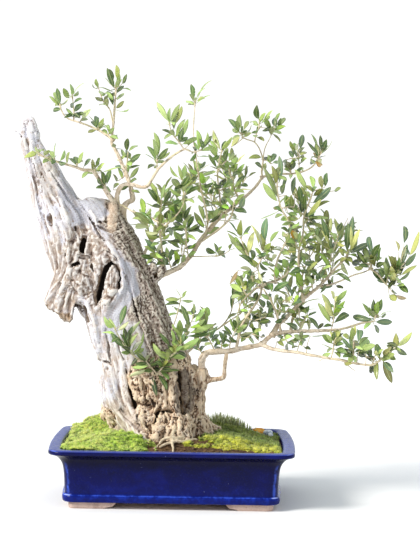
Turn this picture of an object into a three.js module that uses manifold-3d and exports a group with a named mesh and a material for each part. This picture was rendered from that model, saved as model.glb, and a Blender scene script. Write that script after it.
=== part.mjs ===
import * as THREE from 'three';
import { mergeVertices } from 'three/addons/utils/BufferGeometryUtils.js';
import Module from 'manifold-3d';

// An old olive tree trained as a bonsai, in a rectangular glazed pot on four bracket feet.
// Millimetres, +Z up, +X to the right and -Y to the front. Heights are taken from the underside of the feet.

const wasm = await Module();
wasm.setup();

// Driving dimensions
const POT_LENGTH = 400, POT_DEPTH = 320, POT_HEIGHT = 98, RIM_WIDTH = 23, CORNER = 11;
const FOOT_HEIGHT = 13, FLOOR_TOP = 22, DRAIN_RADIUS = 11, DRAIN_X = 82;
const FOOT_OUTER_X = 166, FOOT_INNER_X = 90, FOOT_OUTER_Y = 128, FOOT_INNER_Y = 66, FOOT_WALL = 17;
// Outer wall of the pot: [height, set-in from the rim's edge]
const POT_WALL = [[98, 1.2], [96.8, 0], [92, 0], [85, 16], [75, 23], [60, 26.6], [24, 28.3], [22, 25], [13, 26]];
// Inner wall of the pot: [height, set-in from the rim's edge]
const POT_BORE = [[99, 23], [86, 24.5], [74, 31.5], [22, 36.4]];
const SOIL_EDGE = 91.5, SOIL_MOUND = 13.5, SOIL_COLLAR = 7, TRUNK_X = -30, TRUNK_Y = 8;
const HUMPS = [[17, -126, 58, 72, 50], [8, 92, 40, 86, 44]];
const MOSS_THICKNESS = 8, GAP = 0.3, BLADE_THICKNESS = 1.8;
const TRUNK_SIDES = 10, LIMB_SIDES = 6, TWIG_SIDES = 4;
const SCREEN_SIZE = 38, SCREEN_THICKNESS = 1.6;
const OFFSET = [-74.85, -2.9, 0]; // puts the origin under the middle of the whole object

// Merges a surface down to bare positions and makes a solid of it.
function solid(geometry) {
  const g = geometry.clone();
  g.deleteAttribute('normal');
  g.deleteAttribute('uv');
  const m = mergeVertices(g, 1e-4);
  return new wasm.Manifold(new wasm.Mesh({
    numProp: 3,
    vertProperties: new Float32Array(m.attributes.position.array),
    triVerts: new Uint32Array(m.index.array),
  }));
}

// Turns a solid back into a surface with flat facets.
function geometryOf(s) {
  const m = s.getMesh(), n = m.numProp, v = new Float32Array(m.numVert * 3);
  for (let i = 0; i < m.numVert; i++) v.set(m.vertProperties.subarray(i * n, i * n + 3), i * 3);
  const g = new THREE.BufferGeometry();
  g.setAttribute('position', new THREE.BufferAttribute(v, 3));
  g.setIndex(new THREE.BufferAttribute(new Uint32Array(m.triVerts), 1));
  g.computeVertexNormals();
  return g;
}

// Joins a list of solids, two by two.
function join(list) {
  let a = list.slice();
  while (a.length > 1) {
    const b = [];
    for (let i = 0; i < a.length; i += 2) b.push(i + 1 < a.length ? a[i].add(a[i + 1]) : a[i]);
    a = b;
  }
  return a[0];
}

// The biggest body of a solid that a cut may have left in pieces.
function biggest(s, tolerance = 0.05) {
  const d = s.simplify(tolerance).decompose();
  return d.reduce((p, q) => (q.volume() > p.volume() ? q : p));
}

// A closed tube with round ends cut flat: a cylinder whose rings are moved onto the points. Each point is [x, y, z, r].
function tube(points, sides, grow = 0) {
  const n = points.length - 1;
  const g = new THREE.CylinderGeometry(1, 1, 1, sides, n).toNonIndexed();
  const at = points.map((p) => new THREE.Vector3(p[0], p[1], p[2]));
  const tangents = at.map((p, i) => at[Math.min(i + 1, n)].clone().sub(at[Math.max(i - 1, 0)]).normalize());
  const frames = [];
  let u = new THREE.Vector3(0, 1, 0).cross(tangents[0]);
  if (u.length() < 0.2) u = new THREE.Vector3(1, 0, 0).cross(tangents[0]);
  u.normalize();
  tangents.forEach((t) => {
    u = u.clone().addScaledVector(t, -u.dot(t)).normalize();
    frames.push([u, new THREE.Vector3().crossVectors(t, u)]);
  });
  const pos = g.attributes.position, v = new THREE.Vector3();
  for (let i = 0; i < pos.count; i++) {
    const k = Math.round((pos.getY(i) + 0.5) * n), r = points[k][3] + grow;
    v.copy(at[k]).addScaledVector(frames[k][0], pos.getX(i) * r).addScaledVector(frames[k][1], -pos.getZ(i) * r);
    if (k === 0) v.addScaledVector(tangents[0], -grow);
    if (k === n) v.addScaledVector(tangents[n], grow);
    pos.setXYZ(i, v.x, v.y, v.z);
  }
  const s = solid(g);
  return s.volume() < 0 ? solid(flip(g)) : s;
}

// Turns every face of a geometry round.
function flip(g) {
  const c = g.clone(), p = c.attributes.position;
  for (let i = 0; i < p.count; i += 3) {
    const x = p.getX(i), y = p.getY(i), z = p.getZ(i);
    p.setXYZ(i, p.getX(i + 1), p.getY(i + 1), p.getZ(i + 1));
    p.setXYZ(i + 1, x, y, z);
  }
  return c;
}

// A leaf blade, keeled along its midrib: a tetrahedron drawn out from root to tip, with its two edges raised.
function blade(l) {
  const root = new THREE.Vector3(l[0], l[1], l[2]), tip = new THREE.Vector3(l[3], l[4], l[5]);
  const n = new THREE.Vector3(l[7], l[8], l[9]);
  const axis = tip.clone().sub(root), dir = axis.clone().normalize();
  n.addScaledVector(dir, -n.dot(dir)).normalize();
  const side = new THREE.Vector3().crossVectors(n, dir);
  const g = new THREE.TetrahedronGeometry(1, 0), pos = g.attributes.position;
  for (let i = 0; i < pos.count; i++) {
    const x = pos.getX(i) > 0, y = pos.getY(i) > 0, v = root.clone();
    if (x === y) {
      if (x) v.add(axis);
    } else {
      v.addScaledVector(axis, 0.52).addScaledVector(side, (x ? 0.5 : -0.5) * l[6]).addScaledVector(n, BLADE_THICKNESS);
    }
    pos.setXYZ(i, v.x, v.y, v.z);
  }
  const s = solid(g);
  return s.volume() < 0 ? solid(flip(g)) : s;
}


// A closed tube with an oval section: across in the tree's plane, and front to back. Each point is [x, y, z, half width, half depth].
function oval(points, sides, grow = 0) {
  const n = points.length - 1;
  const g = new THREE.CylinderGeometry(1, 1, 1, sides, n).toNonIndexed();
  const at = points.map((p) => new THREE.Vector3(p[0], p[1], p[2])), pos = g.attributes.position;
  for (let i = 0; i < pos.count; i++) {
    const k = Math.round((pos.getY(i) + 0.5) * n);
    const t = at[Math.min(k + 1, n)].clone().sub(at[Math.max(k - 1, 0)]).normalize();
    const u = new THREE.Vector3(t.z, 0, -t.x).normalize(), b = new THREE.Vector3().crossVectors(t, u);
    const v = at[k].clone().addScaledVector(u, pos.getX(i) * (points[k][3] + grow)).addScaledVector(b, -pos.getZ(i) * (points[k][4] + grow));
    if (k === 0) v.addScaledVector(t, -grow);
    if (k === n) v.addScaledVector(t, grow);
    pos.setXYZ(i, v.x, v.y, v.z);
  }
  const s = solid(g);
  return s.volume() < 0 ? solid(flip(g)) : s;
}

// A rounded rectangle drawn up through the levels of a wall: each level is [height, set-in].
function tray(levels, grow = 0) {
  const x = POT_LENGTH / 2, y = POT_DEPTH / 2, r = CORNER;
  const shape = new THREE.Shape();
  shape.moveTo(-x + r, -y);
  shape.lineTo(x - r, -y); shape.absarc(x - r, -y + r, r, -Math.PI / 2, 0);
  shape.lineTo(x, y - r); shape.absarc(x - r, y - r, r, 0, Math.PI / 2);
  shape.lineTo(-x + r, y); shape.absarc(-x + r, y - r, r, Math.PI / 2, Math.PI);
  shape.lineTo(-x, -y + r); shape.absarc(-x + r, -y + r, r, Math.PI, Math.PI * 1.5);
  const n = levels.length - 1;
  const g = new THREE.ExtrudeGeometry(shape, { depth: n, steps: n, bevelEnabled: false, curveSegments: 2 });
  const pos = g.attributes.position, up = levels.slice().reverse();
  for (let i = 0; i < pos.count; i++) {
    const [z, d] = up[Math.round(pos.getZ(i))], e = d - grow;
    pos.setXYZ(i, pos.getX(i) * (x - e) / x, pos.getY(i) * (y - e) / y, z);
  }
  return solid(g);
}

function cylinder(r, h, x, y, z, sides = 16) {
  return solid(new THREE.CylinderGeometry(r, r, h, sides).rotateX(Math.PI / 2).translate(x, y, z));
}

// One leg of a bracket foot: a straight bar whose free end sweeps up in an S.
function footLeg(outer, inner, wall) {
  const s = new THREE.Shape();
  s.moveTo(outer, FOOT_HEIGHT + 1); s.lineTo(outer - 1.5, 0); s.lineTo(inner + 22, 0); s.lineTo(inner + 17, 2.6);
  s.lineTo(inner + 9, 3.4); s.lineTo(inner + 3.5, 5.6); s.lineTo(inner + 1, 9); s.lineTo(inner, FOOT_HEIGHT + 1);
  return new THREE.ExtrudeGeometry(s, { depth: wall, bevelEnabled: false, steps: 1 }).rotateX(Math.PI / 2);
}

function makePot() {
  let pot = tray(POT_WALL).subtract(tray(POT_BORE));
  for (const sx of [-1, 1]) pot = pot.subtract(cylinder(DRAIN_RADIUS, 20, sx * DRAIN_X, 0, 17));
  const legX = solid(footLeg(FOOT_OUTER_X, FOOT_INNER_X, FOOT_WALL).translate(0, FOOT_OUTER_Y, 0));
  const legY = solid(footLeg(FOOT_OUTER_Y, FOOT_INNER_Y, FOOT_WALL).rotateZ(Math.PI / 2).translate(FOOT_OUTER_X - FOOT_WALL, 0, 0));
  const foot = legX.add(legY);
  return join([pot, foot, foot.mirror([1, 0, 0]), foot.mirror([0, 1, 0]), foot.mirror([1, 0, 0]).mirror([0, 1, 0])]);
}

// Height of the soil above the feet.
function soilHeight(x, y) {
  const d = Math.pow(Math.pow(Math.abs(x) / 178, 4) + Math.pow(Math.abs(y) / 138, 4), 0.25);
  const t = Math.min(1, Math.max(0, (1 - d) / 0.45)), s = t * t * (3 - 2 * t);
  const e = Math.min(1, Math.max(0, (1 - d) / 0.12)), fade = e * e * (3 - 2 * e);
  const humps = HUMPS.reduce((sum, [h, cx, wx, cy, wy]) => sum + h * Math.exp(-Math.pow((x - cx) / wx, 2) - Math.pow((y - cy) / wy, 2)), 0);
  return SOIL_EDGE + SOIL_MOUND * s + SOIL_COLLAR * Math.exp(-Math.pow((x - TRUNK_X) / 112, 2) - Math.pow((y - TRUNK_Y) / 88, 2)) + fade * humps;
}

// A block between two surfaces given as heights over x and y.
function bed(low, high, nx, ny) {
  const g = new THREE.BoxGeometry(2, 2, 2, nx, ny, 1), pos = g.attributes.position;
  for (let i = 0; i < pos.count; i++) {
    const x = pos.getX(i) * 180, y = pos.getY(i) * 140;
    pos.setXYZ(i, x, y, pos.getZ(i) > 0 ? high(x, y) : low(x, y));
  }
  return solid(g);
}

// An upright prism over an outline of [x, y] points.
function prism(outline) {
  const s = new THREE.Shape(outline.map((p) => new THREE.Vector2(p[0], p[1])));
  return solid(new THREE.ExtrudeGeometry(s, { depth: 80, bevelEnabled: false, steps: 1 }).translate(0, 0, 70));
}

function pebble(x, y, z, a, b, c, turn, grow = 0) {
  return solid(new THREE.IcosahedronGeometry(1, 0).scale(a + grow, b + grow, c + grow).rotateZ(turn).translate(x, y, z));
}

// Wood of the trunk, as oval strands [x, y, z, half width, half depth]: live trunk, dead top, knob, hollow's left lip, lower bulge, right lobe and root flares.
const TRUNK = [
  /* live */ [[-33,0,75.9,86,72], [-35.4,0,124.2,84,68], [-43,0,170.6,77,61], [-52.4,0,227.2,76,58], [-73.8,0,285.3,66,54], [-93.5,0,346.6,55,49], [-108,0,408,51,44], [-125.9,0,465.7,37,34], [-138.3,0,501.3,19,22]],
  /* jin */ [[-256.8,10,632.2,11,10], [-251.1,8,596.5,17,14], [-229.9,6,556,29,20], [-210.2,3,505.2,37,27], [-188.8,0,451,43,34], [-160.8,0,398.5,46,40], [-132.7,0,335.7,38,38]],
  /* knob */ [[-143.2,-6,387.1,30,30], [-163,-12,370,32,30], [-182.9,-16,356.3,33,28], [-196.3,-16,339,27,24], [-196.3,-14,325.3,20,19], [-180.9,-12,310,17,14]],
  /* rimleft */ [[-152.2,-14,336.2,22,26], [-146.5,-16,302.4,16,24], [-135.8,-16,271.8,18,26], [-122,-14,248,24,30]],
  /* bulge */ [[-113.8,-10,251.2,24,30], [-106.2,-16,224.5,18,30], [-105.6,-22,201.2,20,30], [-101.6,-26,176.1,23,30], [-97.8,-28,154.2,25,30], [-87.4,-26,133.6,28,32], [-80.4,-24,109.5,30,34]],
  /* lobe */ [[48.8,-4,217.3,7,9], [52.5,-4,201.9,8,11], [52.9,-4,181.3,9,13], [49.8,-4,160.6,12,16], [48.4,-4,141.6,15,20], [52.1,-4,124.5,20,24], [57.5,-4,105.6,24,28]],
  /* rootR */ [[38.1,20,129.7,22,26], [59,26,115.4,20,22], [78.3,30,104.7,15,18], [97.6,32,92.5,8,12]],
  /* rootL */ [[-108.2,38,138.9,18,22], [-122.3,46,120.1,15,20], [-127.5,50,98.4,14,18]],
  /* rootB */ [[-42.5,50,133.2,40,26], [-28.6,66,108.4,44,26], [-25.1,78,85.6,40,24]],
  /* rootF */ [[-39.4,-40,139.7,40,26], [-35.2,-54,117.9,44,24], [-31.2,-62,95.4,40,22]],
];
// Bare roots that run over the soil, [x, y, z, r]
const ROOTS = [
  [[-1.6,-66,140.3,2.6], [3.9,-80,128.8,2.4], [0.1,-88,119.8,2.1], [-0.4,-97,109.4,1.9], [1.8,-116,100.5,1.7], [2.3,-134,95,1.4]],
  [[25.6,-68,119.1,2.6], [12.6,-86,112.2,2.4], [-2.2,-93,114.6,2.1], [-15.5,-93,111.1,1.9], [-21.7,-102,103.1,1.7], [-29.6,-112,97.8,1.4]],
  [[39.2,-66,107.3,2.6], [21.1,-90,107.1,2.4], [4.6,-97,108.6,2.1], [-10.1,-104,105.2,1.9], [-19.7,-112,101.2,1.7]],
];
// Hollows in the trunk, [x, y, z, half width, half height, half depth]
const HOLLOWS = [
  [-114.7,-50,367.7,14,34,26],
  [-154.7,-42,427.3,7,14,18],
  [-167.9,-40,398.3,8,7,16],
  [-155.4,-34,306.9,10,16,18],
  [15.5,-44,202.2,11,16,22],
  [18,-52,162.5,11,17,20],
  [-26.5,-74,144.3,10,12,16],
  [-71.2,-58,175.3,5,24,14],
];

// Limbs, twigs and leaf sprays. wood: lines of [x, y, z, r]. leaves: [root x, y, z, tip x, y, z, width, upper side's direction].
const LIMBS = {
  limb_crown: { from: 'trunk', also: [], wood: [
    [[-93.7,0,479.9,5.4], [-90.3,-4,495.3,5.06], [-75.9,-6,508.3,4.38], [-82.7,2,539.7,3.69], [-113.7,22,602.6,2.67], [-111.8,25,638.7,1.98], [-108,20,693.1,1.3]],
    [[-112.3,25,635.3,1.3], [-118.2,27,660.9,1.1], [-128.8,28,673.6,1.1], [-139.4,28,701.6,1.1]],
    [[-108.8,21,684.6,1.3], [-108.1,20,698.2,1.1]],
    [[-88.2,6,553.2,1.3], [-85.4,9,587.4,1.1]],
    [[-104.7,18,587.3,1.3], [-108,14,597.4,1.1]],
  ], leaves: [
    [-109.7,22.2,669.1,-125.5,53.6,696.5,10.9,0.11,-0.64,0.76], [-108.3,20.2,694.8,-99.3,44,715.3,8,-0.29,-0.57,0.77], [-108.2,20.1,696.6,-103,14.1,723.4,8.4,-0.34,-0.91,-0.23],
    [-138.2,28,698.5,-141.3,2.4,711.8,8,-0.31,-0.46,-0.83], [-108.5,20.6,689.9,-95.7,44.7,703.4,7.7,0.23,-0.53,0.82], [-138.2,28,698.5,-148,2.9,703.3,6,-0.35,-0.07,-0.93],
    [-108.5,20.5,691.1,-136.4,7.7,698.7,6,0.5,-0.4,0.77], [-108.2,20.1,696.7,-102.5,-8.1,710.2,8.4,-0.43,0.32,0.85], [-108.2,20.2,696,-118.2,52.5,697.6,7.8,-0.3,-0.14,0.94],
    [-86.5,7.9,574.3,-61.8,-25.8,585.3,10.1,-0.74,-0.59,-0.32], [-86.1,8.2,578.8,-98.7,33.6,592.9,9.1,-0.82,-0.54,0.19], [-129.9,28,676.4,-142.4,0.4,681.2,8.8,0.49,-0.32,-0.81],
    [-82.3,1.5,537.7,-69.6,-24.7,543.1,9.1,-0.88,-0.28,0.38], [-87.4,6.9,563.3,-74.2,30.3,574.4,9.1,0.28,-0.56,0.78],
  ] },
  limb_upper_left: { from: 'limb_crown', also: [], wood: [
    [[-113.4,23,611.2,2.3], [-157.1,48,634.6,1.79], [-189.6,63,645,1.44], [-200.5,67,652.8,1.27], [-207.8,70,666.7,1.15]],
    [[-206,69,663.2,1.3], [-208,71,673.7,1.1]],
    [[-182.4,60,642.4,1.3], [-186.2,57,688.8,1.1]],
    [[-137.6,37.1,626,1.3], [-139.1,37,631.8,1.1]],
    [[-119.2,26,614.6,1.3], [-120.2,27,621.5,1.1]],
  ], leaves: [
    [-207.7,70.7,672,-215.2,88.7,700.6,9.8,0.22,-0.76,0.61], [-185.7,57.4,682.7,-199.5,29.4,697.3,10.9,0.68,-0.48,-0.56], [-185.9,57.2,685.4,-191.3,73.9,707.1,9,0.58,-0.54,0.61],
    [-186.2,57,688.4,-165,48.4,707.6,6,-0.77,-0.28,0.58], [-183.7,59,657.8,-166.6,29,670.4,10.3,-0.63,-0.56,-0.53], [-183.4,59.2,654.4,-169.6,28.5,646.4,10.4,-0.56,-0.44,0.7],
    [-184.2,58.6,664.8,-185.5,29.5,670.2,10.2,0.79,-0.15,-0.59], [-119.4,26.2,616.1,-102.3,-0.5,610.7,9.2,-0.33,-0.38,0.86], [-206,69,663.2,-222,91.8,662.3,9.2,-0.77,-0.59,0.23],
    [-119.9,26.7,619.7,-109.3,-2.1,629.2,8.4,-0.79,-0.39,-0.47],
  ] },
  limb_left: { from: 'trunk', also: [], wood: [
    [[-108.3,-8,462.7,6.3], [-105.7,-16,486.7,5.83], [-107.1,-24,503.6,5.35], [-124.4,-38,530.3,4.41], [-142.5,-48,555.9,3.46], [-155.6,-53,556.4,2.99], [-198.3,-63,568.9,2.05], [-231.3,-68,579.8,1.15]],
    [[-221.5,-66,576.7,1.3], [-234.5,-70,586.4,1.1]],
    [[-204.9,-64,570.4,1.3], [-204.8,-66,577,1.1]],
    [[-167.1,-56,559.5,1.3], [-167,-58,567.8,1.1]],
    [[-139.2,-47,552.6,1.3], [-137.4,-50,561.8,1.1]],
    [[-121.1,-36,525.3,1.3], [-120.1,-40,533.7,1.1]],
  ], leaves: [
    [-232.7,-69.4,585,-251.1,-99.4,573.9,10.9,0.59,-0.56,0.58], [-167,-57.2,564.5,-171.4,-26,580.1,11.2,0.24,-0.44,0.86], [-138,-48.9,558.5,-140.2,-83.3,566.2,9.9,0.65,-0.23,-0.72],
    [-120.3,-39.2,532,-126.3,-66.5,555,9.8,0.61,-0.61,-0.51], [-221.5,-66,576.7,-211.2,-31.8,570.9,10.6,-0.71,0.24,0.66], [-204.9,-65,573.7,-207.2,-93.1,564.9,9.6,0.68,-0.26,0.69],
    [-198.3,-63,568.9,-182.8,-88.7,567,9,-0.84,-0.46,-0.27], [-183.9,-59.6,564.7,-177.3,-77.8,585.5,9.2,-0.8,-0.53,-0.28], [-227.2,-67.8,581,-240.4,-45.3,593.6,9.1,-0.89,-0.45,-0.03],
    [-222.3,-66.2,577.3,-210.4,-96.6,587.8,8.6,-0.07,-0.31,-0.95], [-204.9,-65,573.7,-214.3,-37.2,587.5,8.6,0.19,-0.4,0.9], [-195.7,-62.4,568.2,-189.2,-36.8,589.6,8.7,0.82,-0.44,0.37],
  ] },
  limb_arch: { from: 'trunk', also: [], wood: [
    [[-101.9,-10,495.2,4.6], [-101.7,-17,512.1,4.34], [-97.3,-24,526.6,4.08], [-87.8,-31,534,3.82], [-73.9,-39,533.1,3.57], [-60.2,-45,529.6,3.31], [-49.1,-50,531.5,3.05], [-31.6,-60,559.2,2.53], [-20,-65,571,2.27], [-5.1,-69,583.6,2.02], [11.4,-71,592.9,1.76], [21.4,-70,590.6,1.5]],
    [[11.4,-71,592.9,1.3], [-5.5,-76,614.9,1.1], [-14,-79,637.7,1.1]],
    [[20.6,-70,590.6,1.3], [39.6,-67,592.7,1.1]],
    [[-34.1,-59,554.2,1.3], [-33.4,-64,574.9,1.1]],
  ], leaves: [
    [2.9,-73.5,604,9.6,-96,627.6,10.5,-0.34,-0.68,-0.66], [36.6,-67.5,592.4,32.5,-78,625.3,9.7,0.41,-0.89,-0.21], [6.2,-72.5,599.6,35.8,-54.5,614.6,10.2,0.37,-0.82,0.44],
    [2.3,-73.7,604.7,17.4,-47.3,614.5,8.9,0.4,-0.53,0.75], [-7.5,-76.7,620.3,-24.9,-96.6,623.7,8.9,0.71,-0.41,0.58], [-9.1,-77.3,624.4,-3.3,-46.4,650.9,9.4,-0.36,-0.59,0.72],
    [-13.8,-78.9,637.1,3.9,-88.2,667.2,9,-0.45,-0.89,-0.07], [35.1,-67.7,592.2,29.2,-43.1,606.5,8.7,0.5,-0.34,0.8], [39.6,-67,592.7,37.9,-97.9,609.9,9,0.81,-0.39,-0.45],
  ] },
  branch_right_upper: { from: 'trunk', also: [], wood: [
    [[-51.3,8,362.3,7.2], [-22.2,0,381.2,6.54], [8.2,2,396.2,5.89], [21.6,6,410.8,5.56], [41.6,12,441.8,4.9], [71.9,23,478.1,4.24], [126.6,47,525.4,3.26], [145.5,58,550,2.6]],
  ], leaves: [
  ] },
  twig_riser: { from: 'branch_right_upper', also: [], wood: [
    [[43.3,11,443.5,2], [50.8,6,458.3,1.9], [52.2,0,475.5,1.8], [43.1,-8,516.2,1.6], [34.7,-12,560.2,1.4], [27.2,-10,604.1,1.2], [27.7,-6,673.6,1.15]],
    [[27.5,-6,668.5,1.3], [27.7,-6,677,1.1]],
    [[43.9,-8,514.6,1.3], [54.1,-14,519.8,1.1], [62.6,-18,514.9,1.1]],
    [[40.3,-9,531.5,1.3], [45.3,-12,536.6,1.1]],
    [[50.8,5,460,1.3], [48,10,471.9,1.1]],
    [[52.4,1,472.1,1.3], [56.5,-4,475.6,1.1]],
  ], leaves: [
    [44.5,-11.5,535.8,40.1,-48.4,554.7,11.1,0.34,-0.47,-0.81], [50.2,6.1,462.5,29.1,-13.4,488.9,9.4,0.36,-0.86,-0.36], [53.7,-0.5,473.2,66.5,27.3,490.8,8.9,0.03,-0.57,0.82],
    [35.4,-11.7,556.6,30.8,15.2,575.8,8.7,0.17,-0.58,0.8], [34.2,-11.9,563.2,48,18.9,574.5,8.8,0.94,-0.32,-0.15], [45.6,-5.8,504.8,36.9,19.3,517.8,8.9,0.04,-0.47,0.88],
  ] },
  twig_front_upper: { from: 'branch_right_upper', also: [], wood: [
    [[-21.3,-6,385.8,2.3], [-23.9,-24,423.8,1.9], [-32.7,-42,481.4,1.3], [-26.9,-46,495,1.15]],
    [[-28.4,-34.6,454,1.3], [4.3,-50,488.9,1.1], [11.7,-54,504.1,1.1], [12,-58,540.8,1.1]],
    [[-30.9,-40,471.4,1.3], [-25.3,-50,508.5,1.1]],
    [[-32,-40.4,474.9,1.3], [-53.9,-58,481.3,1.1]],
    [[-24.8,-28,434.1,1.3], [-33.7,-32,415.5,1.1]],
    [[-22.3,-12.5,397.2,1.3], [-30.4,-22,401.6,1.1]],
  ], leaves: [
    [11.8,-55.8,520.8,11.5,-26,542.7,10.8,-0.18,-0.57,0.8], [-53.9,-58,481.3,-60.4,-32.4,511.2,10.4,0.06,-0.75,0.66], [11.9,-56.4,525.7,-8.8,-23.9,544.1,10.9,-0.38,-0.58,0.72],
    [11.9,-57.1,532.4,20.6,-86.4,549,10.7,-0.73,-0.53,-0.44], [-32.7,-31.6,417.5,-41,-64.6,414.8,10.8,0.55,-0.21,0.81], [11.7,-54,504.1,11.8,-24.2,517.4,10.1,0.35,-0.39,0.85],
    [-30.4,-22,401.6,-12.9,13.5,417.6,11,0.44,-0.43,0.79], [-25.9,-48.9,504.4,-47.4,-71.2,526.4,11.2,0.71,-0.67,-0.22], [-30.8,-30.7,421.6,-51.5,-62.7,443,9.8,0.62,-0.61,-0.49],
    [-50.3,-55.1,480.2,-43.2,-82.9,495,9.1,0.49,-0.35,-0.8], [-26,-48.8,504,-10.4,-16.8,523.8,9.3,0.69,-0.56,0.46], [11.9,-57.1,532.4,-2.3,-82.6,528.8,8.8,0.87,-0.37,-0.32],
    [-26.6,-47.7,500,-37.1,-28,518.3,8.9,0.17,-0.62,0.76], [-26.5,-29.4,441,-10,-57.2,453.6,8.2,-0.18,-0.49,-0.85], [-26.3,-48.3,502.2,-16.9,-22.8,518.6,9.1,0.86,-0.41,0.3],
    [-26.8,-47.3,498.6,-40.1,-77.2,498.4,8.3,0.73,-0.38,0.57], [11.9,-56.7,529.2,27.3,-82.1,542.5,8.7,-0.9,-0.41,0.14],
  ] },
  twig_front_thin: { from: 'trunk', also: [], wood: [
    [[-98.2,-17,500.4,1.5], [-73,-45,488.4,1.3], [-16,-90,465.8,1.15]],
    [[-43.4,-70,478.3,1.3], [-49.8,-74,471.6,1.1]],
    [[-16,-90,465.8,1.3], [-12.8,-92,472.5,1.1]],
  ], leaves: [
    [-25,-82.9,469.4,-22.3,-113.9,485.8,10.2,-0.01,-0.53,-0.85], [-48.2,-73,473.3,-67.6,-90.8,488.1,10.4,0.63,-0.77,0.1], [-28.4,-80.2,470.7,-20.2,-52.2,451.6,9.1,0.93,-0.37,-0.06],
  ] },
  spray_upper_mid: { from: 'branch_right_upper', also: [], wood: [
    [[11.4,2.9,399.6,1.3], [16.4,-14,437.8,1.1], [12.4,-26,487,1.1]],
  ], leaves: [
    [12.5,-25.6,485.4,11.7,-4.7,508.9,10.4,0.48,-0.61,0.63], [14.3,-20.3,463.5,27.9,-53,482.6,9.4,-0.04,-0.51,-0.86], [13.6,-22.4,472.4,-10.1,-7.5,489.9,9.4,-0.17,-0.82,0.54],
    [12.8,-24.9,482.5,-14.6,-38.4,503.6,9.6,-0.02,-0.81,-0.58], [13.3,-23.2,475.5,24.1,-36.5,499.1,9.1,-0.71,-0.7,-0.04], [14.8,-18.8,457.4,-12,-50.8,460.1,9.6,0.76,-0.58,0.3],
    [13.9,-21.5,468.7,24,-2,485.3,9.1,-0.17,-0.57,0.81], [14.5,-19.6,460.6,-6.8,9.2,471,8.6,-0.32,-0.52,0.79],
  ] },
  spray_upper_low: { from: 'branch_right_upper', also: [], wood: [
    [[14.3,3.8,402.7,1.3], [9.4,14,416.3,1.1], [12.4,20,440.2,1.1]],
  ], leaves: [
    [11.2,17.6,430.8,-5.5,42.4,454.9,10.3,0.02,-0.65,0.76],
  ] },
  spray_small_hanging: { from: 'branch_right_upper', also: [], wood: [
    [[23.3,6,412.5,1.3], [71.1,-16,415,1.1], [91.2,-20,425.6,1.1]],
  ], leaves: [
    [67.8,-14.5,414.8,50.4,16,425.5,10.3,-0.87,-0.48,0.12],
  ] },
  twig_upper_fork: { from: 'branch_right_upper', also: [], wood: [
    [[40,10,437.5,2.4], [83.7,-14,471.2,1.8], [95.1,-24,491.8,1.4]],
    [[93.6,-22,486.7,1.3], [98.1,-32,510.5,1.1]],
    [[82.1,-13,469.4,1.3], [83.4,-22,486.5,1.1], [79.7,-26,501.7,1.1]],
  ], leaves: [
    [94.7,-24.3,492.3,119.4,1.2,490.2,11.1,0.7,-0.59,0.4], [94.3,-23.5,490.3,93.6,7.1,505.1,9.4,0.3,-0.43,0.85], [96.2,-27.7,500.3,114.2,-63.2,515.8,11,-0.5,-0.5,-0.7],
    [81.4,-24.1,494.5,69.7,-50.7,491.6,8.8,0.48,-0.32,0.82], [96.5,-28.4,501.9,82.6,-57.7,513.6,8.3,0.88,-0.45,-0.14],
  ] },
  twig_upper_rise: { from: 'branch_right_upper', also: [], wood: [
    [[78.7,24,485,1.9], [69,2,540.5,1.45], [68,-3,560.8,1.3], [74.9,-9,593.9,1.15]],
    [[73,13,509.9,1.3], [68,14,504.7,1.1], [62.7,13,514.8,1.1], [43.6,11,526.5,1.1]],
    [[71.1,8,523.5,1.3], [79.4,4,530.5,1.1]],
    [[68.4,-2,555.8,1.3], [82,-10,576.2,1.1]],
  ], leaves: [
    [81.4,-9.6,575.3,84.8,-39.4,594.1,10.3,-0.59,-0.47,-0.66], [70.2,4.7,533.8,82.8,35.4,547.8,9.7,0.29,-0.47,0.83], [71.7,7.7,524,98.9,40,520.6,10.9,0.68,-0.49,0.55],
    [72.3,-6.7,581.5,51,-34.5,603.8,9.8,0.6,-0.67,-0.44], [78,4.7,529.3,89.4,-29.3,527.2,9.7,-0.97,-0.23,0.09], [68,14,504.7,57.7,-12.9,504.6,8.9,0.83,-0.35,-0.44],
    [71.1,8,523.5,57,24.5,545.6,9.5,-0.43,-0.82,0.36], [77.8,4.8,529.1,88,27.9,541,9.2,-0.09,-0.48,0.87],
  ] },
  twig_upper_side: { from: 'branch_right_upper', also: [], wood: [
    [[107.7,38,509.5,1.8], [95.9,28,534.3,1.4], [87.6,20,563.2,1.15]],
    [[92.1,23.9,548.1,1.3], [101.4,27,563.5,1.1]],
    [[96.8,29,530.8,1.3], [105.3,30,537.9,1.1]],
  ], leaves: [
    [88,20.4,561.6,72.2,55.5,570.4,9.5,-0.69,-0.48,0.55], [97.5,25.7,557,112.8,-0.6,571.8,9.9,-0.68,-0.57,-0.47],
  ] },
  twig_top_middle: { from: 'branch_right_upper', also: [], wood: [
    [[145.5,58,550.8,1.7], [146.8,62,580.4,1.43], [140.4,63,599.4,1.3], [131.5,61,611,1.17], [108.6,54,619.4,1.15]],
    [[111.3,55,617.7,1.3], [107.6,54,626.3,1.1]],
    [[132,61,611.3,1.3], [138.6,63,649.6,1.1]],
    [[146.8,62,580.4,1.3], [150,66,601.4,1.1], [163.6,72,633,1.1]],
    [[146.8,62,578.7,1.3], [155.5,60,578.8,1.1], [160.7,58,573.6,1.1]],
  ], leaves: [
    [163.4,71.9,632.5,150,39.4,652.2,10.8,0.13,-0.56,-0.82], [159,58.7,575.3,170.2,90.6,593.6,9.5,0.3,-0.49,0.82], [159,58.7,575.3,150.9,85.1,586.2,9.1,-0.13,-0.39,0.91],
    [146.2,60.1,566.5,132.2,31.4,574.4,8.5,0.91,-0.4,-0.09], [135.7,62.1,632.6,126.3,38.6,626,8.7,0.17,-0.3,0.94], [137.7,62.7,644.6,148.4,47.3,661.2,8.5,-0.68,-0.65,-0.34],
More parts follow.
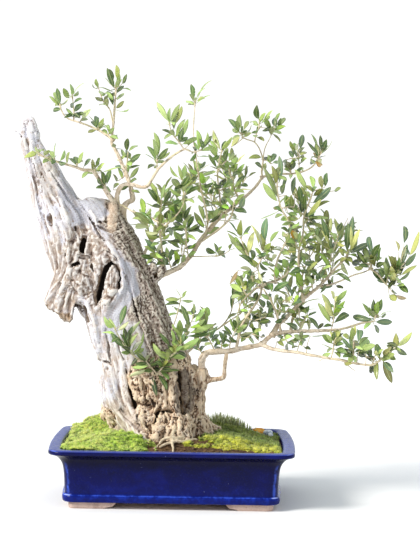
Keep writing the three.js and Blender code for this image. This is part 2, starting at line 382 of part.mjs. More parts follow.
    [147.5,62.9,584.9,121.9,36.4,582.9,9.2,0.6,-0.6,0.52], [107.9,54.1,625.7,110.4,26.6,637.3,8.7,-0.69,-0.31,-0.65],
  ] },
  twig_top_right: { from: 'branch_right_upper', also: ["twig_top_middle"], wood: [
    [[146.4,58,550.9,2.2], [224.4,77,564.6,1.49], [234.9,79,571.7,1.34], [243.5,80,584.1,1.2]],
    [[210.4,74,559.9,1.3], [208.8,70,586.8,1.1]],
    [[209,70.2,585.2,1.3], [187,66,581.2,1.1]],
    [[194.5,70,557.9,1.3], [195.2,69,564,1.1]],
    [[241.8,80,580.6,1.3], [245.1,80,587.6,1.1]],
  ], leaves: [
    [242.1,80,581.3,250.6,107.8,577.8,10,0.94,-0.33,-0.03], [203.3,71.9,560.9,213.9,43.9,567.4,9,-0.93,-0.31,0.18], [241.8,80,580.6,231.1,107.1,579.2,8.9,-0.94,-0.27,0.22],
    [206.4,69.7,584.7,197.6,39.2,596.3,8.7,0.95,-0.31,-0.05], [194.8,69.6,560.4,182.8,43.6,565.1,8.5,0.89,-0.37,0.28],
  ] },
  branch_right_lower: { from: 'trunk', also: [], wood: [
    [[50.7,0,208.3,6.4], [50.2,-12,242.1,5.89], [57.7,-16,250.5,5.64], [94.1,-28,254.6,5.14], [147.8,-40,268.4,4.38], [165.8,-46,284.8,3.87], [179.2,-48,288.9,3.62], [215.9,-52,292.2,3.12], [266.4,-50,294.9,2.61], [334.7,-36,309.4,1.6]],
  ], leaves: [
  ] },
  branch_front_lower: { from: 'branch_right_lower', also: [], wood: [
    [[147.8,-40,267.6,3.4], [164.4,-50,261.5,3.25], [223.1,-86,256,2.78], [260.4,-101,251.4,2.47], [310.9,-112,243.7,2.01], [327.3,-113,243.1,1.85], [340.5,-111,250.6,1.7]],
    [[252.3,-98,252,1.3], [241,-96,246.6,1.1]],
    [[276.8,-105.6,249.7,1.3], [299.4,-114,232.8,1.1]],
    [[205.3,-76,258.3,1.3], [212.7,-70,278.8,1.1]],
  ], leaves: [
    [282.1,-107.6,245.8,292.2,-138.9,246.7,8.8,-0.74,-0.23,0.63], [212.6,-70.1,278.5,198.5,-101,289.5,8.7,0.88,-0.44,-0.16],
  ] },
  branch_rising: { from: 'branch_right_lower', also: [], wood: [
    [[165.8,-46,286.2,4.2], [175.8,-40,303.6,3.96], [215.1,-18,340.9,3.25], [255.3,10,375.1,2.55], [296,37,418.6,1.6]],
  ], leaves: [
  ] },
  twig_rising_fork: { from: 'branch_right_lower', also: [], wood: [
    [[179.1,-48,289.9,2.3], [163.1,-71,339.2,1.82], [147.3,-83,363.8,1.5]],
    [[171.4,-61,317.7,1.3], [182.3,-68,345.2,1.1]],
    [[164,-70,338.3,1.3], [160.2,-76,350.3,1.1]],
  ], leaves: [
    [161.9,-73.4,345.1,159.6,-44.2,355.1,8.7,-0.87,-0.22,0.44], [165.8,-67.1,330.7,153.3,-41.3,331.2,9.1,-0.49,-0.29,0.82], [181.7,-67.6,343.8,171.9,-33.4,346.2,8.6,-0.28,-0.18,0.94],
    [176,-63.9,329.2,168,-92.3,344.8,8.5,0.9,-0.36,-0.25],
  ] },
  twig_rising_base: { from: 'branch_rising', also: [], wood: [
    [[179.2,-38,306.1,1.3], [193.4,-48,334,1.1]],
    [[204.8,-24,331,1.3], [209.7,-28,327.9,1.1]],
  ], leaves: [
    [190.6,-46.1,328.6,202.3,-76.6,326,8.9,-0.92,-0.37,-0.11],
  ] },
  branch_middle: { from: 'branch_right_lower', also: [], wood: [
    [[104.2,-30,257.5,2.6], [111,-40,293.2,2.4], [138.4,-55,342.8,2.1], [145.3,-62,368.5,1.9]],
    [[145.3,-62,368.5,2.4], [168.8,-57,376.5,1.95], [188.9,-50,390.4,1.5]],
    [[144.5,-62,366,1.8], [135.4,-60,363.2,1.62], [116.7,-50,344.6,1.26], [109.4,-45,333.2,1.15], [105.6,-40,316.8,1.15]],
  ], leaves: [
  ] },
  twig_middle_tall: { from: 'branch_middle', also: [], wood: [
    [[167.9,-57,376.1,2.1], [171.2,-42,410.8,1.88], [191.3,-24,461.3,1.55], [188.6,-20,478.1,1.44], [174.8,-15,504.1,1.22], [169.2,-10,537,1.15]],
    [[169.3,-10,533.6,1.3], [169.7,-14,559,1.1]],
    [[177.7,-16.1,497,1.3], [198.9,-8,500.2,1.1]],
    [[188.6,-20,478.1,1.3], [193.9,-16,474.7,1.1]],
    [[190.5,-24,459.6,1.3], [202.6,-18,458,1.1]],
    [[183.8,-31,437.7,1.3], [192.5,-28,432.6,1.1]],
  ], leaves: [
    [172.9,-13.3,515.4,145.2,-0.4,569,10.5,0.3,-0.89,0.35], [169.4,-10.8,538.6,159.3,-35.5,568.6,10.9,0.39,-0.78,-0.49], [173.7,-14,510.8,144.9,-26.8,539.9,11.3,0.26,-0.96,-0.14],
    [195.5,-21.5,458.9,206,10.7,445.4,10.6,0.73,-0.49,-0.48], [191,-18.2,476.5,178,13.2,479.1,10.5,-0.82,-0.37,0.44], [195.5,-9.3,499.7,192,-39.6,518.8,10.3,0.23,-0.48,-0.84],
    [169.4,-11.1,540.6,172.2,3.5,586.5,9.9,0.29,-0.92,0.26], [184.4,-13.5,498,206.9,15.1,496.7,9.9,0.8,-0.6,0.06], [177.7,-16.1,497,164.1,17.9,499.4,10.1,-0.75,-0.28,0.6],
    [190,-22.1,469.4,209.3,13.9,457.4,9.3,0.87,-0.48,-0.11], [187.5,-27.4,451.9,179.8,3.5,457.1,8.8,-0.94,-0.31,0.14], [176.4,-37.3,424,190.9,-68,420.5,8.9,-0.71,-0.41,0.57],
    [169.5,-12.4,548.9,154.4,15.6,555.7,8.6,-0.51,-0.45,0.74], [190.5,-24,459.6,175.5,-55.8,465,8.8,0.92,-0.36,0.17],
  ] },
  spray_middle_left: { from: 'branch_middle', also: [], wood: [
    [[147,-62,369.3,1.3], [136.2,-69,397.9,1.1], [114.1,-62,430.7,1.1], [108.8,-60,447.3,1.1]],
    [[147.2,-61.7,369.2,1.3], [137.9,-69,396.3,1.3], [142.8,-66,411.3,1.1], [161.1,-58,428,1.1]],
  ], leaves: [
    [116.2,-62.7,427.6,92.4,-39,444.8,11.2,-0.36,-0.72,0.59], [152.2,-61.9,419.9,146.1,-36.9,459.1,12.1,0.22,-0.8,0.56], [119.7,-63.8,422.4,130,-74.7,458,11.3,-0.52,-0.83,-0.21],
    [121.4,-64.3,419.8,86.8,-75.8,455.6,10.2,0.29,-0.96,-0.05], [125.9,-65.7,413.1,110.9,-43.4,441.8,10.1,0.27,-0.73,0.63], [152.2,-61.9,419.9,158,-92.9,440.7,10.6,-0.78,-0.45,-0.44],
    [132,-67.7,404.1,105.4,-95.8,420,9.5,0.7,-0.69,-0.2], [160.1,-58.4,427.1,151.3,-72.8,481.6,12.6,-0.35,-0.88,-0.33], [141.6,-66.7,407.8,155.3,-48,394,8.7,-0.1,-0.5,-0.86],
    [138.4,-68.7,397.8,128.6,-98.9,412.3,9.7,0.6,-0.37,-0.71],
  ] },
  spray_middle_inner: { from: 'branch_middle', also: [], wood: [
    [[144.3,-59.8,360.5,1.3], [124.8,-66,387.6,1.1]],
  ], leaves: [
    [127.4,-65.2,384.1,122.5,-36.6,362.5,11.2,-0.32,-0.56,-0.77], [137.6,-61.9,369.8,159.9,-32.4,359.5,10.7,0.67,-0.57,-0.47],
  ] },
  spray_middle_low: { from: 'branch_middle', also: [], wood: [
    [[120.8,-52.7,349.5,1.3], [113.6,-58,368.6,1.1]],
  ], leaves: [
    [117.1,-55.4,359.2,92.2,-23.2,368.1,11.2,-0.38,-0.51,0.78], [114.8,-57.2,365.5,119.1,-30.7,374,9.1,-0.39,-0.24,0.89],
  ] },
  spray_middle_right: { from: 'branch_middle', also: [], wood: [
    [[183.3,-52,385.3,1.3], [189.7,-47,399.6,1.1]],
  ], leaves: [
    [186.6,-49.4,392.7,210.7,-16.5,396.9,11.3,0.67,-0.47,0.57], [188.8,-47.7,397.7,178.9,-78.5,414,10.7,0.56,-0.47,-0.68], [186.6,-49.4,392.7,171.4,-18.6,403.2,10,-0.89,-0.42,0.18],
  ] },
  spray_lower_inner: { from: 'branch_middle', also: [], wood: [
    [[128,-50,324.6,1.3], [124.3,-56,336.7,1.1]],
    [[115.9,-43.4,304.9,1.3], [121.4,-50,314.4,1.1]],
  ], leaves: [
    [121.4,-50,314.4,115.7,-21.6,286.7,11.1,0,0.73,0.68],
  ] },
  spray_lower_base: { from: 'branch_middle', also: [], wood: [
    [[108,-36,277.6,1.3], [120.5,-46,278.6,1.1], [132,-52,286.1,1.1]],
  ], leaves: [
    [110.5,-38,277.8,97,-13.1,292.6,9.1,-0.18,-0.33,0.93], [108.8,-36.7,277.7,131.7,-61,290.2,9.1,0.28,0.52,0.81],
  ] },
  twig_centre_tall: { from: 'branch_rising', also: [], wood: [
    [[216.8,-17,342.6,2.5], [211,1,380.8,2.2], [209.8,11,424.9,1.9], [217.2,18,460.8,1.6], [216.7,21,477.9,1.45], [232,28,526.2,1.15]],
    [[224.5,26,503.8,1.3], [234.5,29,529.7,1.1]],
    [[217.8,21,481.4,1.3], [226.6,24,481.5,1.1]],
    [[216.9,20,471.1,1.3], [224.9,24,478,1.1], [232,27,474.7,1.1]],
    [[219.1,22.6,487.3,1.3], [207.3,20,491.5,1.1]],
    [[209.8,11,424.9,1.3], [204,3,440.4,1.1]],
    [[209.8,11,424.9,1.3], [225.4,16,433.6,1.1]],
  ], leaves: [
    [224.9,24,478,240.8,58.1,472.6,11.3,0.91,-0.41,0.02], [226.7,26.6,509.4,262.5,12.1,535.3,12.3,-0.33,-0.94,-0.11], [210.1,8.7,414.7,196.2,43.8,406.2,10.9,-0.94,-0.35,-0.01],
    [207.7,8.1,430.4,219.4,39.8,451.8,10.5,-0.02,-0.51,0.86], [222,23.4,494.5,217.2,-7.6,522.6,9.9,-0.44,-0.59,-0.67], [214,21.5,489.1,211.8,47.2,508.6,10.1,-0.07,-0.57,0.82],
    [205.1,4.6,437.4,185.9,27,455,9.5,-0.26,-0.7,0.67], [212.6,13.7,438.7,235.5,-7.1,458.3,9.1,-0.72,-0.69,0.1], [224.5,26,503.8,207.4,5.3,536,11.2,0.23,-0.88,-0.42],
    [211.5,11.5,425.8,231.1,48.8,410.1,9.6,0.77,-0.52,-0.37], [210.5,5.2,399.5,199.3,34,403.2,9.1,-0.54,-0.33,0.78], [231.5,28.1,521.9,201.8,42.8,565.4,10.2,0.24,-0.88,0.41],
    [210.3,6.8,406.6,239.5,-15,404.1,10,-0.65,-0.69,0.31], [213,21.3,489.5,187.4,-5.9,481.3,10.9,0.8,-0.6,0.04], [215.2,12.7,427.9,228.5,43.8,438,8.7,-0.01,-0.29,0.96],
    [224.8,23.4,481.5,246,15,514.5,9.4,-0.45,-0.89,0.02], [208.1,8.7,429.3,191.2,-18.1,432.3,8.8,0.62,-0.44,-0.65], [224.9,24,478,261.5,31.8,482,8.7,0.23,-0.86,0.45],
    [209.7,10.9,425.2,183.5,33.8,415.1,9,-0.68,-0.48,0.56], [206.8,6.8,432.9,179.8,-5.9,435.2,8.5,-0.29,0.7,0.66],
  ] },
  spray_right_top: { from: 'branch_rising', also: [], wood: [
    [[290.7,34,412.5,1.3], [295.9,28,427.5,1.1]],
  ], leaves: [
    [294.6,29.5,423.7,295,39.2,473.8,12.3,-0.2,-0.96,0.2], [291.7,32.8,415.5,300,-1.1,408,10.7,-0.35,-0.29,0.89], [295.7,28.3,426.9,312.3,52.9,446.1,11,0.57,-0.7,0.42],
    [294.8,29.2,424.5,333.7,39.1,439.9,10.9,0.14,-0.94,0.3],
  ] },
  spray_right_inner: { from: 'branch_rising', also: [], wood: [
    [[265.9,18,387.8,1.3], [267.5,4,427.8,1.1]],
    [[266.1,7,422.5,1.3], [275.3,0,452,1.1]],
  ], leaves: [
    [266.4,13.7,400.1,242.7,-11.8,422.8,9.4,0.73,-0.66,-0.18], [266.1,7,422.5,253.9,34.6,440.4,9.5,-0.29,-0.63,0.72], [268.4,5.3,429.8,255.7,-20.7,425,8.9,0.9,-0.44,0.01],
    [268.2,5.4,429.2,272.6,31.9,442.5,8.6,-0.21,-0.42,0.88],
  ] },
  spray_right_low: { from: 'branch_rising', also: [], wood: [
    [[234.2,-4,357.5,1.3], [228.1,-14,381.8,1.1]],
    [[250,6,370.9,1.3], [246,2,386.5,1.1], [252.4,0,400.3,1.1]],
  ], leaves: [
    [231.8,-7.9,366.9,204.6,-37.4,394.3,12.7,0.32,-0.73,-0.6], [247.8,3.8,379.5,265,29,382.1,8.8,0.57,-0.43,0.69], [231.2,-9,369.6,219.7,-41.3,384.6,8.9,0.86,-0.49,-0.14],
    [232.1,-7.5,365.9,225.2,24,378.2,10.6,0.39,-0.38,0.84], [249.2,1,393.4,262.3,-29.9,401.8,8.5,-0.85,-0.26,0.46], [230.8,-9.7,371.2,254.8,9.4,396.6,10,0.02,-0.74,0.67],
    [229.7,-11.4,375.5,213.5,-35,374.1,8.8,0.68,-0.43,0.59], [232.4,-7,364.7,215.4,-37.2,359,8.2,0.84,-0.41,-0.36],
  ] },
  spray_lower_mid: { from: 'branch_right_lower', also: [], wood: [
    [[207.5,-51.2,291.7,1.3], [222.3,-34,315.8,1.1]],
  ], leaves: [
    [218,-39.1,308.7,205.9,-8.8,311.2,9.2,-0.48,-0.26,0.83], [221,-35.5,313.7,214.6,-12.8,291.1,8.7,-0.08,0.7,0.71], [216.1,-41.2,305.6,233.3,-8.5,304.8,8.4,0.68,-0.36,0.64],
    [221.9,-34.5,315.1,228.4,-8.6,292.7,8.8,0.62,0.41,0.67],
  ] },
  spray_lower_right: { from: 'branch_right_lower', also: [], wood: [
    [[263.1,-50.3,294.7,1.3], [268.2,-58,342.6,1.1]],
  ], leaves: [
    [264.4,-52.3,307.2,294.8,-24.9,320.6,12.4,0.39,-0.67,0.63], [265.5,-53.9,317.4,283.3,-79.2,345.9,11.5,-0.45,-0.75,-0.48], [265.5,-53.9,317.2,249.9,-80.7,345.4,10.7,0.43,-0.78,-0.46],
    [264.5,-52.5,308.1,240.9,-40.4,339.4,11.6,-0.04,-0.95,0.32], [266,-54.7,322.1,247,-45.8,355,10.7,0.21,-0.89,0.4], [268,-57.7,341,280,-33.4,349.8,8.8,0.1,-0.37,0.92],
  ] },
  spray_lower_tip: { from: 'branch_right_lower', also: [], wood: [
    [[329.6,-37,308.5,1.3], [336.5,-35,310.2,1.1], [338.9,-34,318.6,1.1]],
  ], leaves: [
    [336.5,-35,310.2,369.8,-7.5,307,12.3,0.68,-0.71,0.2], [338.5,-34.2,317.1,340.8,-4.3,321.7,10.5,-0.72,-0.23,0.66], [337.8,-34.5,314.8,315,-41.6,340.7,8.5,0.49,-0.86,0.1],
  ] },
  spray_front_tip: { from: 'branch_front_lower', also: [], wood: [
    [[337.2,-112,248.1,1.3], [365.1,-108,271.4,1.1]],
  ], leaves: [
    [343.6,-111.1,253.4,361.3,-145.3,264.9,12.7,-0.88,-0.46,-0.14], [347.5,-110.5,256.7,354.6,-143.9,276,9.4,-0.74,-0.48,-0.47], [343.4,-111.1,253.3,358.9,-143.3,235.2,10.3,-0.45,-0.49,0.74],
    [365.1,-108,271.4,348.9,-135,281.7,8.9,0.84,-0.53,0.12], [350.9,-110,259.5,363.8,-138.6,254.5,8.1,-0.64,-0.38,0.67], [361.5,-108.5,268.4,372.1,-135.2,267.4,7.5,-0.5,-0.23,0.83],
    [341.7,-111.4,251.8,331.1,-136,268.4,8.2,-0.37,-0.32,-0.87], [350,-110.2,258.8,350.7,-135.7,272,7.8,0.28,0.34,0.9], [345.9,-110.7,255.4,339.6,-143.5,258.2,9.7,-0.13,0.1,0.99],
  ] },
  spray_front_mid: { from: 'branch_front_lower', also: [], wood: [
    [[288.1,-108,246.9,1.3], [296.6,-102,256.4,1.1], [298.3,-96,277.5,1.1]],
  ], leaves: [
    [296.7,-101.5,258.1,287.6,-134.2,249.5,10.7,0.28,-0.34,0.9], [296.9,-101.1,259.6,278.2,-126.1,256.8,8.7,0.53,-0.48,0.7], [297.3,-99.7,264.6,290.5,-128.3,269.1,9.8,-0.28,0.21,0.94],
    [297.7,-98.1,270.1,326.1,-62.7,281.8,11.6,0.58,-0.55,0.6], [297.4,-99.2,266.3,300.7,-68,275.1,10,0.26,-0.26,0.93], [297.9,-97.3,273,304.3,-63.1,279.8,10.1,0.45,-0.21,0.87],
    [297.1,-100.1,263.1,290.8,-84,288,9,0.13,-0.8,0.59], [297.9,-97.3,272.9,310.9,-124.5,268.7,8.7,-0.21,-0.22,0.95],
  ] },
  spray_front_inner: { from: 'branch_front_lower', also: [], wood: [
    [[260.3,-101,251.4,1.3], [268.9,-89,284.7,1.1]],
  ], leaves: [
    [266.3,-92.6,274.8,243.8,-115.4,291.4,11,0.72,-0.68,-0.11], [262.5,-97.9,260.1,248,-63.2,250.3,9.6,-0.92,-0.37,-0.1], [267.5,-90.9,279.4,262.8,-123.6,297.4,9.1,0.44,-0.46,-0.77],
    [264.5,-95.1,267.7,285,-121.7,263,10.2,-0.56,-0.44,0.7], [265.7,-93.5,272.1,279.8,-121.3,277.7,8.9,-0.91,-0.32,0.27],
  ] },
  twig_far_right: { from: 'branch_rising', also: [], wood: [
    [[244.7,2,365,2], [271.1,14,370,1.8], [339.2,32,397,1.3]],
    [[335.7,31,394.4,1.6], [372,42,364.2,1.3]],
    [[335.7,31,395.3,1.3], [335,29,417.8,1.1]],
    [[369.3,41.4,365.5,1.3], [384.5,36,397.6,1.1]],
  ], leaves: [
    [374.8,39.4,377.1,398.1,10.8,356,11.4,-0.53,-0.56,0.64], [379.4,37.8,386.8,398.2,67.5,407,9.7,-0.06,-0.61,0.79], [380.3,37.5,388.8,416.9,48.2,402.8,8.8,-0.1,-0.8,0.59],
    [376,39,379.7,406.9,50.1,393.9,8.8,0.58,-0.71,-0.39], [369.3,41.4,365.5,403.5,71.5,343.8,7.7,0.78,-0.57,0.26], [383.4,36.4,395.3,397.5,64.8,397.8,9.9,-0.04,-0.07,1],
    [381.9,36.9,392.1,367.4,9.1,419,12,0.41,-0.75,-0.53], [335.1,29.3,414.3,347.1,-1.4,439.5,11.4,-0.55,-0.65,-0.53], [374.4,39.6,376.3,368.4,15.7,401.6,10.9,0.29,-0.78,-0.56],
    [371.6,40.6,370.3,375,75.6,387,11.4,-0.07,-0.48,0.88], [335.7,31,395.3,358.2,63,375,9.8,0.71,-0.64,-0.29], [383.1,36.5,394.7,382.1,2.1,417.8,9.3,-0.51,-0.48,-0.71],
    [335.3,29.9,407.4,320.8,48,435.9,10.3,0.05,-0.85,0.52], [335.5,30.5,400.5,354.7,-0.8,407.2,11,-0.94,-0.34,-0.07], [369.3,41.4,365.5,377.7,9.3,342,12.1,-0.66,-0.33,0.68],
    [335.5,30.5,400.5,330.3,-2.6,420.5,10.1,0.52,-0.56,-0.64], [354.1,36.6,379.1,347,5.8,396.5,10.1,0.74,-0.49,-0.47], [371.9,40.5,371,350.7,75.1,374.3,9.5,-0.8,-0.45,0.39],
  ] },
  shoot_trunk_left: { from: 'trunk', also: [], wood: [
    [[-28.1,-60,216.7,1.3], [-39.6,-72,229.5,1.1], [-65.9,-88,249,1.1], [-85.8,-96,272.7,1.1], [-99.1,-100,297.7,1.1]],
  ], leaves: [
    [-98.4,-99.8,296.4,-113.9,-132.9,316.4,11.2,0.26,-0.59,-0.76], [-89.3,-97.1,279.3,-100.7,-125,275,8.5,0.19,-0.24,0.95], [-95.6,-99,291.2,-73,-130.9,308.7,8.7,0.86,0.49,-0.14],
    [-80.2,-93.8,266.1,-103.8,-103.2,287.9,10.7,0.18,-0.95,-0.27], [-75.9,-92,261,-74.3,-62.7,286.8,9.7,0.32,-0.63,0.7], [-72,-90.5,256.3,-86,-118.6,256.5,8.5,0.69,-0.3,0.66],
  ] },
  shoot_trunk_right: { from: 'trunk', also: ["shoot_trunk_left"], wood: [
    [[-28.1,-60,216.7,1.3], [-14.6,-74,238.5,1.1], [6.9,-84,259.9,1.1]],
    [[3.6,-82,256.3,1.3], [32.6,-92,320.9,1.1]],
  ], leaves: [
    [23.7,-88.9,301.1,10.7,-80.9,334.7,11.2,0.27,-0.88,0.39], [12.2,-85,275.5,9.8,-102.6,311.3,11.3,0.18,-0.85,-0.49], [-4.2,-78.8,248.9,18.2,-47.5,246.6,11.1,0.73,-0.52,0.43],
    [14.7,-85.8,281.1,4.5,-52.8,268.8,10.7,-0.92,-0.37,-0.13], [19.7,-87.6,292.2,66.1,-76.7,303.7,11,0.14,-0.92,0.38], [2.6,-82,255.6,15.5,-107.5,267.1,9.2,-0.88,-0.47,0.02],
    [16.9,-86.6,285.9,71.1,-94.7,298.5,8.7,-0.32,-0.8,0.51], [-2,-79.9,251.1,5.7,-112.3,270.7,10,-0.77,-0.5,-0.39], [28.3,-90.5,311.3,42.4,-59.9,317.1,8.7,0.17,-0.27,0.95],
    [27.7,-90.3,310.1,50.7,-107,332.1,10,-0.67,-0.74,-0.1], [22.8,-88.6,299.1,43,-118,303.1,8.8,-0.78,-0.33,0.53], [-20,-68.4,229.7,-9.1,-96.1,242.4,8.4,-0.93,-0.36,0.02],
  ] },
  shoot_trunk_upper: { from: 'trunk', also: [], wood: [
    [[-4.2,-56,290.8,1.3], [10.3,-72,347.5,1.1]],
  ], leaves: [
    [9.1,-70.6,342.6,-17.1,-41.1,341.8,9.6,-0.67,-0.57,0.47], [7.5,-68.9,336.5,-15.6,-92,335,8.6,0.56,-0.57,0.6],
  ] },
  limb_back_upper: { from: 'trunk', also: [], wood: [
    [[-63.4,40,400.3,3.4], [-43,84,441.1,2.52], [-28.2,106,463.7,2.08], [5.9,138,508.3,1.2]],
    [[-54.2,62,420.5,1.3], [-28,78.6,460.9,1.1]],
    [[-28.2,106,463.7,1.3], [-11.4,104.4,483.9,1.1], [-3.6,105.2,509,1.1]],
    [[5.9,138,508.3,1.3], [28.6,139.8,554.8,1.1]],
  ], leaves: [
    [24.4,139.5,546.2,49.2,165.8,562.4,9.9,-0.23,-0.37,0.9], [15.8,138.8,528.7,42.7,161.9,536.7,10,-0.09,-0.27,0.96], [20.1,139.1,537.5,13.4,152.6,559.1,8.5,0.62,-0.54,0.57],
    [11.6,138.4,519.9,4.4,155.2,547.8,7.8,0.61,-0.58,0.54], [-32.9,75.5,453.3,-29.5,59,489.1,10,0.21,0.9,0.38], [-37.8,72.4,445.8,-49.3,91,470.2,10.2,0.65,-0.4,0.65],
    [-37.8,72.4,445.8,-1.2,66.1,455.1,10,-0.23,0.22,0.95], [-32.9,75.5,453.3,-16.4,104.4,455.9,10.1,0.04,-0.11,0.99],
  ] },
  twig_back_middle: { from: 'branch_right_upper', also: [], wood: [
    [[48.3,14,449.5,2.4], [72,74,487,1.75], [92.8,118,524,1.15]],
    [[72,74,487,1.3], [61.2,92.6,504.2,1.1], [50.8,106.1,525.7,1.1]],
    [[92.8,118,524,1.3], [97.2,130.7,549.4,1.1], [94,138.8,576.8,1.1]],
  ], leaves: [
    [95.9,134,560.4,91.8,163.9,568.6,9.9,0.06,-0.27,0.96], [96.3,128.2,544.4,93.6,158,552.7,9.7,0.07,-0.27,0.96], [95,136.4,568.6,66.2,133.7,585.2,10.5,0.48,0.15,0.87],
    [60.2,93.9,506.3,73.7,124.5,518.7,10.3,-0.35,-0.22,0.91], [53.9,102,519.2,23.6,90.3,539.4,10.1,0.36,0.44,0.82], [66.6,83.3,495.6,77.7,114,503.4,10.2,-0.34,-0.13,0.93],
  ] },
  twig_back_lower: { from: 'branch_right_lower', also: [], wood: [
    [[195.8,-50,292,2.8], [199.3,-6,305.7,2.46], [220.6,70,382.9,1.44], [231.9,94,410.2,1.15]],
    [[206.8,18,331.7,1.3], [191.8,29.8,355,1.1], [183.2,42.4,381,1.1]],
    [[220.6,70,382.9,1.3], [208,88.1,403.3,1.1], [194.4,99.5,427.4,1.1]],
    [[231.9,94,410.2,1.3], [241.1,118.2,451.5,1.1]],
  ], leaves: [
    [202.5,92.7,413,166.4,86.5,424.3,10.6,0.25,0.29,0.92], [239.4,113.7,443.8,221.9,111.9,477.4,10.4,0.79,0.43,0.43], [194.8,27.4,350.3,199.6,17.1,383.7,10.5,-0.56,0.76,0.33],
    [190.9,31.1,357.6,201.2,52.6,372.7,10.7,-0.46,-0.35,0.81], [214.3,79.1,393.1,190.9,106.9,387.4,10.3,-0.08,0.14,0.99], [214.3,79.1,393.1,218.4,78.3,427.5,10.4,-0.72,0.68,0.1],
    [210.5,84.5,399.2,222.9,115.1,411.8,10.2,-0.39,-0.21,0.9],
  ] },
  twig_back_right: { from: 'branch_rising', also: [], wood: [
    [[230.7,-7,355,2.4], [250.5,40,366.6,2.08], [261.4,58,401.6,1.75], [279.7,104,437.1,1.15]],
    [[261.4,58,401.6,1.3], [245.3,84,443.1,1.1]],
    [[279.7,104,437.1,1.3], [301.5,124.7,481,1.1]],
  ], leaves: [
    [289.3,113.1,456.3,315.4,102.3,475.1,10.7,-0.38,0.43,0.82], [251.4,74.2,427.5,268.1,100.3,447,9.9,-0.52,-0.29,0.8], [254.4,69.3,419.7,257.9,64,446.2,10.3,-0.45,0.85,0.28],
    [293.4,117,464.6,318,142.2,464,9.9,0,0.01,1], [289.3,113.1,456.3,276.7,144.2,475,9.6,0.39,-0.37,0.84],
  ] },
  limb_back_low: { from: 'trunk', also: [], wood: [
    [[4.9,48,230.4,3], [25.2,72,246.1,2.52], [51.1,92,266,2.05], [112.6,120,307.5,1.15]],
    [[51.1,92,266,1.3], [51.8,108.8,280.5,1.1], [56.2,119.2,299.6,1.1]],
    [[112.6,120,307.5,1.3], [135.5,129,352.1,1.1]],
  ], leaves: [
    [131.2,127.3,343.7,123.9,150.6,362.3,8.1,0.39,-0.49,0.78], [118.3,122.2,318.5,109.6,104.8,349.7,10.1,0.58,0.62,0.53], [52.9,111.4,285.3,35.8,136.6,295.2,10.1,0.35,-0.14,0.93],
    [118.3,122.2,318.5,145.3,141.3,326.5,10,-0.18,-0.22,0.96], [126.9,125.6,335.3,118.7,112.1,364.7,9.9,0.63,0.62,0.46],
  ] },
};

const COLOURS = { limb: 0x9a8468, branch: 0xa08a6c, twig: 0x71834a, spray: 0x66803f, shoot: 0x6d8a45 };
const part = new THREE.Group();
part.name = 'olive_bonsai';
part.position.set(...OFFSET);
function put(name, s, color, roughness, metalness = 0) {
  const mesh = new THREE.Mesh(geometryOf(s), new THREE.MeshStandardMaterial({ color, roughness, metalness }));
  mesh.name = name;
  part.add(mesh);
}

// Trunk with its dead top, hollows, root flares and bare roots: one grown piece
const trunkWood = (grow) => join([...TRUNK.map((s) => oval(s, TRUNK_SIDES, grow)), ...ROOTS.map((r) => tube(r, 6, grow))]);
const hollows = join(HOLLOWS.map(([x, y, z, a, c, b]) => solid(new THREE.IcosahedronGeometry(1, 1).scale(a, b, c).translate(x, y, z))));
const trunk = biggest(trunkWood(0).subtract(hollows), 0.25);
const trunkRoom = trunkWood(GAP + 0.1);
put('trunk', trunk, 0xb9a992, 0.85);

// Pot, drain screens
put('pot', makePot(), 0x1b2478, 0.25);
const screens = [-1, 1].map((sx) => [sx, new THREE.BoxGeometry(SCREEN_SIZE, SCREEN_SIZE, SCREEN_THICKNESS).translate(sx * DRAIN_X, 0, FLOOR_TOP + GAP + SCREEN_THICKNESS / 2)]);
for (const [sx, g] of screens) put(sx < 0 ? 'drain_screen_left' : 'drain_screen_right', solid(g), 0x26282a, 0.7);
const screenRoom = join(screens.map(([sx]) => solid(new THREE.BoxGeometry(SCREEN_SIZE + 2 * GAP, SCREEN_SIZE + 2 * GAP, SCREEN_THICKNESS + 4 * GAP).translate(sx * DRAIN_X, 0, FLOOR_TOP + GAP + SCREEN_THICKNESS / 2))));

// Stones lying in the moss, and a fallen leaf
const STONES = [['stone_large', 165, 84, 101.4, 9, 6.5, 5.5, 0.5], ['stone_small', 169, 62, 100.4, 5.6, 4.4, 4.2, 1.9]];
for (const [name, ...s] of STONES) put(name, pebble(...s), 0xa9a7a2, 0.9);
const stoneRoom = join(STONES.map(([, ...s]) => pebble(...s, GAP + 0.2)));

// Soil, filling the pot up to a mound round the trunk
const bore = tray(POT_BORE.map(([z, d], i) => [i === 0 ? 140 : i === POT_BORE.length - 1 ? z + GAP : z, d + GAP]));
const soil = bed(() => FLOOR_TOP - 10, soilHeight, 10, 8).intersect(bore).subtract(trunkRoom).subtract(screenRoom).subtract(stoneRoom);
put('soil', biggest(soil), 0x5b4632, 0.95);

// Moss cushions on the soil
const mossTop = (x, y) => soilHeight(x, y) + GAP + MOSS_THICKNESS * (0.85 + 0.15 * Math.sin(x * 0.11 + 1) * Math.cos(y * 0.13));
const mossBed = bed(() => 60, mossTop, 10, 8).subtract(bed(() => 50, (x, y) => soilHeight(x, y) + GAP, 10, 8)).intersect(bore).subtract(trunkRoom).subtract(stoneRoom);
const MOSS_LEFT = [[-179, -139], [-70, -139], [-52, -112], [-64, -84], [-80, -40], [-80, 60], [-40, 96], [10, 139], [-179, 139]];
const MOSS_RIGHT = [[62, -112], [179, -112], [179, 139], [12, 139], [20, 104], [60, 60], [56, -30], [52, -76]];
put('moss_left', biggest(mossBed.intersect(prism(MOSS_LEFT))), 0x8fae2e, 1);
put('moss_right', biggest(mossBed.intersect(prism(MOSS_RIGHT))), 0x76962c, 1);

// Fallen leaf, lying just above the moss
const fallen = blade([136, 96, mossTop(136, 96) + 2.6, 162, 100, mossTop(162, 100) + 3.6, 10, 0.1, 0.1, 1]);
put('fallen_leaf', fallen, 0xd9a02a, 0.6);

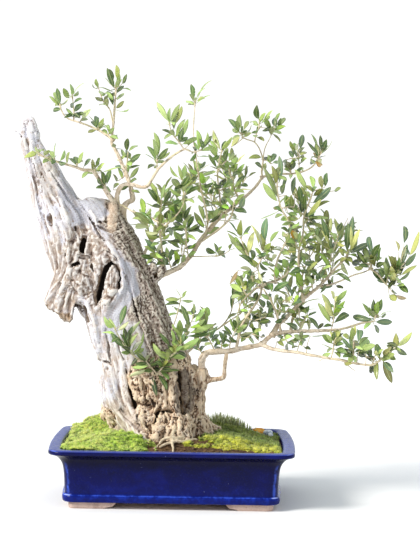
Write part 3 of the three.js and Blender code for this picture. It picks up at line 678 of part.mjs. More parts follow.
// Limbs, twigs and sprays, each cut clear of what it grows from
const sidesOf = (line) => (line[0][3] > 1.8 ? LIMB_SIDES : TWIG_SIDES);
const room = {};
for (const [name, l] of Object.entries(LIMBS)) room[name] = join(l.wood.map((s) => tube(s, sidesOf(s), GAP + 0.1)));
for (const [name, l] of Object.entries(LIMBS)) {
  let s = join([...l.wood.map((w) => tube(w, sidesOf(w))), ...l.leaves.map(blade)]).simplify(0.4);
  for (const other of [l.from, ...l.also]) s = s.subtract(other === 'trunk' ? trunkRoom : room[other]);
  const kind = name.split('_')[0];
  put(name, biggest(s, 0.2), COLOURS[kind], 0.7);
}

export default part;
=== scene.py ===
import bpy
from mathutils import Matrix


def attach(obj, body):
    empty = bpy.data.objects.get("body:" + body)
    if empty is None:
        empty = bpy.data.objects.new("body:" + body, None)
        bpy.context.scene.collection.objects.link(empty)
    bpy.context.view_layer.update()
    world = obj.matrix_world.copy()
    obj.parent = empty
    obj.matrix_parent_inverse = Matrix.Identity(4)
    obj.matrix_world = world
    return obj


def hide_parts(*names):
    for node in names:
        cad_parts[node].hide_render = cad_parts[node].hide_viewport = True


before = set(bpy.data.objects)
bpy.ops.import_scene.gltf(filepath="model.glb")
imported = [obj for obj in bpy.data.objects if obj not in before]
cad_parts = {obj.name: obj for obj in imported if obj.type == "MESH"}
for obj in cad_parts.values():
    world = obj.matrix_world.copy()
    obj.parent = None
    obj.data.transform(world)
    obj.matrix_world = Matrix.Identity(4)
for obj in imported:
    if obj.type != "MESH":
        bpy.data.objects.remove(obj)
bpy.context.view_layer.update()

import math

import bpy
import numpy as np
from mathutils import Matrix, Vector

# Everything below is worked out in millimetres round the pot: +X right, +Y away, +Z up, heights from the feet.
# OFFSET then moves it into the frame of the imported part, which is in metres.
OFFSET = np.array([-74.85, -2.9, 0.0])
POT_X, POT_Y = 200.0, 160.0


def metres(P):
    return (np.asarray(P, float) + OFFSET) * 0.001


# The photograph's camera, in the same millimetres. sight() gives the point seen at px, py at depth Y; seen() is its inverse.
FOCAL, TILT, ROLL = 1729.0, math.radians(2.85), math.radians(0.96)
EYE = np.array([58.2, -2950.0, 520.0])
AHEAD = np.array([0, math.cos(TILT), -math.sin(TILT)])
ABOVE = np.array([0, math.sin(TILT), math.cos(TILT)])


def ray(px, py):
    du, dv = np.asarray(px, float) - 210, np.asarray(py, float) - 280
    a = du * math.cos(ROLL) + dv * math.sin(ROLL)
    b = du * math.sin(ROLL) - dv * math.cos(ROLL)
    return AHEAD + (a / FOCAL)[..., None] * np.array([1.0, 0, 0]) + (b / FOCAL)[..., None] * ABOVE


def sight(px, py, Y):
    r = ray(np.asarray(px, float), np.asarray(py, float))
    t = (np.asarray(Y, float) - EYE[1]) / r[..., 1]
    return EYE + t[..., None] * r


def seen(P):
    d = np.asarray(P, float) - EYE
    z = d @ AHEAD
    a, b = FOCAL * d[..., 0] / z, FOCAL * (d @ ABOVE) / z
    return np.stack([210 + a * math.cos(ROLL) + b * math.sin(ROLL), 280 + a * math.sin(ROLL) - b * math.cos(ROLL)], -1)


# ---------------------------------------------------------------- noise and small helpers


def hashed(ix, iy, iz, seed):
    h = ix.astype(np.int64) * 73856093 ^ iy.astype(np.int64) * 19349663 ^ iz.astype(np.int64) * 83492791 ^ seed * 26544357
    h &= 0xFFFFFFFF
    h ^= h >> 13
    h = (h * 0x5BD1E995) & 0xFFFFFFFF
    h ^= h >> 15
    h = (h * 0x27D4EB2D) & 0xFFFFFFFF
    h ^= h >> 13
    return h.astype(np.float64) / 4294967296.0


def value_noise(P, size, seed):
    """Smooth noise from -1 to 1 with cells of that size, which may be three sizes."""
    q = np.asarray(P, float) / np.asarray(size, float)
    i = np.floor(q).astype(np.int64)
    f = q - i
    f = f * f * (3 - 2 * f)
    out = 0
    for dx in (0, 1):
        wx = f[:, 0] if dx else 1 - f[:, 0]
        for dy in (0, 1):
            wy = f[:, 1] if dy else 1 - f[:, 1]
            for dz in (0, 1):
                wz = f[:, 2] if dz else 1 - f[:, 2]
                out = out + wx * wy * wz * hashed(i[:, 0] + dx, i[:, 1] + dy, i[:, 2] + dz, seed)
    return out * 2 - 1


def fractal(P, size, seed, octaves=3, gain=0.5):
    out, amp, total = 0, 1.0, 0
    s = np.asarray(size, float)
    for o in range(octaves):
        out = out + amp * value_noise(P, s, seed + 17 * o)
        total += amp
        amp *= gain
        s = s / 2
    return out / total


def cells(P, size, seed):
    """Distances to the nearest and second nearest scattered points, in cells, and the nearest's own random number."""
    q = np.asarray(P, float) / np.asarray(size, float)
    i = np.floor(q).astype(np.int64)
    f1 = np.full(len(q), 9.0)
    f2 = np.full(len(q), 9.0)
    who = np.zeros(len(q))
    for dx in (-1, 0, 1):
        for dy in (-1, 0, 1):
            for dz in (-1, 0, 1):
                a, b, c = i[:, 0] + dx, i[:, 1] + dy, i[:, 2] + dz
                p = np.stack([a + hashed(a, b, c, seed), b + hashed(a, b, c, seed + 1), c + hashed(a, b, c, seed + 2)], 1)
                d = np.linalg.norm(p - q, axis=1)
                near = d < f1
                f2 = np.where(near, f1, np.minimum(f2, d))
                who = np.where(near, hashed(a, b, c, seed + 3), who)
                f1 = np.where(near, d, f1)
    return f1, f2, who


def step(a, b, x):
    t = np.clip((x - a) / (b - a), 0, 1)
    return t * t * (3 - 2 * t)


def unit(v):
    v = np.asarray(v, float)
    return v / np.maximum(np.linalg.norm(v, axis=-1, keepdims=True), 1e-12)


def curve(points, n):
    """Catmull-Rom subdivision of a line of points with any number of columns."""
    P = [np.asarray(p, float) for p in points]
    if len(P) < 3:
        return np.array(P)
    out = []
    for i in range(len(P) - 1):
        a, b, c, d = P[max(i - 1, 0)], P[i], P[i + 1], P[min(i + 2, len(P) - 1)]
        for k in range(n):
            t = k / n
            out.append(0.5 * (2 * b + (c - a) * t + (2 * a - 5 * b + 4 * c - d) * t * t + (3 * b - a - 3 * c + d) * t**3))
    out.append(P[-1])
    return np.array(out)


def make(name, V, faces, materials, index=None, smooth=True, colours=None):
    """A mesh object from millimetre vertices and a list of face arrays, (n, 3) or (n, 4). colours maps an attribute's name to a value for each vertex."""
    faces = [np.asarray(f, np.int32) for f in faces if len(f)]
    me = bpy.data.meshes.new(name)
    me.vertices.add(len(V))
    me.vertices.foreach_set("co", metres(V).astype(np.float32).ravel())
    loops = np.concatenate([f.ravel() for f in faces])
    starts, at = [], 0
    for f in faces:
        starts.append(at + np.arange(len(f)) * f.shape[1])
        at += f.size
    me.loops.add(len(loops))
    me.loops.foreach_set("vertex_index", loops.astype(np.int32))
    starts = np.concatenate(starts)
    me.polygons.add(len(starts))
    me.polygons.foreach_set("loop_start", starts.astype(np.int32))
    me.update(calc_edges=True)
    me.validate()
    for m in materials:
        me.materials.append(m)
    if index is not None:
        me.polygons.foreach_set("material_index", np.asarray(index, np.int32))
    me.polygons.foreach_set("use_smooth", np.full(len(me.polygons), smooth, bool))
    for key, values in (colours or {}).items():
        values = np.asarray(values, np.float32)
        if values.ndim == 1:
            a = me.attributes.new(key, "FLOAT", "POINT")
            a.data.foreach_set("value", values)
        else:
            a = me.attributes.new(key, "FLOAT_COLOR", "POINT")
            if values.shape[1] == 3:
                values = np.concatenate([values, np.ones((len(values), 1), np.float32)], 1)
            a.data.foreach_set("color", values.ravel())
    me.update()
    o = bpy.data.objects.new(name, me)
    bpy.context.scene.collection.objects.link(o)
    return o


def fasten(o, slot, *nodes):
    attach(o, "root")
    if nodes:
        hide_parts(*nodes)
    return o


TRUNK_PITCH = 2.03
ROLL_SIGN = 1.0
WORLD_STRENGTH = 0.8
KEY_WAY = (0.74, 0.42, -0.60)
KEY_STRENGTH = 3.5
KEY_SOFT = 20.0
CORNER, BOW = 24.0, 7.0


# ---------------------------------------------------------------- materials


def rgb(r, g, b):
    """Screen colour to scene colour."""
    f = lambda c: c / 255 / 12.92 if c / 255 <= 0.04045 else ((c / 255 + 0.055) / 1.055) ** 2.4
    return (f(r), f(g), f(b), 1.0)


class Look:
    """One node material. A value may be a number, a colour, or another node's output."""

    def __init__(self, name):
        self.m = bpy.data.materials.new(name)
        self.m.use_nodes = True
        self.t = self.m.node_tree
        self.t.nodes.clear()
        self.end = self.t.nodes.new("ShaderNodeOutputMaterial")
        self.body = self.t.nodes.new("ShaderNodeBsdfPrincipled")
        self.t.links.new(self.body.outputs[0], self.end.inputs["Surface"])
        self.place = self.node("TexCoord", 3)

    def put(self, socket, value):
        if isinstance(value, bpy.types.NodeSocket):
            self.t.links.new(value, socket)
        else:
            socket.default_value = value

    def node(self, kind, out=0, props=None, **values):
        n = self.t.nodes.new("ShaderNode" + kind)
        for k, v in (props or {}).items():
            setattr(n, k, v)
        for k, v in values.items():
            self.put(n.inputs[int(k[1:]) if k[0] == "_" else k.replace("_", " ")], v)
        return n.outputs[out]

    def set(self, **values):
        for k, v in values.items():
            self.put(self.body.inputs[k.replace("_", " ")], v)

    def noise(self, size_mm, detail=3.0, rough=0.5, distort=0.0, at=None):
        return self.node("TexNoise", Vector=at or self.place, Scale=1000.0 / size_mm, Detail=detail, Roughness=rough, Distortion=distort)

    def specks(self, size_mm, out=0, feature="F1", at=None, random=1.0):
        return self.node("TexVoronoi", out, {"feature": feature}, Vector=at or self.place, Scale=1000.0 / size_mm, Randomness=random)

    def stretched(self, x, y, z):
        return self.node("Mapping", Vector=self.place, Scale=(x, y, z))

    def over(self, v, a, b, c=0.0, d=1.0, smooth=True):
        return self.node("MapRange", 0, {"interpolation_type": "SMOOTHSTEP" if smooth else "LINEAR", "clamp": True}, Value=v, From_Min=a, From_Max=b, To_Min=c, To_Max=d)

    def mix(self, f, a, b, mode="MIX"):
        return self.node("Mix", 2, {"data_type": "RGBA", "blend_type": mode}, _0=f, _6=a, _7=b)

    def sum(self, op, a, b):
        return self.node("Math", 0, {"operation": op}, _0=a, _1=b)

    def attribute(self, name):
        n = self.t.nodes.new("ShaderNodeAttribute")
        n.attribute_name = name
        s = self.t.nodes.new("ShaderNodeSeparateColor")
        self.t.links.new(n.outputs["Color"], s.inputs[0])
        return n.outputs["Color"], s.outputs[0], s.outputs[1], s.outputs[2], n.outputs["Alpha"], n.outputs["Fac"]

    def bump(self, height, mm, strength=1.0, normal=None):
        n = self.t.nodes.new("ShaderNodeBump")
        n.inputs["Distance"].default_value = mm / 1000
        n.inputs["Strength"].default_value = strength
        self.t.links.new(height, n.inputs["Height"])
        if normal is not None:
            self.t.links.new(normal, n.inputs["Normal"])
        return n.outputs[0]

    def thin(self, colour, share, normal=None):
        """Lets part of the light through a thin blade."""
        tr = self.t.nodes.new("ShaderNodeBsdfTranslucent")
        self.put(tr.inputs["Color"], colour)
        mx = self.t.nodes.new("ShaderNodeMixShader")
        mx.inputs[0].default_value = share
        self.t.links.new(self.body.outputs[0], mx.inputs[1])
        self.t.links.new(tr.outputs[0], mx.inputs[2])
        self.t.links.new(mx.outputs[0], self.end.inputs["Surface"])


def wood_look():
    k = Look("weathered_olive_wood")
    _, dead, hole_depth_shade, crease_shade_and_ridge_light, base, _ = k.attribute("wood")
    _, band, gnarl, broad, fine, _ = k.attribute("tone")
    _, inner, torn, lip, root, _ = k.attribute("inner_torn_lip_root")
    grain = k.attribute("grain")[0]
    # fibre lines: a fine noise averaged along the grain
    run = lambda size, gap, n: [k.noise(size, 2, 0.55, at=k.node("VectorMath", 0, {"operation": "MULTIPLY_ADD"}, _0=grain, _1=(g, g, g), _2=k.place)) for g in [(i - (n - 1) / 2) * gap / 1000 for i in range(n)]]

    def mean(parts):
        out = parts[0]
        for q in parts[1:]:
            out = k.sum("ADD", out, q)
        return k.sum("MULTIPLY", out, 1.0 / len(parts))

    hair = mean(run(1.5, 1.7, 5))
    line = mean(run(3.4, 4.2, 5))
    n1, n2, n3, n4 = k.noise(34, 4), k.noise(7, 4, 0.6), k.noise(1.6, 3, 0.6), k.noise(15, 3, 0.6)
    # dead wood: silver cream and lilac grey, with ochre stains and grey lines; painted shade darkens its cracks and
    # creases and painted highlight pales its ridges
    bone = k.mix(k.over(n1, 0.42, 0.6), rgb(216, 215, 224), rgb(204, 197, 194))
    bone = k.mix(k.over(n4, 0.5, 0.68, 0, 0.6), bone, rgb(192, 186, 190))
    # the smooth band's lilac grey is partly its own weathered grey and partly painted shade
    bone = k.mix(k.over(band, 0.15, 0.9, 0, 0.85), bone, k.mix(k.over(line, 0.43, 0.57), rgb(160, 160, 172), rgb(196, 197, 206)))
    tan = k.mix(k.over(n2, 0.38, 0.64), rgb(186, 170, 152), rgb(142, 124, 110))
    bone = k.mix(k.over(k.sum("MULTIPLY", gnarl, k.over(n4, 0.3, 0.6, 0.4, 1.0)), 0.1, 0.9, 0, 0.8), bone, tan)
    bone = k.mix(k.over(base, 0.2, 0.9, 0, 0.65), bone, k.mix(k.over(n2, 0.4, 0.62), rgb(218, 198, 172), rgb(182, 156, 130)))
    bone = k.mix(k.over(gnarl, 0.25, 1.0, 0, 0.3), bone, rgb(150, 138, 130))
    # weather stains in patches, and darker fibres in them
    patch = k.over(k.noise(11, 4, 0.62), 0.53, 0.62)
    stained = k.sum("MULTIPLY", patch, k.over(band, 0.1, 0.7, 1.0, 0.15))
    bone = k.mix(k.over(stained, 0.0, 1.0, 0, 0.42), bone, rgb(196, 170, 142))
    bone = k.mix(k.over(line, 0.47, 0.39, 0, 0.7), bone, rgb(144, 128, 119))
    bone = k.mix(k.over(hair, 0.47, 0.4, 0, 0.62), bone, rgb(120, 102, 91))
    bone = k.mix(k.sum("MULTIPLY", stained, k.over(hair, 0.5, 0.43, 0, 0.7)), bone, rgb(112, 88, 70))
    bone = k.mix(k.over(line, 0.54, 0.64, 0, 0.55), bone, rgb(236, 231, 227))
    bone = k.mix(k.over(broad, 0.44, 0.2, 0, 0.4), bone, rgb(160, 148, 142))
    bone = k.mix(k.over(fine, 0.42, 0.22, 0, 0.3), bone, rgb(146, 132, 124))
    # painted shade in the creases and cracks, darkest in the deepest, and painted highlight on the ridges
    bone = k.mix(k.over(crease_shade_and_ridge_light, 0.56, 0.8, 0, 0.8), bone, rgb(132, 112, 99))
    bone = k.mix(k.over(crease_shade_and_ridge_light, 0.86, 1.0, 0, 0.85), bone, rgb(70, 55, 47))
    bone = k.mix(k.over(crease_shade_and_ridge_light, 0.42, 0.24, 0, 0.6), bone, rgb(238, 233, 228))
    bone = k.mix(k.over(torn, 0.1, 0.8, 0, 0.75), bone, k.mix(k.over(n3, 0.4, 0.62), rgb(178, 152, 120), rgb(98, 76, 60)))
    # live bark: pale grey brown plates with dark fibre lines, warmer and rougher at the foot; painted shade darkens its
    # cracks and painted highlight pales its plates
    bark = k.mix(k.over(n4, 0.4, 0.62), rgb(168, 152, 142), rgb(134, 119, 109))
    warm = k.mix(k.over(n2, 0.4, 0.62), rgb(226, 196, 166), rgb(178, 146, 118))
    bark = k.mix(k.over(base, 0.1, 0.9, 0, 0.9), bark, warm)
    grit = k.noise(4.6, 4, 0.72, at=k.stretched(1, 1, 0.55))
    bark = k.mix(k.sum("MULTIPLY", base, k.over(grit, 0.52, 0.58, 0, 0.9)), bark, rgb(250, 236, 216))
    bark = k.mix(k.sum("MULTIPLY", base, k.over(grit, 0.46, 0.38, 0, 0.75)), bark, rgb(108, 82, 60))
    bark = k.mix(k.over(hair, 0.53, 0.62, 0, 0.5), bark, rgb(214, 202, 184))
    bark = k.mix(k.over(line, 0.48, 0.39, 0, 0.6), bark, rgb(112, 97, 84))
    bark = k.mix(k.over(hair, 0.47, 0.39, 0, 0.6), bark, rgb(96, 80, 68))
    # painted shade in the bark's creases and cracks, and painted highlight on its plates
    bark = k.mix(k.over(crease_shade_and_ridge_light, 0.54, 0.76, 0, 0.85), bark, k.mix(base, rgb(88, 73, 62), rgb(104, 78, 58)))
    bark = k.mix(k.over(crease_shade_and_ridge_light, 0.74, 0.94, 0, 0.9), bark, rgb(46, 35, 28))
    bark = k.mix(k.over(crease_shade_and_ridge_light, 0.44, 0.24, 0, 0.75), bark, k.mix(base, rgb(222, 214, 202), rgb(226, 206, 178)))
    bark = k.mix(k.over(lip, 0.1, 0.8, 0, 0.8), bark, k.mix(k.over(line, 0.46, 0.58), rgb(200, 174, 150), rgb(238, 222, 202)))
    col = k.mix(dead, bark, bone)
    # inside the big hollow: grey inner wood, darkened further with painted shade
    inner_wood_shaded = k.mix(k.over(n2, 0.4, 0.62), rgb(96, 86, 79), rgb(54, 45, 40))
    col = k.mix(k.over(inner, 0.1, 0.9, 0, 0.75), col, k.mix(k.over(line, 0.46, 0.6), inner_wood_shaded, rgb(128, 118, 110)))
    # painted shade inside the holes: brown near their rims, near black deep in
    col = k.mix(k.over(hole_depth_shade, 0.05, 0.35, 0, 0.75), col, k.mix(k.over(n2, 0.4, 0.65), rgb(140, 112, 80), rgb(96, 74, 54)))
    col = k.mix(k.over(hole_depth_shade, 0.25, 0.85, 0, 0.95), col, rgb(26, 20, 17))
    col = k.mix(root, col, k.mix(k.over(line, 0.42, 0.58), rgb(178, 158, 130), rgb(222, 208, 182)))
    k.set(Base_Color=col, Roughness=k.over(band, 0, 1, 0.88, 0.7), Specular_IOR_Level=0.15)
    k.set(Normal=k.bump(k.sum("ADD", k.sum("MULTIPLY", hair, 0.75), k.sum("MULTIPLY", n3, 0.3)), 1.6, 0.6))
    return k.m


def limb_look():
    k = Look("olive_limb_bark")
    _, age, side, rnd_, relief, _ = k.attribute("limb")
    n1, n2, n3 = k.noise(16, 3), k.noise(3.2, 3, 0.6), k.noise(0.9, 2, 0.6)
    young = k.mix(k.over(n1, 0.38, 0.62), rgb(206, 194, 154), rgb(226, 210, 184))
    old = k.mix(k.over(n1, 0.38, 0.62), rgb(228, 212, 192), rgb(204, 184, 160))
    col = k.mix(age, young, old)
    col = k.mix(k.over(n2, 0.54, 0.74, 0, 0.7), col, rgb(224, 212, 192))
    col = k.mix(k.over(n2, 0.46, 0.3, 0, 0.5), col, rgb(112, 92, 74))
    # painted shade in the bark's cracks, where the relief is low
    col = k.mix(k.over(relief, 0.4, 0.12, 0, 0.7), col, rgb(96, 78, 62))
    col = k.mix(k.over(n3, 0.62, 0.76, 0, 0.5), col, rgb(214, 202, 184))
    k.set(Base_Color=col, Roughness=0.8, Specular_IOR_Level=0.25)
    k.set(Normal=k.bump(k.sum("ADD", n2, k.sum("MULTIPLY", n3, 0.5)), 0.5, 0.6))
    return k.m


def leaf_looks():
    out = []
    for under in (False, True):
        k = Look("olive_leaf_under" if under else "olive_leaf_upper")
        tone, _, _, _, wear, _ = k.attribute("leaf")
        _, across, along, rnd_, dry, _ = k.attribute("vein")
        n1, n2 = k.noise(5, 3, 0.6), k.noise(0.8, 2)
        if under:
            col = k.mix(k.over(n1, 0.4, 0.65), rgb(210, 214, 164), rgb(196, 202, 142))
            col = k.mix(0.35, col, tone)
            col = k.mix(k.over(across, 0.14, 0.03, 0, 0.8), col, rgb(200, 198, 150))
            col = k.mix(k.over(dry, 0.4, 0.9, 0, 0.9), col, tone)
            k.set(Base_Color=col, Roughness=0.72, Specular_IOR_Level=0.2, Sheen_Weight=0.12, Sheen_Roughness=0.5)
            k.thin(tone, 0.22)
            k.set(Normal=k.bump(n2, 0.12, 0.4))
        else:
            col = k.mix(k.over(n1, 0.38, 0.68, 0, 0.5), tone, k.mix(0.5, tone, rgb(150, 168, 88)))
            col = k.mix(k.over(across, 0.13, 0.02, 0, 0.75), col, rgb(206, 212, 140))
            # a painted highlight along the leaf's margins
            col = k.mix(k.over(across, 0.86, 1.0, 0, 0.35), col, rgb(200, 202, 140))
            col = k.mix(k.over(along, 0.93, 1.0, 0, 0.5), col, rgb(150, 120, 70))
            k.set(Base_Color=col, Roughness=k.over(n1, 0.3, 0.7, 0.3, 0.44), Specular_IOR_Level=0.6)
            k.set(Coat_Weight=0.45, Coat_Roughness=0.2)
            k.thin(k.mix(0.5, tone, rgb(190, 214, 60)), 0.18)
            veins = k.node("TexWave", 1, {"wave_type": "BANDS", "bands_direction": "X"}, Vector=k.node("CombineXYZ", X=k.sum("SUBTRACT", k.sum("MULTIPLY", along, 1.0), k.sum("MULTIPLY", across, 0.16)), Y=0.0, Z=0.0), Scale=6.0, Distortion=1.2, Detail=1.0)
            k.set(Normal=k.bump(k.sum("ADD", k.sum("MULTIPLY", veins, 0.3), k.sum("MULTIPLY", n2, 0.3)), 0.08, 0.25))
        out.append(k.m)
    return out


def dry_look():
    k = Look("fallen_leaf_dry")
    _, across, along, _, _, _ = k.attribute("vein")
    n1, n2 = k.noise(6, 3, 0.6), k.noise(1.2, 2)
    col = k.mix(k.over(n1, 0.4, 0.62), rgb(255, 186, 66), rgb(240, 150, 44))
    col = k.mix(k.over(across, 0.12, 0.02, 0, 0.7), col, rgb(255, 224, 130))
    col = k.mix(k.over(across, 0.7, 1.0, 0, 0.4), col, rgb(190, 112, 40))
    k.set(Base_Color=col, Roughness=0.6, Normal=k.bump(n2, 0.2, 0.5))
    return k.m


def soil_look():
    k = Look("bonsai_soil")
    n1, n2, n3 = k.noise(30, 4), k.noise(4, 4, 0.65), k.noise(1.2, 3, 0.6)
    c = k.specks(3.2, 1)
    col = k.mix(k.over(n1, 0.4, 0.62), rgb(104, 80, 56), rgb(84, 66, 50))
    col = k.mix(k.over(n2, 0.52, 0.72, 0, 0.8), col, rgb(146, 118, 86))
    col = k.mix(k.over(c, 0.75, 0.95, 0, 0.45), col, rgb(168, 148, 120))
    col = k.mix(k.over(n3, 0.42, 0.28, 0, 0.7), col, rgb(48, 37, 28))
    k.set(Base_Color=col, Roughness=0.95, Specular_IOR_Level=0.15)
    k.set(Normal=k.bump(k.sum("ADD", n2, k.sum("MULTIPLY", n3, 0.6)), 1.4, 0.8))
    return k.m


def moss_look():
    k = Look("cushion_moss")
    tone, _, _, _, tip, _ = k.attribute("moss")
    n1, n2 = k.noise(9, 3, 0.6), k.noise(1.4, 3, 0.6)
    col = k.mix(k.over(n1, 0.42, 0.66, 0, 0.5), tone, k.mix(0.5, tone, rgb(150, 160, 56)))
    col = k.mix(k.over(n2, 0.45, 0.3, 0, 0.4), col, k.mix(0.6, tone, rgb(70, 84, 26)))
    col = k.mix(k.over(tip, 0.2, 0.9, 0, 0.66), col, rgb(244, 250, 164))
    k.set(Base_Color=col, Roughness=0.85, Specular_IOR_Level=0.2, Sheen_Weight=0.2, Sheen_Roughness=0.5)
    k.thin(k.mix(0.5, tone, rgb(210, 226, 80)), 0.2)
    k.set(Normal=k.bump(n2, 0.5, 0.5))
    return k.m


def stone_look():
    k = Look("pale_stone")
    n1, n2 = k.noise(6, 4, 0.6), k.noise(1.2, 3, 0.6)
    col = k.mix(k.over(n1, 0.4, 0.62), rgb(232, 238, 246), rgb(172, 184, 206))
    col = k.mix(k.over(n2, 0.58, 0.72, 0, 0.6), col, rgb(96, 90, 82))
    k.set(Base_Color=col, Roughness=0.82, Normal=k.bump(n2, 0.5, 0.6))
    return k.m


def mesh_look():
    k = Look("drain_screen")
    n1 = k.noise(3, 2)
    k.set(Base_Color=k.mix(k.over(n1, 0.4, 0.6), rgb(34, 36, 36), rgb(48, 50, 50)), Roughness=0.55, Normal=k.bump(n1, 0.2, 0.3))
    return k.m


def glaze_look():
    k = Look("cobalt_glaze")
    z = k.node("SeparateXYZ", 2, Vector=k.place)
    tone, edge_break_and_highlight, band, top, undercut_shade, _ = k.attribute("glaze")
    n1, n2, n3 = k.noise(60, 4, 0.55), k.noise(9, 4, 0.6), k.noise(2.2, 3, 0.6)
    streak = k.noise(40, 4, 0.6, 0.8, at=k.stretched(1, 1, 1.6))
    col = k.mix(k.over(n1, 0.38, 0.62), rgb(4, 8, 76), rgb(6, 9, 61))
    col = k.mix(k.over(streak, 0.46, 0.7, 0, 0.5), col, rgb(10, 20, 104))
    col = k.mix(k.over(n3, 0.54, 0.72, 0, 0.35), col, rgb(20, 36, 128))
    col = k.mix(k.over(band, 0.0, 1.0, 0, 0.9), col, k.mix(k.over(n2, 0.4, 0.62), rgb(10, 27, 114), rgb(18, 44, 150)))
    # painted reflection: the rim's top is painted lighter, as it would reflect the light above
    col = k.mix(k.over(top, 0.0, 1.0, 0, 0.55), col, rgb(74, 88, 176))
    # the glaze runs thin and pale on its edges, and painted highlights lie along its edges and down its corners
    col = k.mix(k.over(k.sum("MULTIPLY", edge_break_and_highlight, k.over(n2, 0.3, 0.62, 0.55, 1.0)), 0.3, 0.9, 0, 0.9), col, rgb(66, 98, 216))
    # the palest, on the corners and edges, is a painted highlight
    col = k.mix(k.over(edge_break_and_highlight, 0.84, 1.0, 0, 0.7), col, rgb(176, 190, 238))
    # painted shade under the lip, fading down the wall, and in the crease above the foot band
    col = k.mix(k.over(undercut_shade, 0.05, 1.0, 0, 0.85), col, rgb(10, 9, 30))
    spots = k.specks(5.5, 0)
    col = k.mix(k.over(k.sum("MULTIPLY", k.over(spots, 0.11, 0.05), k.over(n3, 0.55, 0.7)), 0.2, 0.8, 0, 0.8), col, rgb(190, 200, 230))
    k.set(Base_Color=col, Roughness=k.over(n2, 0.3, 0.7, 0.14, 0.3), Specular_IOR_Level=0.1, Coat_Weight=0.05, Coat_Roughness=0.05)
    k.set(Normal=k.bump(k.sum("ADD", k.sum("MULTIPLY", n2, 0.6), k.sum("MULTIPLY", streak, 0.5)), 0.35, 0.35))
    return k.m


def clay_look():
    k = Look("unglazed_clay")
    n1, n2, n3 = k.noise(18, 4), k.noise(3, 4, 0.6), k.noise(0.9, 2)
    col = k.mix(k.over(n1, 0.38, 0.62), rgb(196, 172, 160), rgb(170, 146, 136))
    col = k.mix(k.over(n2, 0.55, 0.7, 0, 0.6), col, rgb(150, 116, 100))
    col = k.mix(k.over(n3, 0.4, 0.3, 0, 0.4), col, rgb(112, 84, 72))
    k.set(Base_Color=col, Roughness=0.9, Specular_IOR_Level=0.2, Normal=k.bump(k.sum("ADD", n2, n3), 0.4, 0.5))
    return k.m


def floor_look():
    k = Look("pale_floor")
    n1 = k.noise(300, 2)
    k.set(Base_Color=k.mix(k.over(n1, 0.3, 0.7), (0.93, 0.93, 0.93, 1), (0.95, 0.95, 0.95, 1)), Roughness=0.9, Specular_IOR_Level=0.1)
    return k.m


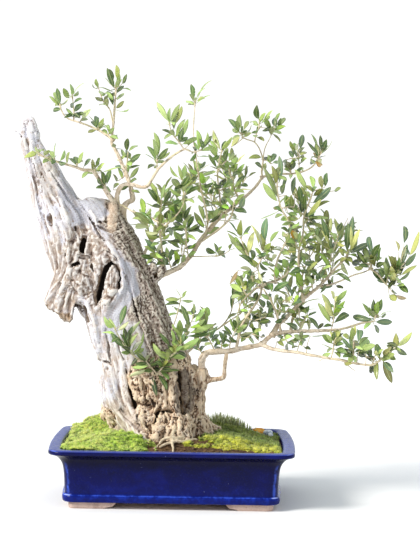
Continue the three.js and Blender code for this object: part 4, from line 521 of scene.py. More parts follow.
# ---------------------------------------------------------------- trunk
# Oval strands of wood, each point [px, py, depth Y, half width, half depth].
STRANDS = {
    "live": [(163, 452, 0, 66, 60), (162, 437, 0, 68, 62), (158, 424, 0, 72, 62), (153, 412, 0, 75, 62), (149, 397, 0, 77, 61), (148, 380, 0, 78, 60), (144, 364, 0, 76, 58), (138, 348, 0, 72, 56), (132, 330, 0, 66, 54), (126, 312, 0, 60, 51), (121, 294, 0, 55, 49), (117, 276, 0, 53, 47), (113, 258, 0, 51, 44), (108, 240, 0, 47, 40), (104, 224, 0, 36, 33), (98, 214, 0, 28, 26), (91, 207, 0, 17, 18)],
    "jin": [(28, 125, 10, 11, 10), (27, 132, 9, 14, 12), (31, 146, 8, 17, 14), (37, 158, 7, 21, 17), (43, 170, 6, 29, 20), (48, 184, 5, 33, 23), (54, 200, 3, 37, 27), (60, 216, 1, 40, 30), (66, 232, 0, 43, 34), (73, 248, 0, 45, 38), (82, 263, 0, 46, 40), (91, 280, 0, 42, 40), (98, 300, 0, 38, 38)],
    "jin2": [(32.6, 121.8, 11, 4.4, 5), (34.3, 127, 10, 4.8, 6), (35.4, 134, 9, 5, 6)],
    "knob": [(92, 270, -6, 30, 30), (82, 279, -9, 27, 26), (73, 286, -9, 22, 18), (64, 294, -8, 16, 10)],
    "rimleft": [(90, 298, -12, 20, 24), (93.5, 314, -14, 17.5, 22), (95.8, 328, -16, 15.5, 20), (97.6, 341, -18, 13, 17), (99, 350, -20, 10, 13), (99.8, 354, -20, 7, 9)],
    "bulge": [(112, 340, -12, 9, 18), (112.4, 352, -14, 10.5, 19), (112.4, 361, -16, 15.5, 21), (113.2, 370, -19, 18.5, 22), (113.6, 379, -22, 23, 23), (114.4, 391, -26, 25, 24), (117.4, 402, -29, 25, 22), (124, 413, -32, 22, 20), (133, 424, -35, 18, 18), (142, 435, -38, 16, 16)],
    "lobe": [(202.5, 371, -4, 7, 9), (203.2, 380, -4, 8, 11), (201.5, 392, -4, 7, 13), (199, 404, -4, 8, 15), (197, 415, -4, 9, 18), (198, 425, -4, 12, 20), (202, 436, -4, 18, 22)],
    "rootR": [(196, 424, 16, 18, 22), (207, 430, 20, 14, 18), (217, 434, 24, 11, 14), (225, 437, 26, 8.5, 11), (233, 442, 28, 6, 9)],
    "rootL": [(112, 404, 34, 15, 20), (107, 416, 42, 11, 16), (105, 430, 46, 10, 14)],
    "rootB": [(150, 415, 50, 40, 26), (158, 428, 66, 44, 26), (160, 440, 78, 40, 24)],
    "rootF": [(150, 418, -40, 40, 26), (152, 432, -54, 44, 24), (154, 446, -62, 40, 22)],
    "prong": [(25, 133.5, 9, 7, 7), (19.5, 132.8, 8, 4.6, 4.6), (15.4, 131.6, 7, 2.2, 2.2)],
    "prong2": [(24.5, 129, 10, 7, 7), (21.5, 124.5, 11, 4.4, 4.4), (19.6, 121.6, 11, 2.4, 2.4)],
    "prong3": [(30, 128, 9, 7, 7), (31.6, 122, 9, 3.6, 3.6), (31.8, 119.8, 9, 2, 2)],
    "hook": [(208, 380, -6, 5.6, 5.6), (213, 379.6, -8, 4.9, 4.9), (218.5, 379, -11, 4.3, 4.3), (223.2, 377.8, -14, 4.4, 4.4), (224.6, 374.8, -16, 4, 4), (224.4, 370, -18, 3.6, 3.6), (225.2, 363, -21, 3.4, 3.4), (226.2, 357, -25, 3.4, 3.4), (226.8, 352.6, -26, 3.6, 3.6)],
    "web": [(195, 368, 9, 6, 9), (195, 380, 11, 10, 14), (194, 396, 11, 12, 16), (193, 414, 8, 14, 20)],
    "cheek": [(134, 270, 0, 18, 24), (145, 292, 0, 22, 28), (153, 312, 0, 23, 30), (160, 334, 0, 20, 30), (168, 354, 0, 16, 28)],
    "neck": [(111, 238, -4, 12, 8), (112, 229, -16, 11, 8), (113, 220, -21, 9.6, 8), (114, 211, -21, 8.4, 8), (114.8, 204, -18, 7, 7)],
    "toe1": [(144, 417, -44, 14, 16), (148, 430, -56, 18, 17), (152, 443, -70, 21, 15)],
    "toe2": [(176, 414, -44, 18, 18), (179, 430, -60, 20, 18), (183, 445, -74, 20, 14)],
    "stub": [(147, 277, -5, 11, 11), (150.6, 272, -9, 9, 9), (153, 268, -12, 6.6, 6.6), (152.6, 264.8, -13, 4, 4)],
    "stub2": [(149, 280, -2, 12, 12), (155.5, 276.6, -5, 10.5, 10.5), (160.6, 272.6, -8, 8.4, 8.4), (163, 268.8, -10, 5.8, 5.8), (162.6, 266.4, -11, 3.6, 3.6)],
}
SURFACE_ROOTS = [
    [(173, 424, -68), (174.5, 429, -80), (172.5, 434, -88), (172, 441, -97), (173, 448, -116), (173, 453, -134)],
    [(188, 433, -68), (180, 438.5, -86), (171, 437.5, -93), (163, 439.5, -93), (159, 445, -102), (154, 449, -112)],
    [(196, 440, -66), (185, 442, -90), (175, 441.5, -97), (166, 444, -104), (160, 447, -112)],
]
# Hollows, cracks, ridges and lumps, placed on the wood where the line of sight meets it.
# hole: deep, groove: shallow, ridge and lump: raised. (kind, [(px, py), ...], radius mm, depth or height mm)
FEATURES = [
    ("hole", [(49.8, 216.8), (50.4, 221.8)], 3.6, 9),
    ("groove", [(52, 200), (58, 207), (61, 218)], 2.4, 4),
    ("ridge", [(56, 197), (63, 206), (66.5, 219)], 3, 2.2),
    ("hole", [(75, 225.6), (76.6, 236.3)], 2.2, 10),
    ("hole", [(84.8, 238.6, 0.8), (83.4, 245, 1.1), (82.4, 251.6, 0.9)], 5.2, 20),
    ("groove", [(76.6, 256), (84, 257.4), (90.4, 257)], 1.8, 5.5),
    ("hole", [(72.6, 265.6), (75, 264.4), (77.6, 263.6)], 4.4, 14),
    ("lump", [(79.6, 283.8)], 12, 5),
    ("groove", [(70, 276), (73, 290), (82, 297), (90, 292)], 2, 4),
    ("groove", [(80, 274), (88, 278), (92, 286)], 1.8, 4),
    ("hole", [(92, 265), (93.4, 273)], 2.2, 10),
    ("groove", [(103.5, 250), (109.5, 252.5), (115, 256.5), (118.6, 261)], 2.2, 6.5),
    ("hole", [(97.2, 305, 0.3), (98.4, 297, 0.7), (100.2, 288, 0.9), (102, 278, 1.1), (104.6, 270, 1), (108.6, 265, 0.8), (112.6, 263.4, 0.5)], 6.6, 24),
    ("hole", [(112, 262.4, 0.9), (116.6, 265.8, 1), (119.2, 272, 0.9), (120, 280, 1), (118.8, 288, 1.2), (116.6, 294, 0.8)], 3.1, 12),
    ("ridge", [(111.4, 270, 0.7), (112.6, 280, 1), (111.4, 291, 1), (107.4, 302, 0.8)], 6.6, 5),
    ("ridge", [(60, 180), (67, 192), (76, 200), (85.8, 209), (98, 230), (110, 244), (119.4, 259), (123.5, 276), (121.5, 291), (111.8, 301), (106, 312)], 6, 3.6),
    ("groove", [(74.5, 196, 0.7), (79.6, 202, 0.9), (85.4, 210, 0.9), (91.4, 219.5, 1.1), (96, 228, 1.2), (101, 236.5, 0.9), (107, 243, 0.7)], 2.2, 9),
    ("ridge", [(83, 200), (90.5, 211), (97, 221), (104, 232.5), (113.8, 244.5), (123, 256.5)], 3.8, 3.4),
    ("hole", [(99.5, 220.6), (99.6, 221.6)], 2.6, 9),
    ("hole", [(104.9, 220.6), (105, 221.6)], 2.4, 9),
    ("groove", [(98.5, 226), (104, 228.8), (110, 230.6), (117, 231), (122, 228.5)], 2.4, 6.5),
    ("ridge", [(58, 273), (51, 283), (46, 295), (44.5, 301)], 5, 4.5),
    ("groove", [(61, 283), (57, 293), (53, 303)], 3, 5),
    ("groove", [(67, 287), (63.5, 299), (61, 311)], 2, 4),
    ("groove", [(71, 291), (69, 304), (68.5, 316)], 2, 4),
    ("hole", [(77, 306.5), (80, 310)], 4.6, 16),
    ("hole", [(83, 309), (84.6, 315), (87, 321.5)], 4.6, 13),
    ("groove", [(91.5, 322), (93, 332), (95, 343)], 1.3, 3),
    ("groove", [(99, 300), (100.4, 316), (101, 330), (100, 344)], 1.2, 2.6),
    ("groove", [(95, 303), (97, 318), (98, 334), (97, 347)], 1, 2),
    ("groove", [(104.6, 326, 0.7), (105.6, 336, 1), (107, 346, 1.2), (109.2, 356, 1.2), (111, 364, 0.8)], 2.4, 10),
    ("groove", [(94.5, 357), (99, 360.5), (104.5, 361.5), (109.6, 362.5)], 2, 6.5),
    ("groove", [(117, 338), (118, 347), (120.6, 355), (124, 361)], 1.9, 6),
    ("groove", [(100.8, 399), (103.6, 404.4), (108.8, 410), (116, 417)], 1.8, 5.5),
    ("groove", [(118.4, 372), (118.8, 384), (121, 396), (125, 406)], 1.5, 3.4),
    ("groove", [(107, 368), (105, 378), (105.6, 390), (109, 400)], 1.3, 2.6),
    ("groove", [(113, 366), (112.6, 379), (113.6, 392), (118, 403), (127, 414)], 1.2, 2.4),
    ("hole", [(155, 274.2), (155.2, 276)], 3.2, 12),
    ("hole", [(125.4, 368.6, 0.6), (126.8, 378, 0.8), (128.8, 388, 1), (131.4, 397, 1.1), (134.2, 406.5, 1.2)], 4.3, 19),
    ("hole", [(151.5, 341), (153.5, 348), (156, 355.5)], 2, 8),
    ("hole", [(179.4, 374.5, 0.6), (181.4, 382, 1), (182.6, 392, 1.1), (183, 402, 1.1), (184.6, 411.6, 0.8)], 7.6, 14),
    ("hole", [(187.4, 382, 0.6), (189.4, 390, 1), (189.4, 399, 1), (188, 407, 0.7)], 4.6, 9),
    ("ridge", [(192.5, 372), (193.5, 390), (192.5, 410)], 3.8, 3),
    ("hole", [(155.4, 426, 0.5), (155.6, 421, 0.9), (157.4, 415.4, 1.1), (159.4, 411.6, 0.7)], 5.4, 16),
    ("hole", [(162.6, 411.6, 0.6), (167.6, 410.6, 1), (172.2, 412, 0.8)], 4.2, 14),
    ("hole", [(160.4, 419.4), (161.8, 424)], 2.6, 9),
    ("hole", [(150.6, 424.6), (152, 430)], 2.4, 8),
    ("ridge", [(103, 364), (107, 385), (114, 402), (127, 421), (146, 440)], 7.5, 4.5),
    ("hole", [(197.6, 371, 0.8), (198.4, 380, 1), (198.6, 391, 0.8)], 3.5, 17),
    ("hole", [(199, 419), (199.4, 423)], 3.2, 12),
    ("groove", [(118, 262), (128, 282), (134, 305), (142, 330), (150, 352)], 2.4, 4.5),
    ("groove", [(128, 246), (139, 262), (148, 280), (157, 300), (166, 322), (173, 342)], 2, 3.6),
    ("ridge", [(123, 248), (134, 264), (144, 282), (152, 302), (161, 326), (169, 350)], 5, 2.8),
    ("ridge", [(131, 292), (138, 314), (147, 338), (156, 360)], 5, 2.8),
    ("groove", [(136, 358), (142, 378), (146, 398), (150, 412)], 3, 6),
    ("groove", [(166, 352), (168, 372), (167, 392), (170, 410)], 2.8, 6),
    ("ridge", [(140, 350), (150, 372), (156, 392), (157, 406)], 6, 3.6),
    ("ridge", [(172, 360), (174, 376), (172, 394), (175, 416)], 5.5, 3.4),
    ("lump", [(148, 398)], 11, 4),
    ("lump", [(141, 418)], 10, 4),
    ("lump", [(172, 424)], 11, 5),
    ("lump", [(190, 424)], 10, 5),
    ("lump", [(162, 378)], 10, 3.5),
    ("lump", [(138, 384)], 8, 3),
    ("lump", [(166, 418.6)], 4.8, 3.6),
    ("lump", [(171.8, 416.6)], 3.8, 2.8),
    ("lump", [(162, 416.2)], 3.2, 2.8),
    ("lump", [(165.4, 425)], 5, 3),
    ("lump", [(158, 433)], 9, 4),
    ("lump", [(180, 432)], 8, 4),
    ("groove", [(120, 408), (134, 424), (146, 432)], 2.4, 5),
    ("groove", [(145, 424), (152, 434), (154, 441)], 2.2, 5),
    ("groove", [(176, 418), (178, 428), (176, 438)], 2.2, 5),
    ("groove", [(106, 208), (106.5, 218), (107.5, 226)], 1.8, 5),
    ("groove", [(108.6, 210), (112.5, 211.6), (117, 210.4)], 0.9, 1.6),
    ("groove", [(107.6, 216), (112.5, 218), (117.4, 216.6)], 1, 1.8),
    ("groove", [(107, 222), (112.4, 224), (118.6, 222.4)], 1, 2),
    ("groove", [(165, 412), (166, 424), (164, 436)], 2.6, 7),
    ("groove", [(137, 416), (140, 428), (141, 438)], 2, 5),
    ("hole", [(20.4, 135.4), (21.2, 136.6)], 2.6, 9),
    ("groove", [(25, 124), (27, 140), (33, 160), (39, 185)], 1.8, 4),
    ("groove", [(34, 132), (37, 150), (45, 172), (56, 196)], 1.8, 3.6),
    ("groove", [(28, 150), (34, 175), (38, 200), (44, 222), (52, 244)], 2, 4),
    ("ridge", [(30, 146), (36, 170), (44, 196), (52, 212)], 3.6, 2.2),
    ("ridge", [(24, 142), (30, 166), (35, 190), (40, 214), (46, 238)], 3.6, 2.4),
    ("groove", [(50, 170), (58, 184), (68, 198), (78, 214), (86, 230)], 2.2, 4.6),
    ("ridge", [(45, 160), (52, 176), (61, 190), (72, 206), (80, 220)], 4, 2.6),
    ("groove", [(58, 226), (64, 244), (66, 260)], 2, 4),
    ("ridge", [(62, 224), (68, 240), (71, 256)], 4, 2.8),
]
# Lines that the wood's fibres follow on the side that faces the camera.
FLOW = [
    [(24, 124), (27, 150), (34, 175), (41, 205), (46, 230), (50, 258)],
    [(33, 122), (37, 145), (47, 170), (58, 195), (68, 215), (75, 235)],
    [(60, 168), (70, 185), (85, 207), (98, 230), (110, 244), (119, 259), (122.5, 276), (121, 291), (112, 301), (106, 312), (103, 330), (107, 345), (112, 365)],
    [(76, 225), (79, 240), (80, 250), (77, 258)],
    [(90, 225), (91, 240), (90, 252), (88, 262)],
    [(72, 275), (75, 268), (82, 264), (90, 268), (95, 278), (96, 290), (94, 300)],
    [(70, 262), (72, 275), (80, 290), (92, 310), (98, 325), (98, 345), (103, 362)],
    [(75, 275), (65, 280), (55, 290), (46, 300)],
    [(72, 283), (64, 298), (60, 318)],
    [(68, 285), (55, 300), (52, 312)],
    [(76, 285), (72, 300), (70, 320)],
    [(108, 268), (110, 280), (110, 292), (105, 303)],
    [(101, 233), (113, 245), (122, 259), (127, 270), (130, 285), (127, 300), (118, 315), (112, 330), (112, 345), (116, 365), (124, 385)],
    [(108, 232), (120, 245), (132, 260), (142, 275), (150, 290), (158, 305), (168, 322), (178, 345), (188, 365)],
    [(125, 225), (135, 245), (143, 262)],
    [(130, 300), (140, 320), (150, 345), (158, 365), (165, 385), (168, 410), (165, 435)],
    [(104, 372), (101, 385), (103, 400), (112, 412), (128, 428), (146, 440)],
    [(118, 372), (122, 390), (130, 410), (142, 430), (150, 441)],
    [(203, 372), (205, 395), (203, 415), (207, 430)],
    [(190, 370), (192, 395), (192, 420), (190, 440)],
    [(82, 314), (87, 326), (92, 340), (96, 355), (102, 367)],
]


def placed(line):
    L = np.array(line, float)
    return np.concatenate([sight(L[:, 0], L[:, 1], L[:, 2]), L[:, 3:]], 1)


def oval_strand(P, line, far=400.0):
    """Distance to an oval strand, where P is near it."""
    whole = np.full(len(P), far)
    room = line[:, 3:5].max() + 26
    part = np.flatnonzero(np.all((P > line[:, :3].min(0) - room) & (P < line[:, :3].max(0) + room), 1))
    P, best = P[part], np.full(len(part), far)
    for i in range(len(line) - 1) if len(part) else ():
        a, b, ra, rb = line[i, :3], line[i + 1, :3], line[i, 3:5], line[i + 1, 3:5]
        reach = max(ra.max(), rb.max()) + 26
        near = np.all((P > np.minimum(a, b) - reach) & (P < np.maximum(a, b) + reach), 1)
        if not near.any():
            continue
        p = P[near]
        d = b - a
        t = np.clip((p - a) @ d / max(d @ d, 1e-9), 0, 1)
        q = p - a - t[:, None] * d
        T = unit(d)
        u = unit(np.array([T[2], 0, -T[0]]) + 1e-9)
        v = np.cross(T, u)
        rx, ry = ra[0] + t * (rb[0] - ra[0]), ra[1] + t * (rb[1] - ra[1])
        rm = np.minimum(rx, ry)
        x, y, z = q @ u, q @ v, q @ T
        k0 = np.sqrt((x / rx) ** 2 + (y / ry) ** 2 + (z / rm) ** 2)
        k1 = np.sqrt((x / rx**2) ** 2 + (y / ry**2) ** 2 + (z / rm**2) ** 2)
        dist = np.where(k0 > 1e-4, k0 * (k0 - 1) / np.maximum(k1, 1e-9), -rm)
        best[near] = np.minimum(best[near], dist)
    whole[part] = best
    return whole


def rod(P, line, far=400.0, reach_more=14):
    """Distance to a round tube along a line of [x, y, z, r]."""
    if len(line) == 1:
        line = np.array([line[0], line[0] + np.array([0.01, 0, 0, 0])])
    whole = np.full(len(P), far)
    room = line[:, 3].max() + reach_more
    part = np.flatnonzero(np.all((P > line[:, :3].min(0) - room) & (P < line[:, :3].max(0) + room), 1))
    P, best = P[part], np.full(len(part), far)
    for i in range(len(line) - 1) if len(part) else ():
        a, b, ra, rb = line[i, :3], line[i + 1, :3], line[i, 3], line[i + 1, 3]
        reach = max(ra, rb) + reach_more
        near = np.all((P > np.minimum(a, b) - reach) & (P < np.maximum(a, b) + reach), 1)
        if not near.any():
            continue
        p = P[near]
        d = b - a
        t = np.clip((p - a) @ d / max(d @ d, 1e-9), 0, 1)
        best[near] = np.minimum(best[near], np.linalg.norm(p - a - t[:, None] * d, axis=1) - ra - t * (rb - ra))
    whole[part] = best
    return whole


def blend_min(a, b, k):
    h = np.maximum(k - np.abs(a - b), 0) / k
    return np.minimum(a, b) - h * h * k * 0.25


def blend_max(a, b, k):
    return -blend_min(-a, -b, k)


WOOD = {n: curve(placed(s), 2) for n, s in STRANDS.items()}
MELT = {"jin": 7.0, "prong": 3.0, "prong2": 3.0, "prong3": 3.0, "hook": 5.0, "stub": 4.0, "stub2": 4.0, "knob": 9.0, "rimleft": 4.0, "bulge": 5.0, "lobe": 6.0, "web": 5.0, "cheek": 16.0, "neck": 7.0, "toe1": 9.0, "toe2": 9.0}
CREEP = [np.concatenate([curve(sight(*np.array(r, float).T[:3]), 3), np.array(curve([[x] for x in (3.6, 3.5, 3.2, 2.8, 2.4, 2.0)][: len(r)], 3))], 1) for r in SURFACE_ROOTS]


# The broken plate of dead wood on the left: its outline in the picture, thinner towards its torn lower edge.
EAR = [(62, 270), (54, 275), (49, 286), (45, 296), (42.8, 303), (46.5, 308.5), (51.5, 312), (57.5, 315.5), (63.5, 320.5), (69.5, 325), (73.5, 321), (75, 313), (78, 305), (84, 298), (86, 286), (80, 274), (70, 268)]


def outline_gap(s, outline):
    """Distance in the picture to an outline, negative inside."""
    o = np.array(outline, float)
    x, y = s[:, 0], s[:, 1]
    inside, dist = np.zeros(len(s), bool), np.full(len(s), 1e9)
    for a, b in zip(o, np.roll(o, -1, 0)):
        cond = (a[1] > y) != (b[1] > y)
        inside ^= cond & (x < (b[0] - a[0]) * (y - a[1]) / (b[1] - a[1] if b[1] != a[1] else 1e-9) + a[0])
        d = b - a
        t = np.clip((s - a) @ d / max(d @ d, 1e-9), 0, 1)
        dist = np.minimum(dist, np.linalg.norm(s - a - t[:, None] * d, axis=1))
    return np.where(inside, -dist, dist)


EAR_AT = sight(*np.array([(x, y, -14.0) for x, y in EAR]).T)


def ear_plate(P, far=400.0):
    whole = np.full(len(P), far)
    part = np.flatnonzero(np.all((P > EAR_AT.min(0) - [30, 60, 30]) & (P < EAR_AT.max(0) + [30, 60, 30]), 1))
    if len(part):
        p = P[part]
        s = seen(p)
        side = outline_gap(s, EAR) * 1.7 + 2.2
        out = np.clip((78 - s[:, 0]) / 34, 0, 1.2)
        down = np.clip((s[:, 1] - 290) / 32, 0, 1)
        mid = -19 + 16 * out - 5 * down + 3.0 * fractal(p, 30, 231, 2)
        thick = 17 - 7 * out - 4.5 * down
        edge = step(-7, 0, side) * (0.35 + 0.65 * down)
        side = side + (2.6 * fractal(p, 8.0, 232, 3) + 0.8) * edge
        whole[part] = blend_max(side, np.abs(p[:, 1] - mid) - thick, 5.0)
    return whole


def solid_wood(P):
    """The trunk before its hollows and cracks."""
    out = ear_plate(P)
    for name, line in WOOD.items():
        d = oval_strand(P, line)
        out = blend_min(out, d, MELT.get(name, 14.0))
    return out


def meet(px, py):
    """Where the line of sight first meets the wood, and the way in."""
    r = unit(ray(np.asarray(px, float), np.asarray(py, float)))
    t = np.full(len(r), 2700.0)
    for _ in range(90):
        d = solid_wood(EYE + t[:, None] * r)
        t = t + np.clip(d, -20, 20) * 0.8
    P = EYE + t[:, None] * r
    e = 2.0
    g = np.stack([solid_wood(P + np.eye(3)[i] * e) - solid_wood(P - np.eye(3)[i] * e) for i in range(3)], 1)
    missed = t > 3400
    return P, unit(g), missed


def measure_features():
    pts = np.array([p[:2] for f in FEATURES for p in f[1]], float)
    P, N, missed = meet(pts[:, 0], pts[:, 1])
    cut, add, at = [], [], 0
    for kind, line, r, depth in FEATURES:
        n = len(line)
        p, nrm, bad = P[at : at + n], N[at : at + n], missed[at : at + n]
        at += n
        if bad.all():
            continue
        p, nrm = p[~bad], nrm[~bad]
        rr = np.array([x[2] if len(x) > 2 else 1.0 for x in line])[~bad] * r
        way = unit(-nrm * 0.55 + unit(ray(210.0, 280.0)) * 0.45)
        if kind == "hole":
            for k in np.linspace(0, 1, int(np.clip(math.ceil((depth - rr.min()) / (1.3 * rr.min())), 4, 9))):
                q = p + way * np.maximum(depth - rr, 0)[:, None] * k
                cut.append((curve(np.concatenate([q, (rr * (1 - 0.25 * k))[:, None]], 1), 2), 2.5))
        elif kind == "groove":
            for k in np.linspace(0, 1, max(1, int(math.ceil((depth - r) / r)) + 1)) if depth > r else (1.0,):
                q = p - nrm * (depth - rr)[:, None] * k
                cut.append((curve(np.concatenate([q, (rr * (1 - 0.3 * k))[:, None]], 1), 2), 1.5))
        else:
            q = p + nrm * (depth - rr)[:, None]
            add.append((curve(np.concatenate([q, rr[:, None]], 1), 2), 5.0 if kind == "ridge" else 8.0))
    cut += [(placed(line), 2.5) for line in WAIST]
    return cut, add


# A waist cut into the outline under the overhanging strand, as (px, py, depth Y, radius mm) along its length.
WAIST = [[(93.8, 367.8, -95, 13.5), (94.6, 367.4, -20, 13.5), (94.8, 367.4, 60, 12.5)]]


def nearest(P, lines, far, reach_more=14):
    d = np.full(len(P), far)
    for line in lines:
        d = np.minimum(d, rod(P, line, far, reach_more))
    return d


def trunk_wood(P, cut, add):
    out = solid_wood(P)
    near = np.abs(out) < 34
    if near.any():
        p, o = P[near], out[near]
        for k in (5.0, 8.0):
            o = blend_min(o, nearest(p, [line for line, size in add if size == k], 60.0), k)
        for k in (1.5, 2.5):
            d = nearest(p, [line for line, size in cut if size == k], 60.0)
            torn = d < 14
            if torn.any():  # the wood tears and rots unevenly at a hole's edge
                q = p[torn]
                warp = q + 2.5 * np.stack([value_noise(q, 9.0, 201 + i) for i in range(3)], 1)
                d[torn] += (3.2 if k == 2.5 else 1.1) * fractal(warp, 9.0, 211, 3) * step(14, 6, d[torn])
            o = blend_max(o, -d, 4.0 if k == 2.5 else 2.0)
        out[near] = o
    return blend_min(out, nearest(P, CREEP, 60.0), 2.0)


def surface(field, low, high, h, coarse=4):
    """Surface nets of field over a box, worked out only near the surface. Returns vertices and quads."""
    n = (np.ceil((np.asarray(high) - low) / (h * coarse)).astype(int) + 1) * coarse
    m = n // coarse
    grid = np.stack(np.meshgrid(*[np.arange(k) for k in m + 1], indexing="ij"), -1).reshape(-1, 3)
    d = field(np.asarray(low) + grid * h * coarse).reshape(m + 1)
    near = np.abs(d) < h * coarse * 0.9 + 9.0
    act = near.copy()
    for ax in range(3):  # a cell is kept where any of its corners is near
        sl0 = [slice(None)] * 3
        sl1 = [slice(None)] * 3
        sl0[ax], sl1[ax] = slice(0, -1), slice(1, None)
        act2 = act[tuple(sl0)] | act[tuple(sl1)]
        act = act2
    dense = np.kron(d[:-1, :-1, :-1], np.ones((coarse,) * 3, np.float32)).astype(np.float32)
    mask = np.kron(act, np.ones((coarse,) * 3, bool))
    idx = np.argwhere(mask)
    dense[mask] = np.concatenate([field(np.asarray(low) + part * h) for part in np.array_split(idx, max(1, len(idx) // 400000))])
    inside = dense < 0
    c = inside.astype(np.int8)
    total = sum(c[i : c.shape[0] - 1 + i, j : c.shape[1] - 1 + j, k : c.shape[2] - 1 + k] for i in (0, 1) for j in (0, 1) for k in (0, 1))
    cell = np.argwhere((total > 0) & (total < 8))
    ids = np.full(total.shape, -1, np.int32)
    ids[tuple(cell.T)] = np.arange(len(cell))
    acc, cnt = np.zeros((len(cell), 3)), np.zeros(len(cell))
    corners = {(i, j, k): dense[cell[:, 0] + i, cell[:, 1] + j, cell[:, 2] + k] for i in (0, 1) for j in (0, 1) for k in (0, 1)}
    for a in corners:
        for ax in range(3):
            if a[ax]:
                continue
            b = tuple(1 if q == ax else a[q] for q in range(3))
            va, vb = corners[a], corners[b]
            cross = (va < 0) != (vb < 0)
            t = np.where(cross, va / np.where(cross, va - vb, 1), 0)
            p = np.tile(np.array(a, float), (len(cell), 1))
            p[:, ax] += t
            acc += np.where(cross[:, None], p, 0)
            cnt += cross
    V = np.asarray(low) + (cell + acc / cnt[:, None]) * h
    quads = []
    for ax in range(3):
        o1, o2 = [q for q in range(3) if q != ax]
        s0 = [slice(0, None)] * 3
        s1 = [slice(0, None)] * 3
        s0[ax], s1[ax] = slice(0, -1), slice(1, None)
        change = np.argwhere(inside[tuple(s0)] != inside[tuple(s1)])
        ok = (change[:, o1] > 0) & (change[:, o2] > 0) & (change[:, o1] < total.shape[o1]) & (change[:, o2] < total.shape[o2])
        change = change[ok]
        q = []
        for da, db in ((-1, -1), (0, -1), (0, 0), (-1, 0)):
            e = change.copy()
            e[:, o1] += da
            e[:, o2] += db
            q.append(ids[tuple(e.T)])
        q = np.stack(q, 1)
        starts_in = inside[tuple(change.T)]
        flip = starts_in if ax != 1 else ~starts_in
        q = np.where(flip[:, None], q, q[:, ::-1])
        quads.append(q)
    Q = np.concatenate(quads)
    return V, Q[(Q >= 0).all(1)]


def rings(V, Q):
    """Directed neighbour pairs over the sides and diagonals of the quads."""
    e = np.concatenate([Q[:, [0, 1]], Q[:, [1, 2]], Q[:, [2, 3]], Q[:, [3, 0]], Q[:, [0, 2]], Q[:, [1, 3]]])
    e = np.unique(np.sort(e, 1), axis=0)
    return np.concatenate([e, e[:, ::-1]])


def normals(V, Q):
    n = np.cross(V[Q[:, 2]] - V[Q[:, 0]], V[Q[:, 3]] - V[Q[:, 1]])
    out = np.zeros_like(V)
    for k in range(4):
        for ax in range(3):
            out[:, ax] += np.bincount(Q[:, k], n[:, ax], len(V))
    return unit(out)


def spread(x, e, weight, times, keep=0.4):
    """Averages x over neighbours, times over, by each pair's weight."""
    n = len(x)
    total = np.bincount(e[:, 0], weight, n) + 1e-9
    for _ in range(times):
        x = keep * x + (1 - keep) * np.bincount(e[:, 0], weight * x[e[:, 1]], n) / total
    return x


def biggest_piece(V, Q):
    """Drops loose crumbs of the surface."""
    label = np.arange(len(V))
    e = np.concatenate([Q[:, [0, 1]], Q[:, [1, 2]], Q[:, [2, 3]]])
    while True:
        low = label.copy()
        np.minimum.at(low, e[:, 0], label[e[:, 1]])
        np.minimum.at(low, e[:, 1], label[e[:, 0]])
        low = low[low]
        low = low[low]
        if (low == label).all():
            break
        label = low
    main = np.bincount(label).argmax()
    keep = label == main
    new = np.cumsum(keep) - 1
    Q = Q[keep[Q[:, 0]]]
    return V[keep], new[Q]


def fibre_way(V, N):
    """The direction of the fibres at each point, in the surface."""
    spine = np.concatenate([WOOD["live"][:, :3], WOOD["jin"][:, :3], WOOD["lobe"][:, :3], WOOD["knob"][:, :3]])
    way = np.concatenate([unit(np.gradient(WOOD[n][:, :3], axis=0)) for n in ("live", "jin", "lobe", "knob")])
    D = np.zeros_like(V)
    for p, d in zip(spine, way):
        wgt = 1 / (((V - p) ** 2).sum(1) + 300) ** 2
        D += wgt[:, None] * d * (1 if d[2] > 0 else -1)
    D = unit(D)
    s = seen(V)
    a, d2 = [], []
    for line in FLOW:
        L = curve(line, 3)
        a.append((L[1:] + L[:-1]) / 2)
        d2.append(unit(L[1:] - L[:-1]))
    a, d2 = np.concatenate(a), np.concatenate(d2)
    # directions have no sign, so they are averaged at double the angle
    ang = np.arctan2(d2[:, 1], d2[:, 0]) * 2
    cs, sn, tot = np.zeros(len(V)), np.zeros(len(V)), np.zeros(len(V))
    for p, t in zip(a, ang):
        r2 = ((s - p) ** 2).sum(1)
        wgt = np.exp(-r2 / 128.0) + 0.02 / (r2 + 20)
        cs += wgt * math.cos(t)
        sn += wgt * math.sin(t)
        tot += wgt
    t = np.arctan2(sn, cs) / 2
    front = np.cos(t)[:, None] * np.array([1.0, 0, 0]) - np.sin(t)[:, None] * np.array([0, 0, 1.0])
    front = np.where(((front * D).sum(1) < 0)[:, None], -front, front)
    strength = step(-0.15, 0.35, -N[:, 1])[:, None]
    twist = unit(np.cross(N, D)) * (fractal(V, 55, 5, 2) * 0.35)[:, None]
    D = unit(front * strength + (D + twist) * (1 - strength))
    return unit(D - (D * N).sum(1)[:, None] * N)


def near_line(s, line, width):
    """How close a point of the picture is to a line, from 1 on it to 0 at width."""
    L = curve(line, 3)
    best = np.full(len(s), 1e9)
    for a, b in zip(L[:-1], L[1:]):
        d = b - a
        t = np.clip((s - a) @ d / max(d @ d, 1e-9), 0, 1)
        best = np.minimum(best, np.linalg.norm(s - a - t[:, None] * d, axis=1))
    return 1 - step(0.35, 1.0, best / width)


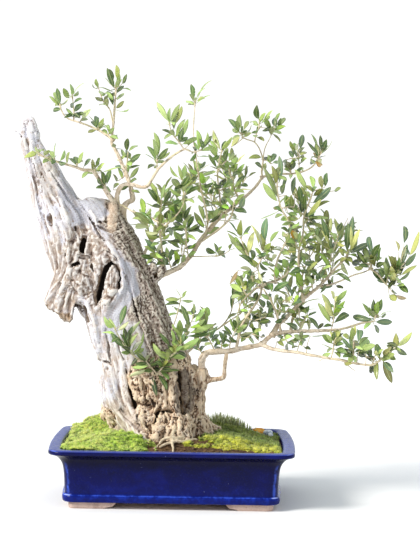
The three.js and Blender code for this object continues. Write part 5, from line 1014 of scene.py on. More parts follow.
def inside_outline(s, outline, soft=4.0):
    """1 inside an outline of the picture, falling to 0 over a soft edge."""
    o = np.array(outline, float)
    x, y = s[:, 0], s[:, 1]
    inside = np.zeros(len(s), bool)
    dist = np.full(len(s), 1e9)
    for a, b in zip(o, np.roll(o, -1, 0)):
        cond = (a[1] > y) != (b[1] > y)
        with np.errstate(divide="ignore", invalid="ignore"):
            hit = x < (b[0] - a[0]) * (y - a[1]) / (b[1] - a[1] if b[1] != a[1] else 1e-9) + a[0]
        inside ^= cond & hit
        d = b - a
        t = np.clip((s - a) @ d / max(d @ d, 1e-9), 0, 1)
        dist = np.minimum(dist, np.linalg.norm(s - a - t[:, None] * d, axis=1))
    signed = np.where(inside, dist, -dist)
    return step(-soft, soft, signed)


# Regions of the picture: dead wood, its knotted middle, its smooth band, and the rough bark of the base.
DEAD = [(10, 110), (60, 110), (70, 185), (79, 199), (86, 195), (104, 200), (103, 226), (112, 240), (124, 258), (138, 272), (141, 290), (134, 300), (128, 309), (127, 319), (136, 326), (145, 334), (148, 345), (145, 355), (133, 363), (127, 371), (128, 384), (134, 404), (150, 446), (120, 452), (96, 430), (92, 380), (84, 340), (30, 340), (30, 270), (10, 130)]
GNARL = [(70, 228), (88, 226), (102, 236), (117, 256), (121, 272), (119, 292), (108, 306), (98, 310), (86, 300), (70, 282), (62, 262)]
SMOOTH = [(60, 172), (70, 186), (80, 197), (92, 216), (101, 234), (113, 246), (124, 260), (140, 274), (141, 290), (133, 300), (126, 309), (125, 320), (121, 334), (113, 345), (106, 342), (101, 330), (105, 312), (117, 298), (121, 284), (119, 268), (108, 254), (98, 242), (86, 232), (78, 228), (68, 215), (60, 200), (56, 185)]
BASE = [(94, 406), (110, 400), (120, 388), (124, 372), (135, 362), (165, 355), (200, 352), (212, 350), (240, 345), (240, 440), (200, 458), (94, 458)]
HOLLOW_WOOD = [(176, 372), (186, 368), (193, 376), (195, 392), (192, 410), (184, 416), (177, 412), (174, 398), (176, 386)]
LIP = [(80, 199), (88, 210), (96, 224), (104, 236), (114, 248), (124, 262), (134, 271)]
NECK = [(113, 205), (112.6, 217), (111.5, 228)]
TORN = [(42, 301), (50, 308), (58, 315), (66, 317), (75, 313), (80, 326), (60, 328), (44, 318)]
SHOULDER = [(76, 192), (90, 188), (103, 200), (107, 213), (100, 219), (92, 214), (82, 204)]
LEFT_ROOT = [(96, 404), (106, 405), (116, 414), (116, 436), (96, 436)]


def drawn(P, D, size, seed, reach, n=9):
    """Noise drawn out along the fibres: the mean over a short run of them on both sides of each point."""
    out = 0
    for s in np.linspace(-reach, reach, n):
        out = out + (1 - 0.65 * abs(s) / reach) * value_noise(P + D * s, size, seed)
    return out / out.std()


def drawn_lumps(P, D, size, seed, reach, n=5):
    """Rounded lumps drawn out along the fibres, with sharp creases between them."""
    out = 0
    for s in np.linspace(-reach, reach, n):
        out = out + np.abs(value_noise(P + D * s, size, seed)) + 0.5 * np.abs(value_noise(P + D * s * 0.6, size * 0.45, seed + 1))
    return (out - out.mean()) / out.std()


def billow(P, size, seed, octaves=3, gain=0.5):
    """Rounded lumps with sharp creases between them, about 0."""
    out, amp = 0, 1.0
    s = np.asarray(size, float)
    for o in range(octaves):
        out = out + amp * (3.2 * np.abs(value_noise(P, s, seed + 13 * o)) - 1)
        amp *= gain
        s = s / 2.1
    return out


def warped(P, size, much, seed):
    return P + much * np.stack([value_noise(P, size, seed + k) for k in range(3)], 1)


def build_trunk():
    cut, add = measure_features()
    V, Q = surface(lambda P: trunk_wood(P, cut, add), [-285, -150, 78], [215, 125, 650], TRUNK_PITCH)
    V, Q = biggest_piece(V, Q)
    e = rings(V, Q)
    one = np.ones(len(e))
    V = np.stack([spread(V[:, k], e, one, 1, 0.45) for k in range(3)], 1)
    N = normals(V, Q)
    depth = -solid_wood(V)
    s = seen(V)
    facing = step(-0.25, 0.25, -N[:, 1])
    d_live, d_jin = oval_strand(V, WOOD["live"]), oval_strand(V, WOOD["jin"])
    jinness = step(0, 14, d_live - d_jin - 4)
    jinness = np.maximum(jinness, step(6, 14, -np.minimum(oval_strand(V, WOOD["knob"]), oval_strand(V, WOOD["rimleft"])) + 14) * step(0.0, 8.0, -V[:, 0] - 150))
    dead_back = np.maximum(jinness, step(545, 560, V[:, 2]))
    # the edges of the regions wander
    w = s + 3.0 * np.stack([value_noise(V, 13.0, 301), value_noise(V, 13.0, 302)], 1) + 1.2 * np.stack([value_noise(V, 5.0, 303), value_noise(V, 5.0, 304)], 1)
    left_root = facing * inside_outline(w, LEFT_ROOT, 2.0)
    dead = (facing * inside_outline(w, DEAD, 2.2) + (1 - facing) * dead_back) * (1 - left_root)
    gnarl = facing * inside_outline(w, GNARL, 5.0)
    shoulder = inside_outline(w, SHOULDER, 2.0) * step(0.55, 0.1, N[:, 1])
    dead = np.maximum(dead, shoulder)
    # band: the smooth band, whose lilac grey in the wood's look is partly painted shade
    band = np.maximum(facing * inside_outline(w, SMOOTH, 3.5) * (1 - gnarl), 0.7 * shoulder)
    base = facing * inside_outline(w, BASE, 7.0) + (1 - facing) * step(250, 170, V[:, 2])
    base = np.maximum(base, left_root)
    # the inside of the big hollow, painted dark: partly its grey inner wood, partly painted shade
    inner = facing * inside_outline(w, HOLLOW_WOOD, 2.5)
    lip = facing * np.maximum(near_line(w, LIP, 4.2) * (1 - band), 0.85 * near_line(s, NECK, 7.0))
    torn = facing * inside_outline(w, TORN, 2.0)
    shank = np.min([np.full(len(V), 30.0)] + [rod(V, line, 30.0) for line in CREEP], 0)
    root = step(2.4, 0.4, shank)
    D = fibre_way(V, N)
    f3, f5, f9, f17 = [drawn(V, D, size, seed, reach) for size, seed, reach in ((2.6, 11, 8), (4.6, 12, 14), (8.5, 13, 22), (17.0, 14, 32))]
    # dead wood: fibres at four widths, split by long narrow cracks
    part = drawn(V, D, 6.5, 15, 24)
    crack = (1 - step(0.0, 0.2, np.abs(part))) * step(0.16, 0.6, value_noise(V, 26, 16) + 0.2 * gnarl)
    dead_h = (0.3 * f3 + 0.42 * f5 + 0.62 * f9 + 1.0 * f17 - 1.6 * crack) * (1 - 0.62 * band)
    bent = warped(V, 26.0, 9.0, 61)
    crumple = billow(bent, 25.0, 71, 2, 0.35)
    gather = -billow(warped(V, 12.0, 4.0, 66), 11.0, 76, 3, 0.55)
    ear = step(0, 10, d_live - oval_strand(V, WOOD["knob"]) - 6) * step(470, 440, V[:, 2])
    dead_h = dead_h + gnarl * (1.9 * crumple + 1.0 * gather + 0.3 * f5 + 0.3 * f3) + ear * (1 - gnarl) * (0.25 * crumple + 0.25 * gather + 0.5 * f9 + 0.3 * f5)
    dead_h = dead_h + torn * (2.2 * fractal(V, 6.5, 81, 2) + 0.8 * f3)
    # live bark: long plates with a net of cracks that runs with the fibres
    net = drawn(warped(V, 8.0, 1.6, 67), D, 5.6, 21, 13)
    net2 = drawn(V, D, 3.6, 22, 8)
    slit = (1 - step(0.0, 0.36, np.abs(net))) * (0.35 + 0.65 * step(-0.2, 0.35, value_noise(V, 19, 25)))
    slit2 = (1 - step(0.0, 0.5, np.abs(net2))) * (1 - slit)
    flake = -billow(warped(V, 9.0, 2.5, 69) - D * (D * V).sum(1)[:, None] * 0.45, 6.5, 79, 2, 0.6)
    bark_h = 0.5 - 1.25 * slit - 0.8 * slit2 + 0.75 * flake + 0.35 * f3 + 0.4 * f5 + 0.6 * f9 + 1.0 * f17 + 1.5 * fractal(V, 34, 23, 2)
    bark_h = bark_h * (1 - 0.65 * lip) + 0.8 * lip
    # the foot: burls and ribs, warm and rough
    nub = billow(warped(V, 20.0, 7.0, 64) * np.array([1, 1, 0.6]), 27.0, 74, 2, 0.4)
    rib = drawn(V, D, 12.0, 24, 20)
    rough = fractal(V, 5.6, 26, 3)
    crag = fractal(warped(V, 30.0, 8.0, 68), 15.0, 27, 4)
    base_h = 2.2 * nub + 0.8 * flake + 1.6 * rib + 1.7 * crag - 0.9 * slit * step(0.4, -0.2, crag) + 1.9 * rough + 0.5 * f5 + 0.5 * f3
    live_h = bark_h * (1 - base) + base_h * base
    h = (dead_h * dead + live_h * (1 - dead)) * (1 - root) + root * (0.12 * f3 + 0.15 * f5)
    h = h + 2.0 * inner * crag
    h = h * (1 - 0.85 * step(4.5, 1.0, oval_strand(V, WOOD["hook"])))  # the dead hook on the right is smooth
    h = np.clip(h, -7, 7) * (1 - 0.65 * step(3.0, 9.0, depth) * (1 - inner))
    fold = spread(h, e, one, 4, 0.4)
    far_ = spread(h, e, one, 18, 0.4)
    V = V + N * h[:, None]
    # how deep a point lies in a hole, for the painted shade there
    hole_depth_shade = step(1.5, 15.0, depth)
    near_gap = np.clip((fold - h) / 0.9, -1, 1)
    wide_gap = np.clip((far_ - h) / 2.6, -1, 1)
    # the creases of the surface itself, as for the rim of a hole; with the gaps above they set where shade is painted
    # into creases and light onto ridges
    lap = ((np.stack([spread(V[:, k], e, one, 6, 0.4) for k in range(3)], 1) - V) * normals(V, Q)).sum(1)
    crease = np.clip(lap / 1.1, -1, 1)
    # high in creases and gaps, where shade is painted, and low on ridges, where light is painted
    crease_shade_and_ridge_light = np.clip(0.5 + 0.22 * near_gap + 0.2 * wide_gap + 0.16 * crease, 0, 1)
    wood = np.stack([dead, hole_depth_shade, crease_shade_and_ridge_light, base], 1)
    tone = np.stack([band, np.maximum(gnarl, 0.85 * ear), np.clip(0.5 + 0.16 * f9, 0, 1), np.clip(0.5 + 0.16 * f3, 0, 1)], 1)
    inner_torn_lip_root = np.stack([inner, np.maximum(torn, 0.12 * ear), lip, root], 1)
    return V, Q, dict(wood=wood, tone=tone, inner_torn_lip_root=inner_torn_lip_root, grain=D)


# ---------------------------------------------------------------- limbs, twigs and leaves
# Branches: (name, the part they belong to, radius at the start and at the end in mm, points)
BRANCHES = [
    ("B1", "limb_crown", 5.4, 1.3, [(-93.7, 0, 479.9), (-90.3, -4, 495.3), (-83.5, -6, 503.1), (-75.9, -6, 508.3), (-77.9, -3, 521), (-82.7, 2, 539.7), (-95.5, 12, 568.5), (-106.5, 19, 590.7), (-113.7, 22, 602.6), (-114, 24, 616.4), (-111.8, 25, 638.7), (-109.3, 22, 677.9), (-108, 20, 693.1)]),
    ("B2", "limb_upper_left", 2.3, 1.1, [(-113.4, 23, 611.2), (-126.4, 30, 619.8), (-139.1, 38, 626.7), (-157.1, 48, 634.6), (-175.2, 57, 640.7), (-189.6, 63, 645), (-200.5, 67, 652.8), (-207.8, 70, 666.7)]),
    ("B3", "limb_left", 6.3, 1.1, [(-109.3, 12, 453.8), (-106.3, -13, 483.2), (-107.1, -24, 503.6), (-116.1, -32, 517), (-124.4, -38, 530.3), (-134.3, -44, 546.8), (-142.5, -48, 555.9), (-155.6, -53, 556.4), (-175.3, -58, 562.7), (-198.3, -63, 568.9), (-218.1, -66, 576), (-231.3, -68, 579.8)]),
    ("B4", "limb_arch", 4.6, 1.5, [(-101.9, -10, 495.1), (-101.7, -17, 512.1), (-97.3, -24, 526.6), (-87.8, -31, 534), (-73.9, -39, 533.1), (-60.2, -45, 529.6), (-49.1, -50, 531.5), (-41.6, -55, 543.3), (-31.6, -60, 559.2), (-20, -65, 571), (-5.1, -69, 583.6), (11.4, -71, 592.9), (21.4, -70, 590.6)]),
    ("J", "branch_right_upper", 5.4, 2.3, [(-51.3, 8, 362.3), (-37.5, 3, 371.4), (-22.2, 0, 381.2), (-7, 0, 387.4), (8.2, 2, 396.2), (21.6, 6, 410.8), (31.6, 9, 424.5), (41.6, 12, 441.8), (53.4, 16, 455.6), (71.9, 23, 478.1), (92.3, 31, 496.4), (112.8, 40, 513), (126.6, 47, 525.4), (136.9, 53, 536.8), (145.5, 58, 550)]),
    ("JX", "twig_top_right", 2.2, 1.2, [(146.4, 58, 550.9), (159.5, 62, 554.6), (177, 66, 556.7), (196.3, 70, 557.4), (210.4, 74, 559.9), (224.4, 77, 564.6), (234.9, 79, 571.7), (243.5, 80, 584.1)]),
    ("JR", "twig_riser", 2, 0.9, [(43.3, 11, 443.5), (50.8, 6, 458.3), (52.2, 0, 475.5), (48.5, -4, 495.9), (43.1, -8, 516.2), (38.4, -10, 539.9), (34.7, -12, 560.2), (31, -12, 580.4), (27.2, -10, 604.1), (25.9, -8, 631.2), (27.1, -6, 658.4), (27.7, -6, 673.6)]),
    ("JL", "twig_upper_fork", 2.4, 1.4, [(40, 10, 437.5), (51.9, 6, 445.5), (70.4, -6, 458.9), (83.7, -14, 471.1), (92, -20, 482.4), (95.1, -24, 491.8)]),
    ("G", "twig_front_upper", 2.3, 1.1, [(-21.3, -6, 385.8), (-22.8, -16, 403.2), (-23.9, -24, 423.8), (-26.6, -32, 446), (-30.9, -38, 464.6), (-32.7, -42, 481.4), (-26.9, -46, 495)]),
    ("TW", "twig_front_thin", 1.5, 0.9, [(-98.2, -17, 500.4), (-87.3, -30, 495.6), (-73, -45, 488.4), (-57.3, -58, 484.6), (-40, -72, 476.7), (-26.3, -82, 470.4), (-16.1, -90, 465.8)]),
    ("R", "branch_right_lower", 6.4, 1.6, [(50.7, 0, 208.3), (46, -5, 224.2), (47.1, -12, 239.3), (55.2, -16, 249.4), (73.8, -22, 252.8), (94.1, -28, 254.6), (112.6, -32, 259.5), (131.1, -36, 263.6), (147.8, -40, 268.4), (156, -43, 277.3), (165.8, -46, 284.8), (179.2, -48, 288.9), (195.9, -50, 291), (215.9, -52, 292.2), (241.1, -52, 293.3), (266.4, -50, 294.9), (286.8, -47, 298.1), (303.8, -43, 303.1), (317.5, -40, 307.2), (334.7, -36, 309.4)]),
    ("R2", "branch_front_lower", 3.4, 1.7, [(147.8, -40, 267.6), (164.4, -50, 261.5), (184.2, -62, 259.2), (205.3, -76, 258.5), (223.1, -86, 256), (241, -94, 254.1), (260.4, -101, 251.4), (278.3, -106, 249.6), (294.6, -109, 246.1), (310.9, -112, 243.7), (327.3, -113, 243.1), (340.5, -111, 250.6)]),
    ("R3", "branch_rising", 4.2, 1.6, [(165.8, -46, 286.2), (175.8, -40, 303.6), (187.7, -34, 312.7), (201.3, -26, 327.6), (215.1, -18, 340.9), (227.3, -9, 351.7), (241.2, 0, 362.5), (255.3, 10, 375.1), (265.9, 18, 386.9), (276.6, 26, 398.8), (288.9, 33, 409.9), (296, 37, 418.6)]),
    ("R4", "twig_rising_fork", 2.3, 1.5, [(179.1, -48, 289.9), (175.2, -55, 304.7), (170.5, -62, 321.1), (163.1, -71, 339.2), (154.3, -78, 352.8), (147.3, -83, 363.8)]),
    ("R5", "branch_middle", 2.6, 1.9, [(104.2, -30, 257.5), (107.2, -35, 274.1), (111, -40, 293.2), (118.2, -45, 310.6), (128.8, -50, 326.3), (138.4, -55, 342.8), (143.9, -59, 357.4), (145.3, -62, 368.5)]),
    ("R5b", "branch_middle", 2.4, 1.5, [(145.3, -62, 368.5), (156.2, -60, 372.7), (168.8, -57, 376.5), (180.6, -53, 382.9), (188.9, -50, 390.4)]),
    ("R5c", "branch_middle", 1.8, 0.9, [(144.5, -62, 365.9), (135.4, -60, 363.2), (125.6, -56, 355.2), (116.7, -50, 344.6), (109.4, -45, 333.2), (105.6, -40, 316.8)]),
    ("R6", "twig_far_right", 2, 1.3, [(244.7, 2, 365), (257.1, 8, 366.6), (271.1, 14, 370), (290.3, 20, 377.8), (306.1, 25, 384.7), (320, 28, 388.6), (332.2, 31, 393.5), (339.2, 32, 397)]),
    ("V2", "twig_far_right", 1.6, 1.3, [(335.7, 31, 394.4), (344.7, 34, 389.2), (353.8, 37, 379.7), (363, 40, 368.5), (372, 42, 364.2)]),
    ("T", "twig_middle_tall", 2.1, 1, [(167.9, -57, 376.1), (167.1, -50, 390.9), (171.2, -42, 410.8), (178.8, -35, 427.6), (187.2, -28, 446.1), (191.3, -24, 461.3), (188.6, -20, 478.1), (180, -17, 491.4), (174.8, -15, 504.1), (171.1, -12, 521.8), (169.2, -10, 537)]),
    ("T2", "twig_centre_tall", 2.5, 1, [(216.8, -17, 342.6), (215.2, -8, 359.1), (211, 1, 380.8), (209.2, 7, 404.5), (209.8, 11, 424.9), (213.9, 15, 443.7), (217.2, 18, 460.8), (216.7, 21, 477.9), (221.2, 24, 495.1), (228.7, 27, 512.4), (231.9, 28, 526.2)]),
    ("M", "twig_upper_rise", 1.9, 1, [(78.7, 24, 485), (74.9, 17, 499.6), (72, 9, 520.1), (69, 2, 540.5), (68, -3, 560.8), (71.7, -7, 581.2), (74.9, -9, 593.9)]),
    ("M2", "twig_upper_side", 1.8, 1, [(107.7, 38, 509.5), (101.4, 33, 520.6), (95.9, 28, 534.3), (91.2, 23, 551.3), (87.6, 20, 563.2)]),
    ("L", "twig_top_middle", 1.7, 0.9, [(145.5, 58, 550.8), (145, 60, 564.7), (146.8, 62, 580.4), (140.4, 63, 599.4), (131.5, 61, 611), (118.3, 57, 615.3), (108.6, 54, 619.4)]),
    ("K1", "limb_back_upper", 3.4, 1.2, [(-63.5, 40, 400.3), (-54.2, 62, 420.5), (-43, 84, 441.1), (-28.2, 106, 463.7), (-11.3, 124, 486.8), (5.9, 138, 508.3)]),
    ("K2", "twig_back_middle", 2.4, 1.1, [(48.3, 14, 449.5), (58.3, 44, 466.3), (72, 74, 486.9), (84.1, 98, 506.2), (92.8, 118, 524)]),
    ("K3", "twig_back_lower", 2.8, 1.1, [(195.8, -50, 292.1), (199.3, -6, 305.7), (206.8, 18, 331.7), (212.7, 42, 356.3), (220.6, 70, 382.9), (231.9, 94, 410.2)]),
    ("K4", "twig_back_right", 2.4, 1.1, [(230.7, -7, 355), (250.5, 40, 366.6), (261.4, 58, 401.6), (269.8, 84, 421.7), (279.7, 104, 437.1)]),
    ("K5", "limb_back_low", 3, 1.1, [(4.9, 48, 230.4), (25.2, 72, 246.1), (51.1, 92, 266), (80.8, 108, 286.5), (112.6, 120, 307.5)]),
]
# Sprays: (name, part, parent branch, stems, leaves). A leaf is (root on the stem, base of the blade, tip, upper side's normal,
# width), its kind of green, the stem it grows on (-1 for the parent branch) and 1 or 2 for a leaf that fills the inside or the back.
SPRAYS = [
    ("top_a", "limb_crown", "B1", [[(-112.3, 25, 635.3), (-118.2, 27, 660.9), (-128.8, 28, 673.6), (-135.8, 28, 689.7), (-139.4, 28, 701.6)], [(-108.8, 21, 684.6), (-108.1, 20, 698.2)]], [
        ((-108.1, 20, 698, -111.4, 19, 698.1, -123.2, 8.6, 731.2, -.10, -.94, -.33, 10.6), "d", 1, 0),
        ((-108.1, 20, 698.2, -113.3, 19.6, 708.3, -119.6, 4.7, 729.3, .75, -.62, -.22, 7.6), "d", 1, 0),
        ((-108.1, 20, 698.2, -106.6, 20.5, 713.6, -107.5, 1, 736, .48, -.67, -.56, 9.2), "y", 1, 0),
        ((-108.2, 20.1, 696.6, -106.4, 22, 696.7, -103, 14.1, 723.4, -.34, -.91, -.23, 8.4), "g", 1, 0),
        ((-108.2, 20.2, 694.8, -108.1, 21.3, 694.9, -99.3, 44, 715.3, -.29, -.57, .77, 8), "g", 1, 0),
        ((-108.1, 20, 698.2, -97.9, 20.4, 705.2, -88.3, -5.5, 720.6, -.75, -.52, -.41, 9), "d", 1, 0),
        ((-108.1, 20, 698.2, -116.6, 17.9, 703.1, -128.5, 41.2, 718, .67, -.13, .73, 5.5), "g", 1, 0),
        ((-108.2, 20.2, 695.2, -102.9, 20.8, 695, -81.4, -0.3, 694, -.21, -.25, .94, 6), "g", 1, 0),
        ((-109.8, 22.7, 669.1, -113, 23.6, 669.4, -125.5, 53.6, 696.5, .11, -.64, .76, 10.9), "u", -1, 0),
        ((-109.3, 22, 677.6, -112.9, 19.7, 677.7, -123, 42, 692.5, -.06, -.57, .82, 8.8), "g", -1, 0),
        ((-108.8, 21, 684.6, -106.1, 21.3, 677.9, -95.9, 52.1, 691.8, -.08, -.39, .92, 8.9), "g", 1, 0),
        ((-110.1, 23, 664.4, -107.6, 20.9, 664.2, -93, -1.3, 675.2, -.74, -.62, -.26, 7.8), "o", -1, 0),
        ((-125.2, 27.7, 669.4, -125.2, 26.9, 669.3, -138.9, 52.2, 670.4, -.26, -.18, .95, 6.7), "g", 0, 0),
        ((-110.3, 23.3, 661, -107.8, 25, 661, -84.5, 3.2, 662, -.10, -.16, -.98, 6.5), "g", -1, 0),
        ((-138.5, 28, 698.5, -139.3, 26.2, 698.1, -141.3, 2.4, 711.8, -.31, -.46, -.83, 8), "g", 0, 0),
        ((-108.4, 20.5, 691.1, -113.3, 22.8, 691.5, -136.4, 7.7, 698.7, .50, -.40, .77, 5.6), "g", 1, 0),
        ((-138.5, 28, 698.5, -139.4, 27.8, 698.2, -148, 2.9, 703.3, -.35, -.07, -.93, 5.5), "d", 0, 0),
        ((-134.3, 28, 686.2, -134.2, 30.7, 686.5, -120.6, 2.9, 690.2, -.85, -.37, .38, 7.7), "g", 0, 0),
        ((-108.5, 20.6, 689.9, -106.2, 19.2, 689.7, -95.7, 44.7, 703.4, .23, -.53, .82, 7.7), "d", 1, 0),
        ((-130, 28, 676.4, -130.7, 30.9, 676.3, -142.4, 0.4, 681.2, .49, -.32, -.81, 8.8), "o", 0, 0),
        ((-108.2, 20.2, 696, -108.2, 20.2, 696, -118.2, 52.5, 697.6, -.30, -.14, .94, 7.8), "d", 1, 1),
        ((-137.1, 28, 693.7, -137.1, 28, 693.7, -131.7, -5.1, 686, .09, -.21, .97, 9.2), "g", 0, 1),
        ((-128.9, 28, 674, -128.9, 28, 674, -120.7, 3.4, 685.7, -.44, .26, .86, 9), "d", 0, 1),
        ((-108.5, 20.5, 691, -108.5, 20.5, 691, -114.3, 48.7, 684.8, .06, .23, .97, 9.1), "d", 1, 1),
        ((-121.9, 27.4, 665.4, -121.9, 27.4, 665.4, -121.1, -7.2, 679.1, -.33, .34, .88, 9.1), "o", 0, 1),
        ((-108.2, 20.1, 696.7, -108.2, 20.1, 696.7, -102.5, -8.1, 710.2, -.43, .32, .85, 8.4), "g", 1, 1),
    ]),
    ("b2_tip", "limb_upper_left", "B2", [[(-206, 69, 663.2), (-208, 71, 673.7)], [(-182.4, 60, 642.4), (-182.8, 58, 661.3), (-185.2, 57, 681.9), (-186.2, 57, 688.8)]], [
        ((-207.7, 70.7, 672, -207.7, 67.8, 671.8, -215.2, 88.7, 700.6, .22, -.76, .61, 9.8), "d", 0, 0),
        ((-208, 71, 673.7, -209.7, 70.2, 673.6, -221.2, 97.8, 694.1, .04, -.58, .81, 9.8), "g", 0, 0),
        ((-207.1, 70.1, 669.1, -211.4, 71, 668.4, -229.8, 97, 686.9, .03, -.57, .82, 7.5), "g", 0, 0),
        ((-185.3, 57, 682.7, -191.4, 58.7, 681.9, -199.5, 29.4, 697.3, .68, -.48, -.56, 10.9), "g", 1, 0),
        ((-185.7, 57, 685.4, -186, 54.8, 685.2, -191.3, 73.9, 707.1, .58, -.54, .61, 9), "g", 1, 0),
        ((-185.5, 57, 683.5, -184.4, 57.3, 683.7, -194.6, 34.3, 682.2, .16, -.13, .98, 5.4), "g", 1, 0),
        ((-185.7, 57, 685.2, -184.6, 59, 685.5, -176.2, 84, 694, .95, -.31, -.04, 7.8), "g", 1, 0),
        ((-186.1, 57, 688.4, -182.9, 59.5, 689, -165, 48.4, 707.6, -.77, -.28, .58, 6), "g", 1, 0),
        ((-183.2, 57.8, 664.9, -184.2, 58, 664.7, -185.5, 29.5, 670.2, .79, -.15, -.59, 10.2), "d", 1, 0),
        ((-182.7, 58.4, 657.9, -182.5, 58.7, 657.9, -166.6, 29, 670.5, -.63, -.56, -.53, 10.3), "d", 1, 0),
        ((-182.7, 58.7, 654.5, -184.3, 60.4, 654.5, -169.6, 28.5, 646.4, -.56, -.44, .70, 10.4), "k", 1, 0),
        ((-182.5, 59.5, 647.5, -180.6, 59.2, 647.6, -161.5, 33.4, 655.3, -.81, -.58, .06, 8.3), "d", 1, 0),
        ((-182.5, 59.3, 649.3, -184.4, 61.9, 649.4, -197.3, 31.5, 646.1, .80, -.39, .46, 7.7), "d", 1, 0),
        ((-171, 54.9, 639.2, -168.3, 56.6, 647.7, -150.6, 23.1, 661.9, -.65, -.56, -.52, 9.6), "n", -1, 0),
        ((-172.5, 55.7, 639.8, -171.8, 58.4, 642.5, -159.9, 85, 647.3, .57, -.39, .73, 8.3), "g", -1, 0),
        ((-201.2, 67.3, 654.2, -200.3, 65.5, 654.5, -188.3, 89.4, 652.3, .60, -.23, .76, 6.4), "d", -1, 0),
        ((-206, 69, 663.2, -204.2, 69.1, 663.2, -222, 91.8, 662.3, -.77, -.59, .23, 9.2), "d", 0, 0),
        ((-184, 57.5, 671.7, -184.2, 56.1, 671.6, -167.1, 34.2, 679.3, -.79, -.50, .35, 8.2), "d", 1, 0),
        ((-182.6, 59.1, 651, -182.5, 60.3, 651.1, -198.2, 80, 665.6, .07, -.56, .83, 7.5), "g", 1, 0),
        ((-207.4, 70.4, 670.3, -207.4, 70.4, 670.3, -219.1, 97.2, 682.9, -.17, -.48, .86, 9.4), "d", 0, 1),
        ((-206.8, 69.8, 667.2, -206.8, 69.8, 667.2, -214.1, 101.2, 675.7, .18, -.22, .96, 9.3), "d", 0, 1),
        ((-207.6, 70.6, 671.4, -207.6, 70.6, 671.4, -221.6, 95.1, 683.6, .29, -.29, .91, 8.8), "g", 0, 1),
        ((-207.5, 70.5, 670.8, -207.5, 70.5, 670.8, -197.1, 104.1, 683.9, -.30, -.27, .92, 7.8), "n", 0, 1),
        ((-207, 70, 668.4, -207, 70, 668.4, -218.2, 100.4, 670.6, .18, -.01, .98, 9.4), "g", 0, 1),
        ((-207.4, 70.3, 670.2, -207.4, 70.3, 670.2, -209.1, 107.8, 672, -.01, -.05, 1.00, 8.4), "g", 0, 1),
    ]),
    ("b2_mid", "limb_upper_left", "B2", [[(-137.3, 37, 626.7), (-139.1, 37, 631.9)], [(-119.2, 26, 614.6), (-120.2, 27, 621.5)]], [
        ((-139.1, 37, 631.9, -140.6, 34.5, 631.7, -144.9, 68.8, 652.1, .18, -.49, .86, 9.4), "d", 0, 0),
        ((-138.7, 37, 630.8, -140.6, 34.8, 630, -153.1, 62.5, 643, -.11, -.46, .88, 7.8), "d", 0, 0),
        ((-138.5, 37, 630.3, -139.2, 38.6, 630.2, -127.7, 16.5, 646.6, -.61, -.65, -.45, 8.3), "g", 0, 0),
        ((-138.7, 37, 630.8, -140.8, 37.3, 630.1, -154.1, 26.6, 650, .86, -.28, .42, 6.1), "g", 0, 0),
        ((-138.5, 37, 630.3, -139, 36.4, 630.1, -126.8, 61.3, 631.3, .22, -.15, .96, 6.4), "g", 0, 0),
        ((-120, 26.8, 619.9, -121, 25.9, 619.8, -132.9, 49.5, 627.3, -.46, -.47, .75, 7.6), "g", 1, 0),
        ((-120.2, 27, 621.4, -119.5, 29.2, 621.6, -128.4, 58.2, 634.6, .11, -.38, .92, 7.9), "g", 1, 0),
        ((-120, 26.7, 619.7, -119.5, 29.5, 619.9, -109.3, -2.1, 629.1, -.79, -.39, -.47, 8.4), "b", 1, 0),
        ((-113.7, 23.2, 611.5, -113.9, 23, 611.2, -106.9, 50.6, 619.1, .96, -.27, .08, 7.8), "g", -1, 0),
        ((-137.8, 37, 628.3, -142.3, 34.1, 626.5, -154.1, 8.3, 620.3, .39, -.38, .84, 7.8), "o", 0, 0),
        ((-119.5, 26.2, 616.1, -117.5, 25.6, 616.4, -102.3, -0.5, 610.7, -.33, -.38, .86, 9.2), "g", 1, 0),
        ((-137.9, 37, 628.4, -137.9, 37, 628.4, -129.2, 72.4, 633.9, .27, -.21, .94, 7.7), "g", 0, 1),
        ((-139, 37, 631.6, -139, 37, 631.6, -129.8, 7, 637.5, .01, .19, .98, 10.5), "g", 0, 1),
        ((-139.1, 37, 631.8, -139.1, 37, 631.8, -139.2, 72, 628.6, -.21, .09, .97, 8.1), "d", 0, 1),
    ]),
    ("b3_tip", "limb_left", "B3", [[(-221.5, -66, 576.7), (-234.5, -70, 586.4)], [(-204.9, -64, 570.4), (-204.8, -66, 577)]], [
        ((-232.7, -69.4, 585, -232.9, -68.7, 584.8, -251.1, -99.4, 573.9, .59, -.56, .58, 10.9), "y", 0, 0),
        ((-222.2, -66.2, 577.3, -221.5, -65.7, 578.4, -210.4, -96.6, 587.8, -.07, -.31, -.95, 8.6), "g", 0, 0),
        ((-221.5, -66, 576.7, -218.3, -64, 575.2, -211.2, -31.8, 570.9, -.71, .24, .66, 10.6), "w", 0, 0),
        ((-204.9, -65, 573.7, -206.5, -65, 573.7, -214.3, -37.2, 587.5, .19, -.40, .90, 8.6), "g", 1, 0),
        ((-204.9, -65, 573.7, -203.1, -66.8, 573.7, -203, -52.2, 600.7, -.93, -.32, .18, 6.8), "g", 1, 0),
        ((-204.9, -65, 573.7, -204.9, -64.1, 573.7, -207.2, -93.1, 564.9, .68, -.26, .69, 9.6), "d", 1, 0),
        ((-195.7, -62.4, 568.2, -194.9, -63.8, 570.6, -189.2, -36.8, 589.6, .82, -.44, .37, 8.7), "g", -1, 0),
        ((-183.8, -59.8, 565, -183.8, -57.5, 565.9, -177.3, -77.8, 585.5, -.80, -.53, -.28, 9.2), "g", -1, 0),
        ((-227.2, -67.8, 581, -227.8, -69.2, 579.9, -240.4, -45.3, 593.6, -.89, -.45, -.03, 9.1), "g", 0, 0),
        ((-198.3, -63, 568.9, -198.5, -61.1, 568.9, -182.8, -88.7, 567, -.84, -.46, -.27, 9), "d", -1, 0),
        ((-214.4, -65.4, 574.6, -214.8, -65.5, 573.5, -220.4, -92.6, 566.3, .49, -.32, .81, 7.9), "g", -1, 0),
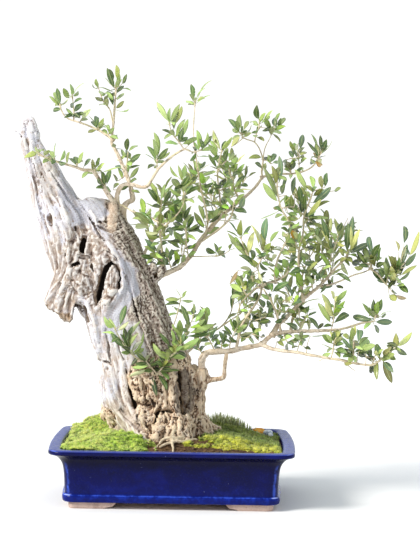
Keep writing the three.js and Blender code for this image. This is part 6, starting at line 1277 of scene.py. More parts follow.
        ((-204.8, -65.7, 576.1, -204.8, -65.7, 576.1, -202.7, -97.2, 574, -.03, -.07, 1.00, 9.6), "g", 1, 1),
        ((-229.8, -68.6, 582.9, -229.8, -68.6, 582.9, -224.4, -39, 587.4, -.12, -.13, .98, 8.9), "g", 0, 1),
        ((-229.8, -68.5, 582.9, -229.8, -68.5, 582.9, -239.8, -31.7, 587.7, .11, -.10, .99, 9.3), "g", 0, 1),
    ]),
    ("b3_mid", "limb_left", "B3", [[(-167.1, -56, 559.5), (-167, -58, 567.8)], [(-139.2, -47, 552.6), (-137.4, -50, 561.8)], [(-121.1, -36, 525.3), (-120.1, -40, 533.7)]], [
        ((-167.1, -57.2, 564.5, -168.9, -55.2, 564.5, -171.4, -26, 580.1, .24, -.44, .86, 11.2), "d", 0, 0),
        ((-167.1, -57.6, 566.2, -165.4, -57.1, 566.2, -155.7, -78.6, 585.8, -.63, -.66, -.41, 8.2), "g", 0, 0),
        ((-157.6, -53.5, 557, -155.5, -55, 563.1, -142.3, -79.6, 574.5, -.89, -.46, .05, 8.3), "u", -1, 0),
        ((-137.9, -49.2, 559.3, -142.7, -46.7, 560.1, -139.1, -78, 574.5, -.71, -.36, -.60, 8.4), "g", 1, 0),
        ((-137.4, -50, 561.8, -135.7, -51.3, 561.8, -127.8, -73.3, 576.5, -.82, -.49, -.29, 9.1), "d", 1, 0),
        ((-138.1, -48.9, 558.5, -137.4, -50.4, 558.4, -140.2, -83.3, 566.2, .65, -.23, -.72, 9.9), "o", 1, 0),
        ((-139.2, -47, 552.6, -140.8, -47, 550, -159.2, -25.5, 549.1, -.38, -.28, .88, 6.7), "g", 1, 0),
        ((-120.3, -39.2, 532, -120.8, -41.6, 532, -126.3, -66.5, 555, .61, -.61, -.51, 9.8), "d", 2, 0),
        ((-120.1, -40, 533.7, -117.5, -40.7, 533.7, -112.7, -14.8, 557.7, .09, -.68, .72, 9.4), "d", 2, 0),
        ((-120.5, -38.3, 530.1, -122.6, -40, 530.3, -131.2, -64.5, 543.4, -.20, -.41, -.89, 7.8), "d", 2, 0),
        ((-139, -47.4, 553.8, -127.3, -50.2, 551.9, -94.4, -41.6, 562.6, -.20, -.38, .91, 6.7), "g", 1, 0),
        ((-120.5, -38.5, 530.5, -119.4, -36.3, 530.4, -112.7, -4.7, 520.4, .98, -.20, .02, 7.8), "g", 2, 0),
        ((-167.1, -57.2, 564.5, -168.8, -56.3, 564.5, -183.1, -26.5, 576.5, .11, -.33, .94, 8.2), "d", 0, 0),
        ((-149, -50.5, 556.1, -149, -51.6, 554.9, -157.1, -75.3, 542.8, .02, -.46, .89, 7.8), "g", -1, 0),
        ((-120.9, -36.7, 526.8, -122.7, -37.4, 527, -134.5, -62.5, 526.7, .69, -.33, .64, 8.5), "d", 2, 0),
        ((-138.3, -48.6, 557.5, -134.1, -48.8, 556.8, -121, -73, 568.3, -.85, -.51, -.10, 7.8), "g", 1, 0),
        ((-138.3, -48.5, 557.3, -138.3, -48.5, 557.3, -145.1, -18.6, 552.2, .12, .19, .97, 7.8), "g", 1, 1),
        ((-138.4, -48.4, 556.9, -138.4, -48.4, 556.9, -133.8, -18.6, 555.5, .08, .04, 1.00, 9.2), "d", 1, 1),
        ((-137.8, -49.4, 560, -137.8, -49.4, 560, -131, -16.2, 554.5, .36, .08, .93, 8.7), "g", 1, 1),
        ((-138.2, -48.8, 558, -138.2, -48.8, 558, -137.6, -16.5, 554.9, -.01, .10, .99, 9.7), "g", 1, 1),
        ((-167.1, -57.3, 565, -167.1, -57.3, 565, -160.9, -22.4, 571.2, -.15, -.15, .98, 9.8), "g", 0, 1),
    ]),
    ("b1_mid", "limb_crown", "B1", [[(-88.2, 6, 553.2), (-86.8, 8, 572), (-85.4, 9, 587.4)], [(-104.7, 18, 587.3), (-108, 14, 597.4)]], [
        ((-88.2, 6, 553.2, -94.8, 5.5, 542.9, -103.1, 27.3, 561.8, .31, -.55, .77, 8.6), "g", 0, 0),
        ((-88.2, 6, 553.2, -101.5, 4.2, 539.4, -108.5, -25.9, 550.8, .96, -.26, -.10, 8.7), "g", 0, 0),
        ((-86.5, 4.9, 548.1, -86.3, 3.3, 548.1, -86.2, 32.3, 567.3, -.46, -.49, .74, 7.9), "g", -1, 0),
        ((-85.4, 9, 587.4, -87.3, 11.7, 590.9, -84.7, -14.2, 612.2, -.16, -.64, -.75, 10.1), "d", 0, 0),
        ((-85.4, 9, 587.4, -83.9, 11.4, 590.9, -69.9, 42.2, 600.5, .14, -.35, .92, 8.7), "g", 0, 0),
        ((-86.6, 8.2, 574.3, -81.6, 5.3, 573.8, -61.8, -25.8, 585.3, -.74, -.59, -.32, 10.1), "d", 0, 0),
        ((-86.2, 8.4, 578.8, -87.1, 11.2, 578.9, -98.7, 33.6, 592.9, -.82, -.54, .19, 9.1), "g", 0, 0),
        ((-87.5, 7.1, 563.2, -90.1, 6.9, 563.4, -74.2, 30.3, 574.4, .28, -.56, .78, 9.1), "g", 0, 0),
        ((-87.7, 6.7, 560.2, -86.7, 8.3, 560.1, -64, -6.8, 565.4, -.53, -.59, .61, 7.5), "d", 0, 0),
        ((-84.4, 3.3, 543.4, -81, 1.9, 544.8, -64.8, -25.4, 563.4, -.68, -.64, -.35, 8.5), "g", -1, 0),
        ((-82.2, 1.5, 537.7, -81, 4, 538, -69.6, -24.7, 543.1, -.88, -.28, .38, 9.1), "d", -1, 0),
        ((-80.5, -0.3, 531, -109.5, -1.8, 523.9, -98, -28.7, 534.1, -.92, -.38, .04, 8.3), "g", -1, 0),
        ((-85.8, 8.8, 583.7, -88.8, 9.4, 584, -105.4, 34, 575.6, -.84, -.47, .28, 8), "g", 0, 0),
        ((-81, 0.3, 533.2, -82.4, -2.3, 532.9, -96.5, -23.3, 524.1, .84, -.54, -.07, 8.4), "d", -1, 0),
        ((-87.8, 6.5, 558, -91.6, 4.1, 558.3, -108.5, 31.3, 565.2, -.33, -.42, .84, 8.7), "u", 0, 0),
        ((-78.8, -2.1, 524.4, -79, 0, 524.4, -62.4, -28.9, 519.6, -.40, -.37, .84, 7.6), "g", -1, 0),
        ((-106.9, 15.3, 594.1, -106.9, 15.3, 594.1, -96.7, 42.4, 593.9, .14, -.04, .99, 7.8), "d", 1, 1),
        ((-86.2, 8.5, 579.1, -86.2, 8.5, 579.1, -82.8, 44.5, 577.9, -.28, .06, .96, 10.3), "g", 0, 1),
        ((-107.8, 14.3, 596.5, -107.8, 14.3, 596.5, -109.1, -22.3, 602.8, -.26, .17, .95, 7.8), "u", 1, 1),
        ((-86.4, 8.3, 576.9, -86.4, 8.3, 576.9, -89.7, 33, 591.7, .47, -.41, .79, 10.3), "u", 0, 1),
        ((-86.9, 7.9, 571.1, -86.9, 7.9, 571.1, -78.8, -20.7, 565.9, -.27, -.25, .93, 10.4), "g", 0, 1),
    ]),
    ("sh_195", "twig_riser", "JR", [[(27.5, -6, 668.5), (27.7, -6, 677)]], [
        ((27.7, -6, 677, 24.2, -7.5, 680.2, 20.1, 16.1, 706.9, .13, -.73, .67, 9.6), "d", 0, 0),
        ((27.7, -6, 676.8, 24.3, -7.6, 676.8, 17.8, -37.8, 686.8, .94, -.27, -.20, 8.6), "g", 0, 0),
        ((27.7, -6, 677, 29.4, -8.8, 678.5, 44.3, -19.7, 698.4, -.83, -.22, .51, 5.6), "g", 0, 0),
        ((27.7, -6, 677, 32.7, -6.3, 682.1, 54.2, -15.6, 712.2, -.81, -.32, .48, 6.5), "g", 0, 0),
        ((27.7, -6, 677, 31.1, -8.2, 676.9, 42.7, 16.8, 685.2, .41, -.45, .79, 7.9), "y", 0, 0),
        ((27.6, -6, 673.7, 31.1, -7.9, 673.5, 53, -18, 686.8, -.61, -.45, .65, 5.7), "g", 0, 0),
        ((27.6, -6, 671.8, 26.1, -5.2, 671.9, 12, 18.6, 678, -.28, -.39, .88, 7.7), "g", 0, 0),
        ((27.6, -6, 672.1, 27.6, -6, 672.1, 23.9, 24.2, 671.9, -.22, -.02, .97, 8.7), "g", 0, 1),
        ((27.6, -6, 671.5, 27.6, -6, 671.5, 15, 27.1, 671.8, .19, .06, .98, 7.5), "d", 0, 1),
        ((27.6, -6, 675.8, 27.6, -6, 675.8, 22.7, 30.9, 683.4, .22, -.17, .96, 9), "g", 0, 1),
    ]),
    ("sh_a", "limb_arch", "B4", [[(11.4, -71, 592.9), (3, -74, 605.1), (-5.5, -76, 614.9), (-11.4, -78, 626.2), (-14, -79, 637.7)]], [
        ((-14, -79, 637.7, -15.7, -78.6, 639.4, -34.7, -68.2, 670.9, .07, -.93, .35, 10.1), "n", 0, 0),
        ((-13.6, -78.8, 635.8, -12.3, -81.8, 636, -12, -107.8, 659.4, -.40, -.62, -.68, 8.2), "g", 0, 0),
        ((-13.9, -78.9, 637, -10.7, -78.6, 637.8, 3.9, -88.2, 667.2, -.45, -.89, -.07, 9), "g", 0, 0),
        ((-12.8, -78.5, 632.6, -4.1, -78.4, 634.6, 7.5, -103, 663.2, -.62, -.70, -.35, 9.5), "g", 0, 0),
        ((-10.2, -77.6, 624, -5.7, -74.8, 626.5, -3.3, -46.4, 650.9, -.36, -.59, .72, 9.4), "d", 0, 0),
        ((-3.3, -75.5, 612.3, -2.2, -73.8, 613.3, 12.4, -83.3, 642.9, -.56, -.83, .01, 8.1), "g", 0, 0),
        ((0.2, -74.7, 608.3, 6.2, -75.3, 613.4, 17.1, -64.2, 643.8, .24, -.94, .26, 9.8), "g", 0, 0),
        ((3.5, -73.8, 604.4, 4.6, -71.8, 605.2, 9.6, -96, 627.6, -.34, -.68, -.66, 10.5), "d", 0, 0),
        ((4, -73.6, 603.6, 1.3, -72.7, 601.8, -19.7, -95.5, 602.5, .58, -.51, .63, 8.2), "g", 0, 0),
        ((6.6, -72.7, 599.9, 9.6, -73, 602, 35.8, -54.5, 614.6, .37, -.82, .44, 10.2), "g", 0, 0),
        ((10.7, -71.2, 593.9, 18, -74, 598.8, 24.1, -45.3, 609.7, -.07, -.34, .94, 7.5), "o", 0, 0),
        ((-8.2, -76.9, 620.1, -8.9, -74.2, 619.8, -24.9, -96.6, 623.7, .71, -.41, .58, 8.9), "d", 0, 0),
        ((-7.2, -76.6, 618.1, -7.2, -73.8, 618.2, -22.9, -42.7, 610.7, -.89, -.39, .25, 7.7), "g", 0, 0),
        ((3, -74, 605.1, 2.9, -71.6, 605.2, 17.4, -47.3, 614.5, .40, -.53, .75, 8.9), "d", 0, 0),
        ((-13, -78.6, 633.1, -13, -78.6, 633.1, -15.7, -50.7, 635.5, -.14, -.10, .99, 9.2), "g", 0, 1),
        ((-13.8, -78.9, 636.9, -13.8, -78.9, 636.9, -4.6, -114.2, 632.2, .11, -.10, .99, 9.3), "g", 0, 1),
        ((-4.2, -75.7, 613.5, -4.2, -75.7, 613.5, -11.5, -100.4, 623.8, -.22, .43, .88, 10.4), "d", 0, 1),
        ((-4.1, -75.7, 613.2, -4.1, -75.7, 613.2, 1, -39.1, 615.6, .32, -.11, .94, 8), "g", 0, 1),
    ]),
    ("sh_b", "limb_arch", "B4", [[(20.6, -70, 590.6), (29.7, -68, 589.2), (39.6, -67, 592.7)]], [
        ((36.6, -67.3, 591.6, 36.3, -68.4, 592.6, 32.5, -78, 625.3, .41, -.89, -.21, 9.7), "g", 0, 0),
        ((39.6, -67, 592.7, 42.8, -69.3, 599.3, 50.8, -91.8, 620.2, .52, -.47, -.71, 8.6), "g", 0, 0),
        ((39.6, -67, 592.7, 44.5, -64, 596.2, 57.5, -35.8, 618.9, -.09, -.60, .80, 10.1), "d", 0, 0),
        ((35.1, -67.5, 591.1, 34.6, -67.8, 592.6, 29.2, -43.1, 606.5, .50, -.34, .80, 8.7), "b", 0, 0),
        ((31.7, -67.8, 589.9, 34.8, -66.8, 581, 53.1, -87.8, 580.9, -.28, -.25, .93, 5.4), "d", 0, 0),
        ((39.6, -67, 592.7, 41.3, -69.2, 591, 59.5, -46.9, 596.9, .49, -.57, .66, 8.6), "g", 0, 0),
        ((30.7, -67.9, 589.5, 31.4, -67.4, 587.6, 21.3, -39.9, 573, -.01, -.47, -.88, 7.8), "d", 0, 0),
        ((39.6, -67, 592.7, 42.9, -69.4, 594.3, 37.9, -97.9, 609.9, .81, -.39, -.45, 9), "d", 0, 0),
        ((36.8, -67.3, 591.7, 36.8, -67.3, 591.7, 40.9, -34.9, 593.8, -.28, -.03, .96, 8.2), "d", 0, 1),
        ((31.2, -67.8, 589.7, 31.2, -67.8, 589.7, 25.5, -31.5, 598.4, .29, -.18, .94, 8.8), "d", 0, 1),
        ((28.5, -68.3, 589.4, 28.5, -68.3, 589.4, 24.5, -35.2, 587.5, -.36, .01, .93, 8.4), "d", 0, 1),
    ]),
    ("sh_c", "limb_arch", "B4", [[(-34.1, -59, 554.2), (-33.3, -62, 565), (-33.4, -64, 574.9)]], [
        ((-33.4, -64, 574.9, -33.4, -64.9, 578.2, -39.5, -52.4, 621.7, .18, -.94, .29, 10.2), "g", 0, 0),
        ((-33.4, -64, 574.9, -35.2, -64.6, 581.5, -39.9, -84.3, 609.1, .44, -.76, -.47, 9.4), "n", 0, 0),
        ((-33.4, -64, 574.9, -35.1, -63.4, 574.9, -51, -47.3, 598.4, .06, -.80, .59, 8.6), "d", 0, 0),
        ((-33.4, -64, 574.9, -33.5, -62.3, 576.6, -14.7, -91, 594.5, -.68, -.65, -.33, 9.3), "d", 0, 0),
        ((-33.4, -64, 574.9, -30, -66.4, 574.9, -12.4, -47.8, 589, -.00, -.60, .80, 7.5), "g", 0, 0),
        ((-33.4, -64, 574.9, -36.8, -63.7, 574.9, -52.7, -84.7, 584.1, .61, -.12, .78, 6.5), "g", 0, 0),
        ((-33.4, -63, 570, -31.6, -65.9, 569.9, -19, -40.5, 572.3, .51, -.33, .80, 7.8), "g", 0, 0),
        ((-33.3, -62.3, 566.6, -36.6, -63.9, 566.6, -47.1, -94.9, 560.9, .31, -.27, .91, 8.5), "d", 0, 0),
        ((-33.4, -63.8, 573.9, -33.4, -63.8, 573.9, -30.7, -36.1, 576.3, .28, -.11, .95, 9.9), "d", 0, 1),
        ((-33.3, -62.2, 566.1, -33.3, -62.2, 566.1, -37.5, -34.4, 561.3, -.16, .14, .98, 9.3), "g", 0, 1),
        ((-33.3, -62.2, 566.2, -33.3, -62.2, 566.2, -36.5, -32, 576.3, .29, -.28, .92, 9.2), "n", 0, 1),
    ]),
    ("jr_mid", "twig_riser", "JR", [[(43.9, -8, 514.6), (54.1, -14, 519.8), (62.6, -18, 514.9)], [(40.3, -9, 531.5), (45.3, -12, 536.6)]], [
        ((35.4, -11.7, 556.6, 36.5, -9.5, 556.8, 30.8, 15.2, 575.8, .17, -.58, .80, 8.7), "g", -1, 0),
        ((35.9, -11.3, 553.6, 34.9, -13.5, 553.4, 19.8, -35, 559.6, .82, -.56, .04, 7.6), "g", -1, 0),
        ((36.1, -11.2, 552.5, 41.6, -10.4, 553.5, 60.2, -38.3, 558.5, -.76, -.41, .51, 8.7), "g", -1, 0),
        ((44.5, -11.5, 535.8, 43.6, -14.1, 536.6, 40.1, -48.5, 554.7, .34, -.47, -.81, 11.1), "b", 1, 0),
        ((45.3, -12, 536.6, 45.3, -10.1, 536.6, 53.5, 18.2, 552.3, -.30, -.39, .87, 8.9), "g", 1, 0),
        ((42.8, -10.5, 534, 45.4, -11.6, 531.5, 60.5, -38, 538.4, -.87, -.47, .14, 7.4), "d", 1, 0),
        ((41.6, -8.6, 523.5, 38.7, -8.6, 523, 30.3, -39.1, 532.9, .90, -.34, -.27, 8.5), "g", -1, 0),
        ((46.1, -5.8, 504.9, 44.1, -5.5, 504.4, 36.9, 19.3, 517.8, .04, -.47, .88, 8.9), "g", -1, 0),
        ((44.9, -6.6, 509.3, 45.7, -3.8, 509.5, 56.1, 19.1, 499.3, .88, -.46, -.14, 8.3), "g", -1, 0),
        ((37.1, -10.7, 547, 35, -12.1, 546.6, 20.2, -43.5, 539.4, .89, -.35, -.29, 7.9), "d", -1, 0),
        ((34.2, -12, 563.2, 36.4, -10.3, 563.6, 48, 18.9, 574.5, .94, -.32, -.15, 8.8), "d", -1, 0),
        ((49.1, -3.3, 492.5, 49.4, -1, 492.5, 61.5, -22.4, 481.1, .12, -.42, .90, 7.8), "g", -1, 0),
        ((53.4, -13.6, 519.5, 53.4, -13.6, 519.5, 63.6, 14.3, 522.7, .24, -.20, .95, 10.2), "g", 0, 1),
        ((57.3, -15.5, 517.9, 57.3, -15.5, 517.9, 43.8, 11.3, 519.7, -.32, -.22, .92, 8), "d", 0, 1),
        ((57.2, -15.5, 518, 57.2, -15.5, 518, 67.7, 13.2, 528.5, -.48, -.14, .87, 9.2), "d", 0, 1),
        ((50, -11.6, 517.7, 50, -11.6, 517.7, 54.9, 16.8, 531.6, -.47, -.32, .82, 9.1), "g", 0, 1),
    ]),
    ("sh_d", "twig_front_upper", "G", [[(-27.5, -34, 454.4), (-10.6, -44, 471.8), (4.3, -50, 488.9), (11.7, -54, 504.1), (11.6, -56, 520.8), (12, -58, 540.8)]], [
        ((11.6, -56, 520.8, 10.6, -56.2, 520.8, 11.5, -26, 542.7, -.18, -.57, .80, 10.8), "n", 0, 0),
        ((12, -58, 540.8, 10.3, -57, 540.8, 1.9, -77, 567, .69, -.67, -.28, 7.7), "g", 0, 0),
        ((12, -58, 540.8, 12, -59.6, 545.8, 12.9, -32.8, 567.9, -.10, -.63, .77, 9.9), "g", 0, 0),
        ((12, -58, 540.8, 3.6, -57.9, 545.7, -12.1, -44.1, 565.6, -.78, -.58, -.21, 8), "g", 0, 0),
        ((11.7, -56.5, 525.6, 7.2, -57.2, 525.7, -8.8, -23.9, 544.1, -.38, -.58, .72, 10.9), "g", 0, 0),
        ((11.7, -55.4, 515.8, 9, -56.1, 515.7, -10.9, -68.9, 528.7, .03, -.74, -.68, 8.1), "g", 0, 0),
        ((11.6, -56, 520.9, 15.6, -55.4, 520.9, 26.9, -29.9, 534.5, .04, -.49, .87, 8.7), "g", 0, 0),
        ((11.7, -55.6, 517.5, 15.7, -54.3, 517.5, 37.4, -79.3, 531.1, -.79, -.60, .15, 8.8), "d", 0, 0),
        ((11.7, -54, 504.1, 12.5, -53.2, 504.1, 11.8, -24.2, 517.4, .35, -.39, .85, 10.1), "o", 0, 0),
        ((11.9, -57.2, 532.4, 8.8, -56.4, 532.4, 20.6, -86.4, 549, -.73, -.53, -.44, 10.7), "d", 0, 0),
        ((11.7, -54.6, 509.1, 7.4, -51.8, 509, -5.4, -74.7, 502.2, .51, -.49, .70, 8.4), "d", 0, 0),
        ((11.7, -54.8, 510.8, 14.1, -54.6, 510.8, 29.6, -84, 504.5, -.24, -.32, .92, 8.3), "g", 0, 0),
        ((11.9, -57.2, 532.4, 10.4, -56.1, 532.5, -2.3, -82.7, 528.8, .87, -.37, -.32, 8.8), "k", 0, 0),
        ((11.8, -56.8, 529.2, 13.9, -57.3, 529.2, 27.3, -82.1, 542.5, -.90, -.41, .14, 8.7), "g", 0, 0),
        ((11.7, -56.2, 522.6, 11.7, -56.2, 522.6, 18.8, -90.3, 535.3, -.39, .25, .89, 9.9), "g", 0, 1),
        ((5.7, -50.7, 491.6, 5.7, -50.7, 491.6, 3.3, -83.9, 493.3, .25, .03, .97, 8.8), "g", 0, 1),
        ((5.6, -50.7, 491.5, 5.6, -50.7, 491.5, 10.1, -20.5, 489.5, .11, .05, .99, 10.2), "k", 0, 1),
        ((-0.1, -48.2, 483.7, -0.1, -48.2, 483.7, -14.2, -15.3, 491.8, -.15, -.30, .94, 7.9), "g", 0, 1),
    ]),
    ("sh_e", "twig_front_upper", "G", [[(-30.9, -40, 471.4), (-26.8, -46, 491.6), (-25.3, -50, 508.5)], [(-32.6, -41, 474.7), (-44.1, -50, 479.7), (-53.9, -58, 481.3)]], [
        ((-25.3, -50, 508.5, -31.1, -51.7, 510, -45.8, -30.2, 540, .19, -.75, .63, 10.1), "g", 0, 0),
        ((-25.7, -49, 504.4, -32.8, -48.7, 505, -47.4, -71.2, 526.4, .71, -.67, -.22, 11.2), "d", 0, 0),
        ((-26.1, -48, 499.9, -27.8, -47.7, 500, -37.1, -28, 518.3, .17, -.62, .76, 8.9), "g", 0, 0),
        ((-25.3, -50, 508.4, -26.1, -51.9, 508.4, -19.6, -59.8, 535.3, -.56, -.82, -.11, 8.7), "g", 0, 0),
        ((-25.9, -48.5, 502.1, -22.8, -47.5, 501.8, -16.9, -22.8, 518.6, .86, -.41, .30, 9.1), "g", 0, 0),
        ((-25.7, -48.9, 503.9, -21.1, -46.9, 503.5, -10.4, -16.8, 523.8, .69, -.56, .46, 9.3), "d", 0, 0),
        ((-26.6, -46.7, 494.7, -29.3, -48.3, 495, -50.5, -68.2, 503.1, .57, -.30, .76, 5.9), "g", 0, 0),
        ((-26.5, -46.9, 495.4, -22.7, -45.2, 495.1, -0.7, -63.1, 505.6, -.56, -.22, .80, 6.7), "g", 0, 0),
        ((-53.9, -58, 481.3, -53.9, -58.4, 481.3, -60.4, -32.4, 511.2, .06, -.75, .66, 10.4), "b", 1, 0),
        ((-26.2, -47.6, 498.4, -26, -49.7, 498.4, -40.1, -77.2, 498.4, .73, -.38, .57, 8.3), "d", 0, 0),
        ((-49.4, -54.3, 480.5, -49.1, -53.3, 483, -65.6, -22.9, 490.8, -.88, -.42, -.23, 8.1), "g", 1, 0),
        ((-50.2, -55, 480.7, -50.6, -54.3, 477.9, -43.2, -82.9, 495, .49, -.35, -.80, 9.1), "g", 1, 0),
        ((-26.3, -47.4, 497.5, -26.3, -47.4, 497.5, -33.1, -21.2, 511.8, -.09, -.49, .86, 9.6), "g", 0, 1),
        ((-27.5, -45, 488.2, -27.5, -45, 488.2, -30.8, -13.9, 496.4, .35, -.20, .91, 9.8), "g", 0, 1),
        ((-28.1, -44.2, 485.6, -28.1, -44.2, 485.6, -20.9, -16.1, 499.2, .05, -.45, .89, 8.9), "g", 0, 1),
        ((-26.2, -47.5, 498.2, -26.2, -47.5, 498.2, -28.8, -20.2, 507.5, .32, -.28, .91, 9), "g", 0, 1),
    ]),
    ("sh_f", "twig_front_thin", "TW", [[(-43.4, -70, 478.3), (-49.8, -74, 471.6)], [(-16.1, -90, 465.8), (-12.8, -92, 472.5)]], [
        ((-49.8, -74, 471.6, -51.5, -72.7, 473.2, -74.4, -47.7, 475.8, -.44, -.48, .76, 8), "g", 0, 0),
        ((-48.2, -73, 473.3, -43.1, -73.4, 468.4, -67.6, -90.8, 488.1, .63, -.77, .10, 10.4), "g", 0, 0),
        ((-33.8, -76.5, 473.9, -36.4, -76.5, 468.5, -61, -49.5, 487.8, -.33, -.73, .60, 10.6), "d", -1, 0),
        ((-49.8, -74, 471.6, -44.8, -72.3, 463.3, -67, -96.1, 463.4, -.73, .68, .08, 10.8), "w", 0, 0),
        ((-12.8, -92, 472.5, -11.2, -89.5, 474.1, -13.8, -61.9, 492, .56, -.41, .72, 8.6), "g", 1, 0),
        ((-12.8, -92, 472.5, -9.5, -91.4, 472.5, 0.8, -120.5, 483, -.25, -.41, -.88, 7.8), "y", 1, 0),
        ((-16.1, -90, 465.8, -14.4, -88.3, 462.5, -6.6, -57.3, 448.6, .83, -.39, -.40, 8.6), "u", 1, 0),
        ((-24.9, -83.1, 469.8, -26.2, -83.5, 467.2, -22.3, -113.9, 485.8, -.01, -.53, -.85, 10.2), "o", -1, 0),
        ((-28.3, -80.5, 471.4, -29.7, -78.6, 468.7, -20.2, -52.2, 451.6, .93, -.37, -.06, 9.1), "o", -1, 0),
        ((-16.1, -90, 465.8, -21, -90.2, 465.7, -31.6, -116.9, 456.2, .39, -.44, .81, 7.6), "o", 1, 0),
        ((-36.5, -74.5, 475.1, -36.5, -76.8, 475.2, -27.6, -45.2, 488.3, .10, -.41, .91, 7.6), "g", -1, 0),
        ((-13.8, -91.3, 470.3, -13.8, -91.3, 470.3, -18.1, -61, 475.9, -.30, -.21, .93, 10.2), "g", 1, 1),
        ((-14.7, -90.8, 468.6, -14.7, -90.8, 468.6, -18, -55.2, 461.1, .08, .21, .97, 8.2), "o", 1, 1),
        ((-46.6, -72, 475, -46.6, -72, 475, -48.1, -103.3, 477.2, .15, .06, .99, 9.1), "o", 0, 1),
    ]),
    ("g_low", "twig_front_upper", "G", [[(-24.8, -28, 434.1), (-33.7, -32, 415.5)], [(-22.4, -14, 396.3), (-30.4, -22, 401.6)]], [
        ((-26.4, -31.6, 444.8, -30.7, -33.4, 444.3, -51.7, -16.1, 450.3, -.27, -.59, .76, 8.8), "g", -1, 0),
        ((-30.8, -30.7, 421.6, -35.5, -30.9, 423.9, -51.5, -62.7, 443, .62, -.61, -.49, 9.8), "u", 0, 0),
        ((-32.7, -31.6, 417.5, -35.4, -34.1, 418.9, -41, -64.6, 414.8, .55, -.21, .81, 10.8), "o", 0, 0),
        ((-33.7, -32, 415.5, -37, -32.4, 412, -57.7, -63.9, 414.5, .80, -.50, .33, 9.6), "d", 0, 0),
        ((-30.4, -22, 401.6, -30.6, -20.3, 408.3, -23.2, 10.9, 424.4, -.36, -.36, .86, 8.8), "k", 1, 0),
        ((-30.4, -22, 401.6, -30.5, -21.4, 408.4, -12.9, 13.5, 417.6, .44, -.43, .79, 11), "k", 1, 0),
        ((-30.4, -22, 401.6, -35.6, -19.6, 406.5, -48, -49.8, 400.7, .25, -.28, .93, 7.9), "g", 1, 0),
        ((-22.4, -14, 396.3, -18.6, -16.8, 398.2, -24.8, -47.1, 414.5, .91, -.33, -.27, 8.9), "g", 1, 0),
        ((-22.4, -14, 396.3, -18.7, -11.5, 396.3, -11, 9.5, 416.1, -.51, -.48, .71, 7.5), "g", 1, 0),
        ((-25.9, -30.1, 440.9, -25.7, -29.5, 440.9, -10, -57.2, 453.6, -.18, -.49, -.85, 8.2), "g", -1, 0),
        ((-26.6, -28.8, 430.4, -27.3, -27, 430.6, -14.6, 2.9, 435.1, .49, -.33, .81, 7.8), "d", 0, 0),
        ((-31.7, -31.1, 419.5, -33.7, -33, 420.6, -21.1, -57.4, 411.6, -.89, -.46, .01, 7.7), "g", 0, 0),
        ((-24.9, -28.1, 433.7, -29, -30.8, 435.8, -41.3, -62.6, 431.5, .45, -.29, .84, 8.1), "g", 0, 0),
        ((-27.6, -29.3, 428.1, -27.6, -29.3, 428.1, -26, -1.6, 429.2, .25, -.05, .97, 7.6), "g", 0, 1),
        ((-26.5, -18.1, 399, -26.5, -18.1, 399, -21.6, 14, 398.4, -.05, .03, 1.00, 9.8), "k", 1, 1),
        ((-29.7, -21.3, 401.1, -29.7, -21.3, 401.1, -32.8, 12, 414.9, .21, -.35, .91, 8.1), "g", 1, 1),
        ((-28.4, -20, 400.3, -28.4, -20, 400.3, -20.5, 7.8, 414.3, -.55, -.25, .80, 9.4), "d", 1, 1),
    ]),
    ("sh_h", "spray_upper_mid", "J", [[(11.6, 2, 399.6), (13.1, -6, 420.4), (16.4, -14, 437.8), (16.2, -20, 454.9), (14.3, -24, 471.9), (12.4, -26, 487.1)]], [
        ((14.2, -24, 472, 12.6, -23.9, 471.8, -10.1, -7.5, 489.9, -.17, -.82, .54, 9.4), "d", 0, 0),
        ((14.2, -24.1, 472.4, 9.2, -24.5, 471.8, -4.6, -35.4, 507.1, .52, -.85, -.06, 8.8), "d", 0, 0),
        ((12.6, -25.8, 485.4, 12.4, -28.3, 485.4, 11.7, -4.7, 508.9, .48, -.61, .63, 10.4), "g", 0, 0),
        ((13.8, -24.4, 475.2, 14.2, -25.1, 475.2, 24.1, -36.5, 499.1, -.71, -.70, -.04, 9.1), "g", 0, 0),
        ((14.7, -23.2, 468.3, 16, -23.5, 468.5, 23.9, -2, 485.3, -.17, -.57, .81, 9.1), "n", 0, 0),
        ((15.2, -21.9, 463.1, 17.7, -19.5, 463.4, 27.9, -53, 482.6, -.04, -.51, -.86, 9.4), "d", 0, 0),
        ((15.6, -21.3, 460.3, 12.7, -19.7, 459.9, -6.8, 9.2, 471, -.32, -.52, .79, 8.6), "d", 0, 0),
        ((15.9, -20.5, 457.1, 11.1, -22.8, 456.5, -12, -50.8, 460.1, .76, -.58, .30, 9.6), "d", 0, 0),
        ((15.8, -20.7, 457.9, 19.6, -23.5, 458.4, 37.8, 5.9, 468.3, .86, -.49, -.14, 7.8), "g", 0, 0),
        ((16.2, -20, 454.9, 19.5, -17.4, 454.9, 39.6, 11.1, 459.7, .60, -.53, .60, 8.5), "k", 0, 0),
        ((12.5, -25.8, 485.8, 9.1, -28.5, 485.3, 0.5, -44.9, 513.9, .54, -.79, -.29, 8.4), "g", 0, 0),
        ((12.9, -25.4, 482.4, 9, -23.4, 481.9, -14.6, -38.4, 503.6, -.02, -.81, -.58, 9.6), "b", 0, 0),
        ((16.2, -19.4, 453.2, 16.2, -17, 453.1, 0.4, 11.9, 445.3, -.89, -.44, .16, 7.8), "d", 0, 0),
        ((16.2, -17.6, 448, 17.9, -14.6, 448, 33.6, -45.8, 442.3, -.52, -.40, .76, 7.6), "g", 0, 0),
        ((15, -22.4, 465.1, 14.4, -25.3, 465.1, 3.2, -55.5, 462.1, .68, -.32, .66, 8), "g", 0, 0),
        ((13.4, -24.9, 478.7, 12.4, -22.4, 478.6, 3.3, -0.2, 495.1, -.69, -.59, .41, 8.4), "g", 0, 0),
        ((15.5, -21.5, 461.1, 15.5, -21.5, 461.1, 14, -47, 475.3, -.38, .47, .80, 8), "g", 0, 1),
        ((16.2, -13.6, 436.9, 16.2, -13.6, 436.9, 6.3, 21.4, 430.9, -.22, .10, .97, 8.8), "d", 0, 1),
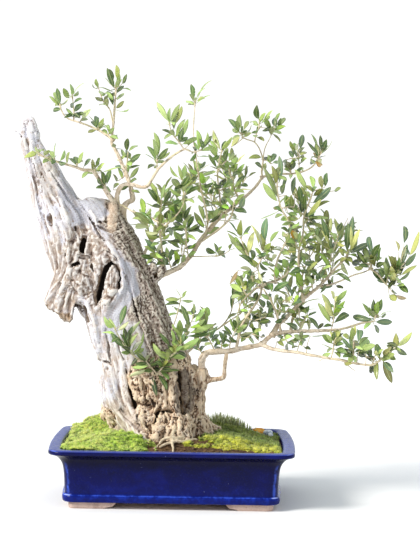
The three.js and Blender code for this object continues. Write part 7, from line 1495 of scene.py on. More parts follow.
        ((15.3, -11.4, 432.1, 15.3, -11.4, 432.1, 14.4, 19.1, 441.9, .03, -.31, .95, 8.8), "g", 0, 1),
        ((16.2, -19.3, 452.8, 16.2, -19.3, 452.8, 21.3, 8.8, 464.8, -.11, -.37, .92, 10.4), "g", 0, 1),
        ((12.4, -26, 487, 12.4, -26, 487, 7.5, 2.4, 492.6, -.32, -.23, .92, 10.2), "d", 0, 1),
    ]),
    ("sh_i", "spray_upper_low", "J", [[(14.1, 3, 403.1), (9.4, 14, 416.3), (9.2, 18, 429.9), (12.4, 20, 440.2)]], [
        ((9.5, 18.2, 430.9, 7.5, 15.7, 431.6, -5.5, 42.4, 454.9, .02, -.65, .76, 10.3), "g", 0, 0),
        ((9.2, 17, 426.5, 5.8, 15.2, 426.5, -9.3, -5.3, 437.1, .82, -.56, .09, 8.7), "g", 0, 0),
        ((10, 18.5, 432.5, 12.5, 20.7, 431.6, 20.6, 48.1, 441.3, .18, -.37, .91, 7.4), "g", 0, 0),
        ((12.1, 19.8, 439.2, 14.2, 19, 438.5, 17.7, -4.9, 454.6, .44, -.46, -.78, 8.1), "c", 0, 0),
        ((10.8, 19, 435, 5.6, 20.3, 436.6, -17.5, 47.4, 437.2, -.68, -.59, .43, 9), "d", 0, 0),
        ((5.8, 1.7, 394.8, 3, 4.4, 399.4, -1.9, -24.7, 422.5, .30, -.62, -.72, 10.3), "b", -1, 0),
        ((13.5, 4.4, 404.7, 8.1, 2, 403, 15.2, -23.4, 416, -.70, -.47, -.54, 8.9), "g", 0, 0),
        ((9.3, 16.5, 424.8, 14.4, 17, 424.9, 29.5, 44.7, 429.4, .61, -.44, .65, 8.7), "d", 0, 0),
        ((9.3, 16, 423.1, 5.9, 16, 423, -8.4, 41.6, 416.8, -.88, -.46, .11, 7.6), "g", 0, 0),
        ((20.4, 5.6, 409.5, 19.9, 7.1, 409.9, 33.6, -15.9, 421.1, -.87, -.48, .08, 8.9), "g", -1, 0),
        ((10.7, 11.1, 412.8, 11.2, 13.8, 412.9, -4.8, 43.6, 406.3, -.82, -.34, .46, 8), "d", 0, 0),
        ((11.5, 19.5, 437.5, 11.5, 19.5, 437.5, 17.8, 51.3, 436.4, -.17, .07, .98, 10.1), "g", 0, 1),
        ((10.6, 18.9, 434.5, 10.6, 18.9, 434.5, 14.9, 53.3, 441.4, -.19, -.17, .97, 8), "b", 0, 1),
        ((9.3, 15.6, 421.6, 9.3, 15.6, 421.6, 18.7, 46.7, 416.6, .18, .10, .98, 8.1), "d", 0, 1),
    ]),
    ("sh_k", "twig_riser", "JR", [[(50.8, 5, 460), (48, 10, 471.9)], [(52.5, 1, 472.1), (56.5, -4, 475.6)]], [
        ((48, 10, 471.9, 46.2, 11.9, 473.5, 37, 39.4, 500.6, .26, -.63, .73, 9.4), "g", 0, 0),
        ((50.2, 6, 462.5, 46.5, 5.2, 461.7, 29.1, -13.4, 488.9, .36, -.86, -.36, 9.4), "g", 0, 0),
        ((53.7, -0.5, 473.2, 53.1, 2.1, 473.8, 66.5, 27.3, 490.8, .03, -.57, .82, 8.9), "d", 1, 0),
        ((56.5, -4, 475.6, 56.5, -5.4, 477.4, 73, -32.8, 496.6, -.70, -.64, -.32, 11.2), "n", 1, 0),
        ((53, 0.3, 472.6, 54.9, -0.9, 470.4, 73.3, -25, 484.7, -.12, -.57, -.81, 7.6), "k", 1, 0),
        ((49.5, 7.3, 465.4, 48.1, 5, 465.1, 34.5, -18.3, 473.8, .88, -.45, .17, 7.9), "b", 0, 0),
        ((48.2, 7.7, 453.2, 51.8, 8.4, 451.4, 72.2, 37.5, 463.2, .48, -.60, .64, 10.6), "g", -1, 0),
        ((48.5, 7.5, 453.8, 46.6, 6.4, 454.8, 33, -18.9, 458.5, .85, -.41, .33, 7.8), "d", -1, 0),
        ((55.8, -3.1, 475, 55.8, -3.1, 475, 51.7, 30.7, 477.7, -.28, -.11, .95, 8), "b", 1, 1),
        ((48.1, 9.7, 471.2, 48.1, 9.7, 471.2, 48.2, 39.3, 470.4, .14, .03, .99, 8.2), "g", 0, 1),
        ((55, -2.1, 474.3, 55, -2.1, 474.3, 50.1, 29, 485.9, -.01, -.35, .94, 8.6), "g", 1, 1),
    ]),
    ("tw_217", "spray_small_hanging", "J", [[(23.3, 6, 412.5), (40.5, -4, 413.2), (60.9, -12, 414.6), (71.1, -16, 415), (82.9, -18, 419.5), (91.2, -20, 425.6)]], [
        ((67.7, -14.7, 414.9, 67.6, -16.2, 420, 50.5, 16, 425.5, -.87, -.48, .12, 10.3), "d", 0, 0),
        ((67.7, -14.7, 414.9, 67.6, -12.4, 421.6, 63.9, -39.4, 437.6, .62, -.46, -.64, 7.5), "g", 0, 0),
        ((69.4, -15.3, 414.9, 69.3, -13.9, 419.9, 76.1, 10.7, 431.2, -.32, -.32, .89, 8), "b", 0, 0),
        ((88.2, -19.3, 423.4, 87.9, -17.8, 423.8, 99.3, -44, 428.2, -.46, -.05, .89, 6.5), "g", 0, 0),
        ((73.7, -16.4, 415.9, 72.7, -19.4, 418.5, 85, 10.4, 410.8, .91, -.30, .30, 8.4), "d", 0, 0),
        ((71.5, -16.1, 415.1, 71.5, -16.1, 415.1, 76.8, -41.6, 425, .29, .40, .87, 10.1), "d", 0, 1),
        ((90.2, -19.7, 424.8, 90.2, -19.7, 424.8, 99.1, -52.8, 440.8, -.55, .23, .80, 10.4), "b", 0, 1),
        ((80.6, -17.6, 418.6, 80.6, -17.6, 418.6, 76.3, 13.8, 420.3, -.20, -.08, .98, 10.1), "d", 0, 1),
    ]),
    ("jl_tip", "twig_upper_fork", "JL", [[(93.5, -22, 486.7), (95, -28, 498.6), (98.1, -32, 510.5)], [(82.1, -13, 469.4), (83.4, -22, 486.5), (79.7, -26, 501.7)]], [
        ((96.1, -29.5, 503.1, 100, -28.9, 502.1, 106.9, -2.4, 515.6, -.24, -.39, .89, 8.2), "b", 0, 0),
        ((95.4, -28.5, 500.1, 106.8, -29.6, 497.1, 114.2, -63.2, 515.8, -.50, -.50, -.70, 11), "u", 0, 0),
        ((94.2, -24.8, 492.2, 96.8, -24.3, 491.8, 119.4, 1.2, 490.2, .70, -.59, .40, 11.1), "d", 0, 0),
        ((94, -23.8, 490.2, 95.2, -21.3, 490.1, 93.6, 7.1, 505.1, .30, -.43, .85, 9.4), "k", 0, 0),
        ((93.5, -22, 486.7, 88.5, -21.9, 486.6, 102.5, 7.2, 481.4, .86, -.34, .38, 8.1), "n", 0, 0),
        ((79.7, -26, 501.7, 78, -28.4, 501.7, 88, -59.4, 495.4, -.46, -.32, .83, 10.1), "b", 1, 0),
        ((94.4, -25.7, 494.1, 98.5, -25, 493.6, 110.7, 6.8, 503.7, -.07, -.28, .96, 8), "d", 0, 0),
        ((79.9, -25.8, 500.8, 76.4, -25.7, 499.9, 59.4, -47.5, 504.8, .78, -.53, .34, 9), "o", 1, 0),
        ((95.8, -29.1, 501.7, 94.9, -30.3, 502, 82.6, -57.7, 513.6, .88, -.45, -.14, 8.3), "g", 0, 0),
        ((97.8, -31.6, 509.3, 99.8, -30.8, 508.8, 112.7, -51.5, 520.8, -.82, -.56, -.08, 8.1), "g", 0, 0),
        ((83.3, -21.4, 485.3, 88.5, -20.9, 484.9, 75.2, 8.1, 479.2, -.89, -.35, .29, 7.8), "g", 1, 0),
        ((90.8, -19.1, 480.8, 92, -18.7, 479.8, 106, 5.8, 476.3, .57, -.21, .79, 5.6), "g", -1, 0),
        ((81.5, -24.1, 494.6, 83.3, -22.2, 495, 69.7, -50.7, 491.6, .48, -.32, .82, 8.8), "d", 1, 0),
        ((80.5, -25.2, 498.5, 80.5, -25.2, 498.5, 84.2, -58.9, 502.8, -.25, .09, .96, 7.6), "d", 1, 1),
        ((80, -25.7, 500.5, 80, -25.7, 500.5, 75.7, 7.5, 511.5, -.22, -.33, .92, 8.1), "d", 1, 1),
        ((96.1, -29.5, 503, 96.1, -29.5, 503, 89.3, 6.9, 509.8, -.04, -.19, .98, 9.6), "b", 0, 1),
        ((81.1, -24.5, 495.9, 81.1, -24.5, 495.9, 72.6, -56.3, 493.8, -.41, .05, .91, 9.8), "g", 1, 1),
    ]),
    ("m_low", "twig_upper_rise", "M", [[(73, 13, 509.9), (68, 14, 504.7), (62.7, 13, 514.8), (54, 12, 521.5), (43.6, 11, 526.5)], [(71.1, 8, 523.5), (79.5, 4, 530.5)]], [
        ((71.1, 8, 523.5, 69.4, 6, 518.4, 57, 24.5, 545.6, -.43, -.82, .36, 9.5), "g", 1, 0),
        ((54, 12, 521.5, 60.7, 14.3, 531.9, 42, -12.5, 531.5, .54, -.39, .75, 9.1), "d", 0, 0),
        ((71.7, 7.7, 524, 76.3, 6.6, 518.5, 98.9, 40, 520.6, .68, -.49, .55, 10.9), "n", 1, 0),
        ((78, 4.7, 529.3, 81.2, 4, 525.4, 89.4, -29.3, 527.2, -.97, -.23, .09, 9.7), "u", 1, 0),
        ((77.8, 4.8, 529.1, 79.5, 3.9, 527.1, 88, 27.9, 541, -.09, -.48, .87, 9.2), "d", 1, 0),
        ((68, 14, 504.7, 68, 11.4, 504.7, 57.7, -12.9, 504.6, .83, -.35, -.44, 8.9), "o", 0, 0),
        ((62.7, 13, 514.8, 62.7, 14, 514.8, 65.9, 40.1, 528.6, -.21, -.43, .88, 7.7), "g", 0, 0),
        ((78.2, 4.6, 529.5, 76, 6.6, 532.1, 60.5, -23.5, 536.8, .89, -.43, .18, 7.7), "d", 1, 0),
        ((79.5, 4, 530.5, 82.8, 4, 532.2, 97.8, -20.4, 537.5, -.83, -.43, .35, 8.2), "g", 1, 0),
        ((70, 4.4, 533.6, 70.9, 2.9, 533.7, 82.8, 35.4, 547.9, .29, -.47, .83, 9.7), "k", -1, 0),
        ((73, 13, 509.9, 74.7, 13.9, 513.3, 87, 42, 508.3, .91, -.37, .16, 8), "g", 0, 0),
        ((49.2, 11.5, 523.8, 48.8, 9.2, 523.1, 40.2, -18.9, 536.5, .05, -.44, -.90, 8.1), "g", 0, 0),
        ((74.5, 6.3, 526.4, 79.7, 7.6, 520.2, 92, 33.3, 513.6, .90, -.44, -.03, 8.1), "g", 1, 0),
        ((79.1, 4.2, 530.2, 79.1, 4.2, 530.2, 74.3, 27.9, 543.5, .52, -.34, .78, 9), "g", 1, 1),
        ((47.9, 11.4, 524.5, 47.9, 11.4, 524.5, 52.3, 39.9, 530.8, -.04, -.21, .98, 8.7), "g", 0, 1),
        ((78.8, 4.3, 529.9, 78.8, 4.3, 529.9, 82.3, 41, 521.6, -.28, .24, .93, 9.2), "d", 1, 1),
        ((66.7, 13.8, 507, 66.7, 13.8, 507, 60, 45.1, 506.3, -.05, .01, 1.00, 8.8), "g", 0, 1),
    ]),
    ("m_top", "twig_upper_rise", "M", [[(68.4, -2, 555.8), (75.3, -8, 569.4), (82, -10, 576.2)]], [
        ((74.9, -9, 593.9, 61.1, -11.8, 608, 59, 15.1, 629.2, .53, .55, -.65, 8.6), "w", -1, 0),
        ((74.9, -9, 593.9, 71.4, -9.9, 596.4, 59.1, 11.8, 625.7, -.58, -.75, .31, 9.7), "g", -1, 0),
        ((73.9, -8.4, 589.8, 68.1, -10.4, 591.2, 54.2, 5.1, 611.8, .07, -.77, .63, 8), "g", -1, 0),
        ((71.8, -7, 581.5, 66.6, -6.6, 582.8, 51, -34.5, 603.8, .60, -.67, -.44, 9.8), "g", -1, 0),
        ((71.5, -4.7, 561.9, 66.9, -6, 564.2, 52.9, 1.9, 587.9, .49, -.70, .52, 8.9), "d", 0, 0),
        ((74.9, -9, 593.9, 74.9, -6.5, 594.8, 91.2, -33.7, 616.2, -.06, -.64, -.77, 9.5), "g", -1, 0),
        ((82, -10, 576.2, 76.8, -7.3, 583, 86.9, 17.9, 599, .83, -.50, .26, 9.1), "g", 0, 0),
        ((81.1, -9.8, 575.4, 80.3, -8.6, 576.2, 84.8, -39.4, 594.1, -.59, -.47, -.66, 10.3), "d", 0, 0),
        ((82, -10, 576.2, 87, -11.4, 576.3, 93.9, 16.4, 592.3, -.19, -.46, .87, 9.1), "g", 0, 0),
        ((74.6, -7.4, 568, 71.9, -9.2, 569.3, 82, -35.1, 560.6, -.20, -.38, .90, 7.7), "o", 0, 0),
        ((68.5, -2, 555.8, 65.3, 0.6, 557.5, 50, 26.4, 552.4, -.80, -.39, .46, 7.9), "g", 0, 0),
        ((72.9, -7.8, 585.9, 71.6, -6.2, 586.3, 58.2, -30, 577.1, .42, -.53, .74, 8.6), "d", -1, 0),
        ((74.4, -8.7, 592, 76.6, -9.5, 591.4, 81.5, 10.5, 612.4, -.25, -.67, .70, 7.5), "d", -1, 0),
        ((79.5, -9.2, 573.6, 80.3, -9.4, 572.8, 96, 16.9, 570.1, .85, -.48, .21, 7.7), "g", 0, 0),
        ((76.4, -8.3, 570.5, 76.4, -8.3, 570.5, 68.2, 21.5, 581, -.00, -.33, .94, 7.8), "g", 0, 1),
        ((78, -8.8, 572.1, 78, -8.8, 572.1, 67.8, 16, 576.6, .28, -.06, .96, 8.7), "g", 0, 1),
        ((72.5, -5.6, 563.9, 72.5, -5.6, 563.9, 68, -32, 567.5, -.32, .18, .93, 8.1), "g", 0, 1),
        ((79.9, -9.4, 574.1, 79.9, -9.4, 574.1, 71.7, 24, 574.4, .32, .07, .94, 9.1), "d", 0, 1),
    ]),
    ("m2", "twig_upper_side", "M2", [[(91.3, 24, 547.9), (98.1, 26, 556.6), (101.4, 27, 563.5)], [(96.8, 29, 530.9), (105.3, 30, 537.9)]], [
        ((88.1, 20.4, 561.6, 87.6, 23.3, 561.5, 72.2, 55.5, 570.4, -.69, -.48, .55, 9.5), "d", -1, 0),
        ((87.6, 20, 563.2, 85.8, 20.9, 564.9, 73.4, -3.7, 583, .67, -.63, -.39, 9.1), "g", -1, 0),
        ((91.3, 24, 547.9, 89.6, 26, 547.9, 77.5, 49.8, 561.7, .12, -.45, .88, 7.7), "g", 0, 0),
        ((96.9, 25.7, 555.1, 92.9, 27.1, 558.2, 102.6, 2.2, 571.7, -.84, -.47, -.27, 7.7), "g", 0, 0),
        ((87.6, 20, 563.2, 90.9, 18.4, 566.6, 101.3, 45.1, 584.5, .03, -.56, .82, 10.4), "g", -1, 0),
        ((98.1, 26, 556.6, 103.3, 26, 553.3, 112.8, -0.6, 571.8, -.68, -.57, -.47, 9.9), "g", 0, 0),
        ((97.7, 29.1, 531.5, 96.8, 26.6, 532.6, 111.7, 10.2, 548.1, -.81, -.55, .20, 8.2), "g", 1, 0),
        ((105.3, 30, 537.9, 107.1, 29.6, 536.2, 120.3, 3.9, 534.6, -.61, -.36, .71, 8.6), "d", 1, 0),
        ((88.5, 20.8, 560.1, 87.7, 23.2, 559.8, 79.4, 47.9, 551.4, -.90, -.38, -.22, 7.9), "k", -1, 0),
        ((91.3, 24, 547.9, 94.8, 26.8, 544.5, 82.7, -4.2, 539, .63, -.37, .69, 9), "g", 0, 0),
        ((104.9, 29.9, 537.5, 101.8, 30.6, 541.2, 117.6, 53.2, 553.8, .18, -.57, .80, 8.4), "d", 1, 0),
        ((96.8, 29, 530.9, 98.6, 26.2, 527.4, 113.7, 2, 524.2, -.54, -.43, .73, 8.6), "g", 1, 0),
        ((93.6, 24.7, 550.9, 93, 24.9, 551.4, 106.2, -3.2, 558.1, -.90, -.43, -.03, 8.1), "d", 0, 0),
        ((94.8, 26.8, 538.5, 91.5, 25.3, 537.6, 77.7, 2, 530.4, .87, -.44, -.23, 8.4), "g", -1, 0),
        ((98.8, 26.2, 558.2, 98.8, 26.2, 558.2, 106.8, -7.2, 555.9, .22, -.01, .98, 8.5), "g", 0, 1),
        ((99.4, 26.4, 559.3, 99.4, 26.4, 559.3, 96, 58.4, 574.5, -.01, -.43, .90, 7.8), "d", 0, 1),
        ((97.5, 25.8, 555.8, 97.5, 25.8, 555.8, 104, 58.5, 562.3, .22, -.23, .95, 7.4), "g", 0, 1),
        ((100.9, 26.9, 562.5, 100.9, 26.9, 562.5, 87.8, -2.2, 564.6, .28, -.06, .96, 8.5), "d", 0, 1),
    ]),
    ("sh_l", "twig_top_middle", "L", [[(111.3, 55, 617.7), (107.6, 54, 626.3)]], [
        ((107.6, 54, 626.3, 100.6, 54.1, 631.3, 84.9, 82.6, 651.3, -.27, -.65, .71, 9.5), "d", 0, 0),
        ((107.6, 54, 626.3, 104.2, 55.5, 628, 98.3, 35.6, 646.1, .58, -.63, -.52, 9.2), "g", 0, 0),
        ((107.6, 54, 626.3, 107.5, 54.4, 634.9, 105.8, 86.4, 658.8, .10, -.59, .80, 9.6), "g", 0, 0),
        ((107.9, 54.1, 625.7, 109.3, 52.4, 626.2, 110.4, 26.6, 637.3, -.69, -.31, -.65, 8.7), "d", 0, 0),
        ((107.6, 54, 626.3, 112.8, 56.2, 631.6, 119.9, 79.2, 648.2, -.09, -.56, .82, 8.7), "g", 0, 0),
        ((108.5, 54.2, 624.2, 118, 55.7, 628.2, 125.3, 82.9, 641.5, .96, -.15, -.22, 6.4), "g", 0, 0),
        ((107.6, 54, 626.3, 102.5, 56.5, 626.3, 93.3, 27.5, 632, .43, -.30, -.85, 7.9), "g", 0, 0),
        ((111.3, 55, 617.7, 90.7, 52.7, 601.8, 105.5, 20.9, 618.2, -.78, -.53, -.33, 9.7), "y", 0, 0),
        ((109.2, 54.5, 622.4, 106, 54.7, 621.1, 92.6, 83.8, 616.6, -.89, -.37, .26, 8.8), "g", 0, 0),
        ((110.3, 54.7, 620.1, 113, 56.5, 621.3, 126.2, 33.6, 625.9, -.87, -.48, .10, 7.7), "g", 0, 0),
        ((107.7, 54, 626.1, 107.7, 54, 626.1, 113.5, 82.7, 630.1, .24, -.18, .95, 7.5), "g", 0, 1),
        ((109.7, 54.6, 621.4, 109.7, 54.6, 621.4, 117.1, 82.5, 632.5, .05, -.38, .92, 9), "g", 0, 1),
        ((108.1, 54.1, 625.2, 108.1, 54.1, 625.2, 95.4, 81.9, 635.4, .32, -.19, .93, 8.7), "g", 0, 1),
    ]),
    ("sh_l2", "twig_top_middle", "L", [[(132, 61, 611.3), (133.9, 62, 623.5), (138.8, 63, 637.5), (138.6, 63, 649.6)], [(146.8, 62, 580.4), (150, 66, 601.4), (158.5, 70, 619), (163.6, 72, 633)]], [
        ((138.6, 63, 649.6, 138.6, 62.4, 649.6, 133.9, 32.3, 673.9, -.09, -.62, -.78, 10.5), "d", 0, 0),
        ((133.4, 61.8, 620.4, 135.6, 59.8, 620, 147.1, 33.4, 612.5, -.34, -.39, .86, 8.2), "o", 0, 0),
        ((147.5, 62.9, 584.9, 143.2, 60, 585.5, 121.9, 36.4, 582.9, .60, -.60, .52, 9.2), "o", 1, 0),
        ((138.6, 63, 649.6, 147.3, 61.6, 649.7, 160, 37.7, 666.1, -.88, -.48, -.02, 8.3), "g", 0, 0),
        ((138.7, 63, 644.4, 144, 64.7, 644.6, 158.6, 92.3, 658.2, -.10, -.40, .91, 8.5), "g", 0, 0),
        ((163.4, 71.9, 632.5, 161.8, 70.7, 633, 150, 39.4, 652.2, .13, -.56, -.82, 10.8), "g", 1, 0),
        ((163.6, 72, 633, 168.7, 71, 638.3, 167.7, 101.6, 657, -.31, -.50, .81, 11.3), "d", 1, 0),
        ((163.6, 72, 633, 172.1, 69, 638.3, 175.8, 38.3, 652.6, -.62, -.39, -.68, 8.2), "d", 1, 0),
        ((163.6, 72, 633, 173.9, 70.8, 638.4, 185.2, 99.4, 655.5, .08, -.53, .84, 8.4), "g", 1, 0),
        ((163.6, 72, 633, 165.3, 72.5, 634.8, 182.9, 37.3, 639, -.89, -.42, .20, 10), "b", 1, 0),
        ((163.6, 72, 633, 168.5, 70.7, 648.7, 174.2, 45.5, 661.5, -.80, -.41, -.44, 7.4), "g", 1, 0),
        ((138.8, 63, 637.5, 151.1, 63.6, 636, 164.5, 94.3, 626.9, .86, -.45, -.24, 8.6), "g", 0, 0),
        ((161.4, 71.1, 626.9, 163.8, 73.4, 626.1, 175.3, 49.3, 611.7, .17, -.45, .88, 7.7), "o", 1, 0),
        ((163.6, 72, 633, 160, 71, 638.2, 143.6, 41.3, 629.9, .88, -.43, -.19, 8.6), "d", 1, 0),
        ((138.7, 63, 636.9, 137.1, 63.7, 637.5, 123.6, 89.2, 647, -.11, -.40, .91, 8.3), "g", 0, 0),
        ((138.7, 63, 644.4, 138.8, 65.9, 644.5, 148.4, 47.3, 661.2, -.68, -.65, -.34, 8.5), "g", 0, 0),
        ((162.5, 71.6, 630, 163.5, 69.1, 629.5, 180.4, 99.3, 629.1, .74, -.41, .53, 8.2), "g", 1, 0),
        ((137, 62.6, 632.3, 137.2, 64.1, 632.3, 126.3, 38.6, 626, .17, -.30, .94, 8.7), "d", 0, 0),
        ((133.8, 62, 623.3, 133.8, 62, 623.3, 131.3, 30.6, 618.9, .02, -.14, .99, 9.8), "g", 0, 1),
        ((138.8, 63, 640.9, 138.8, 63, 640.9, 130.1, 92.5, 645.6, -.14, -.20, .97, 7.9), "g", 0, 1),
        ((162.8, 71.7, 630.8, 162.8, 71.7, 630.8, 165.4, 103.4, 642, .15, -.34, .93, 8), "g", 1, 1),
        ((138.8, 63, 642.8, 138.8, 63, 642.8, 136, 92, 640.6, -.08, .07, .99, 9.8), "g", 0, 1),
        ((135.2, 62.3, 627.4, 135.2, 62.3, 627.4, 143.8, 96.9, 640.1, -.29, -.27, .92, 8.1), "d", 0, 1),
        ((159.9, 70.5, 622.8, 159.9, 70.5, 622.8, 159.8, 43.8, 636.9, -.31, .44, .84, 9), "d", 1, 1),
    ]),
    ("l_low", "twig_top_middle", "L", [[(146.8, 62, 578.7), (155.5, 60, 578.8), (160.7, 58, 573.6)]], [
        ((159, 58.7, 575.4, 158.9, 57.3, 575.3, 150.9, 85.1, 586.2, -.13, -.39, .91, 9.1), "k", 0, 0),
        ((159, 58.7, 575.4, 160.6, 57, 577.1, 170.2, 90.6, 593.6, .30, -.49, .82, 9.5), "d", 0, 0),
        ((145, 59.7, 562.9, 148.9, 62.4, 563.1, 151.3, 36, 574.8, -.57, -.38, -.73, 7.7), "g", -1, 0),
        ((158.1, 59, 576.2, 158.9, 57.5, 577.1, 154.2, 25.8, 588.4, .70, -.33, -.63, 8.3), "g", 0, 0),
        ((160.7, 58, 573.6, 164.1, 55.6, 575.4, 175.6, 85.2, 579.6, .50, -.31, .81, 7.5), "g", 0, 0),
        ((145.2, 60.2, 566.5, 145.3, 62.7, 566.5, 132.2, 31.4, 574.4, .91, -.40, -.09, 8.5), "d", -1, 0),
        ((158, 59, 576.3, 158, 59, 576.3, 156.3, 21.5, 574.8, .26, -.05, .96, 9.9), "g", 0, 1),
        ((156, 59.8, 578.2, 156, 59.8, 578.2, 145, 89.7, 582.1, -.01, -.13, .99, 9.2), "g", 0, 1),
        ((154.7, 60.2, 578.8, 154.7, 60.2, 578.8, 159.6, 32.9, 588.1, .11, .34, .93, 9.1), "k", 0, 1),
    ]),
    ("t_top", "twig_middle_tall", "T", [[(169.3, -10, 533.6), (169.8, -12, 545.5), (169.7, -14, 559)]], [
        ((169.6, -11.2, 540.6, 172.6, -9.6, 540.5, 172.2, 3.5, 586.5, .29, -.92, .26, 9.9), "u", 0, 0),
        ((169.5, -10.8, 538.6, 167.4, -12.2, 538.7, 159.3, -35.5, 568.6, .39, -.78, -.49, 10.9), "o", 0, 0),
        ((172.5, -13.1, 515.3, 171.2, -12.5, 515, 145.2, -0.5, 569, .30, -.89, .35, 10.5), "n", -1, 0),
        ((173.4, -13.9, 510.7, 169.5, -15.8, 509.9, 144.9, -26.8, 539.9, .26, -.96, -.14, 11.3), "g", -1, 0),
        ((169.3, -10, 533.6, 164.3, -12.1, 526.8, 152.9, -34.7, 550.1, .84, -.53, -.11, 7.6), "g", 0, 0),
        ((171.4, -12.2, 520.5, 178, -9.9, 521.9, 181.3, -45, 538.7, -.60, -.39, -.69, 9.4), "d", -1, 0),
        ((169.3, -10.1, 534.2, 177.8, -10.5, 533.8, 185.1, 10.7, 551, .73, -.56, .38, 7.4), "d", 0, 0),
        ((169.8, -13.2, 554, 172.2, -13.7, 554, 179.7, 11.1, 566.3, -.10, -.42, .90, 8.6), "y", 0, 0),
        ((175.2, -15.2, 503, 171.5, -12.7, 501.4, 188.8, 1.9, 518.7, -.53, -.31, .79, 5.7), "g", -1, 0),
        ((169.8, -13, 552.3, 172.1, -15.6, 552.3, 184.8, -38.4, 545.5, -.30, -.42, .85, 8.3), "g", 0, 0),
        ((169.8, -12.5, 548.9, 168.9, -12.2, 548.9, 154.4, 15.6, 555.7, -.51, -.45, .74, 8.6), "g", 0, 0),
        ((169.8, -13.3, 554, 169.8, -13.3, 554, 159.3, 22.4, 557.2, .05, -.07, 1.00, 7.9), "y", 0, 1),
        ((169.8, -12.1, 546.4, 169.8, -12.1, 546.4, 179.2, 18, 562.1, .18, -.50, .85, 9.9), "g", 0, 1),
        ((169.8, -12.6, 549.7, 169.8, -12.6, 549.7, 172.9, -44.1, 567.8, .03, .50, .86, 9.5), "d", 0, 1),
    ]),
    ("t_low", "twig_middle_tall", "T", [[(176.6, -16, 496.5), (188.5, -12, 500), (198.9, -8, 500.2)], [(188.6, -20, 478.1), (193.9, -16, 474.7)]], [
        ((176.6, -16, 496.5, 174.9, -13.2, 498.1, 164.1, 17.9, 499.4, -.75, -.28, .60, 10.1), "o", 0, 0),
        ((180.8, -17.3, 490.2, 179.9, -18.7, 489.8, 165.2, -47.2, 499.9, .90, -.40, .19, 8.1), "d", -1, 0),
        ((184.2, -13.4, 498.8, 183.2, -16.1, 501.7, 206.9, 15.1, 496.7, .80, -.60, .06, 9.9), "d", 0, 0),
        ((183.1, -13.8, 498.4, 185.3, -11.7, 491.5, 194.5, -36.7, 483.5, .43, -.13, .90, 6.2), "d", 0, 0),
        ((191.1, -18.1, 476.5, 192, -18.8, 478.1, 178.1, 13.2, 479.1, -.82, -.37, .44, 10.5), "g", 1, 0),
        ((192.7, -16.9, 475.5, 192.1, -18.3, 474.7, 177.4, -49.4, 470, .60, -.39, .69, 8.2), "g", 1, 0),
        ((176.6, -16, 496.5, 169.9, -15.8, 491.3, 143.2, -8.5, 478.9, -.46, -.20, .87, 6.1), "g", 0, 0),
        ((172, -12.8, 517.4, 186.5, -10.8, 520.3, 183, 20.1, 506.6, -.67, -.36, -.65, 9), "g", -1, 0),
        ((190.2, -11.3, 500.1, 190.1, -12.8, 503.4, 189.2, 10.6, 518.7, .41, -.48, .77, 8), "g", 0, 0),
        ((195.4, -9.3, 500.1, 195.5, -8.2, 501.8, 192, -39.6, 518.8, .23, -.48, -.84, 10.3), "o", 0, 0),
        ((197.2, -8.7, 500.1, 197.2, -10.2, 495.1, 210.5, 16.2, 489.9, .89, -.45, .03, 8), "g", 0, 0),
        ((198.9, -8, 500.2, 198.5, -6.7, 523.9, 181.3, -20.3, 506.7, -.60, -.22, .77, 5.8), "y", 0, 0),
        ((182.3, -17.8, 487.9, 180, -18.3, 486.4, 167.7, 11.8, 482.4, -.84, -.28, .47, 8.5), "g", -1, 0),
        ((185.8, -12.9, 499.2, 188.7, -13.5, 489.9, 202.6, -42.2, 487.1, -.70, -.40, .59, 8.9), "d", 0, 0),
        ((192.3, -17.2, 475.8, 192.3, -17.2, 475.8, 202.1, 13.6, 483.2, -.13, -.19, .97, 7.6), "g", 1, 1),
        ((194.6, -9.7, 500.1, 194.6, -9.7, 500.1, 182.3, 14, 499.9, -.16, -.07, .98, 8.2), "d", 0, 1),
        ((183.7, -13.6, 498.6, 183.7, -13.6, 498.6, 188.6, 17.4, 516.1, .29, -.50, .81, 8.8), "g", 0, 1),
        ((192.9, -16.8, 475.4, 192.9, -16.8, 475.4, 200.4, 10.3, 480, .24, -.23, .94, 10.4), "g", 1, 1),
    ]),
    ("t_mid", "twig_middle_tall", "T", [[(190.5, -24, 459.6), (199.1, -20, 461.3), (202.6, -18, 457.9)], [(183.8, -31, 437.7), (192.5, -28, 432.6)]], [
        ((195.8, -21.5, 460.6, 195.7, -20.3, 461.3, 206, 10.7, 445.4, .73, -.49, -.48, 10.6), "c", 0, 0),
        ((190, -22.1, 469.4, 192.2, -19.7, 469.7, 209.3, 13.9, 457.4, .87, -.48, -.11, 9.3), "k", -1, 0),
        ((189.1, -20.7, 475, 186.9, -21.1, 474.7, 203.6, 6.1, 467.7, .85, -.52, .03, 8.3), "g", -1, 0),
        ((188.5, -26.6, 451.2, 188.8, -26.3, 451.1, 179.8, 3.5, 457.1, -.94, -.31, .14, 8.8), "g", -1, 0),
        ((183.8, -31, 437.7, 180.5, -29.5, 435.9, 198.8, -2, 430.2, .78, -.42, .47, 7.5), "d", 1, 0),
        ((176.9, -36.7, 423.5, 175.4, -36.2, 424.2, 190.9, -68, 420.5, -.71, -.41, .57, 8.9), "g", -1, 0),
        ((171.7, -41.5, 411.9, 170.3, -42.9, 412.5, 186.6, -17.9, 406.8, .50, -.49, -.71, 8), "u", -1, 0),
        ((190.5, -24, 459.6, 188.7, -25.2, 457.9, 175.5, -55.9, 465, .92, -.36, .17, 8.8), "d", 0, 0),
        ((169.1, -46, 400.8, 168.7, -46.2, 400.9, 157.8, -18.8, 406.3, -.93, -.34, -.17, 8.4), "g", -1, 0),
        ((194.8, -22, 460.4, 193.8, -23.1, 464.7, 207.5, -50.8, 472.2, -.90, -.41, .13, 8.1), "g", 0, 0),
        ((201.6, -18.6, 459, 201.6, -18.6, 459, 206.4, -48.5, 476.1, -.55, .34, .76, 8.2), "u", 0, 1),
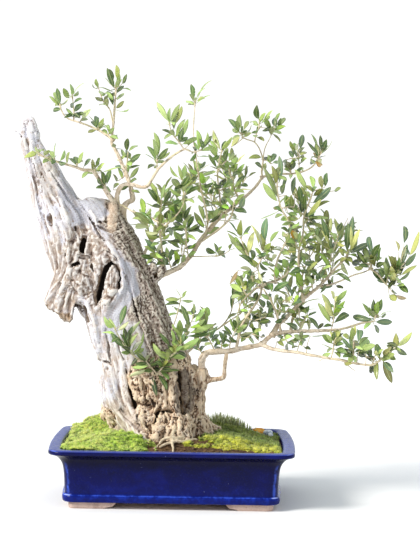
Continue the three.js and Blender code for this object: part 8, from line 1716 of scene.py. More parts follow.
        ((197.1, -20.9, 460.9, 197.1, -20.9, 460.9, 197.5, 5.9, 475.2, -.23, -.45, .86, 7.4), "k", 0, 1),
        ((200.1, -19.4, 460.4, 200.1, -19.4, 460.4, 202.3, -46.4, 469.1, .22, .32, .92, 9.1), "k", 0, 1),
    ]),
    ("t2_top", "twig_centre_tall", "T2", [[(224.5, 26, 503.8), (229.5, 28, 519.3), (234.5, 29, 529.7)], [(217.8, 21, 481.4), (226.6, 24, 481.5)]], [
        ((230.8, 28.3, 522.1, 222.6, 30.1, 526.1, 201.8, 42.9, 565.4, .24, -.88, .41, 10.2), "n", 0, 0),
        ((227.3, 27.1, 512.6, 196.6, 24.4, 522.2, 199.9, -2.2, 551.2, -.59, -.63, -.51, 9.4), "u", 0, 0),
        ((224.7, 26.1, 504.3, 210.7, 27.1, 508.7, 199.2, 48.9, 537.8, -.40, -.80, .44, 9.9), "o", 0, 0),
        ((224.5, 26, 503.8, 214.1, 23.6, 501.9, 207.4, 5.3, 536, .23, -.88, -.42, 11.2), "d", 0, 0),
        ((226, 26.6, 508.4, 224.3, 23.9, 508.9, 212.6, 39.8, 536.3, .24, -.79, .56, 7.5), "y", 0, 0),
        ((221, 23.9, 494.7, 219.3, 21.9, 495.1, 217.2, -7.6, 522.5, -.44, -.59, -.67, 9.9), "d", -1, 0),
        ((234.5, 29, 529.7, 232.7, 28.3, 533.1, 228.9, 59.9, 554, .04, -.55, .84, 9.8), "g", 0, 0),
        ((233.2, 28.7, 527, 231, 26.4, 527.9, 237.6, -3.9, 534.8, -.96, -.24, -.16, 7.6), "u", 0, 0),
        ((234.5, 29, 529.7, 248.3, 30.5, 531.7, 244.3, 1.1, 553.6, -.41, -.51, -.76, 11.2), "n", 0, 0),
        ((234.5, 29, 529.7, 253.2, 26.8, 535.2, 254.5, 1.5, 558.9, -.58, -.57, -.58, 11.1), "u", 0, 0),
        ((226.3, 26.7, 509.5, 233.1, 25.8, 507.4, 262.5, 12.1, 535.3, -.33, -.94, -.11, 12.3), "u", 0, 0),
        ((224.8, 23.4, 481.5, 224.8, 25.1, 486.6, 246, 15, 514.5, -.45, -.89, .02, 9.4), "y", 1, 0),
        ((224.5, 26, 503.8, 234.8, 23.2, 497.1, 262.7, 32.5, 511.3, -.04, -.80, .60, 7.6), "o", 0, 0),
        ((230.5, 28.2, 521.4, 234.6, 26.2, 519.4, 246.7, 5.1, 533.3, -.20, -.61, -.76, 9.1), "o", 0, 0),
        ((234.5, 29, 529.7, 238.1, 31.3, 529.8, 260.1, 49.7, 525, .63, -.64, .45, 8.3), "g", 0, 0),
        ((234.5, 29, 529.7, 268.9, 28.2, 528.6, 279, 3.3, 533.8, -.92, -.32, .23, 8.1), "g", 0, 0),
        ((223.8, 23.1, 481.5, 223.8, 23.1, 481.5, 221.9, 55.3, 472, .26, .29, .92, 10.2), "d", 1, 1),
        ((232.6, 28.6, 525.7, 232.6, 28.6, 525.7, 218.5, -4.3, 537.9, .01, .35, .94, 9.7), "y", 0, 1),
        ((228.2, 27.5, 515.2, 228.2, 27.5, 515.2, 217, 60, 526.5, -.12, -.36, .93, 9.5), "g", 0, 1),
        ((222.3, 22.6, 481.4, 222.3, 22.6, 481.4, 217.7, 56.8, 493.3, -.16, -.34, .93, 7.5), "u", 1, 1),
        ((222.5, 22.6, 481.4, 222.5, 22.6, 481.4, 224.1, 50.1, 477.2, -.19, .16, .97, 9.5), "y", 1, 1),
    ]),
    ("t2_mid", "twig_centre_tall", "T2", [[(216.9, 20, 471.1), (224.9, 24, 478), (232, 27, 474.7)], [(216, 22, 488.2), (207.3, 20, 491.5)]], [
        ((214.8, 21.7, 488.7, 212.5, 18.8, 483.1, 205.1, 48.8, 501.6, .33, -.44, .84, 8.3), "g", 1, 0),
        ((213.9, 21.5, 489, 214.2, 20.1, 489.9, 211.8, 47.2, 508.6, -.07, -.57, .82, 10.1), "k", 1, 0),
        ((216, 22, 488.2, 219.5, 23.7, 491.7, 216.7, 45.8, 517.4, .51, -.63, .59, 7.5), "d", 1, 0),
        ((213, 21.3, 489.4, 209.4, 23.2, 479.5, 187.4, -5.9, 481.3, .80, -.60, .04, 10.9), "y", 1, 0),
        ((224.9, 24, 478, 224.7, 21.5, 481.5, 261.5, 31.8, 482, .23, -.86, .45, 8.7), "g", 0, 0),
        ((224.9, 24, 478, 224.8, 23, 479.8, 240.8, 58.1, 472.6, .91, -.41, .02, 11.3), "k", 0, 0),
        ((216, 22, 488.2, 221.1, 20.2, 484.9, 234.8, 48.8, 486.5, .74, -.38, .55, 8.9), "d", 1, 0),
        ((216.9, 20, 471.1, 221.6, 21, 464.3, 235.2, -8.6, 470.2, -.84, -.29, .45, 7.6), "k", 0, 0),
        ((216.7, 17.5, 458, 219.8, 17.1, 457.5, 244.6, 33.7, 467.9, .54, -.31, -.79, 6.5), "g", -1, 0),
        ((232, 27, 474.7, 232.2, 29.8, 474.6, 251.3, 3.1, 466.8, -.49, -.55, .68, 7.8), "n", 0, 0),
        ((207.3, 20, 491.5, 208.9, 22.4, 500.1, 187.7, 47.8, 501.3, -.46, -.42, .78, 8.7), "d", 1, 0),
        ((207.3, 20, 491.5, 207, 19.4, 505.2, 205.7, -4.5, 512.2, -.69, -.17, -.71, 8.6), "c", 1, 0),
        ((224.9, 24, 478, 224.8, 23.9, 484.9, 239.7, 45.7, 493.5, .29, -.52, .81, 7.6), "g", 0, 0),
        ((216.9, 20, 471.1, 214.6, 19.1, 467.6, 199.5, -11.4, 462.9, .48, -.36, .80, 8.5), "g", 0, 0),
        ((229.2, 25.8, 476, 228.6, 27.6, 474.6, 240.8, 4, 482, -.85, -.31, .42, 8.6), "d", 0, 0),
        ((227.6, 25.1, 476.8, 227.6, 25.1, 476.8, 232.8, -11.2, 474.1, .31, -.03, .95, 9.2), "k", 0, 1),
        ((228.9, 25.7, 476.1, 228.9, 25.7, 476.1, 232.3, 54.6, 484.9, .33, -.31, .89, 10.2), "g", 0, 1),
        ((228.3, 25.4, 476.4, 228.3, 25.4, 476.4, 232.8, 52.4, 492.8, -.08, -.51, .86, 10.4), "d", 0, 1),
        ((222.2, 22.6, 475.6, 222.2, 22.6, 475.6, 225.4, 56.5, 489.5, -.07, -.37, .93, 9.1), "g", 0, 1),
        ((227.6, 25.1, 476.8, 227.6, 25.1, 476.8, 235.1, -2.3, 482.1, .06, .21, .98, 9), "n", 0, 1),
    ]),
    ("t2_low", "twig_centre_tall", "T2", [[(209.8, 11, 424.9), (204.3, 6, 433.5), (204, 3, 440.4)], [(209.8, 11, 424.9), (218.5, 14, 428.4), (225.3, 16, 433.6)]], [
        ((206.6, 8.1, 430, 209.4, 6.4, 431.9, 219.4, 39.8, 451.8, -.02, -.51, .86, 10.5), "y", 0, 0),
        ((204.1, 3.8, 438.7, 207.4, 1.9, 438.8, 208.9, -26.7, 459.9, -.67, -.46, -.58, 7.7), "g", 0, 0),
        ((204.1, 4.5, 437, 204.1, 3, 437, 185.9, 27, 455, -.26, -.70, .67, 9.5), "g", 0, 0),
        ((205.1, 6.7, 432.2, 204.4, 7.7, 431.8, 179.8, -5.9, 435.2, -.29, .70, .66, 8.5), "w", 0, 0),
        ((209.7, 10.8, 425.1, 206.4, 11, 423.1, 183.5, 33.8, 415.1, -.68, -.48, .56, 9), "y", 0, 0),
        ((207.2, 8.7, 428.9, 206.2, 9, 428.3, 191.2, -18.1, 432.3, .62, -.44, -.65, 8.8), "g", 0, 0),
        ((211.6, 11.6, 425.6, 213.5, 14.3, 421.4, 231.1, 48.9, 410.1, .77, -.52, -.37, 9.6), "n", 1, 0),
        ((209.5, 9.3, 416.5, 211.5, 8, 416.4, 217, -21.7, 405.7, .25, -.29, .93, 7.9), "b", -1, 0),
        ((215.5, 13, 427.2, 215, 12.2, 428.4, 228.5, 43.8, 438, -.01, -.29, .96, 8.7), "o", 1, 0),
        ((218.8, 14.1, 428.6, 220.2, 13.2, 426.7, 236.9, 36.5, 431.4, .57, -.54, .62, 8.3), "k", 1, 0),
        ((212.8, 13.9, 438.6, 213.1, 13.2, 438.6, 235.5, -7.1, 458.3, -.72, -.69, .10, 9.1), "g", -1, 0),
        ((225.3, 16, 433.6, 219.9, 13.7, 440.4, 239.2, -7.4, 444.7, -.62, -.44, .65, 8.1), "d", 1, 0),
        ((209.5, 9, 414.6, 208.3, 11, 414.6, 196.2, 43.8, 406.2, -.94, -.35, -.01, 10.9), "d", -1, 0),
        ((209.2, 7.4, 406.4, 215.2, 8.9, 406.2, 239.5, -14.9, 404.1, -.65, -.69, .31, 10), "u", -1, 0),
        ((209.6, 5.5, 398.5, 221.8, 2.7, 399.7, 242.2, 31.3, 407.5, .49, -.54, .69, 8.4), "y", -1, 0),
        ((209.3, 8, 409.7, 211.8, 9.5, 409.5, 223.5, 38.6, 415.6, .21, -.28, .94, 8.1), "k", -1, 0),
        ((209.6, 5.7, 399.4, 210.1, 7.3, 399.3, 199.3, 34, 403.2, -.54, -.33, .78, 9.1), "g", -1, 0),
        ((210.1, 4, 392.5, 211.9, 6.2, 392.6, 224.1, -21.6, 390.6, -.74, -.36, .57, 8.3), "d", -1, 0),
        ((204.2, 5.1, 435.6, 204.2, 5.1, 435.6, 200.2, 32.3, 452.2, .36, -.45, .82, 7.8), "o", 0, 1),
        ((219.1, 14.2, 428.8, 219.1, 14.2, 428.8, 210.7, -15.6, 434.3, .25, .11, .96, 9.6), "g", 1, 1),
        ((204.1, 3.9, 438.5, 204.1, 3.9, 438.5, 209.7, 30.7, 451.1, .19, -.45, .87, 8.9), "u", 0, 1),
        ((219.4, 14.3, 429.1, 219.4, 14.3, 429.1, 215.8, -12.1, 448.1, .41, .50, .77, 8.5), "y", 1, 1),
        ((204.8, 6.5, 432.7, 204.8, 6.5, 432.7, 210.3, 36.9, 429.1, .15, .09, .98, 8.2), "y", 0, 1),
        ((218.7, 14.1, 428.5, 218.7, 14.1, 428.5, 219.7, -21.5, 423.8, .30, -.12, .95, 8.7), "y", 1, 1),
    ]),
    ("u1", "spray_right_top", "R3", [[(290.7, 34, 412.5), (293.6, 30, 420.5), (295.9, 28, 427.5)]], [
        ((294.6, 29.1, 423.6, 293.5, 29.1, 424, 295, 39.2, 473.8, -.20, -.96, .20, 12.3), "d", 0, 0),
        ((295.9, 28, 427.5, 300.4, 30, 427.5, 298.6, 18.2, 469.1, .62, -.76, -.19, 8.6), "y", 0, 0),
        ((295.9, 28, 427.5, 301.9, 28.9, 434.5, 303.4, 39.3, 486, -.29, -.94, .20, 11.3), "u", 0, 0),
        ((295.9, 28, 427.5, 300.4, 29.9, 427.5, 314.2, 18.7, 464.2, -.51, -.86, -.07, 9.7), "y", 0, 0),
        ((295.7, 28.2, 426.8, 298.7, 29.4, 425.8, 312.3, 52.9, 446.1, .57, -.70, .42, 11), "o", 0, 0),
        ((294.9, 28.9, 424.3, 300.4, 28.6, 422.4, 333.7, 39.1, 439.9, .14, -.94, .30, 10.9), "u", 0, 0),
        ((284.3, 30.4, 405.8, 283.5, 29.4, 406.5, 298.3, 57, 383.1, -.67, .66, .35, 9.7), "w", -1, 0),
        ((283.4, 29.9, 404.9, 282, 31.5, 406.4, 290.3, 8.1, 414.3, -.95, -.30, .11, 8.3), "y", -1, 0),
        ((293.3, 30.4, 419.7, 295.4, 30.5, 418.8, 285.2, 58.6, 429.8, -.21, -.42, .88, 7.8), "g", 0, 0),
        ((291.8, 32.5, 415.6, 288.5, 29.9, 417, 275.9, 3.2, 431.4, .81, -.52, -.26, 7.6), "y", 0, 0),
        ((293.7, 29.9, 420.7, 298.8, 29.4, 418.9, 313.1, 55, 413, .85, -.39, .36, 7.8), "b", 0, 0),
        ((291.7, 32.6, 415.4, 292.1, 31.1, 415.2, 300, -1.1, 408, -.35, -.29, .89, 10.7), "o", 0, 0),
        ((290.7, 34, 412.5, 287, 31.4, 411.7, 301.3, 54.9, 398.9, .82, -.56, -.11, 7.4), "g", 0, 0),
        ((294.6, 29.1, 423.5, 294.6, 29.1, 423.5, 290.8, 1.8, 421.5, -.29, -.03, .96, 7.6), "y", 0, 1),
        ((293.2, 30.5, 419.4, 293.2, 30.5, 419.4, 304.8, 58.6, 421.5, -.14, -.01, .99, 10.2), "g", 0, 1),
        ((293.7, 29.9, 420.8, 293.7, 29.9, 420.8, 299.4, 67.5, 420.5, .28, -.04, .96, 9.8), "g", 0, 1),
        ((295.4, 28.5, 425.8, 295.4, 28.5, 425.8, 297.2, -1.6, 430.7, .01, .16, .99, 8), "o", 0, 1),
    ]),
    ("u2", "spray_right_inner", "R3", [[(265.9, 18, 387.8), (263.6, 13, 400), (264.7, 9, 415.6), (267.5, 4, 427.8)], [(266.1, 7, 422.5), (272.4, 3, 438.2), (275.3, 0, 451.9)]], [
        ((272.8, 2.6, 440.2, 260.3, 3.4, 443.1, 245.1, -9, 484, .27, -.95, -.19, 9.9), "d", 1, 0),
        ((267.5, 4, 427.8, 262.2, 1.6, 431.2, 245.6, -8.2, 461.9, .68, -.73, .13, 7.7), "y", 0, 0),
        ((266.1, 7, 422.5, 264.6, 8.9, 422.4, 253.9, 34.6, 440.4, -.29, -.63, .72, 9.5), "o", 1, 0),
        ((267.5, 4, 427.8, 250.4, 5.3, 434.3, 234.6, -22.8, 453.5, -.87, .49, .00, 9.2), "w", 0, 0),
        ((275.3, 0, 451.9, 263, -2.9, 456.9, 263.5, 11.1, 482.3, -.61, -.69, .39, 8.4), "g", 1, 0),
        ((267.4, 4.2, 427.3, 266, 6.5, 427.7, 262.3, -15.2, 452.1, .64, -.62, -.46, 7.5), "u", 0, 0),
        ((275.3, 0, 451.9, 275, -1.5, 460.5, 280.6, -36.1, 474.8, -.61, -.39, -.69, 10.1), "u", 1, 0),
        ((273.1, 2.3, 441.4, 272.3, 3.1, 441.6, 282.8, 32.4, 454.7, -.10, -.38, .92, 8.2), "d", 1, 0),
        ((268.7, 5.3, 429, 267.7, 6.6, 429.4, 272.6, 31.9, 442.5, -.21, -.42, .88, 8.6), "k", 1, 0),
        ((270.9, 4, 434.5, 274.5, 6.9, 432.9, 279.2, -18.3, 445.7, -.11, -.46, -.88, 8.1), "g", 1, 0),
        ((263.6, 13, 400, 262.1, 15.9, 399.8, 242.7, -11.8, 422.8, .73, -.66, -.18, 9.4), "b", 0, 0),
        ((264.1, 11.2, 407, 265.1, 12, 406.9, 283.6, 36.4, 427, -.83, .54, .11, 7.9), "w", 0, 0),
        ((264.7, 9.1, 415.4, 262.9, 7.2, 415.6, 250.9, 37.2, 426.4, -.93, -.31, -.18, 7.7), "g", 0, 0),
        ((269, 5.2, 429.6, 269.4, 7.3, 429.4, 255.7, -20.7, 425, .90, -.44, .01, 8.9), "g", 1, 0),
        ((274.6, 0.7, 448.7, 275.4, 1, 448.5, 259.9, -24.2, 457.4, .86, -.43, .29, 8.1), "g", 1, 0),
        ((273.5, 1.9, 443.4, 273.7, -0.4, 443.4, 285.3, -29.2, 435.9, -.93, -.36, -.04, 7.8), "y", 1, 0),
        ((266.5, 5.8, 423.4, 266.5, 5.8, 423.4, 267.6, -28.7, 426.5, .07, .09, .99, 7.9), "d", 0, 1),
        ((264.1, 11.1, 407.5, 264.1, 11.1, 407.5, 260.8, 42.8, 404.9, .23, .10, .97, 10.1), "g", 0, 1),
        ((275, 0.3, 450.7, 275, 0.3, 450.7, 265.2, 31.7, 456.1, -.28, -.25, .93, 8.7), "b", 1, 1),
        ((269.8, 4.6, 431.8, 269.8, 4.6, 431.8, 273.8, 39.5, 441.6, -.25, -.23, .94, 7.7), "u", 1, 1),
        ((266.4, 6, 422.9, 266.4, 6, 422.9, 275.6, 35.7, 414.8, .23, .19, .95, 7.8), "u", 0, 1),
    ]),
    ("r3_mid", "spray_right_low", "R3", [[(234.2, -4, 357.5), (232, -10, 369.7), (228.1, -14, 381.8)], [(250, 6, 370.9), (246, 2, 386.5), (252.4, 0, 400.3)]], [
        ((232.5, -8.6, 366.8, 216.9, -7.2, 364.2, 204.6, -37.4, 394.3, .32, -.73, -.60, 12.7), "b", 0, 0),
        ((223.7, -11.6, 348.5, 213.5, -8.8, 359.1, 206.3, 24.9, 374.4, -.06, -.42, .91, 9.3), "g", -1, 0),
        ((232.7, -8.1, 365.8, 223.6, -8.6, 364.4, 225.2, 23.9, 378.2, .39, -.38, .84, 10.6), "y", 0, 0),
        ((232, -9.9, 369.5, 233.5, -12.7, 369.9, 219.7, -41.3, 384.6, .86, -.49, -.14, 8.9), "g", 0, 0),
        ((231.5, -10.4, 371.1, 238.6, -11.9, 373.4, 254.8, 9.4, 396.6, .02, -.74, .67, 10), "u", 0, 0),
        ((248.7, 4.7, 376, 241.4, 6.3, 374.2, 237.6, -24.2, 387.5, .46, -.40, -.79, 9.2), "u", 1, 0),
        ((232.1, -9.8, 369.2, 235.5, -7.4, 369.7, 236.8, 21.2, 390.6, -.55, .51, -.67, 8), "w", 0, 0),
        ((228.1, -14, 381.8, 224.6, -12.1, 391.9, 238.3, -33, 408.2, -.85, -.53, .03, 8.5), "y", 0, 0),
        ((243.2, 1.4, 364.2, 246.5, 1.6, 360.8, 270.9, 34.8, 366.3, .50, -.49, .71, 10.1), "d", -1, 0),
        ((259.6, 13.2, 379.9, 274.7, 15.7, 367.4, 285.1, -7.7, 363.7, -.39, -.31, .87, 7.9), "k", -1, 0),
        ((259.1, 12.9, 379.3, 269.4, 14.4, 370.8, 267.4, -11, 384, .74, -.36, -.57, 7.9), "d", -1, 0),
        ((270.8, 21.7, 392.4, 276.5, 22.3, 387.8, 299.5, 4.7, 373.5, -.25, -.79, .56, 8.5), "d", -1, 0),
        ((250, 6, 370.9, 261.9, 3.9, 367.8, 263.4, 28, 376.9, .35, -.35, .87, 8.3), "k", 1, 0),
        ((232.9, -7.5, 364.6, 232.2, -8, 364.5, 215.4, -37.2, 359, .84, -.41, -.36, 8.2), "g", 0, 0),
        ((246.7, 2.7, 383.9, 242.8, 4.6, 382.9, 232.1, 29.3, 391.9, -.33, -.45, .83, 8.9), "d", 1, 0),
        ((249.2, 1, 393.4, 249.1, -1.1, 393.5, 262.3, -29.9, 401.8, -.85, -.26, .46, 8.5), "g", 1, 0),
        ((225.8, -10.1, 350.4, 222.1, -9.2, 354.2, 205.3, -37.3, 357.2, .63, -.30, .71, 7.8), "g", -1, 0),
        ((230.1, -11.9, 375.4, 228.4, -10.6, 374.8, 213.5, -35, 374.1, .68, -.43, .59, 8.8), "g", 0, 0),
        ((247.8, 3.8, 379.5, 247.9, 2.5, 379.6, 265, 29, 382.1, .57, -.43, .69, 8.8), "g", 1, 0),
        ((250, 6, 370.9, 256.9, 5.8, 367.6, 244.9, -24.9, 355.4, .84, -.45, .30, 7.5), "d", 1, 0),
        ((251.2, 0.4, 397.7, 251.2, 0.4, 397.7, 259.1, 30.1, 394.1, .04, .11, .99, 7.8), "g", 1, 1),
        ((232.2, -9.3, 368.3, 232.2, -9.3, 368.3, 230.1, 13.4, 383.3, -.18, -.56, .81, 9.8), "k", 0, 1),
        ((231.7, -10.2, 370.5, 231.7, -10.2, 370.5, 236.7, -36.1, 378.7, -.19, .27, .95, 7.7), "y", 0, 1),
        ((229.8, -12.2, 376.3, 229.8, -12.2, 376.3, 219, -45.5, 385.4, -.23, .32, .92, 7.8), "d", 0, 1),
        ((228.3, -13.8, 381.1, 228.3, -13.8, 381.1, 228, 16.9, 387.7, -.34, -.20, .92, 9.9), "g", 0, 1),
        ((249, 1.1, 392.9, 249, 1.1, 392.9, 251.6, 31.4, 387.5, -.21, .19, .96, 9.2), "d", 1, 1),
    ]),
    ("n1", "spray_middle_left", "R5b", [[(147, -62, 369.3), (141.6, -66, 384.5), (136.2, -69, 397.9), (124.3, -66, 414.3), (114.1, -62, 430.7), (108.8, -60, 447.3)]], [
        ((108.8, -60, 447.3, 108.8, -60.2, 450.6, 107.7, -93, 477.8, -.15, -.63, -.76, 11.2), "o", 0, 0),
        ((108.8, -60, 447.3, 112, -62.6, 452.4, 124.6, -85.7, 468.1, -.89, -.47, .02, 8.2), "u", 0, 0),
        ((108.8, -60, 447.3, 105.4, -57.8, 452.2, 88.2, -71.2, 475.5, .84, -.36, .41, 6.6), "d", 0, 0),
        ((108.8, -60, 447.3, 103.8, -61.7, 448.9, 83.4, -75.9, 458.9, .60, -.37, .71, 5.8), "g", 0, 0),
        ((108.8, -60, 447.3, 108.8, -61.8, 449, 121.5, -87.5, 456.5, -.74, -.18, .64, 5.9), "g", 0, 0),
        ((121, -64.7, 419.6, 117.6, -64.6, 417.5, 86.8, -75.8, 455.6, .29, -.96, -.05, 10.2), "n", 0, 0),
        ((116.1, -62.8, 427.6, 115.8, -64.9, 427.5, 92.4, -39, 444.8, -.36, -.72, .59, 11.2), "d", 0, 0),
        ((131.8, -67.9, 404, 127.9, -67.3, 401.1, 105.4, -95.8, 420.1, .70, -.69, -.20, 9.5), "d", 0, 0),
        ((125.4, -66.3, 412.9, 122.7, -65.8, 410.9, 110.9, -43.4, 441.8, .27, -.73, .63, 10.1), "c", 0, 0),
        ((119.4, -64.1, 422.3, 122.6, -61.4, 424.1, 130, -74.7, 458, -.52, -.83, -.21, 11.3), "y", 0, 0),
        ((119.8, -64.2, 421.5, 124.2, -65.9, 424.3, 127.5, -45.2, 453.9, -.49, -.69, .54, 8), "u", 0, 0),
        ((112.6, -61.4, 435.6, 107.4, -59.4, 433.9, 98.5, -80.2, 449.3, .70, -.59, -.40, 8.5), "g", 0, 0),
        ((114.4, -62.1, 430.2, 112.4, -64.4, 429.1, 98.5, -95.9, 434.8, .92, -.39, .08, 7.7), "g", 0, 0),
        ((116.7, -63, 426.6, 116.7, -63, 426.6, 109, -38.3, 435.7, -.04, -.36, .93, 9), "g", 0, 1),
        ((116.6, -63, 426.6, 116.6, -63, 426.6, 108.8, -34.5, 427.1, -.03, -.03, 1.00, 8.7), "u", 0, 1),
        ((111.8, -61.1, 438.1, 111.8, -61.1, 438.1, 111, -27.9, 434.6, -.33, .09, .94, 8.2), "g", 0, 1),
        ((117.9, -63.5, 424.6, 117.9, -63.5, 424.6, 113.9, -27, 415.7, .28, .26, .92, 7.7), "n", 0, 1),
    ]),
    ("n2", "spray_middle_left", "R5b", [[(137.9, -69, 396.3), (142.8, -66, 411.3), (151, -62, 421.3), (161.1, -58, 428)]], [
        ((151, -62, 421.3, 139, -64, 436.2, 125.3, -53.7, 469.2, .61, -.65, .46, 8.2), "y", 0, 0),
        ((152.6, -61.4, 422.3, 144.2, -58.7, 434.4, 135, -72.2, 461.3, .35, .78, .51, 7.5), "w", 0, 0),
        ((151, -62, 421.3, 146, -59.8, 426.1, 146.1, -36.9, 459.1, .22, -.80, .56, 12.1), "o", 0, 0),
        ((159.9, -58.5, 427.2, 149.1, -57.5, 442.9, 151.3, -72.8, 481.6, -.35, -.88, -.33, 12.6), "u", 0, 0),
        ((161.1, -58, 428, 157.5, -59.9, 439.7, 173, -37.1, 459.6, .03, -.67, .74, 7.9), "g", 0, 0),
        ((151, -62, 421.3, 147.6, -61.2, 426.2, 158, -92.9, 440.7, -.78, -.45, -.44, 10.6), "o", 0, 0),
        ((140.8, -67.2, 405.3, 127.7, -69.1, 409.5, 128.2, -34.1, 426.7, .46, -.40, .79, 10.9), "d", 0, 0),
        ((142.8, -66, 411.3, 134.3, -63.6, 417.7, 151.9, -86.2, 422.1, -.78, -.54, .33, 8.7), "u", 0, 0),
        ((148.7, -63.1, 418.5, 149.3, -64.5, 418, 136.7, -41.2, 411.9, -.86, -.38, .33, 7.6), "k", 0, 0),
        ((138.4, -68.7, 397.8, 132.9, -67.5, 399.5, 128.6, -98.9, 412.3, .60, -.37, -.71, 9.7), "o", 0, 0),
        ((145.9, -64.5, 415.1, 154.6, -62.9, 408, 158.7, -32.5, 420.4, -.80, .32, -.51, 8.6), "w", 0, 0),
        ((148.6, -63.2, 418.3, 161.2, -64.7, 408.2, 166.5, -94.9, 422.7, .06, .44, .90, 8.5), "w", 0, 0),
        ((141.9, -66.5, 408.8, 144.5, -65.2, 407.9, 157.1, -90.7, 402.5, -.51, -.41, .76, 7.5), "d", 0, 0),
        ((146.4, -64.2, 415.7, 147.8, -63, 414.6, 162.4, -31.2, 406.9, .91, -.39, .13, 7.4), "g", 0, 0),
        ((157.2, -59.5, 425.4, 157.7, -60.6, 424.7, 175.1, -39.8, 434.4, -.23, -.25, .94, 6.1), "g", 0, 0),
        ((139.2, -68.2, 400.3, 136.2, -67, 401.2, 122.2, -92.5, 408.6, .84, -.34, .43, 8.8), "g", 0, 0),
        ((141.6, -66.7, 407.8, 141.1, -69.4, 408, 155.3, -48, 394, -.10, -.50, -.86, 8.7), "u", 0, 0),
        ((147.5, -63.7, 417, 144.3, -63.2, 419.6, 131.8, -86.9, 431.8, .89, -.45, .03, 8.7), "g", 0, 0),
        ((160, -58.4, 427.3, 160, -58.4, 427.3, 161.1, -89.2, 436.2, .11, .28, .95, 7.9), "o", 0, 1),
        ((151.9, -61.7, 421.9, 151.9, -61.7, 421.9, 150.7, -29.6, 430.8, .35, -.24, .91, 9.9), "g", 0, 1),
        ((160.2, -58.4, 427.4, 160.2, -58.4, 427.4, 160, -91.9, 424.1, .32, -.10, .94, 9.1), "g", 0, 1),
        ((151.2, -61.9, 421.4, 151.2, -61.9, 421.4, 154.6, -87.2, 430.7, -.07, .34, .94, 8.2), "g", 0, 1),
        ((160.8, -58.1, 427.8, 160.8, -58.1, 427.8, 151.1, -94.6, 423.2, -.02, -.12, .99, 8), "g", 0, 1),
        ((156.7, -59.8, 425.1, 156.7, -59.8, 425.1, 149.7, -25.8, 436.6, -.23, -.36, .91, 7.6), "o", 0, 1),
    ]),
    ("n3", "spray_middle_inner", "R5", [[(143.9, -59, 360.8), (131.8, -64, 375.9), (124.8, -66, 387.6)]], [
        ((125.2, -65.9, 386.9, 138, -68, 394.6, 144.5, -86, 373.9, .69, .64, -.34, 8.4), "w", 0, 0),
        ((124.8, -66, 387.6, 128.1, -64.7, 390.9, 107.7, -82, 398, -.29, .63, .72, 8.7), "w", 0, 0),
        ((124.8, -66, 387.6, 118, -67.8, 390.9, 113.7, -41.9, 379.5, -.92, -.27, -.27, 8.6), "b", 0, 0),
        ((128.4, -65, 381.5, 121.7, -62.2, 377.3, 125.7, -91.5, 397.1, .17, -.54, -.83, 8), "u", 0, 0),
        ((127, -65.3, 383.8, 124.9, -65.3, 382.5, 122.5, -36.6, 362.5, -.32, -.56, -.77, 11.2), "u", 0, 0),
        ((124.8, -66, 387.6, 104.7, -66.8, 394, 91.5, -87.9, 371.4, -.27, -.62, .74, 8.3), "t", 0, 0),
        ((128.4, -65, 381.5, 133.3, -63.9, 384.3, 122.3, -39.1, 372.8, -.91, -.42, -.04, 8), "g", 0, 0),
        ((127.5, -65.2, 383.1, 138.2, -62.6, 389.3, 151, -34.1, 379.8, .07, -.35, -.94, 7.6), "k", 0, 0),
        ((129.8, -64.5, 379.1, 130, -64.8, 379.2, 142.7, -93.3, 372.6, -.50, -.40, .77, 7.9), "g", 0, 0),
        ((135.6, -62.4, 371.1, 135.2, -64.9, 371, 121.3, -96.4, 362.4, .41, -.40, .82, 7.5), "d", 0, 0),
        ((126.7, -65.5, 384.3, 126.6, -65.3, 384.2, 112.5, -95.6, 392.1, .91, -.41, .03, 7.7), "g", 0, 0),
        ((132, -63.9, 375.5, 136.8, -61, 379.2, 150.9, -81.8, 392.1, -.86, -.41, .30, 7.9), "d", 0, 0),
        ((137, -61.9, 369.4, 145.2, -63.1, 376.1, 159.9, -32.4, 359.5, .67, -.57, -.47, 10.7), "d", 0, 0),
        ((127.3, -65.3, 383.4, 127.3, -65.3, 383.4, 120.2, -30.1, 377.3, -.00, .17, .98, 8.4), "w", 0, 1),
        ((129.4, -64.7, 379.9, 129.4, -64.7, 379.9, 137.3, -34.2, 383.1, -.25, -.04, .97, 8.4), "b", 0, 1),
        ((126.6, -65.5, 384.6, 126.6, -65.5, 384.6, 114.5, -36.1, 388.1, -.26, -.22, .94, 8.9), "g", 0, 1),
        ((128.7, -64.9, 381, 128.7, -64.9, 381, 126.7, -39.9, 391.7, .18, -.38, .91, 8.8), "u", 0, 1),
    ]),
    ("t5", "spray_middle_low", "R5c", [[(120.8, -52, 349.9), (115.5, -56, 358.4), (113.6, -58, 368.6)]], [
        ((113.6, -58, 368.6, 111.8, -59, 371.9, 100.3, -28.9, 383.8, -.46, -.47, .75, 9.8), "g", 0, 0),
        ((113.8, -57.8, 367.5, 110.3, -56.3, 366.8, 99.7, -82.5, 379.6, .79, -.50, -.35, 7.7), "b", 0, 0),
        ((115.5, -56, 358.4, 112.2, -55.4, 356.6, 92.2, -23.2, 368.1, -.38, -.51, .78, 11.2), "g", 0, 0),
        ((117.7, -54.4, 354.9, 112.3, -55.2, 351.6, 96.8, -81.7, 356.2, .72, -.32, .61, 7.6), "d", 0, 0),
        ((118, -54.1, 354.4, 110.6, -55.6, 349.9, 94.3, -24.5, 344.4, -.86, -.40, .31, 8.8), "n", 0, 0),
        ((115.2, -56.3, 359.8, 117.1, -57, 360.2, 134.6, -84.9, 373.7, -.87, -.39, .31, 7.6), "d", 0, 0),
        ((114.2, -57.4, 365.3, 113.7, -55.1, 365.1, 119.1, -30.7, 374, -.39, -.24, .89, 9.1), "y", 0, 0),
        ((120.8, -52, 349.9, 132.7, -52.3, 340, 136.6, -83, 357, -.49, -.47, -.73, 10.9), "k", 0, 0),
        ((120.8, -52, 349.9, 122.4, -54.8, 348.4, 135.1, -84.9, 345.4, -.53, -.30, .80, 7.8), "d", 0, 0),
